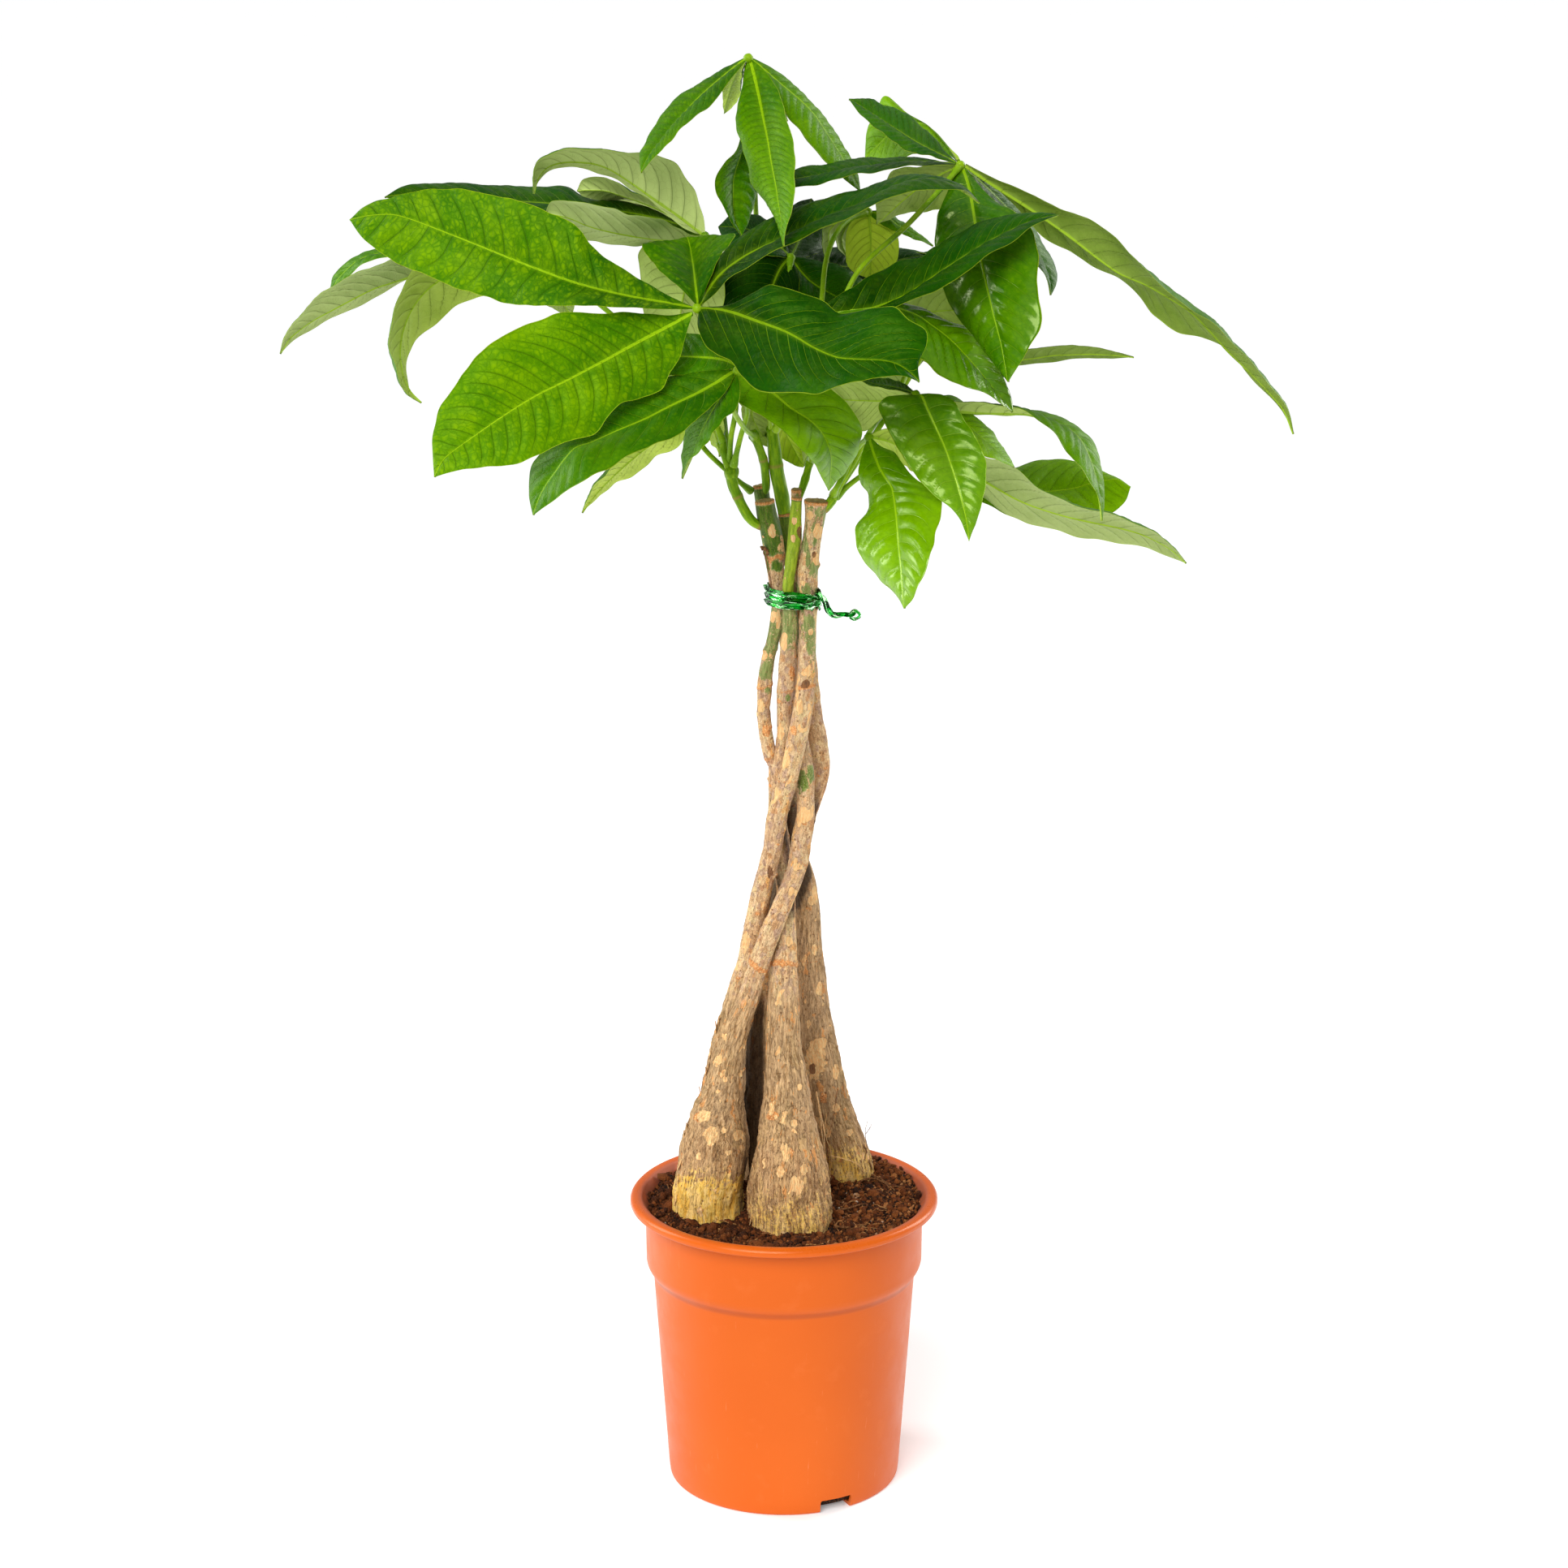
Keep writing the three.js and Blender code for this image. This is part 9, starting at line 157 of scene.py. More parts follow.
        "B3c": [[76.1,26.2,699.7,76.7,27.9,699.8,75.5,24.5,699.9],[67.9,19.8,706.5,70,25.6,707.1,65.8,14.1,707.4],[59.5,14.4,712.7,63.3,24.9,713.7,55.6,4,714.3],[50.9,10,718.1,56.3,25,719.5,45.4,-5,720.4],[42.1,6.6,722.8,49,25.5,724.6,35.2,-12.4,725.7],[33.2,4,726.7,41.3,26.4,728.9,25.2,-18.3,730.2],[24.2,2.4,730,33.1,27,732.3,15.4,-22.1,733.7],[15.2,1.8,732.4,24.6,28.1,735,5.7,-24.5,736.5],[6,2,734.2,15.8,29.3,736.8,-3.8,-25.3,738.4],[-3.2,3.1,735.2,6.8,30.8,737.8,-13.1,-24.6,739.5],[-12.3,5.2,735.5,-2.4,33,738.1,-22.3,-22.7,739.8],[-21.5,8,735,-12,34.5,737.5,-31,-18.5,739.1],[-30.6,11.8,733.8,-22,35.7,736.1,-39.2,-12.2,737.5],[-39.6,16.3,731.9,-32.5,36.4,733.8,-46.8,-3.8,735],[-48.6,21.7,729.2,-43.3,36.5,730.7,-53.9,6.9,731.5],[-57.5,27.9,725.9,-54.6,36,726.6,-60.4,19.8,727.1],[-66.2,34.9,721.8,-65.9,35.8,721.9,-66.5,34.1,721.9]],
        "B3d": [[76.1,26.2,699.7,76,25.3,699.7,76.2,27.1,699.8],[80.8,27,700.6,80.4,23.8,700.7,81.3,30.2,701.2],[85.6,27.8,701.3,84.7,21.9,701.6,86.4,33.6,702.4],[90.4,28.6,701.9,89.2,20.2,702.3,91.6,36.9,703.5],[95.2,29.4,702.3,93.6,18.8,702.8,96.7,39.9,704.4],[100,30.1,702.6,98.2,17.7,703.2,101.8,42.6,705],[104.9,30.9,702.7,102.9,17.2,703.4,106.9,44.6,705.3],[109.8,31.7,702.6,107.6,17,703.3,111.9,46.4,705.5],[114.7,32.5,702.4,112.4,17.2,703.2,116.9,47.7,705.4],[119.6,33.3,702,117.3,17.8,702.8,121.8,48.7,705],[124.5,34,701.5,122.2,18.5,702.2,126.7,49.6,704.5],[129.4,34.8,700.8,127.2,20,701.5,131.5,49.6,703.6],[134.2,35.6,699.9,132.3,22.2,700.5,136.2,49,702.5],[139.1,36.4,698.9,137.4,25.2,699.4,140.7,47.6,701],[143.9,37.2,697.7,142.7,28.9,698.1,145.1,45.4,699.3],[148.7,38,696.3,148.1,33.5,696.5,149.4,42.5,697.2],[153.5,38.8,694.8,153.4,38.3,694.8,153.6,39.2,694.9]],
        "B3e": [[76.1,26.2,699.7,75.8,27.8,699.6,76.4,24.6,700.1],[68.3,25.4,704.5,67.3,30.8,704.4,69.4,20,705.9],[60.3,24.9,708.8,58.4,34.8,708.6,62.2,15,711.5],[52.1,24.8,712.7,49.3,38.9,712.4,54.8,10.6,716.4],[43.6,24.9,716,40.1,42.8,715.6,47.1,7.1,720.8],[35,25.4,718.8,30.8,46.5,718.4,39.1,4.4,724.5],[26.2,26.3,721.1,21.6,49.5,720.6,30.7,3.1,727.3],[17.2,27.5,722.9,12.3,52.3,722.4,22.1,2.6,729.5],[8.2,29,724.1,3.1,54.8,723.6,13.3,3.2,731],[-1,30.9,724.8,-6.2,57,724.3,4.2,4.7,731.8],[-10.3,33.1,724.9,-15.5,59.4,724.4,-5,6.8,732],[-19.6,35.7,724.5,-24.6,60.8,724,-14.6,10.7,731.2],[-28.9,38.7,723.5,-33.4,61.3,723.1,-24.4,16.1,729.6],[-38.3,42,722,-42.1,61,721.6,-34.5,23.1,727.1],[-47.7,45.8,719.9,-50.5,59.7,719.6,-44.9,31.8,723.6],[-57,49.9,717.2,-58.6,57.5,717.1,-55.5,42.3,719.3],[-66.3,54.4,714,-66.5,55.2,714,-66.2,53.6,714.2]],
        "B3f": [[76.1,26.2,699.7,74.9,25.7,699.4,77.3,26.7,700.2],[79.3,34.2,700.2,75.2,32.5,699.4,83.3,35.8,702.1],[82.5,41.1,700.5,75,38.1,699.1,90,44.1,703.9],[85.7,47,700.5,75,42.7,698.5,96.5,51.3,705.5],[89,51.9,700.3,75.4,46.5,697.7,102.7,57.4,706.6],[92.4,55.8,699.8,76.2,49.4,696.8,108.5,62.2,707.2],[95.7,58.8,699,77.9,51.7,695.7,113.6,65.8,707.2],[99.1,60.8,698,79.9,53.2,694.3,118.3,68.4,706.8],[102.4,61.9,696.6,82.4,54.1,692.8,122.4,69.8,705.8],[105.8,62.1,694.9,85.4,54.1,691.1,126.1,70.1,704.3],[109.1,61.4,693,88.6,53.4,689,129.6,69.4,702.4],[112.3,59.9,690.7,92.7,52.3,686.9,131.9,67.6,699.7],[115.5,57.6,688.1,97.8,50.7,684.7,133.2,64.5,696.3],[118.6,54.4,685.2,103.8,48.6,682.4,133.5,60.2,692.1],[121.7,50.5,682.1,110.7,46.2,680,132.6,54.7,687.1],[124.6,45.8,678.6,118.6,43.5,677.5,130.6,48.1,681.4],[127.4,40.3,674.9,126.8,40.1,674.8,128,40.6,675.2]],
        "B3g": [[76.1,26.2,699.7,77.6,25.4,700,74.6,27,699.8],[72.2,37.2,697.3,77.3,34.3,698.4,67.2,40.1,697.7],[68.3,47.2,694.6,77.6,41.9,696.6,58.9,52.5,695.3],[64.2,56.1,691.6,77.6,48.6,694.5,50.7,63.6,692.6],[60,64.1,688.3,77.2,54.6,691.9,42.9,73.6,689.4],[55.8,71,684.6,76.2,59.8,688.8,35.5,82.2,686],[51.6,77,680.5,74.1,64.6,685.2,29.1,89.3,682.1],[47.3,82,676.1,71.6,68.8,681.1,23.1,95.2,677.8],[43,86.1,671.3,68.3,72.4,676.6,17.8,99.8,673.1],[38.8,89.3,666.2,64.6,75.4,671.5,13,103.2,668],[34.6,91.6,660.8,60.6,77.6,666.1,8.6,105.6,662.6],[30.4,93.1,655,55.3,79.8,660.1,5.6,106.4,656.7],[26.3,93.7,648.9,48.9,81.7,653.5,3.8,105.7,650.5],[22.3,93.5,642.5,41.3,83.4,646.4,3.4,103.6,643.8],[18.5,92.5,635.8,32.4,85.1,638.7,4.5,100,636.8],[14.7,90.8,628.9,22.4,86.7,630.4,7,94.8,629.4],[11.1,88.3,621.7,11.9,87.8,621.9,10.3,88.7,621.8]],
    }),
    "leaf_back_centre": ([[-39.2,53.8,699.9],[-38.6,32.3,699.2],[-38.1,16.3,697.7],[-37.6,5.4,695.3],[-37.2,-1.2,692.2],[-36.9,-3.9,688.5],[-36.5,-3.8,684.3],[-36.2,-2.6,679.9],[-35.8,-0.7,675.4],[-35.4,2,670.7],[-35,5.3,665.9],[-34.6,9.1,661],[-34.2,12.2,656.2],[-33.7,13.8,651.6],[-33.2,13.6,647.4],[-32.6,10.8,643.7],[-32,5,640.6]], {
        "B4a": [[-39.2,53.8,699.9,-37.8,54,700,-40.6,53.6,700.2],[-40.1,54.6,705.1,-35.2,55.2,705.3,-44.9,53.9,706.1],[-41,56,709.3,-32.2,57.2,709.7,-49.8,54.8,711],[-42,58,712.5,-29.4,59.8,713,-54.5,56.4,715],[-43,60.6,714.6,-27.2,62.7,715.3,-58.8,58.4,717.7],[-44,63.4,715.6,-25.4,66,716.5,-62.6,60.9,719.3],[-45,66.6,715.6,-24.6,69.3,716.5,-65.4,63.8,719.6],[-46,69.8,714.6,-24.2,72.8,715.6,-67.8,66.8,718.9],[-47,73,712.5,-24.3,76.1,713.5,-69.6,69.9,717],[-47.9,76.1,709.5,-25,79.2,710.5,-70.8,73,714],[-48.7,79,705.6,-25.7,82.1,706.6,-71.7,75.8,710.1],[-49.5,81.5,700.8,-27.6,84.5,701.8,-71.3,78.5,705.1],[-50.2,83.6,695.3,-30.4,86.3,696.2,-69.9,80.9,699.2],[-50.7,85.2,689.1,-34.2,87.4,689.8,-67.2,82.9,692.4],[-51.2,86.2,682.4,-39.1,87.8,682.9,-63.4,84.5,684.8],[-51.6,86.5,675.1,-45,87.4,675.4,-58.2,85.6,676.4],[-51.8,86.2,667.6,-51.1,86.3,667.6,-52.5,86.1,667.7]],
        "B4b": [[-39.2,53.8,699.9,-38.3,52.1,700.5,-40.1,55.6,699.8],[-31.6,57,705.4,-28.6,51,707.2,-34.5,63,705.1],[-23.6,60,710.2,-18.1,49,713.5,-29,70.9,709.7],[-15.2,62.7,714.2,-7.5,47.1,719,-22.9,78.4,713.6],[-6.6,65.2,717.6,3.1,45.4,723.7,-16.4,85,716.8],[2.1,67.4,720.1,13.6,44.1,727.3,-9.4,90.7,719.2],[11,69.3,722,23.6,43.6,729.9,-1.6,95,720.9],[19.9,70.9,723,33.4,43.4,731.5,6.4,98.4,721.8],[28.8,72.1,723.2,42.8,43.5,732,14.9,100.6,722.1],[37.7,72.8,722.7,51.8,43.9,731.6,23.5,101.8,721.5],[46.4,73.2,721.4,60.6,44.1,730.4,32.2,102.3,720.2],[54.9,73,719.4,68.4,45.3,727.9,41.4,100.8,718.2],[63.1,72.4,716.7,75.2,47.4,724.4,50.9,97.4,715.6],[71,71.2,713.2,81.1,50.3,719.7,60.8,92.2,712.3],[78.4,69.5,709.1,85.9,54.1,713.9,71,85,708.5],[85.5,67.2,704.4,89.6,58.8,707,81.4,75.7,704.1],[92,64.3,699.2,92.4,63.4,699.4,91.6,65.2,699.1]],
        "B4c": [[-39.2,53.8,699.9,-38.1,54.6,700,-40.3,53,700.2],[-43.6,60.6,701.3,-39.7,63.4,701.6,-47.4,57.8,702.1],[-48,66.8,702.2,-40.9,71.9,702.8,-55.1,61.7,703.6],[-52.4,72.4,702.6,-42.3,79.7,703.4,-62.5,65.1,704.7],[-56.8,77.3,702.4,-44.1,86.5,703.5,-69.6,68.1,705.1],[-61.2,81.5,701.8,-46.2,92.3,703.1,-76.2,70.7,704.9],[-65.4,84.9,700.7,-48.9,96.8,702.1,-82,73,704.1],[-69.6,87.6,699.1,-52,100.3,700.6,-87.3,74.8,702.7],[-73.6,89.4,697,-55.3,102.6,698.6,-91.9,76.1,700.8],[-77.4,90.3,694.5,-58.9,103.8,696.1,-96,76.9,698.3],[-81.1,90.3,691.5,-62.5,103.9,693.1,-99.7,76.8,695.4],[-84.5,89.4,688.2,-66.8,102.3,689.7,-102.1,76.6,691.9],[-87.6,87.6,684.5,-71.8,99.2,685.9,-103.6,75.9,687.9],[-90.5,84.7,680.5,-77.2,94.4,681.7,-103.8,74.9,683.3],[-93.1,80.7,676.3,-83.4,87.9,677.1,-102.9,73.6,678.3],[-95.4,75.7,671.8,-90.1,79.7,672.2,-100.7,71.8,672.9],[-97.3,69.7,667.1,-96.8,70.1,667.2,-97.9,69.3,667.2]],
        "B4d": [[-39.2,53.8,699.9,-39.1,52.3,700.5,-39.3,55.4,699.7],[-31,60,703.6,-30.6,54.8,705.6,-31.3,65.3,702.8],[-22.4,66,706.7,-21.8,56.4,710.4,-23,75.6,705.3],[-13.5,71.8,709.2,-12.6,58.1,714.6,-14.4,85.4,707.2],[-4.4,77.3,711.1,-3.2,60,717.9,-5.5,94.6,708.6],[5,82.5,712.4,6.3,62.1,720.4,3.7,102.9,709.4],[14.5,87.5,713,16,65.1,721.8,13.1,109.9,709.7],[24.1,92.2,713,25.7,68.2,722.5,22.6,116.3,709.5],[33.8,96.7,712.3,35.4,71.8,722.1,32.2,121.7,708.6],[43.5,101,710.9,45.1,75.7,721,41.8,126.3,707.2],[53.1,104.9,708.9,54.7,79.5,719,51.4,130.4,705.2],[62.6,108.6,706.2,64.1,84.4,715.8,61,132.9,702.7],[71.9,112.1,702.9,73.3,90.2,711.6,70.4,134,699.7],[81,115.2,699,82.2,96.9,706.2,79.8,133.6,696.3],[89.8,118.1,694.4,90.7,104.6,699.8,88.9,131.6,692.4],[98.3,120.7,689.2,98.8,113.4,692.2,97.8,128.1,688.2],[106.4,123.1,683.5,106.5,122.3,683.8,106.4,123.8,683.4]],
        "B4e": [[-39.2,53.8,699.9,-39.3,54.9,699.8,-39.1,52.8,700.3],[-44.7,62.1,701.4,-45.2,65.8,701,-44.2,58.4,702.8],[-50.5,69.5,702.5,-51.3,76.3,701.7,-49.6,62.8,705],[-56.5,76.2,703.1,-57.7,85.9,702,-55.3,66.6,706.7],[-62.7,82.2,703.3,-64.2,94.4,701.9,-61.2,70,707.8],[-69,87.4,703,-70.8,101.8,701.3,-67.2,73.1,708.3],[-75.3,92,702.2,-77.3,107.7,700.4,-73.3,76.2,708],[-81.6,95.7,700.9,-83.7,112.6,698.9,-79.5,78.8,707.2],[-87.8,98.8,699.1,-90,116.3,697.1,-85.6,81.3,705.6],[-93.9,101.2,696.8,-96.1,119,694.8,-91.7,83.4,703.4],[-99.8,102.8,694.1,-102,120.7,692,-97.5,84.9,700.7],[-105.3,103.8,690.9,-107.5,120.8,688.9,-103.2,86.8,697.2],[-110.6,104,687.3,-112.5,119.4,685.5,-108.7,88.7,693],[-115.4,103.6,683.4,-117,116.5,681.8,-113.8,90.8,688.1],[-119.8,102.6,679,-121,112.1,677.9,-118.6,93.1,682.5],[-123.8,100.8,674.4,-124.4,106,673.8,-123.1,95.6,676.3],[-127.2,98.4,669.6,-127.2,98.9,669.5,-127.1,97.9,669.8]],
        "B4f": [[-39.2,53.8,699.9,-37.8,53.1,699.8,-40.6,54.5,700.4],[-43.1,65.8,699.7,-38.4,63.4,699.2,-47.8,68.2,701.5],[-47.1,76.1,698.8,-38.4,71.8,698,-55.8,80.5,702.1],[-51.3,85,697.2,-38.8,78.8,696,-63.8,91.2,701.9],[-55.5,92.4,694.9,-39.6,84.5,693.3,-71.4,100.3,700.8],[-59.7,98.5,691.8,-40.8,89.2,689.8,-78.6,107.7,698.8],[-63.9,103.3,687.9,-43,93.1,685.8,-84.7,113.5,695.7],[-67.9,107,683.2,-45.4,96.1,681,-90.3,118,691.7],[-71.8,109.7,677.9,-48.4,98.3,675.5,-95.2,121,686.7],[-75.4,111.4,671.9,-51.6,99.8,669.4,-99.2,122.9,680.8],[-78.8,112.2,665.2,-54.8,100.6,662.7,-102.8,123.8,674.3],[-81.8,112.2,658,-59,101.2,655.6,-104.8,123.2,666.7],[-84.6,111.5,650.4,-63.8,101.5,648.2,-105.3,121.4,658.2],[-86.8,110.1,642.3,-69.4,101.7,640.5,-104.2,118.4,648.9],[-88.7,108.1,634.1,-75.9,101.9,632.7,-101.5,114.2,638.9],[-90.1,105.5,625.6,-83.1,102.1,624.9,-97.1,108.8,628.3],[-91,102.3,617.2,-90.3,102,617.1,-91.7,102.7,617.5]],
    }),
    "leaf_back_top": ([[110.3,109.5,740.4],[104.7,72.6,736.7],[99.6,47,731.6],[94.7,30.8,725.4],[90.1,22.1,718.1],[85.6,19.4,709.9],[81.1,20.7,701.1],[76.5,24.1,692.1],[71.7,28.4,682.9],[66.8,32.9,673.7],[61.8,36.6,664.7],[56.8,38.8,655.8],[51.7,38.7,647.4],[46.4,35.3,639.7],[41.1,28.2,632.7],[35.6,16.9,626.6],[30.1,1.3,621.4]], {
        "B5a": [[110.3,109.5,740.4,108.7,109,740.3,111.9,110,740.9],[107,105.4,742.9,101.6,103.7,742.6,112.4,107.2,744.6],[103.8,101.7,745.1,93.9,98.6,744.4,113.6,104.8,748.2],[100.6,98.3,746.9,86.6,93.8,746,114.6,102.8,751.3],[97.4,95.2,748.3,79.8,89.5,747.2,115,100.8,754],[94.3,92.4,749.4,73.6,85.7,748.2,114.9,99,756],[91.2,89.8,750.2,68.6,82.5,748.8,113.8,97.2,757.4],[88.1,87.6,750.6,64,79.7,749.2,112.3,95.5,758.3],[85.2,85.6,750.8,60.2,77.4,749.2,110.1,93.8,758.7],[82.2,83.9,750.5,57,75.6,749,107.4,92.2,758.5],[79.3,82.4,750,54.1,74.1,748.4,104.6,90.8,758],[76.5,81.2,749.1,52.5,73.3,747.6,100.4,89.2,756.7],[73.7,80.2,747.9,52.1,73.1,746.6,95.3,87.4,754.8],[71,79.5,746.4,53,73.5,745.4,89,85.5,752.2],[68.3,78.9,744.7,55.1,74.5,743.9,81.6,83.4,748.8],[65.7,78.6,742.6,58.5,76.2,742.2,72.9,81,744.9],[63.2,78.4,740.2,62.4,78.2,740.2,63.9,78.7,740.4]],
        "B5b": [[110.3,109.5,740.4,111.9,110.4,740.7,108.8,108.6,740.4],[106,105.9,743.2,111.2,108.9,744.5,100.7,102.8,743.4],[101.6,102.8,745.5,111.2,108.4,747.8,92,97.3,745.9],[97.3,100.4,747.2,110.9,108.3,750.4,83.7,92.5,747.7],[93,98.5,748.2,110.1,108.5,752.3,75.9,88.5,748.9],[88.8,97.3,748.5,108.9,109,753.3,68.7,85.5,749.2],[84.7,96.6,748,106.8,109.5,753.3,62.6,83.6,748.9],[80.7,96.3,747,104.3,110.2,752.7,57.1,82.4,747.9],[76.8,96.5,745.4,101.2,110.9,751.3,52.4,82,746.4],[73.1,97,743.2,97.8,111.7,749.2,48.3,82.4,744.2],[69.5,98.1,740.3,94.3,112.8,746.3,44.7,83.4,741.3],[66.1,99.4,736.9,89.7,113.5,742.5,42.5,85.4,737.8],[62.9,101.1,733,84.2,113.8,738.1,41.6,88.4,733.8],[59.9,103,728.5,77.7,113.6,732.8,42,92.4,729.3],[57.1,105.2,723.5,70.2,113.1,726.7,44,97.4,724.1],[54.6,107.7,718,61.7,112,719.8,47.4,103.4,718.3],[52.2,110.4,712.2,53,110.8,712.3,51.5,109.9,712.2]],
        "B5c": [[110.3,109.5,740.4,110.6,111.4,740.3,110.1,107.6,740.9],[100,102.2,744.4,100.7,108.9,744.1,99.2,95.5,746.4],[89.5,95.8,747.6,90.9,108,747,88.1,83.6,751.2],[79.1,90.2,749.9,81,107.5,749,77.1,72.8,755.1],[68.6,85.4,751.4,71.1,107.4,750.3,66.1,63.4,757.9],[58.2,81.4,752,61.2,107.3,750.7,55.2,55.5,759.7],[47.9,78.2,751.7,51.1,106.8,750.3,44.6,49.7,760.2],[37.7,75.9,750.7,41.2,106.4,749.1,34.2,45.3,759.8],[27.7,74.3,748.8,31.3,106,747.2,24.1,42.6,758.2],[17.9,73.6,746,21.6,105.7,744.4,14.3,41.4,755.6],[8.4,73.6,742.5,12.1,105.9,740.9,4.7,41.2,752.1],[-0.8,74.4,738.2,2.7,105.2,736.6,-4.4,43.6,747.3],[-9.8,76,733.1,-6.6,103.8,731.7,-12.9,48.2,741.4],[-18.3,78.3,727.2,-15.6,101.7,726,-21,55,734.2],[-26.4,81.5,720.6,-24.5,98.7,719.8,-28.4,64.3,725.8],[-34.2,85.4,713.4,-33.1,94.8,712.9,-35.2,76,716.2],[-41.4,90,705.4,-41.3,91,705.4,-41.5,89.1,705.7]],
        "B5d": [[110.3,109.5,740.4,109.4,110.9,740.9,111.2,108.1,740.2],[101.9,112,741.1,98.8,116.9,743.1,105,107.1,740.6],[93.4,114.2,741.5,87.7,123.2,745.1,99,105.2,740.6],[84.7,116.1,741.6,76.6,129,746.7,92.8,103.3,740.2],[75.9,117.8,741.2,65.7,134,747.7,86.2,101.5,739.6],[67.1,119.1,740.5,55,138.2,748.2,79.2,100,738.5],[58.2,120.2,739.4,44.9,141.2,747.9,71.6,99.2,737.2],[49.3,121,737.9,35,143.5,747,63.7,98.4,735.6],[40.4,121.5,736,25.4,144.9,745.5,55.3,98.1,733.6],[31.4,121.8,733.8,16.2,145.5,743.4,46.6,98.1,731.2],[22.5,121.8,731.1,7.2,145.7,740.8,37.8,98,728.6],[13.6,121.7,728.1,-1,144.4,737.4,28.2,99,725.6],[4.7,121.3,724.6,-8.5,141.8,733.1,17.9,100.8,722.4],[-4.1,120.6,720.8,-15.2,137.8,727.9,7,103.4,719],[-12.8,119.8,716.7,-21,132.5,721.9,-4.6,107.1,715.3],[-21.4,118.8,712.1,-25.9,125.7,715,-17,111.8,711.4],[-30,117.5,707.2,-30.4,118.2,707.5,-29.5,116.8,707.1]],
    }),
}

# ------------------------------------------------------------------ helpers
rng = np.random.default_rng(11)
CAM = np.array([0.0, -2347.0, 1096.5])
PITCH = math.radians(15.5)
FOCAL = 5000.0
FWD = np.array([0.0, math.cos(PITCH), -math.sin(PITCH)])
UPV = np.array([0.0, math.sin(PITCH), math.cos(PITCH)])


def picture(P):
    """Where points (mm) fall in the 1932 frame."""
    d = P - CAM
    z = d @ FWD
    return 966 + FOCAL * d[..., 0] / z, 966 - FOCAL * (d @ UPV) / z


def unit(a):
    return a / np.maximum(np.linalg.norm(a, axis=-1, keepdims=True), 1e-9)


def sstep(a, b, x):
    t = np.clip((x - a) / (b - a), 0, 1)
    return t * t * (3 - 2 * t)


def catmull(P, t):
    """Smooth curve through rows of P at parameters t in [0, 1]."""
    P = np.asarray(P, float)
    n = len(P) - 1
    x = np.clip(t, 0, 1) * n
    i = np.minimum(x.astype(int), n - 1)
    f = (x - i)[:, None]
    Q = np.vstack([2 * P[0] - P[1], P, 2 * P[-1] - P[-2]])
    p0, p1, p2, p3 = Q[i], Q[i + 1], Q[i + 2], Q[i + 3]
    return 0.5 * (2 * p1 + (p2 - p0) * f + (2 * p0 - 5 * p1 + 4 * p2 - p3) * f**2 + (3 * p1 - p0 - 3 * p2 + p3) * f**3)


def smooth_rows(P, k):
    P = np.array(P, float)
    for _ in range(k):
        Q = P.copy()
        Q[1:-1] = 0.25 * P[:-2] + 0.5 * P[1:-1] + 0.25 * P[2:]
        P = Q
    return P


_perm = np.random.default_rng(5).permutation(256)
_perm = np.concatenate([_perm, _perm, _perm])
_grad = unit(np.random.default_rng(6).normal(size=(256, 3)))


def gnoise(P):
    """Gradient noise at points P (N,3), about -1..1."""
    P = np.asarray(P, float)
    i = np.floor(P).astype(int)
    f = P - i
    u = f * f * f * (f * (f * 6 - 15) + 10)
    i &= 255
    out = 0
    for dx in (0, 1):
        for dy in (0, 1):
            for dz in (0, 1):
                h = _perm[_perm[_perm[(i[..., 0] + dx) & 255] + ((i[..., 1] + dy) & 255)] + ((i[..., 2] + dz) & 255)]
                g = _grad[h]
                d = (g * (f - np.array([dx, dy, dz]))).sum(-1)
                w = (u[..., 0] if dx else 1 - u[..., 0]) * (u[..., 1] if dy else 1 - u[..., 1]) * (u[..., 2] if dz else 1 - u[..., 2])
                out = out + w * d
    return out * 1.8


def fbm(P, octaves=4):
    a, s, out = 1.0, 1.0, 0
    for o in range(octaves):
        out = out + a * gnoise(P * s + 17.3 * o)
        a *= 0.5
        s *= 2.03
    return out


def make(name, verts, faces, mats, node=None, slot=None, mat_index=None, smooth=True, attrs=None, scale=0.001):
    """A mesh piece from points in mm. faces: (N,4) quads or (N,3) triangles, or a list of both."""
    if not isinstance(faces, list):
        faces = [faces]
    me = bpy.data.meshes.new(name)
    verts = np.asarray(verts, np.float32) * scale
    loops = np.concatenate([f.reshape(-1) for f in faces]).astype(np.int32)
    totals = np.concatenate([np.full(len(f), f.shape[1]) for f in faces]).astype(np.int32)
    starts = np.concatenate([[0], np.cumsum(totals)[:-1]]).astype(np.int32)
    me.vertices.add(len(verts))
    me.vertices.foreach_set("co", verts.reshape(-1))
    me.loops.add(len(loops))
    me.loops.foreach_set("vertex_index", loops)
    me.polygons.add(len(totals))
    me.polygons.foreach_set("loop_start", starts)
    me.polygons.foreach_set("loop_total", totals)
    me.polygons.foreach_set("use_smooth", np.full(len(totals), smooth))
    for m in mats:
        me.materials.append(m)
    if mat_index is not None:
        me.polygons.foreach_set("material_index", np.asarray(mat_index, np.int32))
    for k, a in (attrs or {}).items():
        a = np.asarray(a, np.float32)
        at = me.attributes.new(k, "FLOAT_VECTOR", "POINT")
        at.data.foreach_set("vector", a.reshape(-1))
    me.update(calc_edges=True)
    me.validate()
    ob = bpy.data.objects.new(name, me)
    bpy.context.scene.collection.objects.link(ob)
    if node:
        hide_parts(*([node] if isinstance(node, str) else node))
    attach(ob, "root")
    return ob


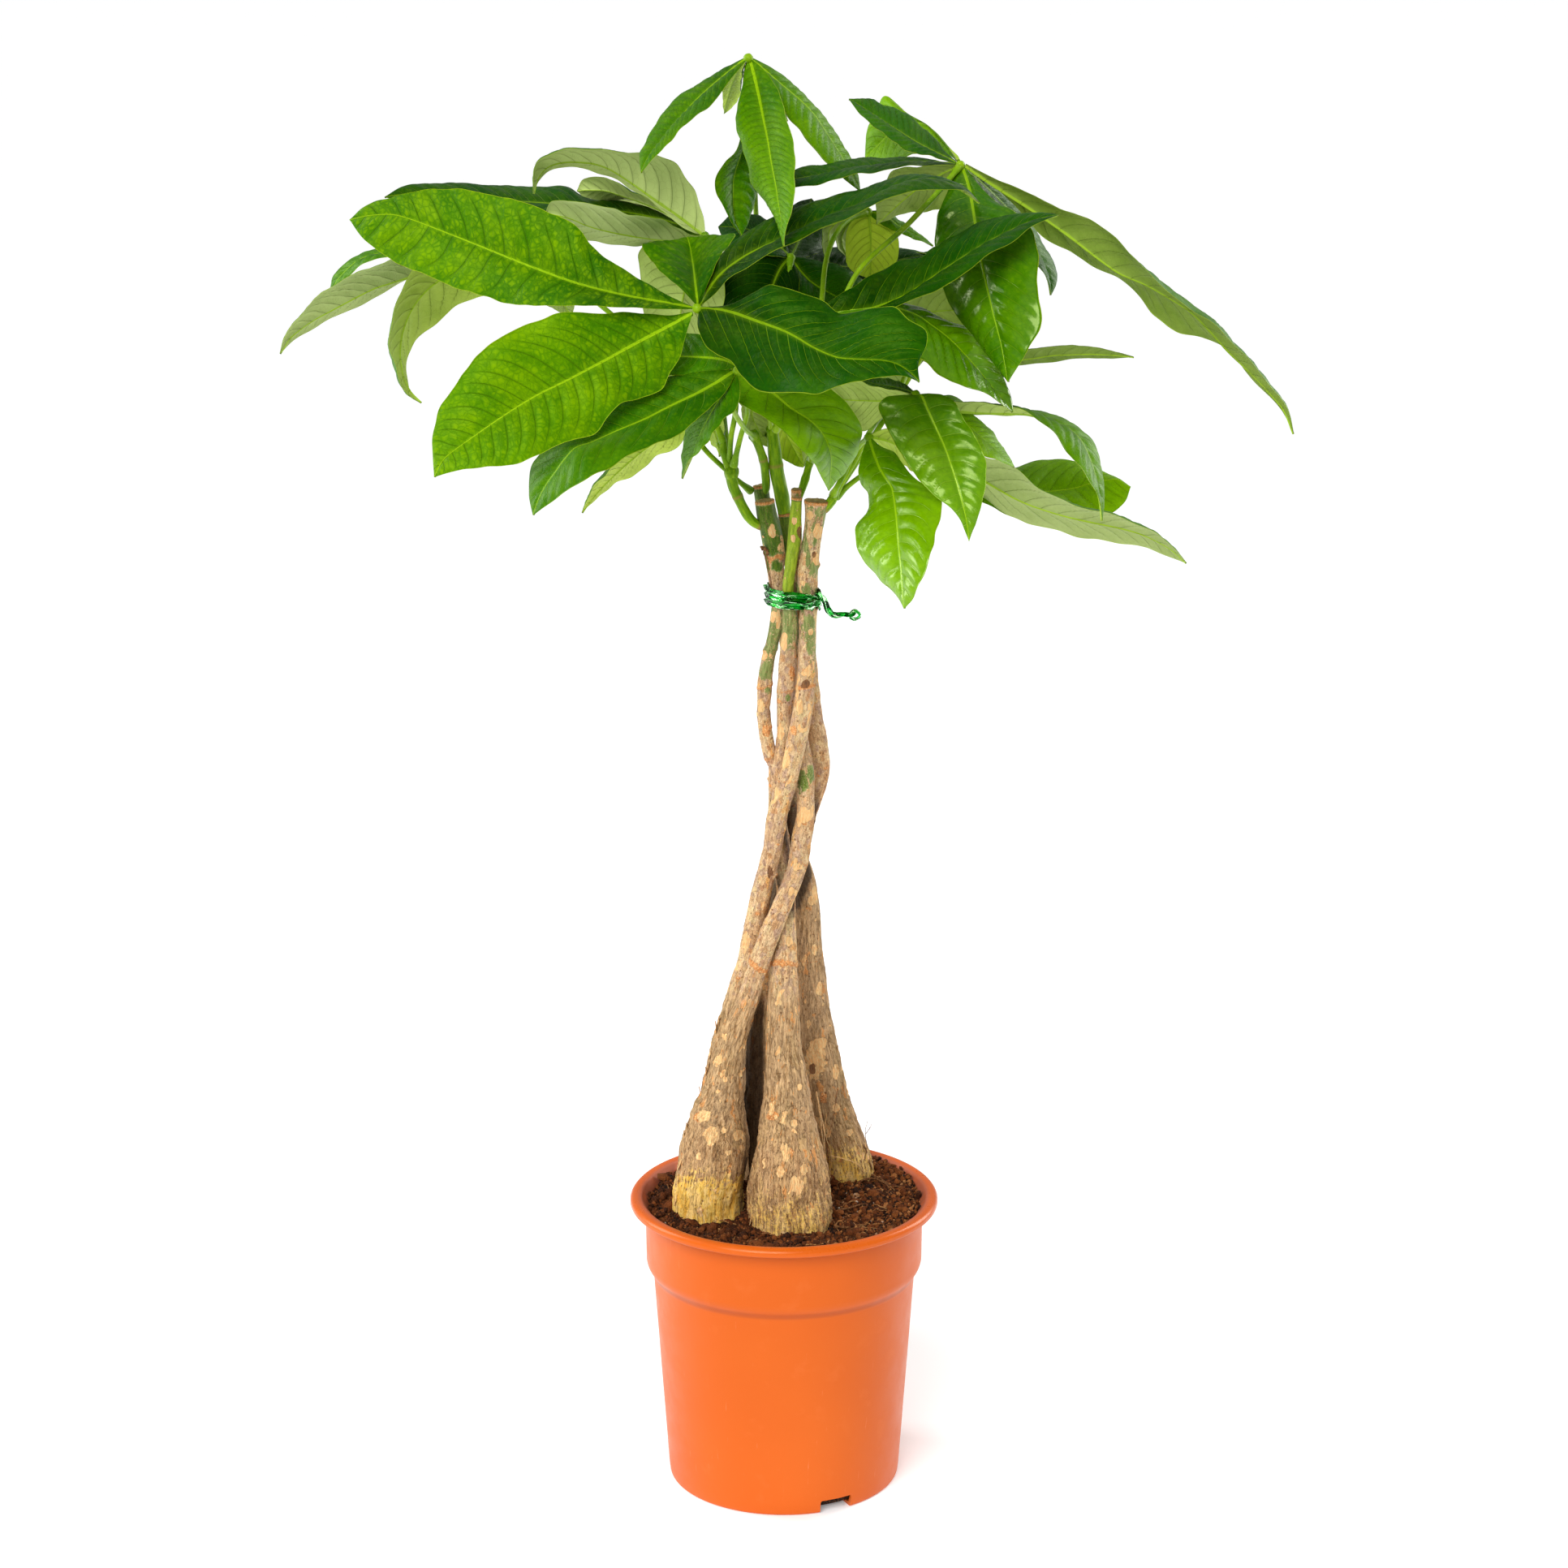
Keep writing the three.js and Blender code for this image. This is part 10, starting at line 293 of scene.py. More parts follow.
def frames(C, up=(0, -1, 0)):
    """Untwisted side vectors along a curve."""
    T = np.gradient(C, axis=0)
    T = unit(T)
    U = np.zeros_like(C)
    r = np.array(up, float)
    if abs(r @ T[0]) > 0.9:
        r = np.array([1.0, 0, 0])
    for i in range(len(C)):
        r = r - T[i] * (r @ T[i])
        r = r / np.linalg.norm(r)
        U[i] = r
    return T, U, np.cross(T, U)


def grid_faces(nu, nv, wrap, base=0):
    i = np.arange(nu - 1)[:, None]
    j = np.arange(nv if wrap else nv - 1)[None, :]
    a = base + i * nv + j
    b = base + i * nv + (j + 1) % nv
    return np.stack([a, b, b + nv, a + nv], -1).reshape(-1, 4)


class Bag:
    """Collects several closed pieces into one mesh."""

    def __init__(self):
        self.v, self.q, self.t, self.mq, self.mt, self.a, self.n = [], [], [], [], [], {}, 0

    def add(self, v, q=None, t=None, m=0, mq=None, **attrs):
        v = np.asarray(v, float)
        self.v.append(v)
        if q is not None and len(q):
            self.q.append(np.asarray(q) + self.n)
            self.mq.append(np.full(len(q), m) if mq is None else mq)
        if t is not None and len(t):
            self.t.append(np.asarray(t) + self.n)
            self.mt.append(np.full(len(t), m))
        for k, x in attrs.items():
            self.a.setdefault(k, []).append(np.broadcast_to(np.asarray(x, float), (len(v), 3)))
        self.n += len(v)

    def done(self, name, mats, **kw):
        f, mi = [], []
        if self.q:
            f.append(np.concatenate(self.q)); mi.append(np.concatenate(self.mq))
        if self.t:
            f.append(np.concatenate(self.t)); mi.append(np.concatenate(self.mt))
        return make(name, np.concatenate(self.v), f, mats, mat_index=np.concatenate(mi), attrs={k: np.concatenate(x) for k, x in self.a.items()}, **kw)


def tube(C, R, sides, cap=True, flat=1.0, roll=0.0, dome=0.0):
    """Closed tube. Returns points, quads and triangles."""
    T, U, W = frames(C)
    th = np.linspace(0, 2 * np.pi, sides, endpoint=False)
    R = np.asarray(R, float)
    if R.ndim == 1:
        R = np.repeat(R[:, None], sides, 1)
    tw = np.asarray(roll) * np.ones(len(C))
    c, s = np.cos(th[None] + tw[:, None]), np.sin(th[None] + tw[:, None])
    P = C[:, None] + R[..., None] * (c[..., None] * U[:, None] + flat * s[..., None] * W[:, None])
    v = P.reshape(-1, 3)
    q = grid_faces(len(C), sides, True)
    t = []
    n = len(v)
    if cap:
        v = np.vstack([v, C[0] - T[0] * dome, C[-1] + T[-1] * dome])
        k = np.arange(sides)
        t = np.vstack([np.stack([np.full(sides, n), (k + 1) % sides, k], -1), np.stack([np.full(sides, n + 1), n - sides + k, n - sides + (k + 1) % sides], -1)])
    return v, q, t


# ------------------------------------------------------------------ node helpers
class Mat:
    def __init__(self, name):
        self.m = bpy.data.materials.new(name)
        self.m.use_nodes = True
        self.t = self.m.node_tree
        self.p = self.t.nodes["Principled BSDF"]

    def n(self, kind, **kw):
        node = self.t.nodes.new(kind)
        for k, v in kw.items():
            if k == "ins":
                for i, x in v.items():
                    self.put(node.inputs[i], x)
            else:
                setattr(node, k, v)
        return node

    def put(self, socket, x):
        if isinstance(x, bpy.types.NodeSocket):
            self.t.links.new(x, socket)
        elif isinstance(x, (tuple, list)) and len(x) == 3 and socket.type == "RGBA":
            socket.default_value = (*x, 1)
        else:
            socket.default_value = x

    def math(self, op, a, b=None, c=None, clamp=False):
        n = self.n("ShaderNodeMath", operation=op, use_clamp=clamp)
        self.put(n.inputs[0], a)
        if b is not None:
            self.put(n.inputs[1], b)
        if c is not None:
            self.put(n.inputs[2], c)
        return n.outputs[0]

    def ramp(self, x, a, b, lo=0.0, hi=1.0, kind="SMOOTHSTEP"):
        n = self.n("ShaderNodeMapRange", interpolation_type=kind)
        for i, v in enumerate((x, a, b, lo, hi)):
            self.put(n.inputs[i], v)
        return n.outputs[0]

    def mix(self, f, a, b, mode="MIX"):
        n = self.n("ShaderNodeMix", data_type="RGBA", blend_type=mode)
        self.put(n.inputs[0], f)
        self.put(n.inputs[6], a)
        self.put(n.inputs[7], b)
        return n.outputs[2]

    def attr(self, name):
        n = self.n("ShaderNodeAttribute", attribute_type="GEOMETRY", attribute_name=name)
        s = self.n("ShaderNodeSeparateXYZ")
        self.t.links.new(n.outputs["Vector"], s.inputs[0])
        return n.outputs["Vector"], s.outputs[0], s.outputs[1], s.outputs[2]

    def vec(self, x, y, z):
        n = self.n("ShaderNodeCombineXYZ")
        for i, v in enumerate((x, y, z)):
            self.put(n.inputs[i], v)
        return n.outputs[0]

    def noise(self, vec, scale, detail=3, rough=0.5, dist=0.0, out=0):
        n = self.n("ShaderNodeTexNoise")
        self.put(n.inputs["Vector"], vec)
        n.inputs["Scale"].default_value = scale
        n.inputs["Detail"].default_value = detail
        n.inputs["Roughness"].default_value = rough
        n.inputs["Distortion"].default_value = dist
        return n.outputs[out]

    def voronoi(self, vec, scale, feature="F1", out="Distance", rand=1.0):
        n = self.n("ShaderNodeTexVoronoi", feature=feature)
        self.put(n.inputs["Vector"], vec)
        n.inputs["Scale"].default_value = scale
        n.inputs["Randomness"].default_value = rand
        return n.outputs[out]

    def bump(self, height, dist, strength=1.0, normal=None):
        n = self.n("ShaderNodeBump")
        self.put(n.inputs["Height"], height)
        n.inputs["Distance"].default_value = dist
        n.inputs["Strength"].default_value = strength
        if normal is not None:
            self.put(n.inputs["Normal"], normal)
        return n.outputs[0]

    def coords(self):
        return self.n("ShaderNodeTexCoord").outputs["Object"]

    def set(self, **kw):
        names = dict(color="Base Color", rough="Roughness", metal="Metallic", spec="Specular IOR Level", coat="Coat Weight", coatr="Coat Roughness",
                     normal="Normal", sss="Subsurface Weight", ssr="Subsurface Radius", sss_scale="Subsurface Scale", sheen="Sheen Weight", ior="IOR")
        for k, v in kw.items():
            self.put(self.p.inputs[names[k]], v)
        return self.m


def srgb(r, g, b):
    f = lambda x: x / 12.92 if x <= 0.04045 else ((x + 0.055) / 1.055) ** 2.4
    return (f(r / 255), f(g / 255), f(b / 255))



# ------------------------------------------------------------------ leaves
# per leaflet: tone 0 dark .. 1 yellow-green (set from how bright each blade looks, so it holds painted light and shade
# as well as the leaf's own green), gloss 0..1, arch of each half (share of its width), ripple (mm), light (side veins
# darker 0 .. paler 1 than the blade), patch (yellow mottling 0..1), relief, and for the underside tone (raised in part
# as painted light, for light shining through the blade) and yellowness
STYLE = {
    "H1a": (0.48, 0.3, 0.07, 1.2, 0.1, 1.0, 0.9, 0.5, 0.3), "H1b": (0.61, 0.3, 0.06, 1.5, 0.27, 0.9, 1.0, 0.5, 0.3), "H1c": (0.21, 0.4, 0.08, 1.2, 0.7, 0.10, 1.7, 0.5, 0.3),
    "H1d": (0.42, 0.3, 0.10, 1.0, 0.4, 0.6, 1.2, 0.5, 0.3), "H1e": (0.17, 0.4, 0.08, 1.0, 0.5, 0.2, 1.0, 0.5, 0.3),
    "H2a": (0.62, 0.3, 0.10, 0.8, 0.55, 0.4, 1.4, 0.5, 0.8), "H2b": (0.49, 0.3, 0.10, 0.8, 0.55, 0.4, 1.4, 0.5, 0.8), "H2c": (0.65, 0.3, 0.10, 0.8, 0.55, 0.4, 1.4, 0.5, 0.8),
    "H2d": (0.6, 0.3, 0.10, 0.8, 0.5, 0.4, 1.3, 0.4, 0.8), "H2e": (0.6, 0.3, 0.10, 0.8, 0.5, 0.4, 1.3, 0.4, 0.8), "H2f": (0.41, 0.3, 0.10, 0.8, 0.5, 0.4, 1.3, 0.4, 0.8),
    "H3a": (0.4, 0.4, 0.08, 1.2, 0.5, 0.3, 1.2, 1.13, 0.25), "H3b": (0.4, 0.4, 0.08, 1.2, 0.5, 0.3, 1.2, 0.65, 0.1), "H3c": (0.4, 0.4, 0.08, 1.2, 0.5, 0.3, 1.2, 1.10, 0.3),
    "H3d": (0.15, 0.4, 0.08, 1.2, 0.5, 0.2, 1.0, 0.5, 0.3), "H3e": (0.4, 0.4, 0.08, 1.2, 0.5, 0.3, 1.0, 0.90, 0.35),
    "M1": (0.5, 0.4, 0.08, 1.2, 0.5, 0.3, 1.2, 0.51, 0.15), "M1b": (0.45, 0.4, 0.08, 1.0, 0.5, 0.3, 1.2, 0.6, 0.5), "M2": (0.5, 0.4, 0.08, 1.2, 0.5, 0.3, 1.2, 0.53, 0.7),
    "L1": (0.44, 0.5, 0.07, 1.3, 0.6, 0.3, 1.1, 0.5, 0.3), "L0": (0.51, 0.5, 0.07, 1.3, 0.8, 0.2, 1.0, 0.5, 0.3), "L2": (0.52, 0.4, 0.07, 1.3, 0.6, 0.3, 1.0, 0.5, 0.3), "L4": (0.79, 0.3, 0.07, 1.3, 0.4, 0.3, 0.8, 0.5, 0.4),
    "L3": (0.6, 0.4, 0.08, 1.2, 0.5, 0.3, 1.1, 0.95, 0.75), "K1": (0.5, 0.4, 0.08, 1.0, 0.5, 0.3, 1.0, 0.5, 0.7), "K2": (0.5, 0.4, 0.08, 1.0, 0.5, 0.3, 1.0, 0.6, 0.7), "K3": (0.5, 0.4, 0.08, 1.0, 0.5, 0.3, 1.0, 1.20, 1.0),
    "H4a": (0.5, 0.5, 0.10, 1.2, 0.5, 0.3, 1.2, 0.10, 0.55), "H4b": (0.35, 0.5, 0.08, 1.0, 0.5, 0.2, 1.3, 0.5, 0.4), "H4c": (0.74, 0.5, 0.08, 1.0, 0.5, 0.3, 1.2, 0.5, 0.5),
    "H4d": (0.19, 0.4, 0.08, 1.0, 0.5, 0.2, 1.0, 0.5, 0.3), "H4e": (0.47, 1.0, 0.09, 1.6, 0.6, 0.3, 1.3, 0.5, 0.3), "H4f": (0.5, 0.5, 0.08, 1.0, 0.5, 0.3, 1.1, 0.42, 0.5), "H4g": (0.26, 0.5, 0.08, 1.0, 0.5, 0.3, 1.0, 0.5, 0.3),
    "H5": (0.22, 0.4, 0.08, 1.0, 0.6, 0.1, 1.1, 0.5, 0.3), "G1": (0.60, 1.0, 0.08, 1.2, 0.6, 0.2, 1.5, 0.5, 0.3), "P1": (0.4, 0.6, 0.08, 1.0, 0.5, 0.2, 1.0, 0.37, 0.6), "R1": (0.4, 0.7, 0.08, 0.8, 0.5, 0.2, 1.0, 0.12, 0.5),
    "H7a": (0.70, 0.9, 0.08, 1.6, 0.8, 0.3, 1.0, 0.5, 0.3), "H8a": (0.77, 1.0, 0.07, 1.6, 0.9, 0.3, 1.1, 0.5, 0.3), "H7g": (0.62, 0.6, 0.07, 1.0, 0.6, 0.3, 1.0, 0.65, 0.5),
    "H7f": (0.87, 0.4, 0.08, 1.0, 0.5, 0.3, 1.0, 0.5, 0.5), "H7e": (0.64, 0.4, 0.08, 1.0, 0.6, 0.2, 1.0, 1.00, 0.4), "H8b": (0.5, 0.4, 0.08, 1.0, 0.5, 0.3, 1.0, 0.5, 0.8),
    "H7c": (0.5, 0.4, 0.08, 1.2, 0.5, 0.3, 1.1, 0.40, 0.1), "H7d": (0.79, 0.4, 0.08, 1.2, 0.7, 0.2, 0.9, 0.5, 0.3),
    "C1": (0.30, 0.3, 0.08, 1.0, 0.4, 0.1, 1.0, 0.3, 0.3), "C2": (0.08, 0.3, 0.08, 1.0, 0.3, 0.0, 1.0, 0.3, 0.3), "C3": (0.00, 0.3, 0.08, 1.0, 0.3, 0.0, 1.0, 0.3, 0.3),
    "C4": (0.19, 0.3, 0.08, 1.0, 0.3, 0.0, 1.0, 0.3, 0.3), "C5": (0.10, 0.3, 0.08, 1.0, 0.3, 0.0, 1.0, 0.3, 0.3),
    "Y1": (0.6, 0.4, 0.08, 1.0, 0.5, 0.3, 1.3, 1.20, 1.0), "Y2": (0.6, 0.4, 0.08, 1.0, 0.5, 0.3, 1.2, 0.45, 0.8),
}
# side veins where they differ: spacing (mm), how far they lean to the tip, how much they curve
VEINS = {
    "H1a": (14.0, 0.26, 0.22), "H1b": (8.8, 0.42, 0.35), "H1c": (11.5, 1.05, 0.30), "H1d": (9.5, 0.30, 0.45), "H1e": (10.0, 0.80, 0.30), "H2a": (5.6, 0.30, 0.35), "H2b": (5.8, 0.35, 0.35),
    "H2c": (5.8, 0.35, 0.35), "H2f": (6.5, 0.35, 0.35), "H8a": (9.8, 0.25, 0.45), "H7a": (8.6, 0.32, 0.40), "L1": (12.0, 0.70, 0.30), "L4": (12.0, 0.60, 0.30), "H5": (11.0, 0.80, 0.30),
    "H4e": (10.5, 0.50, 0.35), "G1": (9.0, 0.50, 0.35), "H4a": (13.0, 0.80, 0.30), "H7c": (12.0, 0.80, 0.35), "H3a": (9.0, 0.60, 0.35), "H3b": (11.0, 0.70, 0.35), "M1": (9.0, 0.9, 0.3), "M2": (10.0, 0.7, 0.35),
}
GLOSSY = ("H7a", "H8a", "G1", "H4e")
VHALF = np.array([0, 0.018, 0.04, 0.075, 0.13, 0.2, 0.28, 0.37, 0.46, 0.55, 0.64, 0.73, 0.82, 0.9, 0.96, 1.0])
VALL = np.concatenate([-VHALF[:0:-1], VHALF])


def leaflet(bag, name, rows, seed):
    rows = np.asarray(rows, float)
    r = np.random.default_rng(seed)
    tone, gloss, arch, ripple, light, patch, relief, utone, uyel = STYLE.get(name, (0.36, 0.4, 0.08, 1.2, 0.5, 0.25, 1.0, 0.45, 0.35))
    length = np.linalg.norm(np.diff(rows[:, :3], axis=0), axis=1).sum()
    nu = int(max(28, length / (1.5)))
    s = np.linspace(0, 1, nu) ** 0.97
    M, A, B = (catmull(rows[:, k : k + 3], s) for k in (0, 3, 6))
    T = unit(np.gradient(M, axis=0))
    W = B - A
    wl = np.linalg.norm(W, axis=1, keepdims=True)
    # the width direction is carried over where the blade is a point
    good = wl[:, 0] > 1.0
    idx = np.arange(nu)
    Wu = unit(W)
    for k in range(3):
        Wu[:, k] = np.interp(idx, idx[good], Wu[good, k])
    Wu = unit(Wu)
    N = unit(smooth_rows(unit(np.cross(T, Wu)), 3))
    ds = np.linalg.norm(np.diff(M, axis=0), axis=1)
    smm = np.concatenate([[0], np.cumsum(ds)])
    L = smm[-1]
    u = smm / L
    hA = np.linalg.norm(A - M, axis=1)
    hB = np.linalg.norm(B - M, axis=1)
    # the stalk-like base keeps a least width, the tip runs out
    least = 0.9 * sstep(1.0, 0.97, u) + 0.12
    nv = len(VALL)
    v = VALL[None, :]
    av = np.abs(v)
    side = np.where(v < 0, 0, 1)
    vecA, vecB = A - M, B - M
    hAe, hBe = np.maximum(hA, least), np.maximum(hB, least)
    dirA = np.where((hA > 0.5)[:, None], vecA / np.maximum(hA, 1e-6)[:, None], -Wu)
    dirB = np.where((hB > 0.5)[:, None], vecB / np.maximum(hB, 1e-6)[:, None], Wu)
    H = np.where(side == 0, hAe[:, None], hBe[:, None])
    D = np.where((side == 0)[..., None], dirA[:, None], dirB[:, None])
    wav = np.where(side == 0, gnoise(np.stack([smm[:, None] / 9.5 + 0 * v, 0 * smm[:, None] + 0 * v + seed * 3.3, 0 * smm[:, None] + 0 * v], -1)), gnoise(np.stack([smm[:, None] / 9.5 + 0 * v, 0 * smm[:, None] + 0 * v + seed * 5.9, 0 * smm[:, None] + 9.0 + 0 * v], -1)))
    H = H * (1 + np.clip(0.75 * wav / np.maximum(H, 4.0), -0.12, 0.12) * sstep(0.04, 0.2, u)[:, None] * sstep(1.0, 0.9, u)[:, None])
    x = av * H
    spacing, lean, curve = VEINS.get(name, (np.clip(L / 16, 5.0, 9.6), 0.55, 0.34))
    off = np.where(side == 0, 0.0, r.uniform(0.25, 0.55))
    phi = (smm[:, None] - lean * x - curve * x * av**2) / spacing + off
    wob = gnoise(np.stack([phi * 0.45 + seed, v * 1.1 + 0 * phi, 0 * phi + seed * 0.7], -1))
    phi = phi + 0.30 * wob * np.where(side == 0, 1.0, 0.9)
    pil = 1 - np.abs(2 * (phi - np.floor(phi)) - 1)  # 0 on a vein, 1 between veins
    pil = np.sin(pil * np.pi / 2) ** 0.8
    env = sstep(0.02, 0.22, av) * (1 - 0.75 * sstep(0.72, 1.0, av))
    fade = sstep(0.0, 0.06, u) * sstep(1.0, 0.93, u)
    q = (0.34 + 0.035 * np.minimum(H, 24)) * relief * env * fade[:, None]
    quilt = q * (pil - 0.4)
    bow = arch * H * 4 * av * (1 - av) * sstep(0, 0.12, u)[:, None]
    # long slow waves plus ripples that grow to the margin
    ph = r.uniform(0, 6.28, 4)
    wave = np.where(side == 0, np.sin(u[:, None] * 6.28 * r.uniform(2.2, 3.4) + ph[0]) + 0.6 * np.sin(u[:, None] * 6.28 * 6.1 + ph[1]),
                    np.sin(u[:, None] * 6.28 * r.uniform(2.2, 3.4) + ph[2]) + 0.6 * np.sin(u[:, None] * 6.28 * 6.7 + ph[3]))
    rip = ripple * 0.62 * wave * av**2 * sstep(0.0, 0.2, u)[:, None] * sstep(1.0, 0.85, u)[:, None] * np.minimum(H / 18, 1.0)
    fine = 0.16 * gnoise(np.stack([smm[:, None] / 3.1 + 0 * x, np.where(side == 0, -x, x) / 3.1, 0 * x + seed], -1)) * env * fade[:, None]
    wm = (0.80 * (1 - u) ** 1.2 + 0.24) * (1.1 if L > 120 else 0.85)  # half width of the midrib
    mr = x / wm[:, None]
    ridge = np.clip(1 - mr**2, 0, 1) ** 0.5
    base = M[:, None] + D * x[..., None]
    th = 0.24
    up = quilt + bow + rip + fine + th + 0.26 * ridge * fade[:, None]
    lowr = quilt + bow + rip + fine - th - ridge * (0.35 + 0.95 * wm[:, None])
    edge = (av > 0.999)
    up = np.where(edge, bow + rip + 0.06, up)
    lowr = np.where(edge, bow + rip - 0.06, lowr)
    PU = base + N[:, None] * up[..., None]
    PL = base + N[:, None] * lowr[..., None]
    a = grid_faces(nu, nv, False)
    n = nu * nv
    lower = a[:, ::-1] + n
    # rim: close the margins and both ends
    i = np.arange(nu - 1)
    e0 = np.stack([i * nv, (i + 1) * nv, (i + 1) * nv + n, i * nv + n], -1)
    k = nv - 1
    e1 = np.stack([(i + 1) * nv + k, i * nv + k, i * nv + k + n, (i + 1) * nv + k + n], -1)
    j = np.arange(nv - 1)
    c0 = np.stack([j + 1, j, j + n, j + 1 + n], -1)
    o = (nu - 1) * nv
    c1 = np.stack([o + j, o + j + 1, o + j + 1 + n, o + j + n], -1)
    upf = a[:, [0, 3, 2, 1]]
    lof = a + n
    # face the upper sheet along N
    f = upf[len(upf) // 2]
    flat = PU.reshape(-1, 3)
    g = np.cross(flat[f[1]] - flat[f[0]], flat[f[2]] - flat[f[0]])
    if g @ N[nu // 2] < 0:
        upf, lof = a, a[:, [0, 3, 2, 1]] + n
        e0, e1, c0, c1 = e0[:, ::-1], e1[:, ::-1], c0[:, ::-1], c1[:, ::-1]
    sx = np.where(side == 0, -x, x)
    A1 = np.stack([phi, av + 0 * phi, u[:, None] + 0 * phi], -1).reshape(-1, 3)
    A2 = np.stack([smm[:, None] + 0 * phi, sx + 0 * phi, mr], -1).reshape(-1, 3)
    A3 = np.stack([tone + 0 * phi, gloss + 0 * phi, seed + 0 * phi], -1).reshape(-1, 3)
    A4 = np.stack([light + 0 * phi, patch + 0 * phi, 0 * phi], -1).reshape(-1, 3)
    B3 = np.stack([utone + 0 * phi, uyel + 0 * phi, seed + 0 * phi], -1).reshape(-1, 3)
    q4 = np.concatenate([upf, lof, e0, e1, c0, c1])
    top = 3 if name in GLOSSY else 0
    mq = np.concatenate([np.full(len(upf), top), np.ones(len(lof)), np.full(len(e0) + len(e1) + len(c0) + len(c1), top)])
    bag.add(np.concatenate([PU.reshape(-1, 3), PL.reshape(-1, 3)]), q=q4, mq=mq, la=np.concatenate([A1, A1]), lb=np.concatenate([A2, A2]), lc=np.concatenate([A3, B3]), ld=np.concatenate([A4, A4]))


def stalk(bag, P, seed, r0=1.65, m=2):
    P = np.asarray(P, float)
    n = 64
    t = np.linspace(0, 1, n)
    C = catmull(P, t)
    d = np.concatenate([[0], np.cumsum(np.linalg.norm(np.diff(C, axis=0), axis=1))])
    e = d / d[-1]
    R = r0 * (1 - 0.08 * np.sin(e * np.pi)) + 0.95 * np.exp(-((d / 5.5) ** 2)) + 0.9 * np.exp(-(((d[-1] - d) / 6.0) ** 2))
    v, q, tr = tube(C, R, 14, dome=0.8)
    k = len(v) - 2
    L = np.concatenate([np.repeat(d, 14), [d[0], d[-1]]])
    bag.add(v, q=q, t=tr, m=m, la=np.stack([0 * L, L / d[-1], L], -1), lb=np.stack([L, L * 0, L * 0], -1), lc=np.broadcast_to([0.5, 0.4, seed], (len(v), 3)), ld=np.zeros((len(v), 3)))


def ball(bag, c, r, m, squash=(1, 1, 1), seed=0, rough=0.08, rings=9, seg=14):
    th = np.linspace(0, np.pi, rings)
    ph = np.linspace(0, 2 * np.pi, seg, endpoint=False)
    P = np.stack([np.outer(np.sin(th), np.cos(ph)), np.outer(np.sin(th), np.sin(ph)), np.outer(np.cos(th), np.ones(seg))], -1)
    k = 1 + rough * gnoise(P.reshape(-1, 3) * 2.2 + seed).reshape(P.shape[:2])
    P = P * k[..., None] * r * np.asarray(squash) + c
    v = P.reshape(-1, 3)
    bag.add(v, q=grid_faces(rings, seg, True)[:, ::-1], m=m, la=np.zeros((len(v), 3)), lb=np.zeros((len(v), 3)), lc=np.broadcast_to([0.5, 0.4, seed], (len(v), 3)), ld=np.zeros((len(v), 3)))


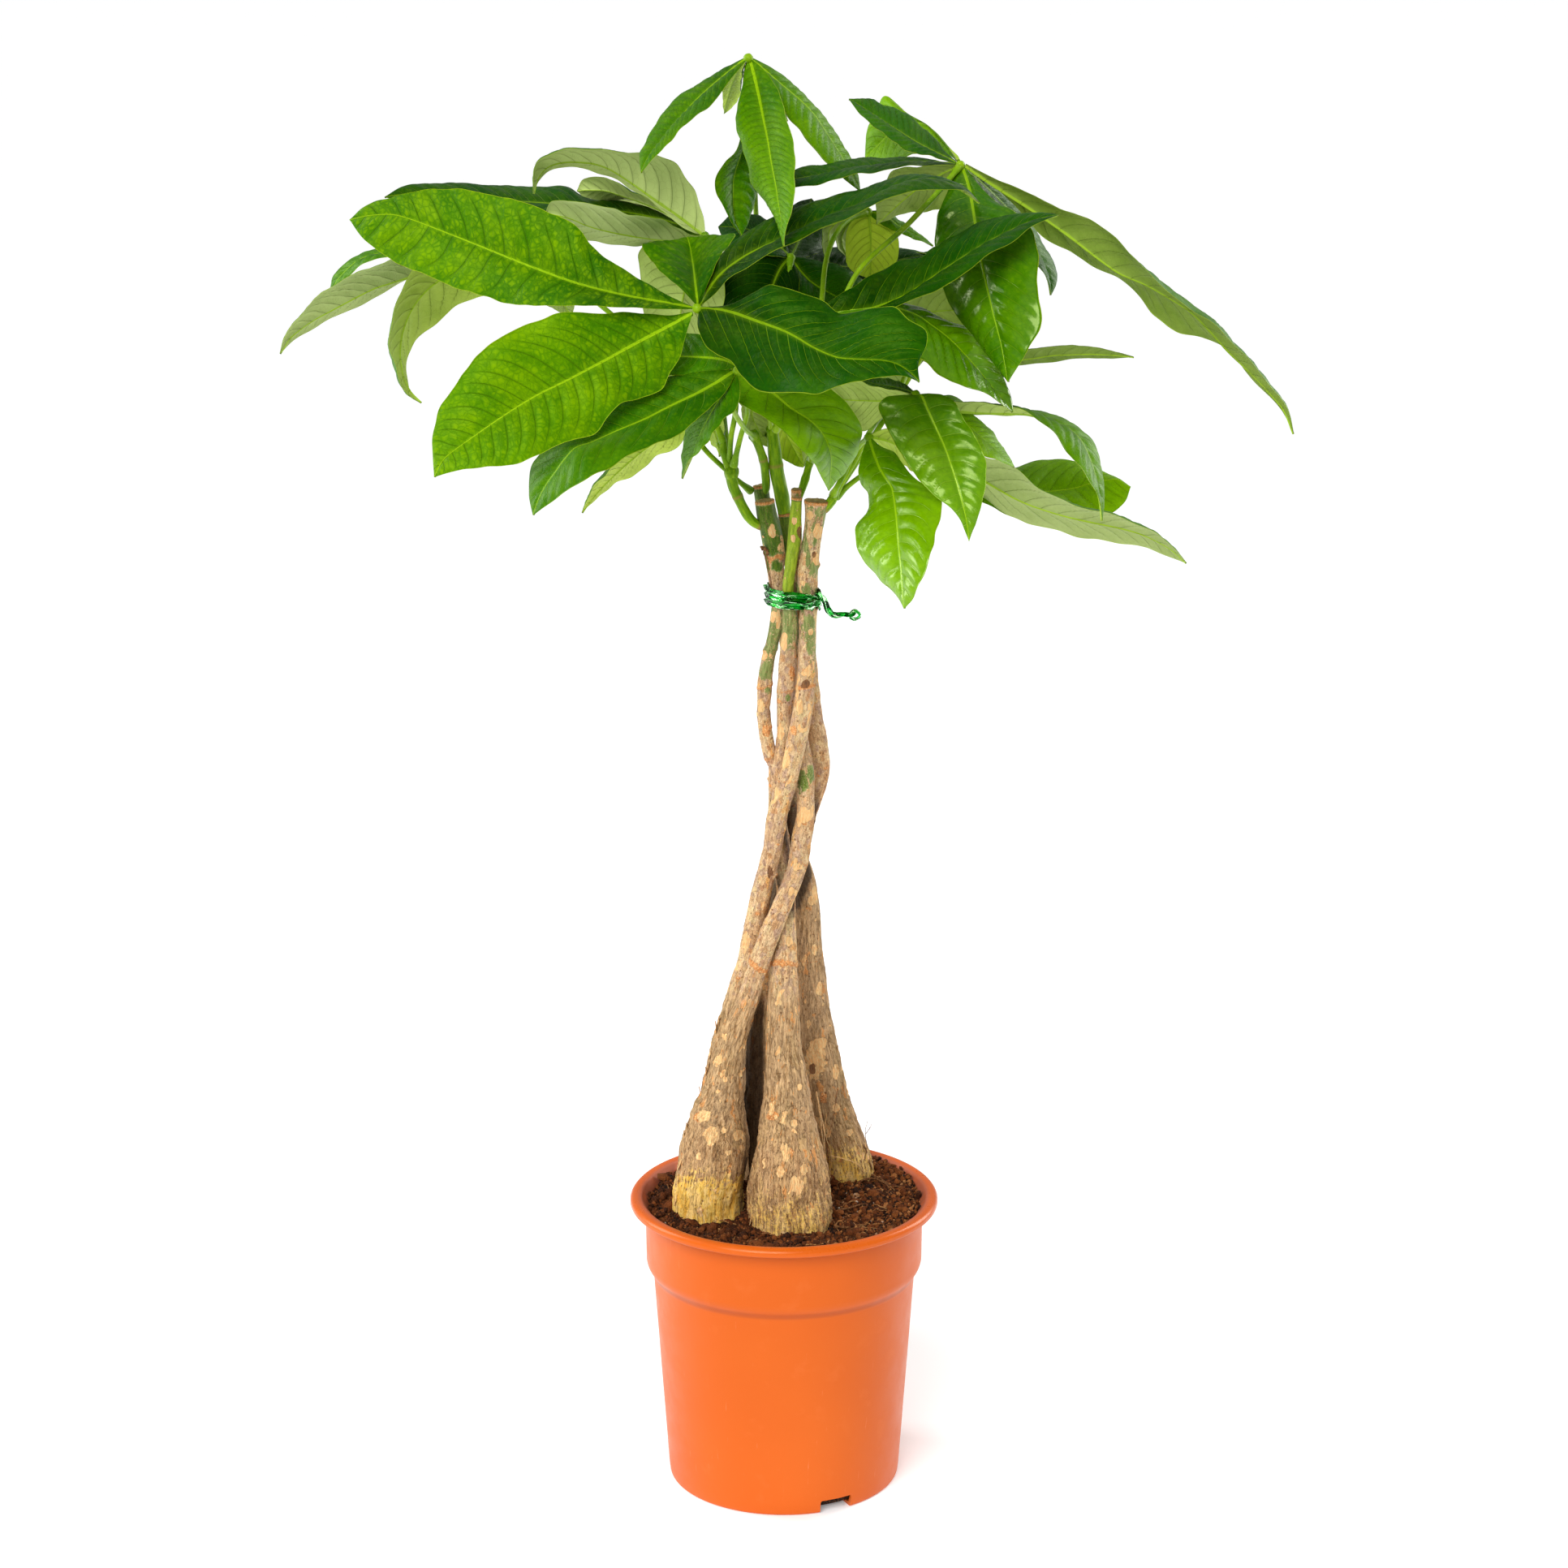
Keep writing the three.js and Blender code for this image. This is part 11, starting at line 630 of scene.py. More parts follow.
def leaf_upper(name, glossy):
    k = Mat(name)
    _, phi, av, u = k.attr("la")
    _, smm, xmm, mr = k.attr("lb")
    _, tone, gloss, seed = k.attr("lc")
    _, light, patch, _z = k.attr("ld")
    mm = k.vec(smm, xmm, seed)
    f = k.math("ABSOLUTE", k.math("SUBTRACT", k.math("FRACT", k.math("ADD", phi, 0.5)), 0.5))  # 0 on a vein
    reach = k.ramp(av, 0.62, 0.93, 1, 0)
    vein = k.math("MULTIPLY", k.ramp(f, 0.006, 0.040, 1, 0), reach)
    wide = k.math("MULTIPLY", k.ramp(f, 0.02, 0.16, 1, 0), k.ramp(av, 0.75, 1.0, 1, 0.15))
    # a weaker vein halfway between two side veins, which dies out before the margin
    half = k.math("ABSOLUTE", k.math("SUBTRACT", k.math("FRACT", phi), 0.5))
    minor = k.math("MULTIPLY", k.ramp(half, 0.004, 0.030, 1, 0), k.ramp(av, 0.25, 0.6, 1, 0))
    mid = k.ramp(mr, 0.70, 1.10, 1, 0)
    midglow = k.ramp(mr, 1.0, 4.0, 1, 0)
    margin = k.ramp(av, 0.984, 0.996, 0, 1)
    warp = k.noise(mm, 0.16, 2, 0.5)
    net = k.voronoi(k.vec(k.math("MULTIPLY_ADD", warp, 1.2, k.math("MULTIPLY", smm, 0.30)), k.math("MULTIPLY_ADD", warp, 1.2, k.math("MULTIPLY", xmm, 0.26)), seed), 1.0, "DISTANCE_TO_EDGE")
    netl = k.ramp(net, 0.0, 0.09, 1, 0)
    net2 = k.voronoi(k.vec(k.math("MULTIPLY", smm, 0.85), k.math("MULTIPLY", xmm, 0.8), seed), 1.0, "DISTANCE_TO_EDGE")
    net2l = k.ramp(net2, 0.0, 0.12, 1, 0)
    big = k.noise(k.vec(k.math("MULTIPLY", smm, 0.022), k.math("MULTIPLY", xmm, 0.05), seed), 1.0, 2)
    small = k.noise(mm, 0.35, 4, 0.6)
    # painted light and shade: tone holds how brightly each leaflet is lit, and the blade is darkened towards its base
    # as painted shade
    tt = k.math("ADD", tone, k.math("ADD", k.math("MULTIPLY_ADD", big, 0.34, -0.17), k.math("MULTIPLY_ADD", small, 0.22, -0.11)))
    tt = k.math("SUBTRACT", tt, k.math("MULTIPLY", k.ramp(u, 0.62, 0.04, 0, 1), 0.17), clamp=True)
    cr = k.n("ShaderNodeValToRGB")
    els = cr.color_ramp.elements
    els[0].position, els[0].color = 0.0, (*srgb(2, 40, 0), 1)
    els[1].position, els[1].color = 1.0, (*srgb(146, 198, 4), 1)
    for p, c in ((0.2, srgb(16, 72, 0)), (0.4, srgb(46, 102, 0)), (0.6, srgb(80, 132, 0)), (0.8, srgb(114, 164, 0))):
        e = els.new(p); e.color = (*c, 1)
    k.put(cr.inputs[0], tt)
    col = cr.outputs[0]
    dark = k.mix(0.5, col, srgb(10, 66, 0))
    pale = k.mix(0.62, col, srgb(150, 196, 20))
    # mottling: yellow patches between the side veins; the deeper green along the veins is painted shade of their sunken
    # furrows
    blot = k.noise(k.vec(k.math("MULTIPLY", smm, 0.24), k.math("MULTIPLY", xmm, 0.18), seed), 1.0, 4, 0.62)
    cell = k.ramp(net, 0.02, 0.30)
    yel = k.math("MULTIPLY", k.math("MULTIPLY", k.ramp(blot, 0.36, 0.64), k.math("MULTIPLY", k.ramp(f, 0.02, 0.18), cell)), patch)
    col = k.mix(k.math("MULTIPLY", yel, 0.44), col, srgb(140, 178, 0))
    broad = k.noise(k.vec(k.math("MULTIPLY", smm, 0.05), k.math("MULTIPLY", xmm, 0.045), k.math("ADD", seed, 3.0)), 1.0, 2, 0.5)
    col = k.mix(k.math("MULTIPLY", k.math("MULTIPLY", k.ramp(broad, 0.38, 0.68), patch), 0.36), col, srgb(132, 172, 0))
    low = k.math("MULTIPLY", k.ramp(blot, 0.50, 0.34), k.math("MULTIPLY_ADD", patch, 0.15, 0.15))
    col = k.mix(low, col, dark)
    # painted shade along the sunken side veins
    vein_furrow_shade = k.math("MULTIPLY", wide, k.math("MULTIPLY_ADD", patch, 0.08, 0.16))
    col = k.mix(vein_furrow_shade, col, dark)
    # fine mesh of veinlets
    col = k.mix(k.math("MULTIPLY", netl, k.math("MULTIPLY_ADD", patch, 0.27, 0.03)), col, dark)
    col = k.mix(k.math("MULTIPLY", net2l, 0.10), col, dark)
    vcol = k.mix(light, k.mix(0.75, col, srgb(10, 62, 0)), pale)
    col = k.mix(k.math("MULTIPLY", minor, 0.20 if glossy else 0.35), col, vcol)
    col = k.mix(k.math("MULTIPLY", vein, k.math("MULTIPLY_ADD", patch, -0.22, 0.74)), col, vcol)
    col = k.mix(k.math("MULTIPLY", midglow, 0.16), col, pale)
    midc = k.mix(k.math("MULTIPLY_ADD", tone, 0.7, 0.3, clamp=True), col, srgb(158, 200, 18))
    col = k.mix(k.math("MULTIPLY", mid, 0.95), col, midc)
    col = k.mix(k.math("MULTIPLY", margin, 0.6), col, srgb(176, 200, 40))
    h = k.math("ADD", k.math("MULTIPLY", vein, -0.9), k.math("ADD", k.math("MULTIPLY", netl, -0.04 if glossy else -0.16), k.math("MULTIPLY", small, 0.30 if glossy else 0.6)))
    h = k.math("ADD", h, k.math("ADD", k.math("MULTIPLY", mid, 0.6), k.math("MULTIPLY", minor, -0.08 if glossy else -0.3)))
    if glossy:
        rough = k.math("ADD", k.ramp(gloss, 0, 1, 0.28, 0.20, "LINEAR"), k.math("MULTIPLY_ADD", small, 0.16, -0.08), clamp=True)
        k.p.inputs["Specular Tint"].default_value = (0.85, 1.0, 0.40, 1)
        return k.set(color=col, rough=rough, spec=0.62, normal=k.bump(h, 0.0004, 0.55))
    rough = k.math("ADD", k.ramp(gloss, 0, 1, 0.46, 0.34, "LINEAR"), k.math("MULTIPLY_ADD", small, 0.16, -0.08), clamp=True)
    k.p.inputs["Specular Tint"].default_value = (0.50, 0.85, 0.10, 1)
    return k.set(color=col, rough=rough, spec=0.2, normal=k.bump(h, 0.00045, 0.8))


def leaf_under():
    k = Mat("leaf_underside")
    _, phi, av, u = k.attr("la")
    _, smm, xmm, mr = k.attr("lb")
    _, tone, yel, seed = k.attr("lc")
    mm = k.vec(smm, xmm, seed)
    f = k.math("ABSOLUTE", k.math("SUBTRACT", k.math("FRACT", k.math("ADD", phi, 0.5)), 0.5))
    vein = k.math("MULTIPLY", k.ramp(f, 0.0, 0.045, 1, 0), k.ramp(av, 0.70, 0.97, 1, 0))
    wide = k.math("MULTIPLY", k.ramp(f, 0.03, 0.22, 1, 0), k.ramp(av, 0.75, 1.0, 1, 0.1))
    mid = k.ramp(mr, 0.8, 1.15, 1, 0)
    warp = k.noise(mm, 0.16, 2, 0.5)
    net = k.voronoi(k.vec(k.math("MULTIPLY_ADD", warp, 1.2, k.math("MULTIPLY", smm, 0.26)), k.math("MULTIPLY_ADD", warp, 1.2, k.math("MULTIPLY", xmm, 0.24)), seed), 1.0, "DISTANCE_TO_EDGE")
    netl = k.ramp(net, 0.0, 0.07, 1, 0)
    big = k.noise(k.vec(k.math("MULTIPLY", smm, 0.03), k.math("MULTIPLY", xmm, 0.06), seed), 1.0, 2)
    small = k.noise(mm, 0.4, 4, 0.6)
    tt = k.math("ADD", tone, k.math("ADD", k.math("MULTIPLY_ADD", big, 0.5, -0.25), k.math("MULTIPLY_ADD", small, 0.2, -0.1)), clamp=True)
    # the pale grey-green and yellow of the underside, set brighter as painted light for light shining through the blade
    grey = k.mix(tt, srgb(124, 146, 72), srgb(198, 214, 146))
    ylw = k.mix(tt, srgb(114, 148, 6), srgb(190, 216, 54))
    col = k.mix(yel, grey, ylw)
    deep = k.mix(0.55, col, srgb(96, 122, 34))
    col = k.mix(k.math("MULTIPLY", netl, 0.13), col, deep)
    col = k.mix(k.math("MULTIPLY", wide, 0.22), col, deep)
    col = k.mix(k.math("MULTIPLY", vein, 0.55), col, deep)
    col = k.mix(k.math("MULTIPLY", mid, 0.9), col, srgb(160, 196, 44))
    margin = k.ramp(av, 0.972, 0.992, 0, 1)
    col = k.mix(k.math("MULTIPLY", margin, 0.6), col, srgb(176, 202, 60))
    h = k.math("ADD", k.math("MULTIPLY", vein, 0.9), k.math("ADD", k.math("MULTIPLY", netl, 0.18), k.math("MULTIPLY", small, 0.35)))
    k.p.inputs["Specular Tint"].default_value = (1.0, 1.0, 0.6, 1)
    return k.set(color=col, rough=0.62, spec=0.2, normal=k.bump(h, 0.0005, 0.8))


def stalk_green():
    k = Mat("petiole_green")
    _, a, e, d = k.attr("la")
    co = k.coords()
    big = k.noise(co, 60, 3)
    fine = k.noise(co, 900, 2)
    col = k.mix(k.ramp(big, 0.3, 0.7), srgb(92, 138, 4), srgb(142, 180, 18))
    col = k.mix(k.math("MULTIPLY", k.ramp(fine, 0.55, 0.75), 0.35), col, srgb(170, 200, 100))
    k.p.inputs["Specular Tint"].default_value = (0.75, 0.95, 0.25, 1)
    return k.set(color=col, rough=0.42, spec=0.35, normal=k.bump(fine, 0.0003, 0.5))


MU, MG, ML, MS = leaf_upper("leaf_upper", False), leaf_upper("leaf_upper_gloss", True), leaf_under(), stalk_green()
seed = 1
for node, (pet, blades) in LEAVES.items():
    bag = Bag()
    for nm, rows in blades.items():
        leaflet(bag, nm, rows, seed)
        seed += 1
    stalk(bag, pet, seed)
    ball(bag, np.array(pet[0]), 2.9, 2, seed=seed)
    bag.done("fine_" + node, [MU, ML, MS, MG], node=node, slot="leaf")



# ------------------------------------------------------------------ trunks
# features seen on the bark: (trunk, u, v, half width, half height, kind) in the 1932 frame; G green, C cream chip, S brown scar, O orange
FEATURES = [
    ("T1", 989, 963, 7, 15, "G"), ("T1", 1000, 953, 6, 12, "G"), ("T1", 875, 1399, 8, 12, "C"), ("T1", 909, 1399, 6, 7, "C"), ("T1", 893, 1330, 3, 4, "C"),
    ("T1", 884, 1345, 3, 3, "C"), ("T1", 898, 1420, 4, 3, "C"), ("T1", 860, 1425, 3, 5, "C"), ("T1", 1003, 925, 5, 12, "C"), ("T1", 985, 1010, 4, 9, "C"),
    ("T2", 979, 1384, 5, 5, "C"), ("T2", 965, 1415, 4, 6, "C"), ("T2", 990, 1440, 4, 7, "C"), ("T2", 950, 1370, 3, 4, "C"), ("T2", 985, 1340, 3, 4, "C"),
    ("T2", 972, 1160, 4, 6, "C"), ("T3", 1005, 1307, 13, 22, "C"), ("T3", 1013, 1285, 6, 7, "C"), ("T3", 1000, 1318, 4, 6, "S"), ("T3", 1030, 1365, 5, 6, "C"),
    ("T3", 1047, 1395, 4, 5, "C"), ("T3", 1004, 1170, 4, 7, "C"), ("T3", 1000, 1110, 4, 6, "C"),
    ("T2a", 955, 788, 8, 12, "g"), ("T2a", 944, 826, 9, 14, "g"), ("T2a", 945, 851, 5, 5, "g"), ("T2a", 952, 760, 5, 7, "C"), ("T2a", 941, 808, 5, 6, "C"),
    ("T2a", 938, 870, 4, 8, "C"), ("T2a", 944, 900, 5, 7, "O"), ("T2a", 957, 686, 12, 5, "O"), ("T2a", 951, 655, 5, 8, "C"), ("T2a", 939, 654, 6, 10, "O"),
    ("T2b", 979, 643, 3, 5, "C"), ("T2b", 977, 664, 3, 5, "C"), ("T2b", 988, 660, 4, 6, "S"), ("T2b", 971, 860, 4, 5, "g"), ("T2b", 966, 790, 4, 12, "C"),
    ("T2b", 962, 905, 4, 9, "C"), ("T2b", 976, 830, 3, 9, "O"),
    ("T4", 998, 782, 6, 31, "g"), ("T4", 992, 843, 5, 5, "S"), ("T4", 1002, 700, 8, 12, "g"), ("T4", 992, 672, 5, 10, "g"),
    ("T4", 1008, 655, 6, 9, "C"), ("T4", 998, 635, 5, 6, "C"), ("T4", 1010, 985, 4, 10, "C"), ("T4", 1015, 905, 4, 9, "O"),
    ("T1", 931, 625, 7, 10, "G"), ("T1", 940, 640, 4, 7, "S"),
    ("T2a", 959, 764, 3, 11, "C"), ("T2a", 949, 755, 4, 9, "g"), ("T2a", 958, 783, 12, 10, "g"), ("T2b", 976, 760, 7, 11, "g"), ("T2b", 972, 786, 6, 9, "g"),
    ("T3", 985, 760, 8, 14, "g"), ("T2a", 957, 698, 7, 8, "G"), ("T4", 1009, 632, 7, 9, "g"), ("T4", 999, 626, 5, 6, "g"), ("T4", 993, 727, 7, 10, "g"),
    ("T4", 1005, 688, 4, 9, "C"), ("T4", 1006, 650, 3, 3, "O"), ("T4", 1003, 683, 3, 4, "S"), ("T2b", 985, 655, 3, 6, "S"), ("T4", 967, 935, 6, 12, "C"),
    ("T4", 985, 872, 4, 9, "C"), ("T4", 978, 900, 4, 6, "O"), ("T4", 949, 1075, 4, 7, "S"), ("T1", 975, 1098, 4, 5, "C"), ("T2", 968, 1420, 5, 11, "C"),
    ("T2", 962, 1444, 5, 8, "C"), ("T2", 985, 1462, 5, 11, "C"), ("T2", 975, 1420, 3, 5, "O"), ("T2", 952, 1375, 7, 5, "O"), ("T1", 862, 1376, 6, 6, "O"),
    ("T1", 885, 1268, 5, 9, "C"), ("T1", 893, 1258, 3, 5, "S"), ("T1", 867, 1375, 8, 7, "C"), ("T3", 1015, 1352, 4, 7, "O"), ("T3", 1030, 1320, 4, 9, "C"),
]
# ring scars: trunk, v of the ring, half height, strength
RINGS = [("T1", 1190, 4, 0.9), ("T2", 1188, 4.5, 0.9), ("T3", 1176, 2.5, 0.45), ("T1", 1060, 3, 0.5), ("T2a", 686, 5, 1.0), ("T2a", 800, 3, 0.6), ("T2a", 845, 3, 0.7), ("T4", 845, 4, 0.7),
         ("T4", 745, 3, 0.5), ("T1", 905, 3, 0.6), ("T3", 1060, 3, 0.5), ("T5", 700, 4, 0.5), ("T2b", 850, 3, 0.5), ("T2a", 930, 3, 0.6), ("T4", 960, 3, 0.5), ("T2", 1010, 3, 0.5)]
SIDES = {"T1": 88, "T2": 92, "T2a": 48, "T2b": 44, "T3": 84, "T4": 72, "T5": 56}
BASE = {"T1": 0.9, "T2": 0.8, "T3": 0.8, "T4": 0.7, "T5": 0.6}


def at(u, v, y):
    """The point (mm) seen at (u, v) in the 1932 frame, in the plane of this y."""
    d = FWD + (u - 966) / FOCAL * np.array([1.0, 0, 0]) + (966 - v) / FOCAL * UPV
    return CAM + d * ((y - CAM[1]) / d[1])


def crevice(P, N, key):
    """How far the neighbouring stems close in on each point, 0..1 and more."""
    out = np.zeros(len(P))
    family = ("T2", "T2a", "T2b")
    for other in TRUNKS:
        if other == key or (key in family and other in family):
            continue
        t2 = np.asarray(TRUNKS[other], float)
        s2 = np.linspace(0, 1, 110)
        C2 = catmull(t2[:, :3], s2)
        R2 = np.interp(s2, np.linspace(0, 1, len(t2)), t2[:, 3])
        for i in range(0, len(P), 6000):
            q = P[i:i + 6000]
            dd = np.sqrt(np.maximum((q**2).sum(1)[:, None] + (C2**2).sum(1)[None] - 2 * q @ C2.T, 0))
            j = (dd - R2[None]).argmin(1)
            d = C2[j] - q
            dist = np.maximum(np.linalg.norm(d, axis=1), 0.1)
            w = np.minimum(1.0, R2[j] / dist) ** 2
            out[i:i + 6000] += w * np.maximum(0, ((d / dist[:, None]) * N[i:i + 6000]).sum(1))
    return out


def trunk(bag, key):
    tab = np.asarray(TRUNKS[key], float)
    if key in ("T2a", "T2b"):
        # the fork starts inside the stem below
        t2 = np.asarray(TRUNKS["T2"], float)
        if tab[0, 2] > tab[-1, 2]:
            tab = tab[::-1]
        step = np.linalg.norm(tab[1, :3] - tab[0, :3])
        m = max(3, int(17 / step))
        z = tab[0, 2] - 17 * np.linspace(1, 0, m, endpoint=False)
        o = np.argsort(t2[:, 2])
        w = np.linspace(0, 1, m, endpoint=False)[:, None]
        base = np.stack([np.interp(z, t2[o, 2], t2[o, 0]), np.interp(z, t2[o, 2], t2[o, 1])], 1)
        line = tab[0, :2] + (tab[0, :2] - tab[min(6, len(tab) - 1), :2]) * 0.0
        xy = base * (1 - sstep(0, 1, w)) + line * sstep(0, 1, w)
        rr = tab[0, 3] * (0.62 + 0.38 * w[:, 0])
        tab = np.vstack([np.column_stack([xy, z, rr, np.zeros((m, tab.shape[1] - 4))]), tab])
    length = np.linalg.norm(np.diff(tab[:, :3], axis=0), axis=1).sum()
    nu = int(length / (1.05))
    s = np.linspace(0, 1, nu)
    C = catmull(tab[:, :3], s)
    R = np.interp(s, np.linspace(0, 1, len(tab)), tab[:, 3])
    cv0 = picture(C)[1]
    if key == "T5":
        C[:, 0] -= 5.2 * np.exp(-(((cv0 - 1093) / 34) ** 2))
        R = R + 1.5 * np.exp(-(((cv0 - 1093) / 28) ** 2))
        C[:, 0] -= 2.5 * np.exp(-(((cv0 - 906) / 42) ** 2)) + 3.0 * np.exp(-(((cv0 - 1000) / 36) ** 2))
        R = R + 1.7 * np.exp(-(((cv0 - 910) / 42) ** 2))
    if key == "T3":
        C[:, 0] -= 2.8 * np.exp(-(((cv0 - 1375) / 40) ** 2))
    T, U, W = frames(C)
    ln = np.concatenate([[0], np.cumsum(np.linalg.norm(np.diff(C, axis=0), axis=1))])
    nv = SIDES[key]
    th = np.linspace(0, 2 * np.pi, nv, endpoint=False)
    cu, cv = picture(C)
    seedv = {"T1": 3.1, "T2": 7.7, "T2a": 12.3, "T2b": 18.9, "T3": 23.3, "T4": 31.7, "T5": 44.1}[key]
    ct, st = np.cos(th), np.sin(th)
    dirs = ct[None, :, None] * U[:, None] + st[None, :, None] * W[:, None]
    P0 = C[:, None] + R[:, None, None] * dirs
    low = sstep(1150, 1400, cv)[:, None]  # 1 on the swollen feet
    rm = R[:, None]
    q1 = np.stack([ct[None] * rm * 0.30 + seedv, st[None] * rm * 0.30, ln[:, None] * 0.045 + 0 * ct[None]], -1)
    q2 = np.stack([ct[None] * rm * 0.62 + seedv, st[None] * rm * 0.62, ln[:, None] * 0.11 + 0 * ct[None]], -1)
    q3 = np.stack([ct[None] * rm * 0.055 + seedv, st[None] * rm * 0.055, ln[:, None] * 0.04 + 0 * ct[None]], -1)
    ridges = 1 - np.abs(fbm(q1, 3))
    fine = fbm(q2, 3)
    lumps = gnoise(q3)
    d = (ridges - 0.6) * (0.38 + 0.75 * low) + fine * (0.30 + 0.30 * low) + lumps * rm * (0.05 + 0.03 * low)
    cross = 1 - np.abs(fbm(np.stack([ct[None] * rm * 0.07 + seedv, st[None] * rm * 0.07, ln[:, None] * 0.32 + 0 * ct[None]], -1), 2))
    foot = sstep(1380, 1490, cv)[:, None]
    d = d + (cross - 0.6) * 0.8 * foot
    u, v = picture(P0)
    toward = (dirs * unit(CAM - P0)).sum(-1)
    front = sstep(-0.05, 0.25, toward)
    jit = fbm(P0 * 0.33 + seedv, 2)
    mk = {c: np.zeros_like(u) for c in "GCSO"}
    for kk, fu, fv, ru, rv, kind in FEATURES:
        if kk != key:
            continue
        dist = np.sqrt(((u - fu) / ru) ** 2 + ((v - fv) / rv) ** 2) + 0.30 * jit
        mk[kind.upper()] = np.maximum(mk[kind.upper()], sstep(1.45, 0.55, dist) * front * (0.62 if kind.islower() else 1.0))
    for kk, rv0, w, k in RINGS:
        if kk == key:
            tilt = 3.0 * np.sin(th[None] + seedv)
            b = np.exp(-(((cv[:, None] - rv0 + tilt + 1.5 * jit) / w) ** 2)) * k
            mk["O"] = np.maximum(mk["O"], b)
            d = d + 0.55 * b - 0.5 * np.exp(-(((cv[:, None] - rv0 + tilt - w * 1.1) / (w * 0.4)) ** 2)) * k
    # small knobs and leaf scars scattered on the bark
    rk = np.random.default_rng(int(seedv * 10))
    for _ in range(int(length / 13)):
        l0, t0, rr, hh = rk.uniform(4, length - 6), rk.uniform(0, 2 * np.pi), rk.uniform(1.2, 2.7), rk.uniform(0.4, 1.3)
        dt = (th[None] - t0 + np.pi) % (2 * np.pi) - np.pi
        g2 = np.exp(-((ln[:, None] - l0) / (rr * 0.8)) ** 2 - (dt * rm / rr) ** 2)
        d = d + hh * g2
        which = rk.choice(["O", "C", "N"], p=[0.5, 0.25, 0.25])
        if which != "N":
            mk[which] = np.maximum(mk[which], 0.75 * g2)
    # flaky chips all round, more on the feet
    chip = fbm(np.stack([ct[None] * rm * 0.10 + seedv + 9, st[None] * rm * 0.10, ln[:, None] * 0.07 + 0 * ct[None]], -1), 3)
    chips = sstep(0.54, 0.72, chip) * (0.9 if key in ("T1", "T2", "T3", "T4") else 0.6)
    mk["C"] = np.maximum(mk["C"], chips)
    # green skin near the tops
    hv = cv[:, None]
    if key == "T2b":
        mk["G"] = np.maximum(mk["G"], sstep(742, 726, hv + 3 * jit) * 2.0)
    if key == "T2a":
        mk["G"] = np.maximum(mk["G"], sstep(690, 676, hv + 5 * jit))
    if key == "T2a":
        mk["G"] = np.maximum(mk["G"], 0.58 * sstep(742, 752, hv) * sstep(870, 790, hv) + 0 * u)
    if key == "T2b":
        mk["G"] = np.maximum(mk["G"], 0.60 * sstep(742, 748, hv) * sstep(840, 770, hv) + 0 * u)
    if key == "T1":
        mk["G"] = np.maximum(mk["G"], sstep(720, 690, hv + 6 * jit) * 1.1)
    if key == "T3":
        mk["G"] = np.maximum(mk["G"], sstep(700, 660, hv + 6 * jit) * 1.2)
    if key in ("T4", "T5"):
        gp = fbm(np.stack([ct[None] * rm * 0.14 + seedv + 3, st[None] * rm * 0.14, ln[:, None] * 0.05 + 0 * ct[None]], -1), 2)
        mk["G"] = np.maximum(mk["G"], sstep(-0.25, 0.40, gp) * sstep(900, 740, hv) * 0.70)
    if key in ("T1", "T2a", "T2b", "T2", "T3"):
        gp = fbm(np.stack([ct[None] * rm * 0.16 + seedv + 5, st[None] * rm * 0.16, ln[:, None] * 0.06 + 0 * ct[None]], -1), 2)
        mk["G"] = np.maximum(mk["G"], sstep(0.05, 0.45, gp) * sstep(1000, 850, hv) * 0.75 * sstep(-0.1, -0.45, toward))
    if key == "T1":
        skin = sstep(0.1, 0.5, mk["G"]) * sstep(900, 915, v)
        mk["C"], mk["O"] = mk["C"] * (1 - skin), mk["O"] * (1 - skin)
        mk["G"] = mk["G"] * (1 - 0.2 * skin)
    if key != "T2":
        lip = sstep(2.6, 0.9, ln[-1] - ln)[:, None] + 0 * u
        mk["O"] = np.maximum(mk["O"], 1.15 * lip)
        mk["G"] = mk["G"] * (1 - lip)
        mk["C"] = mk["C"] * (1 - lip)
        d = d + lip * (0.35 + 0.45 * jit)
    d = d - 0.35 * np.clip(mk["C"], 0, 1) * (1 - np.clip(mk["G"], 0, 1)) - 0.3 * mk["S"]
    calm = np.clip(mk["G"], 0, 1) * 0.75
    d = d * (1 - calm)
    d = d * np.minimum(1, sstep(0, 4, ln[-1] - ln)[:, None] + 0.35)
    P = P0 + dirs * d[..., None]
    zone = (sstep(1150, 1040, cv) if key == "T3" else sstep(1330, 1120, cv))[:, None] + 0 * u
    wander = v + 15 * jit + 9 * gnoise(P0 * 0.13 + seedv)
    ochre = (sstep(1432, 1474, wander) if key == "T1" else (0.62 if key == "T3" else 0.5) * sstep(1392 if key == "T3" else 1430, 1440 if key == "T3" else 1515, wander)) + 0 * u
    ba = np.stack([ct[None] * rm + seedv * 10, st[None] * rm, ln[:, None] + 0 * ct[None]], -1)
    bb = np.stack([mk["G"], np.clip(mk["C"], 0, 1), mk["S"]], -1)
    bc = np.stack([zone, 0 * u, mk["O"]], -1)
    ao = crevice(P0.reshape(-1, 3), dirs.reshape(-1, 3), key).reshape(u.shape)
    shade = 0.95 * sstep(0.22, 0.95, ao + 0.05 * jit)
    if key in ("T5", "T4", "T1"):
        inside = sstep(898, 916, u) * sstep(946, 938, u) * sstep(1180, 1240, v) * sstep(1440, 1390, v)
        shade = np.maximum(shade, {"T5": 0.9, "T4": 0.7, "T1": 0.3}[key] * inside * sstep(0.02, 0.3, ao) * sstep(-0.1, 0.35, toward))
    if key == "T5":
        shade = np.maximum(shade, 0.85 * sstep(1180, 1250, v) * sstep(1500, 1400, v) * sstep(905, 915, u) * sstep(945, 938, u) * sstep(0.0, 0.5, toward))
    shade = shade * (1 - 0.4 * sstep(980, 940, v))
    if key in ("T2", "T3", "T5"):
        for other in ("T1", "T4"):
            t2 = np.asarray(TRUNKS[other], float)
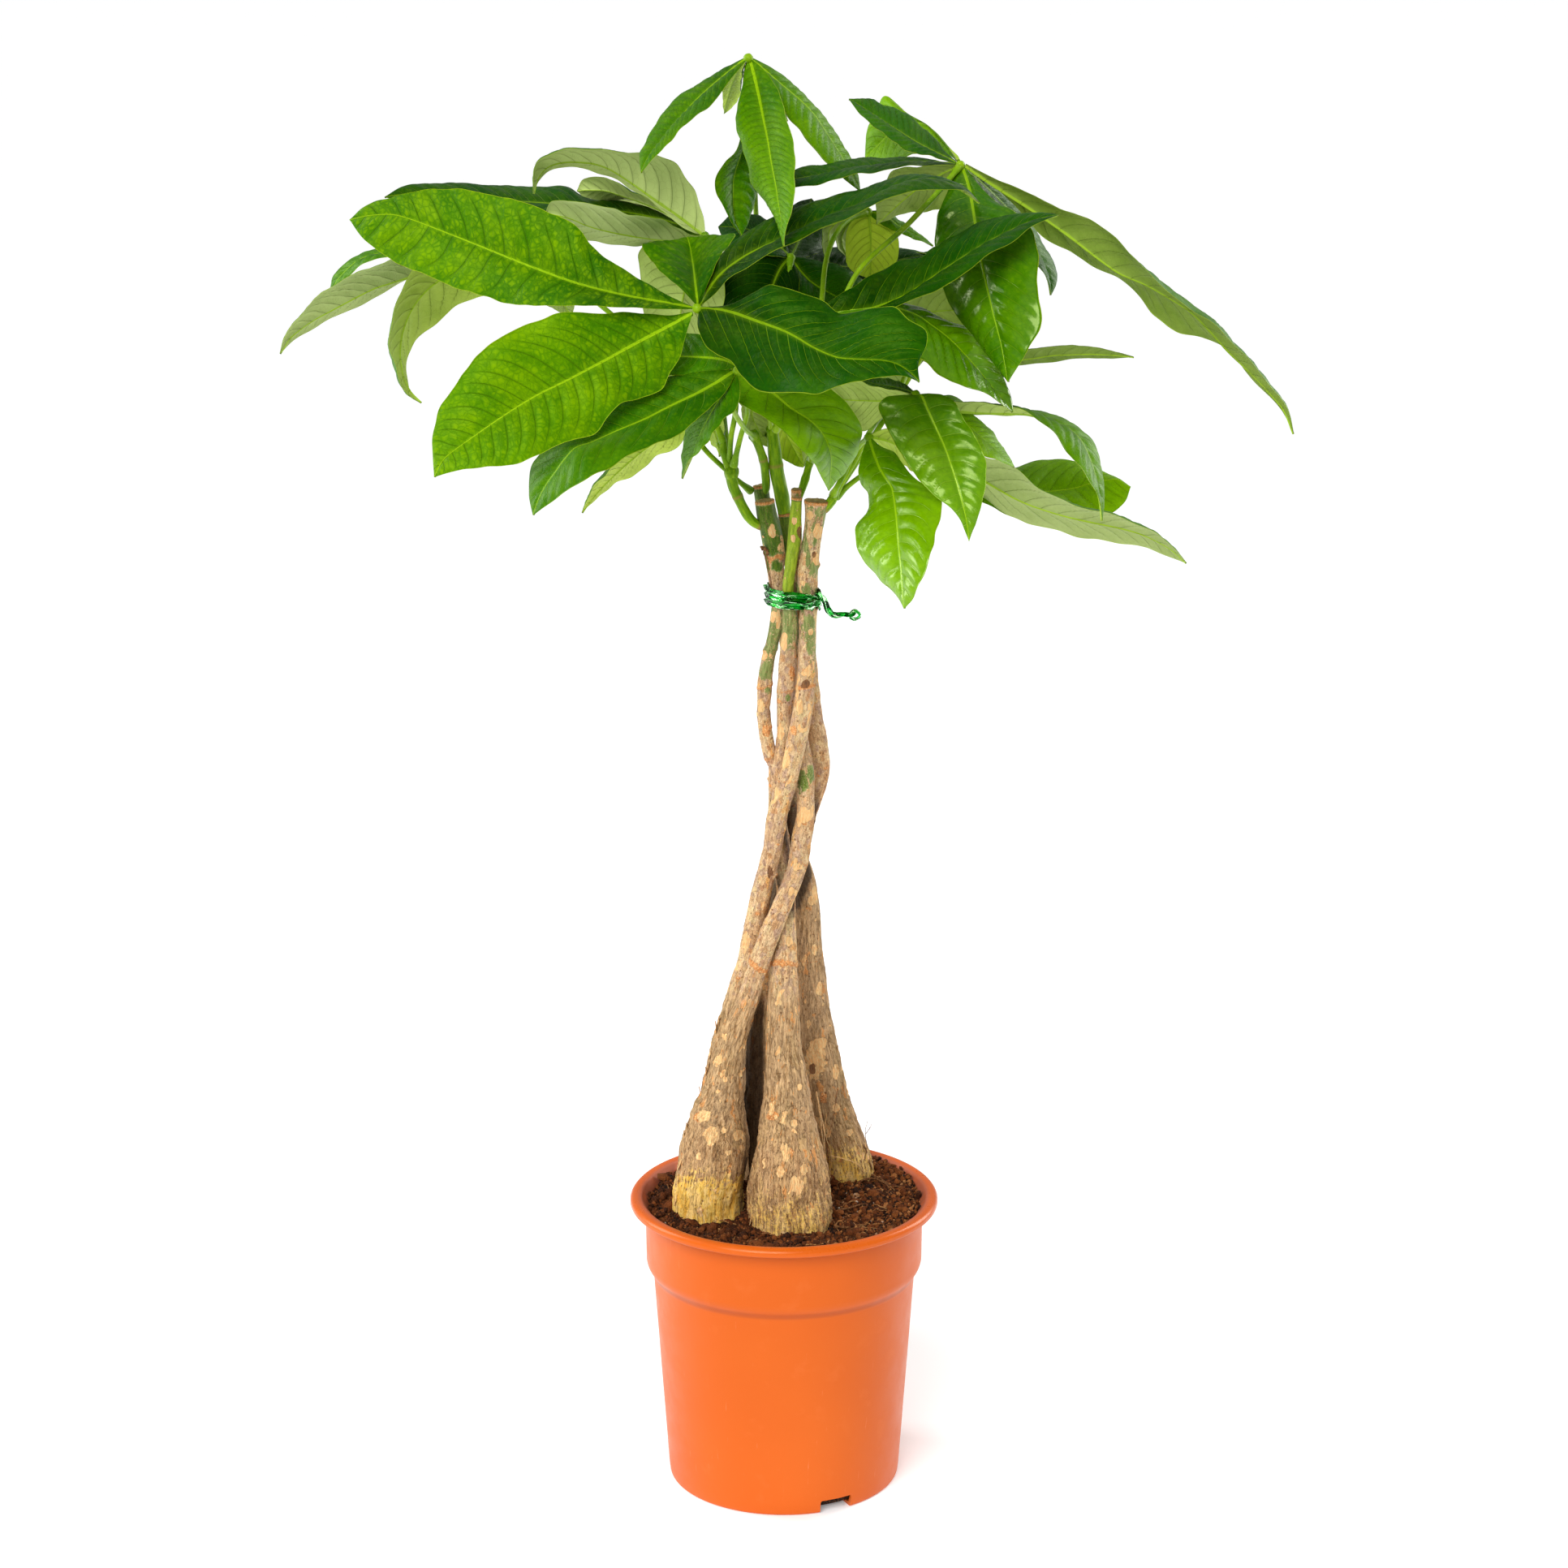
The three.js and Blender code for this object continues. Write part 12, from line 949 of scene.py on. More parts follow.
            fu, fv = picture(t2[:, :3])
            o = np.argsort(fv)
            uf = np.interp(v, fv[o], fu[o])
            rf = np.interp(v, fv[o], t2[o, 3]) * 2.05
            yf = np.interp(v, fv[o], t2[o, 1])
            side = abs(u - uf) - rf
            shade = np.maximum(shade, 0.90 * sstep(16, 3, side + 2.0 * jit) * sstep(2, 8, P0[..., 1] - yf) * sstep(950, 1010, v) * sstep(1190, 1120, v) * sstep(0.1, 0.65, toward))
    if key == "T3":
        shade = np.minimum(1, shade + 0.30 * sstep(1430, 1390, v) * sstep(1040, 1075, v))
    warm = sstep(1340, 1470, v) + 0 * u
    bd = np.stack([ochre, shade, warm], -1)
    # the sawn top: rings that close the end, marked as cut wood
    rows = [P]
    A = [ba, bb, bc, bd]
    tops = [(0.985, 0.0), (0.93, 0.25), (0.70, 0.1), (0.42, -0.15), (0.15, 0.0)]
    last = P[-1]
    cen = last.mean(0)
    for f, h in tops:
        ring = cen + (last - cen) * f + T[-1] * (h + 0.35 * gnoise(last * 0.8 + 30 * f)[:, None])
        rows.append(ring[None])
        for i, a in enumerate(A):
            e = a[-1:].copy()
            e[..., :2] = e[..., :2] * (f if i == 0 else 1)
            if i == 1:
                e = e * 0
            if i == 2:
                e[..., 1] = 1.0 if f < 0.95 else 0.6
                e[..., 2] = f
            A[i] = np.concatenate([a, e])
    P = np.concatenate(rows)
    nr = len(P)
    v3 = P.reshape(-1, 3)
    n = len(v3)
    v3 = np.vstack([v3, C[0], P[-1].mean(0)])
    k = np.arange(nv)
    tr = np.vstack([np.stack([np.full(nv, n), (k + 1) % nv, k], -1), np.stack([np.full(nv, n + 1), n - nv + k, n - nv + (k + 1) % nv], -1)])
    att = {}
    for nme, a in zip(("ba", "bb", "bc", "bd"), A):
        a = a.reshape(-1, 3)
        att[nme] = np.vstack([a, a[:1], a[-1:]])
    bag.add(v3, q=grid_faces(nr, nv, True), t=tr, **att)


def bark():
    k = Mat("bark")
    ba, bx, by, ln = k.attr("ba")
    _, G, Cm, S = k.attr("bb")
    _, zone, cutm, O = k.attr("bc")
    _, ochre, shade, warm = k.attr("bd")
    M = lambda a, b: k.math("MULTIPLY", a, b)
    warp = M(k.math("SUBTRACT", k.noise(ba, 0.35, 3, 0.6), 0.5), 2.4)
    wx, wy = k.math("ADD", bx, warp), k.math("SUBTRACT", by, warp)
    st = k.vec(bx, by, M(ln, 0.16))
    st2 = k.vec(wx, wy, M(ln, 0.5))
    fib = k.noise(st, 0.62, 6, 0.72)
    fib2 = k.noise(st, 2.1, 5, 0.70)
    blot = k.noise(st2, 0.10, 6, 0.68)
    blot2 = k.noise(k.vec(wy, wx, k.math("MULTIPLY_ADD", ln, 0.42, 40.0)), 0.17, 6, 0.70)
    tint = k.noise(k.vec(bx, by, k.math("MULTIPLY_ADD", ln, 0.3, 90.0)), 0.06, 4, 0.6)
    speck = k.noise(ba, 1.25, 4, 0.70)
    grain = k.noise(ba, 3.6, 3, 0.70)
    jag = k.math("SUBTRACT", k.noise(ba, 0.9, 4, 0.72), 0.5)
    # short dark cracks along the grain
    ck = k.noise(k.vec(wx, wy, M(ln, 0.12)), 0.46, 6, 0.74)
    crack = k.ramp(k.math("ABSOLUTE", k.math("SUBTRACT", ck, 0.50)), 0.0, 0.022, 1, 0)
    crackm = M(M(crack, k.ramp(fib, 0.62, 0.46)), k.ramp(zone, 0, 1, 1.0, 0.40, "LINEAR"))
    # little plates and flakes
    pl = k.voronoi(k.vec(wx, wy, M(ln, 0.30)), 0.46, "F1", "Color")
    ps = k.n("ShaderNodeSeparateColor")
    k.t.links.new(pl, ps.inputs[0])
    flake = k.voronoi(k.vec(wx, wy, M(ln, 0.30)), 0.46, "DISTANCE_TO_EDGE")
    edge = k.ramp(flake, 0.0, 0.10, 1, 0)
    # pits and lenticels
    pt = k.voronoi(k.vec(bx, by, M(ln, 0.8)), 0.30, "F1", "Distance")
    pit = M(k.ramp(pt, 0.20, 0.12, 0, 1), k.ramp(blot2, 0.42, 0.50))
    low = k.mix(k.ramp(fib, 0.36, 0.62), srgb(158, 122, 78), srgb(230, 196, 152))
    low = k.mix(M(k.ramp(blot, 0.50, 0.56), 0.5), low, srgb(208, 176, 138))
    low = k.mix(M(k.ramp(tint, 0.50, 0.60), 0.55), low, srgb(206, 174, 138))
    low = k.mix(M(k.ramp(tint, 0.46, 0.36), 0.40), low, srgb(188, 164, 114))
    low = k.mix(M(k.ramp(fib2, 0.53, 0.66), 0.60), low, srgb(248, 222, 188))
    low = k.mix(M(k.ramp(fib2, 0.46, 0.34), 0.66), low, srgb(142, 102, 62))
    low = k.mix(M(k.ramp(blot2, 0.59, 0.62), 0.75), low, srgb(246, 172, 98))
    low = k.mix(M(M(edge, k.ramp(ps.outputs[1], 0.5, 0.7)), 0.16), low, srgb(146, 106, 66))
    low = k.mix(M(M(warm, k.ramp(blot2, 0.47, 0.42)), 0.45), low, srgb(150, 102, 62))
    low = k.mix(M(M(warm, k.ramp(blot, 0.56, 0.60)), 0.60), low, srgb(250, 214, 150))
    gran = k.noise(k.vec(bx, by, M(ln, 0.6)), 0.95, 6, 0.80)
    up = k.mix(k.ramp(k.math("MULTIPLY_ADD", fib, 0.35, M(gran, 0.65)), 0.38, 0.60), srgb(190, 140, 98), srgb(246, 202, 148))
    up = k.mix(M(k.ramp(blot, 0.51, 0.545), 0.75), up, k.mix(k.ramp(fib2, 0.35, 0.65), srgb(232, 188, 132), srgb(250, 230, 172)))
    up = k.mix(M(k.ramp(tint, 0.54, 0.60), 0.55), up, k.mix(k.ramp(speck, 0.35, 0.65), srgb(165, 126, 97), srgb(226, 183, 148)))
    up = k.mix(M(k.ramp(blot2, 0.40, 0.36), 0.75), up, k.mix(k.ramp(speck, 0.4, 0.6), srgb(156, 111, 78), srgb(209, 159, 114)))
    up = k.mix(M(k.ramp(blot2, 0.585, 0.61), 0.75), up, srgb(252, 180, 91))
    up = k.mix(M(M(edge, k.ramp(ps.outputs[0], 0.45, 0.6)), 0.10), up, srgb(154, 106, 69))
    up = k.mix(M(k.ramp(speck, 0.56, 0.62), 0.66), up, srgb(128, 84, 54))
    up = k.mix(M(k.ramp(speck, 0.43, 0.37), 0.55), up, srgb(252, 241, 182))
    # small flakes that have come away in pale and brown patches
    cw = k.math("MULTIPLY", jag, 2.6)
    fl = k.n("ShaderNodeTexVoronoi", feature="F1")
    k.put(fl.inputs["Vector"], k.vec(k.math("ADD", wx, cw), k.math("SUBTRACT", wy, cw), k.math("MULTIPLY_ADD", jag, 2.2, M(ln, 0.62))))
    fl.inputs["Scale"].default_value = 0.40
    fs = k.n("ShaderNodeSeparateColor")
    k.t.links.new(fl.outputs["Color"], fs.inputs[0])
    up = k.mix(M(k.ramp(fs.outputs[0], 0.62, 0.66), 0.70), up, k.mix(k.ramp(gran, 0.40, 0.60), srgb(214, 166, 118), srgb(255, 226, 176)))
    up = k.mix(M(k.ramp(fs.outputs[1], 0.74, 0.78), 0.62), up, k.mix(k.ramp(gran, 0.40, 0.60), srgb(150, 112, 92), srgb(216, 178, 156)))
    up = k.mix(M(k.ramp(fs.outputs[2], 0.86, 0.90), 0.55), up, k.mix(k.ramp(gran, 0.40, 0.60), srgb(164, 104, 56), srgb(232, 160, 92)))
    low = k.mix(1.0, low, (0.89, 0.81, 0.68), "MULTIPLY")
    low = k.mix(M(warm, 0.60), low, (1.0, 0.92, 0.80), "MULTIPLY")
    col = k.mix(k.ramp(k.math("MULTIPLY_ADD", jag, 0.7, zone), 0.25, 0.75), low, up)
    col = k.mix(M(k.ramp(grain, 0.54, 0.66), 0.34), col, srgb(118, 78, 48))
    col = k.mix(M(k.ramp(grain, 0.44, 0.32), 0.30), col, srgb(246, 224, 184))
    och = k.ramp(k.math("ADD", k.math("MULTIPLY_ADD", jag, 1.3, ochre), M(k.math("SUBTRACT", fib, 0.5), 1.5)), 0.30, 0.70)
    ochc = k.mix(k.ramp(fib, 0.36, 0.62), srgb(255, 188, 62), srgb(255, 214, 108))
    ochc = k.mix(M(k.ramp(blot2, 0.50, 0.54), 0.7), ochc, srgb(255, 216, 138))
    ochc = k.mix(M(k.ramp(speck, 0.60, 0.66), 0.45), ochc, srgb(196, 118, 40))
    col = k.mix(M(och, 0.92), col, ochc)
    col = k.mix(M(M(crackm, k.math("MULTIPLY_ADD", warm, 0.40, 0.48)), k.math("MULTIPLY_ADD", och, -0.6, 1.0)), col, srgb(92, 58, 34))
    ring = k.ramp(k.math("MULTIPLY_ADD", jag, 1.1, O), 0.34, 0.60)
    ringc = k.mix(k.ramp(fib2, 0.38, 0.62), srgb(196, 112, 52), srgb(250, 172, 98))
    ringc = k.mix(k.ramp(speck, 0.46, 0.36), ringc, srgb(255, 228, 170))
    col = k.mix(M(ring, 0.9), col, ringc)
    col = k.mix(M(pit, 0.75), col, k.mix(k.ramp(grain, 0.4, 0.6), srgb(88, 56, 34), srgb(170, 112, 62)))
    chip = k.ramp(k.math("MULTIPLY_ADD", jag, 1.2, Cm), 0.44, 0.54)
    rim = M(k.ramp(k.math("MULTIPLY_ADD", jag, 1.2, Cm), 0.24, 0.40), k.math("SUBTRACT", 1.0, chip))
    chipc = k.mix(k.ramp(fib2, 0.36, 0.64), srgb(255, 186, 116), srgb(255, 222, 160))
    chipc = k.mix(M(k.ramp(fib, 0.54, 0.66), 0.4), chipc, srgb(226, 158, 92))
    col = k.mix(M(rim, 0.22), col, srgb(112, 74, 44))
    col = k.mix(M(chip, 0.95), col, chipc)
    g = k.math("ADD", k.math("MULTIPLY_ADD", jag, 1.2, G), M(k.math("SUBTRACT", blot2, 0.5), 0.9))
    dark = M(k.ramp(g, 0.42, 0.54), k.ramp(G, 0.03, 0.18))
    bright = k.ramp(G, 1.0, 1.8)
    olive = k.mix(k.ramp(fib, 0.3, 0.7), srgb(58, 96, 4), srgb(108, 138, 30))
    pale = k.mix(k.ramp(fib, 0.3, 0.7), srgb(112, 130, 56), srgb(168, 176, 104))
    olive = k.mix(k.ramp(k.math("MULTIPLY_ADD", jag, 0.9, G), 0.88, 0.70), olive, pale)
    gb = k.mix(k.ramp(fib, 0.3, 0.7), srgb(126, 160, 12), srgb(184, 206, 44))
    gb = k.mix(M(k.ramp(grain, 0.55, 0.68), 0.35), gb, srgb(214, 220, 130))
    gcol = k.mix(bright, olive, gb)
    keep = M(dark, k.math("SUBTRACT", 1.0, chip))
    col = k.mix(keep, col, gcol)
    col = k.mix(M(keep, M(k.ramp(speck, 0.60, 0.66), 0.7)), col, srgb(190, 160, 104))
    col = k.mix(M(M(keep, k.math("SUBTRACT", 1.0, bright)), M(k.ramp(gran, 0.56, 0.62), 0.60)), col, srgb(172, 134, 92))
    scar = k.ramp(k.math("MULTIPLY_ADD", jag, 0.9, S), 0.36, 0.56)
    col = k.mix(M(scar, 0.92), col, k.mix(k.ramp(fib2, 0.4, 0.6), srgb(92, 56, 34), srgb(158, 104, 62)))
    col = k.mix(k.ramp(k.math("MULTIPLY_ADD", jag, 0.5, shade), 0.15, 0.95), col, k.mix(0.86, col, srgb(34, 20, 10)))
    # sawn tops: pale wood with brown specks and a brown edge
    cutc = k.mix(k.ramp(speck, 0.46, 0.66), srgb(255, 212, 160), srgb(176, 104, 60))
    cutc = k.mix(M(k.ramp(blot2, 0.50, 0.56), 0.8), cutc, srgb(255, 228, 186))
    cutc = k.mix(k.ramp(k.math("MULTIPLY_ADD", jag, 0.5, O), 0.86, 0.98), cutc, srgb(206, 134, 74))
    col = k.mix(cutm, col, cutc)
    long = k.ramp(zone, 0, 1, 1.0, 0.40, "LINEAR")
    h = k.math("ADD", M(M(fib, 0.9), long), k.math("ADD", M(M(fib2, 0.55), long), M(crackm, -0.7)))
    h = k.math("ADD", h, M(gran, k.ramp(zone, 0, 1, 0.1, 1.1, "LINEAR")))
    h = k.math("ADD", h, k.math("ADD", M(speck, -0.30), M(edge, -0.22)))
    h = k.math("ADD", h, k.math("ADD", M(pit, -0.5), k.math("ADD", M(ring, 0.35), M(chip, -0.35))))
    rough = k.math("SUBTRACT", 0.80, M(keep, 0.30))
    return k.set(color=col, rough=rough, spec=0.3, normal=k.bump(h, 0.0010, 0.85))


BARK = bark()


def shred(bag, C, R, tone, flat=0.25, sides=8, roll=0.0):
    """A loose strip: tone 0 brown, 1 pale."""
    v, q, t = tube(np.asarray(C, float), np.asarray(R, float), sides, flat=flat, roll=roll, dome=0.2)
    n = len(v)
    bag.add(v, q=q, t=t, ba=v + 40.0, bb=(0.0, tone, 1.0 - tone), bc=(0.0, 0.0, 0.0), bd=(0.0, 0.0, 0.5))


def flakes(bag, key):
    """Curled bark flakes that stand off the surface."""
    rf = np.random.default_rng(77)
    tab = np.asarray(TRUNKS[key], float)
    C = catmull(tab[:, :3], np.linspace(0, 1, 500))
    R = np.interp(np.linspace(0, 1, 500), np.linspace(0, 1, len(tab)), tab[:, 3])
    T, U, W = frames(C)
    cu, cv = picture(C)
    spots = {"T4": [(1262, 0.6), (1272, 0.9), (1290, 0.5), (1306, 0.8), (1322, 0.7), (1334, 1.0), (1347, 0.8), (1360, 0.9), (1372, 0.6), (1392, 0.9)],
             "T1": [(1395, 0.9), (1404, 0.7), (1420, 1.0), (1437, 0.8), (1452, 0.7), (1466, 0.9), (1480, 0.6)],
             "T2": [(1330, 0.6), (1395, 0.7), (1440, 0.8), (1470, 0.7), (1488, 0.8)], "T3": [(1300, 0.7), (1330, 0.6), (1405, 0.8), (1425, 0.9)]}[key]
    for rv, big in spots:
        i = int(np.argmin(abs(cv - rv)))
        for side in ((-1,) if key in ("T4", "T1") else (-1, 1)):
            a = rf.uniform(-0.35, 0.35)
            out = unit(np.array([side * math.cos(a), -abs(math.sin(a)) - 0.15, 0.0]))
            p = C[i] + out * (R[i] - 0.2)
            n = 7
            t = np.linspace(0, 1, n)
            L = 4.2 + 4.5 * big * rf.uniform(0.6, 1.2)
            up = T[i] * (1 if T[i][2] > 0 else -1) * (1 if rf.uniform() < 0.5 else -1)
            path = p + up * (L * t)[:, None] + out * (0.1 + 1.9 * big * t**2)[:, None]
            w = 1.7 * big * (0.75 + 0.5 * np.sin(np.pi * t)) * rf.uniform(0.8, 1.3)
            shred(bag, path, w, float(rf.choice([0.4, 1.0, 1.0, 1.0])), flat=0.16, roll=math.pi / 2 if abs(out[0]) > 0.5 else 0.0)


def strip(bag, pts, r, tone, flat=0.5):
    C = catmull(np.array([at(*p) for p in pts]), np.linspace(0, 1, 26))
    t = np.linspace(0, 1, 26)
    C = C + 0.35 * np.stack([gnoise(np.stack([t * 7, 0 * t + pts[0][0], 0 * t + j], -1)) for j in range(3)], 1)
    shred(bag, C, r * (1 - 0.55 * t) * (1 + 0.25 * gnoise(np.stack([t * 9, 0 * t, 0 * t + pts[0][0]], -1))), tone, flat)
for node, keys in (("trunk_front_left", ["T1"]), ("trunk_front_centre", ["T2", "T2a", "T2b"]), ("trunk_left_back", ["T4"]), ("trunk_right", ["T3"]), ("trunk_back", ["T5"])):
    bag = Bag()
    for key in keys:
        trunk(bag, key)
        if key in ("T1", "T2", "T3", "T4"):
            flakes(bag, key)
    if node == "trunk_front_centre":
        # dry leaf stalk that hangs beside the stem
        strip(bag, [(941, 679, -4.5), (944, 692, -5.0), (947, 706, -5.2), (952, 727, -4.8)], 0.75, 0.0, 0.6)
        strip(bag, [(943, 681, -5.0), (947, 694, -5.4), (949, 709, -5.6), (951, 722, -5.2)], 0.5, 0.5, 0.6)
        strip(bag, [(938, 676, -4.2), (942, 676, -4.6), (945, 679, -4.9), (946, 684, -5.0)], 1.7, 0.0, 0.8)
        for p in ([(1006, 1345, -14), (1011, 1378, -17), (1014, 1410, -19), (1018, 1446, -20)], [(1009, 1360, -12), (1015, 1392, -14), (1017, 1425, -16), (1024, 1452, -16)]):
            strip(bag, p, 1.0, 0.6, 0.4)
    if node == "trunk_right":
        for p, r, c in (([(1013, 1362, 24), (1014, 1388, 22), (1019, 1412, 20), (1021, 1440, 18)], 0.8, 0.0), ([(1018, 1372, 22), (1017, 1398, 20), (1024, 1420, 18), (1023, 1446, 17)], 0.6, 0.7),
                        ([(1032, 1342, 17), (1029, 1362, 15), (1025, 1384, 14), (1020, 1402, 14)], 0.45, 0.0), ([(1024, 1424, 17), (1040, 1428, 14), (1056, 1434, 16), (1066, 1446, 20)], 0.5, 0.8),
                        ([(1030, 1440, 16), (1027, 1448, 14), (1021, 1458, 12), (1014, 1466, 10)], 0.6, 0.5), ([(1065, 1430, 22), (1068, 1412, 20), (1066, 1396, 20), (1069, 1381, 21)], 0.55, 0.0),
                        ([(1067, 1397, 20), (1071, 1391, 20), (1073, 1388, 20), (1074, 1384, 20)], 0.4, 0.0)):
            strip(bag, p, r, c)
    bag.done("fine_" + node, [BARK], node=node, slot="bark")


# ------------------------------------------------------------------ green shoots
def shoot_mat():
    k = Mat("shoot_green")
    ba, bx, by, ln = k.attr("ba")
    _, scar, top, sd = k.attr("bb")
    st = k.vec(bx, by, k.math("MULTIPLY", ln, 0.2))
    fib = k.noise(st, 0.6, 4, 0.6)
    speck = k.noise(ba, 1.3, 3, 0.6)
    col = k.mix(k.ramp(fib, 0.3, 0.7), srgb(82, 130, 4), srgb(132, 170, 14))
    col = k.mix(k.math("MULTIPLY", k.ramp(speck, 0.60, 0.70), 0.4), col, srgb(178, 192, 70))
    col = k.mix(scar, col, srgb(146, 122, 62))
    h = k.math("ADD", fib, k.math("MULTIPLY", speck, 0.4))
    k.p.inputs["Specular Tint"].default_value = (0.75, 0.95, 0.25, 1)
    return k.set(color=col, rough=0.42, spec=0.4, normal=k.bump(h, 0.0004, 0.7))


SHOOT = shoot_mat()
for key, node in (("S1", "shoot_left"), ("S2", "shoot_mid_left"), ("S3", "shoot_centre"), ("S4", "shoot_mid_right"), ("S5", "shoot_right")):
    bag = Bag()
    for gi, tab in enumerate(SHOOTS[key]):
        tab = np.asarray(tab, float)
        n = 60
        s = np.linspace(0, 1, n)
        C = catmull(tab[:, :3], s)
        R = np.interp(s, np.linspace(0, 1, len(tab)), tab[:, 3])
        ln = np.concatenate([[0], np.cumsum(np.linalg.norm(np.diff(C, axis=0), axis=1))])
        L = ln[-1]
        scar = np.exp(-(((ln - 0.03 * L) / 1.6) ** 2)) + np.exp(-(((ln - 0.62 * L) / 0.9) ** 2)) * (0.8 if L > 25 else 0)
        R = R * (1 + 0.10 * np.exp(-(((ln - 0.62 * L) / 1.8) ** 2)) + 0.12 * np.exp(-(((L - ln) / 3.0) ** 2)) + 0.10 * np.exp(-((ln / 3.0) ** 2)))
        sides = 28
        th = np.linspace(0, 2 * np.pi, sides, endpoint=False)
        nz = gnoise(np.stack([np.cos(th)[None] * 1.5 + 0 * ln[:, None], np.sin(th)[None] * 1.5 + 0 * ln[:, None], ln[:, None] * 0.12 + 0 * th[None] + gi * 7], -1))
        RR = R[:, None] * (1 + 0.045 * nz)
        v, q, t = tube(C, RR, sides, dome=1.0)
        rep = lambda a: np.concatenate([np.repeat(a, sides), [a[0], a[-1]]])
        bx = np.concatenate([(R[:, None] * np.cos(th)[None]).reshape(-1), [0, 0]])
        by = np.concatenate([(R[:, None] * np.sin(th)[None]).reshape(-1), [0, 0]])
        bag.add(v, q=q, t=t, ba=np.stack([bx, by, rep(ln)], -1), bb=np.stack([rep(scar), rep(ln / L), 0 * rep(ln)], -1))
    # swollen joint at the top
    c = catmull(np.asarray(SHOOTS[key][0], float)[:, :3], np.array([1.0]))[0]
    r = np.asarray(SHOOTS[key][0], float)[-1, 3]
    th = np.linspace(0, np.pi, 14)
    ph = np.linspace(0, 2 * np.pi, 24, endpoint=False)
    S = np.stack([np.outer(np.sin(th), np.cos(ph)), np.outer(np.sin(th), np.sin(ph)), np.outer(np.cos(th), np.ones(24)) * 1.15], -1)
    S = S * (1 + 0.14 * gnoise(S.reshape(-1, 3) * 1.7 + ord(key[1])).reshape(14, 24))[..., None] * (r * 1.22) + c
    bag.add(S.reshape(-1, 3), q=grid_faces(14, 24, True)[:, ::-1], ba=S.reshape(-1, 3), bb=np.zeros((14 * 24, 3)))
    bag.done("fine_" + node, [SHOOT], node=node, slot="green_stem")



# ------------------------------------------------------------------ soil
TRUNK_FEET = []
for key in ("T1", "T2", "T3", "T4", "T5"):
    tab = np.asarray(TRUNKS[key], float)
    z = tab[:, 2]
    TRUNK_FEET.append((np.interp(180, z, tab[:, 0]), np.interp(180, z, tab[:, 1]), np.interp(180, z, tab[:, 3])))


def soil_height(x, y):
    h = 177 + 1.2 + 3.2 * np.exp(-((x - 30) ** 2 + (y - 52) ** 2) / 900) + 3.4 * np.exp(-((x - 62) ** 2 + (y - 34) ** 2) / 1500) + 1.5 * np.sin(x * 0.13 + 1) * np.cos(y * 0.11) + 0.02 * y
    P = np.stack([x, y, 0 * x], -1)
    h = h + 1.5 * fbm(P * 0.075 + 3, 2) + 1.1 * fbm(P * 0.21 + 9, 3) + 0.6 * fbm(P * 0.6 + 5, 2)
    return h


bag = Bag()
nr, na = 110, 260
rr = 84.6 * np.linspace(0.004, 1, nr) ** 0.85
aa = np.linspace(0, 2 * np.pi, na, endpoint=False)
X = rr[:, None] * np.cos(aa)[None]
Y = rr[:, None] * np.sin(aa)[None]
Z = soil_height(X, Y) - 1.6 * sstep(78, 84.6, rr)[:, None]
V = np.stack([X, Y, Z], -1)
wall = [(84.0, 170.0), (82.6, 146.0), (78.2, 133.0), (69.4, 8.0), (66.0, 2.8), (0.4, 2.8)]
ring = [np.stack([r * np.cos(aa), r * np.sin(aa), np.full(na, z)], -1) for r, z in wall]
V = np.concatenate([V, np.array(ring)])
v = V.reshape(-1, 3)
n = len(v)
v = np.vstack([v, [0, 0, float(Z[0].mean())], [0, 0, 2.8]])
k = np.arange(na)
nn = len(V)
tr = np.vstack([np.stack([np.full(na, n), k, (k + 1) % na], -1), np.stack([np.full(na, n + 1), (nn - 1) * na + (k + 1) % na, (nn - 1) * na + k], -1)])
bag.add(v, q=grid_faces(nn, na, True)[:, ::-1], t=tr, sa=np.zeros((len(v), 3)))
# crumbs of peat, bark bits and pale grains lying on the surface
ico_v = []
ph = (1 + 5**0.5) / 2
for a, b in ((1, ph), (-1, ph), (1, -ph), (-1, -ph)):
    ico_v += [(0, a, b), (a, b, 0), (b, 0, a)]
ico_v = unit(np.array(ico_v, float))
tri = []
for i in range(12):
    for j in range(i + 1, 12):
        for m in range(j + 1, 12):
            dd = [np.linalg.norm(ico_v[p] - ico_v[q]) for p, q in ((i, j), (j, m), (i, m))]
            if max(dd) < 1.2:
                nrm = np.cross(ico_v[j] - ico_v[i], ico_v[m] - ico_v[i])
                tri.append((i, j, m) if nrm @ ico_v[i] > 0 else (i, m, j))
ico_t = np.array(tri)
count = 7200
r0 = 84.0 * np.sqrt(rng.uniform(0, 1, count))
a0 = rng.uniform(0, 2 * np.pi, count)
cx, cy = r0 * np.cos(a0), r0 * np.sin(a0)
ok = np.ones(count, bool)
for fx, fy, fr in TRUNK_FEET:
    ok &= (cx - fx) ** 2 + (cy - fy) ** 2 > (fr - 1.0) ** 2
cx, cy = cx[ok], cy[ok]
count = len(cx)
size = np.exp(rng.normal(0.0, 0.52, count)) * 0.92
size = np.clip(size, 0.4, 4.2)
cz = soil_height(cx, cy) + size * rng.uniform(-0.1, 0.55, count)
kind = rng.uniform(0, 1, count)
tonec = np.where(kind > 0.997, 0.92, np.where(kind > 0.93, rng.uniform(0.40, 0.62, count), rng.uniform(0.04, 0.42, count)))
size = np.where(kind > 0.93, np.minimum(size, 0.9), size)
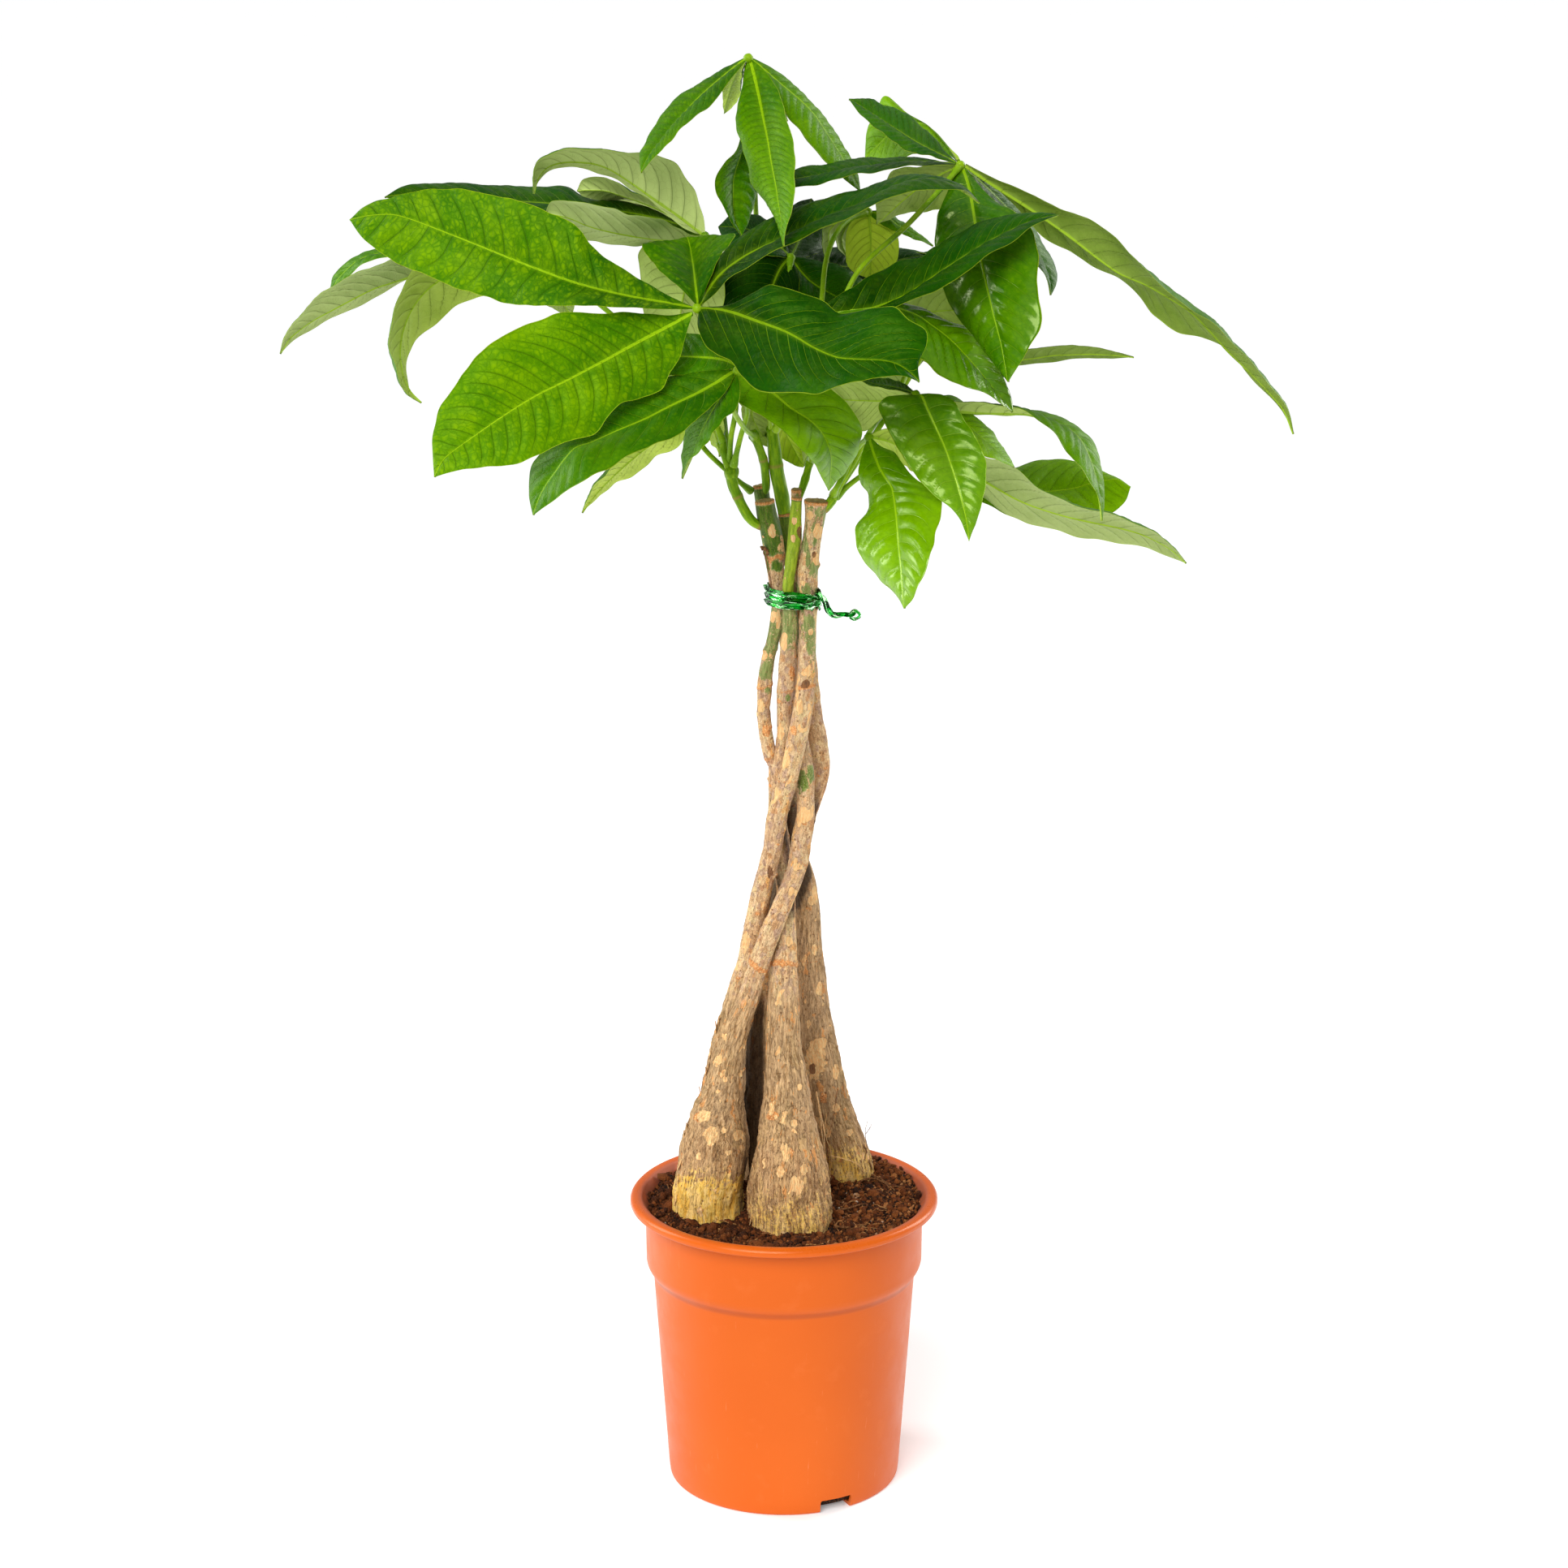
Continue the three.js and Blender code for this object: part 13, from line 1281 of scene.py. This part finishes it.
# crumbs grow paler and more varied towards +x: partly the soil's own colour, partly painted light on the right side
tonec = np.where(kind > 0.997, tonec, np.clip(tonec + (0.16 * sstep(5, 45, cx) + 0.04) * rng.uniform(-0.6, 1.9, count), 0, 0.85))
for i in range(count):
    M3 = rng.normal(size=(3, 3))
    qd, _ = np.linalg.qr(M3)
    sc = size[i] * rng.uniform(0.6, 1.25, 3)
    pts = (ico_v * sc * rng.uniform(0.75, 1.2, (12, 1))) @ qd + (cx[i], cy[i], cz[i])
    keep = np.hypot(pts[:, 0], pts[:, 1]).max() < 86.0
    if keep:
        bag.add(pts, t=ico_t, sa=(tonec[i], kind[i], 1.0))
# fibres, roots and bark shreds
def strand(bag, p, q, bend, r, tone, n=10, sides=6, drop=True):
    t = np.linspace(0, 1, n)
    p, q = np.asarray(p, float), np.asarray(q, float)
    C = p + (q - p) * t[:, None] + np.asarray(bend)[None] * (4 * t * (1 - t))[:, None]
    C = C + (0.35 if r > 0.26 else 0.12) * rng.normal(size=(n, 3)) * np.sin(np.pi * t)[:, None] * min(1.0, np.linalg.norm(q - p) / 14)
    R = r * (1 - 0.6 * t) + 0.04
    v, qf, tf = tube(C, R, sides)
    bag.add(v, q=qf, t=tf, sa=(tone, 0.5, 0.5))


for i in range(90):
    a1, r1 = rng.uniform(0, 6.28), 80 * np.sqrt(rng.uniform())
    x, y = r1 * math.cos(a1), r1 * math.sin(a1)
    a2, l2 = rng.uniform(0, 6.28), rng.uniform(5, 16)
    x2, y2 = x + l2 * math.cos(a2), y + l2 * math.sin(a2)
    if math.hypot(x2, y2) > 82:
        continue
    h1, h2 = soil_height(np.array([x]), np.array([y]))[0], soil_height(np.array([x2]), np.array([y2]))[0]
    strand(bag, (x, y, h1 + 0.8), (x2, y2, h2 + 0.6), rng.normal(size=3) * (2, 2, 0.4) + (0, 0, 1.2), rng.uniform(0.25, 0.5), rng.uniform(0.3, 0.9), n=9)


# long dry root hairs, most of them on the right
for i in range(13):
    x, y = rng.uniform(6, 72), rng.uniform(-52, 52)
    a2, l2 = rng.uniform(-1.3, 1.3), rng.uniform(12, 30)
    x2, y2 = x + l2 * math.cos(a2), y + l2 * math.sin(a2)
    if math.hypot(x, y) > 80 or math.hypot(x2, y2) > 80:
        continue
    h1, h2 = soil_height(np.array([x]), np.array([y]))[0], soil_height(np.array([x2]), np.array([y2]))[0]
    strand(bag, (x, y, h1 + 0.8), (x2, y2, h2 + 1.0), rng.normal(size=3) * (2.5, 2.5, 0.5) + (0, 0, rng.uniform(0.8, 3.2)), 0.9, rng.uniform(0.13, 0.24), n=10, sides=5)


def soil_mat():
    k = Mat("potting_soil")
    _, tone, kind, isb = k.attr("sa")
    co = k.coords()
    n1 = k.noise(co, 160, 5, 0.65)
    n2 = k.noise(co, 700, 4, 0.65)
    vr = k.voronoi(co, 520, "F1")
    base = k.mix(k.ramp(n1, 0.38, 0.66), srgb(24, 10, 4), srgb(98, 54, 24))
    base = k.mix(k.math("MULTIPLY", k.ramp(n2, 0.55, 0.68), 0.85), base, srgb(172, 110, 58))
    cr = k.n("ShaderNodeValToRGB")
    e = cr.color_ramp.elements
    e[0].position, e[0].color = 0.0, (*srgb(34, 15, 6), 1)
    e[1].position, e[1].color = 1.0, (*srgb(226, 216, 200), 1)
    for p, c in ((0.36, srgb(112, 58, 22)), (0.58, srgb(150, 86, 38)), (0.76, srgb(184, 126, 74))):
        x = e.new(p); x.color = (*c, 1)
    k.put(cr.inputs[0], k.math("ADD", tone, k.math("MULTIPLY_ADD", n2, 0.50, -0.24)))
    crumb = cr.outputs[0]
    fibre = k.mix(k.ramp(n2, 0.4, 0.6), k.mix(tone, srgb(86, 50, 26), srgb(150, 92, 48)), k.mix(tone, srgb(132, 88, 52), srgb(214, 158, 98)))
    part = k.mix(k.ramp(isb, 0.7, 0.8), fibre, crumb)
    col = k.mix(k.ramp(isb, 0.2, 0.3), base, part)
    h = k.math("ADD", k.math("MULTIPLY", n2, 1.0), k.math("MULTIPLY_ADD", n1, 1.6, k.math("MULTIPLY", vr, -0.6)))
    return k.set(color=col, rough=0.93, spec=0.2, normal=k.bump(h, 0.0022, 1.0))


bag.done("fine_soil", [soil_mat()], node="soil", slot="soil", smooth=True)


# ------------------------------------------------------------------ pot
def lathe(profile, seg):
    a = np.linspace(0, 2 * np.pi, seg, endpoint=False)
    p = np.asarray(profile, float)
    V = np.stack([p[:, None, 0] * np.cos(a)[None], p[:, None, 0] * np.sin(a)[None], p[:, None, 1] + 0 * a[None]], -1)
    v = V.reshape(-1, 3)
    n = len(v)
    v = np.vstack([v, [0, 0, p[0, 1]], [0, 0, p[-1, 1]]])
    k = np.arange(seg)
    nn = len(p)
    t = np.vstack([np.stack([np.full(seg, n), (k + 1) % seg, k], -1), np.stack([np.full(seg, n + 1), (nn - 1) * seg + k, (nn - 1) * seg + (k + 1) % seg], -1)])
    return v, grid_faces(nn, seg, True), t


def rounded(points, radius, n=5):
    """Rounds the inner corners of a profile; radius per point."""
    out = [points[0]]
    for i in range(1, len(points) - 1):
        a, b, c = (np.array(points[j], float) for j in (i - 1, i, i + 1))
        r = radius[i] if isinstance(radius, (list, tuple)) else radius
        la, lc = np.linalg.norm(a - b), np.linalg.norm(c - b)
        d = min(r, la * 0.48, lc * 0.48)
        p, q = b + (a - b) / la * d, b + (c - b) / lc * d
        for t in np.linspace(0, 1, n):
            out.append(tuple((1 - t) ** 2 * p + 2 * t * (1 - t) * b + t**2 * q))
    out.append(points[-1])
    return out


prof = [(0.3, 0.0), (20, 0), (20.6, 0.7), (22.4, 0.7), (23, 0), (44, 0), (44.6, 0.8), (47.4, 0.8), (48, 0), (60, 0), (FOOT := 71.2, 0.0), (72.0, 7.0), (80.8, 133.0), (81.7, 135.4), (84.5, 139.6), (85.2, 142.4),
        (85.45, 177.5), (93.7, 178.2), (94.9, 179.4), (94.9, 181.8), (93.4, 183.6), (91.0, 184.0), (87.7, 183.4), (86.5, 181.4), (83.5, 177.6), (83.2, 143.5), (78.8, 134.0), (70.0, 7.0), (68.5, 2.6), (66, 2.0), (0.3, 2.0)]
rad = [0, .3, .3, .3, .3, .3, .3, .3, .3, 3, 2.2, 2, 1.2, 1.6, 2.2, 1.2, 0.7, 1.3, 1.0, 1.0, 1.6, 1.6, 1.6, 1.6, 1.0, 1.0, 1.0, 1.0, 1.0, 1.0, 0]
pr = rounded(prof, rad, 6)
# long straight runs get rings of their own so that the shading stays even
full = []
for a, b in zip(pr[:-1], pr[1:]):
    full.append(a)
    d = math.dist(a, b)
    if d > 9:
        for t in np.linspace(0, 1, int(d / 6) + 1)[1:-1]:
            full.append((a[0] + (b[0] - a[0]) * t, a[1] + (b[1] - a[1]) * t))
full.append(pr[-1])
pv, pq, pt = lathe(full, 240)


def pot_mat():
    k = Mat("terracotta_plastic")
    co = k.coords()
    sx = k.n("ShaderNodeSeparateXYZ")
    k.t.links.new(co, sx.inputs[0])
    z = sx.outputs[2]
    rad2 = k.math("SQRT", k.math("ADD", k.math("MULTIPLY", sx.outputs[0], sx.outputs[0]), k.math("MULTIPLY", sx.outputs[1], sx.outputs[1])))
    big = k.noise(co, 9, 2)
    mott = k.noise(co, 60, 4, 0.6)
    fine = k.noise(co, 1500, 2)
    col = k.mix(k.ramp(big, 0.3, 0.7), srgb(206, 89, 12), srgb(211, 94, 16))
    col = k.mix(k.math("MULTIPLY", k.ramp(mott, 0.55, 0.75), 0.10), col, srgb(234, 128, 70))
    # painted shade in the creases under the band and under the rim
    crease_shade = k.math("MAXIMUM", k.math("MULTIPLY", k.ramp(z, 0.1326, 0.1348), k.ramp(z, 0.1388, 0.1362)), k.math("MULTIPLY", k.ramp(z, 0.1745, 0.1768), k.ramp(z, 0.1792, 0.1780)))
    col = k.mix(k.math("MULTIPLY", crease_shade, 0.42), col, srgb(150, 54, 12))
    # dust on the inside of the wall and on top of the rim at the back, and painted shade on the inner wall below the
    # rim
    g = k.n("ShaderNodeNewGeometry")
    d = k.n("ShaderNodeVectorMath", operation="DOT_PRODUCT")
    k.t.links.new(g.outputs["Normal"], d.inputs[0])
    k.t.links.new(k.vec(sx.outputs[0], sx.outputs[1], 0.0), d.inputs[1])
    inner = k.math("MULTIPLY", k.ramp(d.outputs["Value"], -0.005, -0.03), k.ramp(z, 0.10, 0.14))
    dust = k.math("MULTIPLY", inner, k.ramp(mott, 0.25, 0.6, 0.45, 0.9))
    col = k.mix(dust, col, srgb(176, 96, 72))
    # painted shade: the inner wall below the rim is darkened in mottled patches
    inner_wall_shade = k.math("MULTIPLY", k.math("MULTIPLY", inner, k.ramp(z, 0.1835, 0.178)), k.ramp(mott, 0.35, 0.55))
    col = k.mix(k.math("MULTIPLY", inner_wall_shade, 0.55), col, srgb(90, 52, 36))
    # faint lengthwise scratches
    scr = k.noise(k.vec(k.math("MULTIPLY", sx.outputs[0], 700), k.math("MULTIPLY", sx.outputs[1], 700), k.math("MULTIPLY", z, 26)), 1.0, 3, 0.6)
    scratch = k.math("MULTIPLY", k.ramp(scr, 0.68, 0.76), 0.16)
    col = k.mix(scratch, col, srgb(250, 176, 136))
    rough = k.math("ADD", k.ramp(mott, 0.3, 0.7, 0.36, 0.46), k.math("MULTIPLY_ADD", dust, 0.35, k.ramp(z, 0.179, 0.1815, 0.0, -0.12)), clamp=True)
    h = k.math("ADD", k.math("MULTIPLY", fine, 0.25), k.math("MULTIPLY", mott, 0.5))
    k.p.inputs["Specular Tint"].default_value = (1.0, 0.72, 0.5, 1)
    return k.set(color=col, rough=rough, spec=0.45, normal=k.bump(h, 0.0003, 0.5))


pot = make("fine_pot", pv, [pq, pt], [pot_mat()], node="pot", slot="pot_plastic")


def cutter(name, size, centre, deg, r=1.2):
    sx, sy, sz = (s / 2 for s in size)
    bv = []
    for z in (-sz, sz):
        for a in range(4):
            cx, cz = (sx - r) * (1, -1, -1, 1)[a], 0
            for t in np.linspace(0, math.pi / 2, 5):
                ang = a * math.pi / 2 + t
                bv.append(((sx - r) * (1, -1, -1, 1)[a] + r * math.cos(ang), (sy - r) * (1, 1, -1, -1)[a] + r * math.sin(ang), z))
    bv = np.array(bv)
    m = len(bv) // 2
    k = np.arange(m)
    q = np.stack([k, (k + 1) % m, (k + 1) % m + m, k + m], -1)
    cap = np.stack([np.zeros(m - 2, int), k[1:-1] + 1, k[1:-1]], -1)
    cap2 = np.stack([np.zeros(m - 2, int) + m, k[1:-1] + m, k[1:-1] + 1 + m], -1)
    # the outline lies in x and z of the wall: swing it up
    bv = np.stack([bv[:, 0], bv[:, 2], bv[:, 1]], -1)
    a = math.radians(deg)
    c = np.asarray(centre, float)
    bv = bv + c
    x = bv[:, 0] * math.cos(a) - bv[:, 1] * math.sin(a)
    y = bv[:, 0] * math.sin(a) + bv[:, 1] * math.cos(a)
    bv = np.stack([x, y, bv[:, 2]], -1) * 0.001
    me = bpy.data.meshes.new(name)
    me.from_pydata(bv.tolist(), [], [list(map(int, f)) for f in q[:, ::-1]] + [list(map(int, f)) for f in cap[:, ::-1]] + [list(map(int, f)) for f in cap2[:, ::-1]])
    me.update()
    import bmesh
    bm = bmesh.new()
    bm.from_mesh(me)
    bmesh.ops.recalc_face_normals(bm, faces=bm.faces)
    bm.to_mesh(me)
    bm.free()
    ob = bpy.data.objects.new(name, me)
    bpy.context.scene.collection.objects.link(ob)
    return ob


cutters = []
for i, deg in enumerate((26.6, 146.6, 266.6)):
    cutters.append(cutter("cut_%d" % i, (21, 17, 22), (0, -69, 0), deg))
    cutters.append(cutter("cut_hole_%d" % i, (9, 8, 12), (0, -34, 0), deg + 60, r=3.5))
for c in cutters:
    md = pot.modifiers.new(c.name, "BOOLEAN")
    md.operation, md.object, md.solver = "DIFFERENCE", c, "EXACT"
if True:
    dg = bpy.context.evaluated_depsgraph_get()
    me = bpy.data.meshes.new_from_object(pot.evaluated_get(dg))
    pot.modifiers.clear()
    old = pot.data
    pot.data = me
    bpy.data.meshes.remove(old)
for c in cutters:
    bpy.data.objects.remove(c)
for p in pot.data.polygons:
    p.use_smooth = True
pot.data.set_sharp_from_angle(angle=math.radians(38))


# ------------------------------------------------------------------ twist tie
def foil():
    k = Mat("green_foil")
    _, s, c, sd = k.attr("fa")
    p = k.vec(k.math("MULTIPLY", s, 0.55), k.math("MULTIPLY", c, 1.1), sd)
    facet = k.voronoi(p, 0.42, "F1", "Color")
    sep = k.n("ShaderNodeSeparateColor")
    k.t.links.new(facet, sep.inputs[0])
    f0, f1 = sep.outputs[0], sep.outputs[1]
    w = k.noise(p, 1.3, 3, 0.6)
    # painted reflections: each facet gets its own brightness from deep to bright green, a few are painted white glints
    # and a few near-black
    col = k.mix(f0, srgb(0, 96, 20), srgb(10, 196, 52))
    col = k.mix(k.ramp(f1, 0.80, 0.84), col, srgb(206, 255, 206))
    col = k.mix(k.ramp(f1, 0.22, 0.16), col, srgb(0, 44, 10))
    h = k.math("ADD", k.math("MULTIPLY", f0, 1.0), k.math("MULTIPLY", w, 0.5))
    return k.set(color=col, rough=0.14, metal=1.0, coat=0.5, coatr=0.08, normal=k.bump(h, 0.0009, 1.0))


def ribbon(bag, C, wide, thick, roll, sd):
    """A thin crinkled strip that turns about its path."""
    C = np.asarray(C, float)
    T, U, W = frames(C, up=(0, 0, 1))
    ln = np.concatenate([[0], np.cumsum(np.linalg.norm(np.diff(C, axis=0), axis=1))])
    a = np.asarray(roll) + 0 * ln
    X = np.cos(a)[:, None] * U + np.sin(a)[:, None] * W
    Yv = -np.sin(a)[:, None] * U + np.cos(a)[:, None] * W
    w = wide * (1 + 0.12 * gnoise(np.stack([ln / 2.1, 0 * ln + sd, 0 * ln], -1)))
    prof = np.array([(-1, -0.5), (-0.5, -0.9), (0, -0.5), (0.5, -0.8), (1, -0.5), (1, 0.5), (0.5, 0.7), (0, 1.0), (-0.5, 0.6), (-1, 0.5)])
    off = thick * 1.3 * np.stack([gnoise(np.stack([ln / 0.9 + 3 * i, 0 * ln + sd, 0 * ln + i], -1)) for i in range(len(prof))], 1)
    P = C[:, None] + X[:, None] * (prof[None, :, 0] * w[:, None] / 2)[..., None] + Yv[:, None] * (prof[None, :, 1] * thick / 2 + 0.30 * off)[..., None]
    m = len(prof)
    v = P.reshape(-1, 3)
    n = len(v)
    v = np.vstack([v, C[0], C[-1]])
    k = np.arange(m)
    t = np.vstack([np.stack([np.full(m, n), (k + 1) % m, k], -1), np.stack([np.full(m, n + 1), n - m + k, n - m + (k + 1) % m], -1)])
    at = np.stack([np.repeat(ln, m), (prof[None, :, 0] * (np.asarray(wide) * np.ones(len(C)))[:, None]).reshape(-1), np.full(len(ln) * m, sd)], -1)
    bag.add(v, q=grid_faces(len(C), m, True), t=t, fa=np.vstack([at, at[:2]]))


bag = Bag()
inner = np.asarray(TIE_INNER, float)
mid = inner.mean(0)
def hull_loop(grow, z, tilt, start, turns, sd, n=150):
    """A path round the stems."""
    t = np.linspace(0, 1, n)
    a = start + 2 * np.pi * turns * t
    m = len(inner)
    x = (a / (2 * np.pi)) % 1 * m
    i = np.floor(x).astype(int) % m
    f = (x - np.floor(x))[:, None]
    p = inner[i] * (1 - f) + inner[(i + 1) % m] * f
    d = unit(p - mid)
    p = p + d * (grow + 0.35 * gnoise(np.stack([t * 14 + sd, 0 * t, 0 * t + sd], -1)))[:, None]
    zz = z + tilt * np.cos(a - 0.5) + 0.5 * gnoise(np.stack([t * 9, 0 * t + sd, 0 * t], -1)) + (t - 0.5) * 0.8
    return np.column_stack([p, zz])


for i, (g, z, tilt) in enumerate(((0.5, 557.4, 0.4), (0.7, 561.4, -0.3), (0.6, 565.0, 0.5), (1.25, 559.4, 0.8), (1.3, 563.4, -0.6))):
    C = hull_loop(g, z, tilt, -0.45, 1.0, 2.0 + i * 1.7, 190)
    ln = np.linspace(0, 1, len(C))
    roll = 0.5 * gnoise(np.stack([ln * 26, 0 * ln + i, 0 * ln], -1)) + (0.12 if i % 2 else -0.15)
    ribbon(bag, C, 4.0, 0.3, roll * 0.7, 5.0 + i)
# the knot, the twisted tail and its loop
TAIL = np.asarray(TIE_TAIL, float)
for i in range(3):
    t = np.linspace(0, 1, 210)
    C = catmull(TAIL, t)
    T, U, W = frames(C)
    ang = t * 15 + i * 2.1
    off = 0.85 - 0.35 * sstep(0.62, 0.72, t)
    C = C + (off * np.cos(ang))[:, None] * U + (off * np.sin(ang))[:, None] * W
    ribbon(bag, C, 2.9 - 1.3 * sstep(0.60, 0.72, t), 0.3, ang * 0.5 + i, 20.0 + i)
kc = TAIL[0] + (TAIL[1] - TAIL[0]) * 0.35
for i in range(7):
    a = rng.uniform(0, 6.28)
    t = np.linspace(0, 1, 46)
    ax = unit(rng.normal(size=3))
    bx = unit(np.cross(ax, rng.normal(size=3)))
    by = np.cross(ax, bx)
    C = kc + (2.2 + 0.5 * math.sin(i)) * (np.cos(t * 5.2 + a)[:, None] * bx + np.sin(t * 5.2 + a)[:, None] * by) * (0.6 + 0.4 * t[:, None])
    ribbon(bag, C, 1.9, 0.26, 4 * t + a, 40.0 + i)
bag.done("fine_twist_tie", [foil()], node="twist_tie", slot="green_foil", smooth=False)


# ------------------------------------------------------------------ stage
floor = bpy.data.meshes.new("floor")
s = 60.0
floor.from_pydata([(-s, -s, 0), (s, -s, 0), (s, s, 0), (-s, s, 0)], [], [(0, 1, 2, 3)])
fl = bpy.data.objects.new("floor", floor)
bpy.context.scene.collection.objects.link(fl)
km = Mat("studio_floor")
km.set(color=(0.92, 0.92, 0.92), rough=0.9, spec=0.1)
km.p.inputs["Emission Color"].default_value = (1, 1, 1, 1)
km.p.inputs["Emission Strength"].default_value = 0.18
floor.materials.append(km.m)

world = bpy.data.worlds.new("studio")
bpy.context.scene.world = world
world.use_nodes = True
wt = world.node_tree
soft = wt.nodes["Background"]
soft.inputs[0].default_value = (1, 1, 1, 1)
soft.inputs[1].default_value = 0.38
paper = wt.nodes.new("ShaderNodeBackground")
paper.inputs[0].default_value = (1, 1, 1, 1)
paper.inputs[1].default_value = 1.0
seen = wt.nodes.new("ShaderNodeLightPath")
both = wt.nodes.new("ShaderNodeMixShader")
wt.links.new(seen.outputs["Is Camera Ray"], both.inputs[0])
wt.links.new(soft.outputs[0], both.inputs[1])
wt.links.new(paper.outputs[0], both.inputs[2])
wt.links.new(both.outputs[0], wt.nodes["World Output"].inputs[0])
bpy.context.scene.view_settings.view_transform = "Standard"
bpy.context.scene.view_settings.look = "None"


def area(name, loc, target, size, power, size_y=None):
    L = bpy.data.lights.new(name, "AREA")
    L.energy = power
    L.shape = "RECTANGLE"
    L.size, L.size_y = size, size_y or size
    o = bpy.data.objects.new(name, L)
    o.location = loc
    d = Vector(target) - Vector(loc)
    o.rotation_euler = d.to_track_quat("-Z", "Y").to_euler()
    o.visible_camera = False
    bpy.context.scene.collection.objects.link(o)


sun = bpy.data.lights.new("soft_top_front", "SUN")
sun.energy = 2.7
sun.angle = math.radians(38)
so = bpy.data.objects.new("soft_top_front", sun)
so.rotation_euler = Vector((0.34, 0.88, -0.74)).to_track_quat("-Z", "Y").to_euler()
bpy.context.scene.collection.objects.link(so)
area("left", (-1.95, 0.62, 1.3), (0, 0, 0.6), 0.8, 26, 1.5)
area("right", (1.64, 1.15, 1.3), (0, 0, 0.6), 0.8, 26, 1.5)

cam = bpy.data.cameras.new("camera")
cam.sensor_width = 36
cam.lens = FOCAL / 1932 * 36
cam.clip_start, cam.clip_end = 0.05, 50
co = bpy.data.objects.new("camera", cam)
co.location = tuple(CAM * 0.001)
co.rotation_euler = (math.radians(90) - PITCH, 0, 0)
bpy.context.scene.collection.objects.link(co)
bpy.context.scene.camera = co
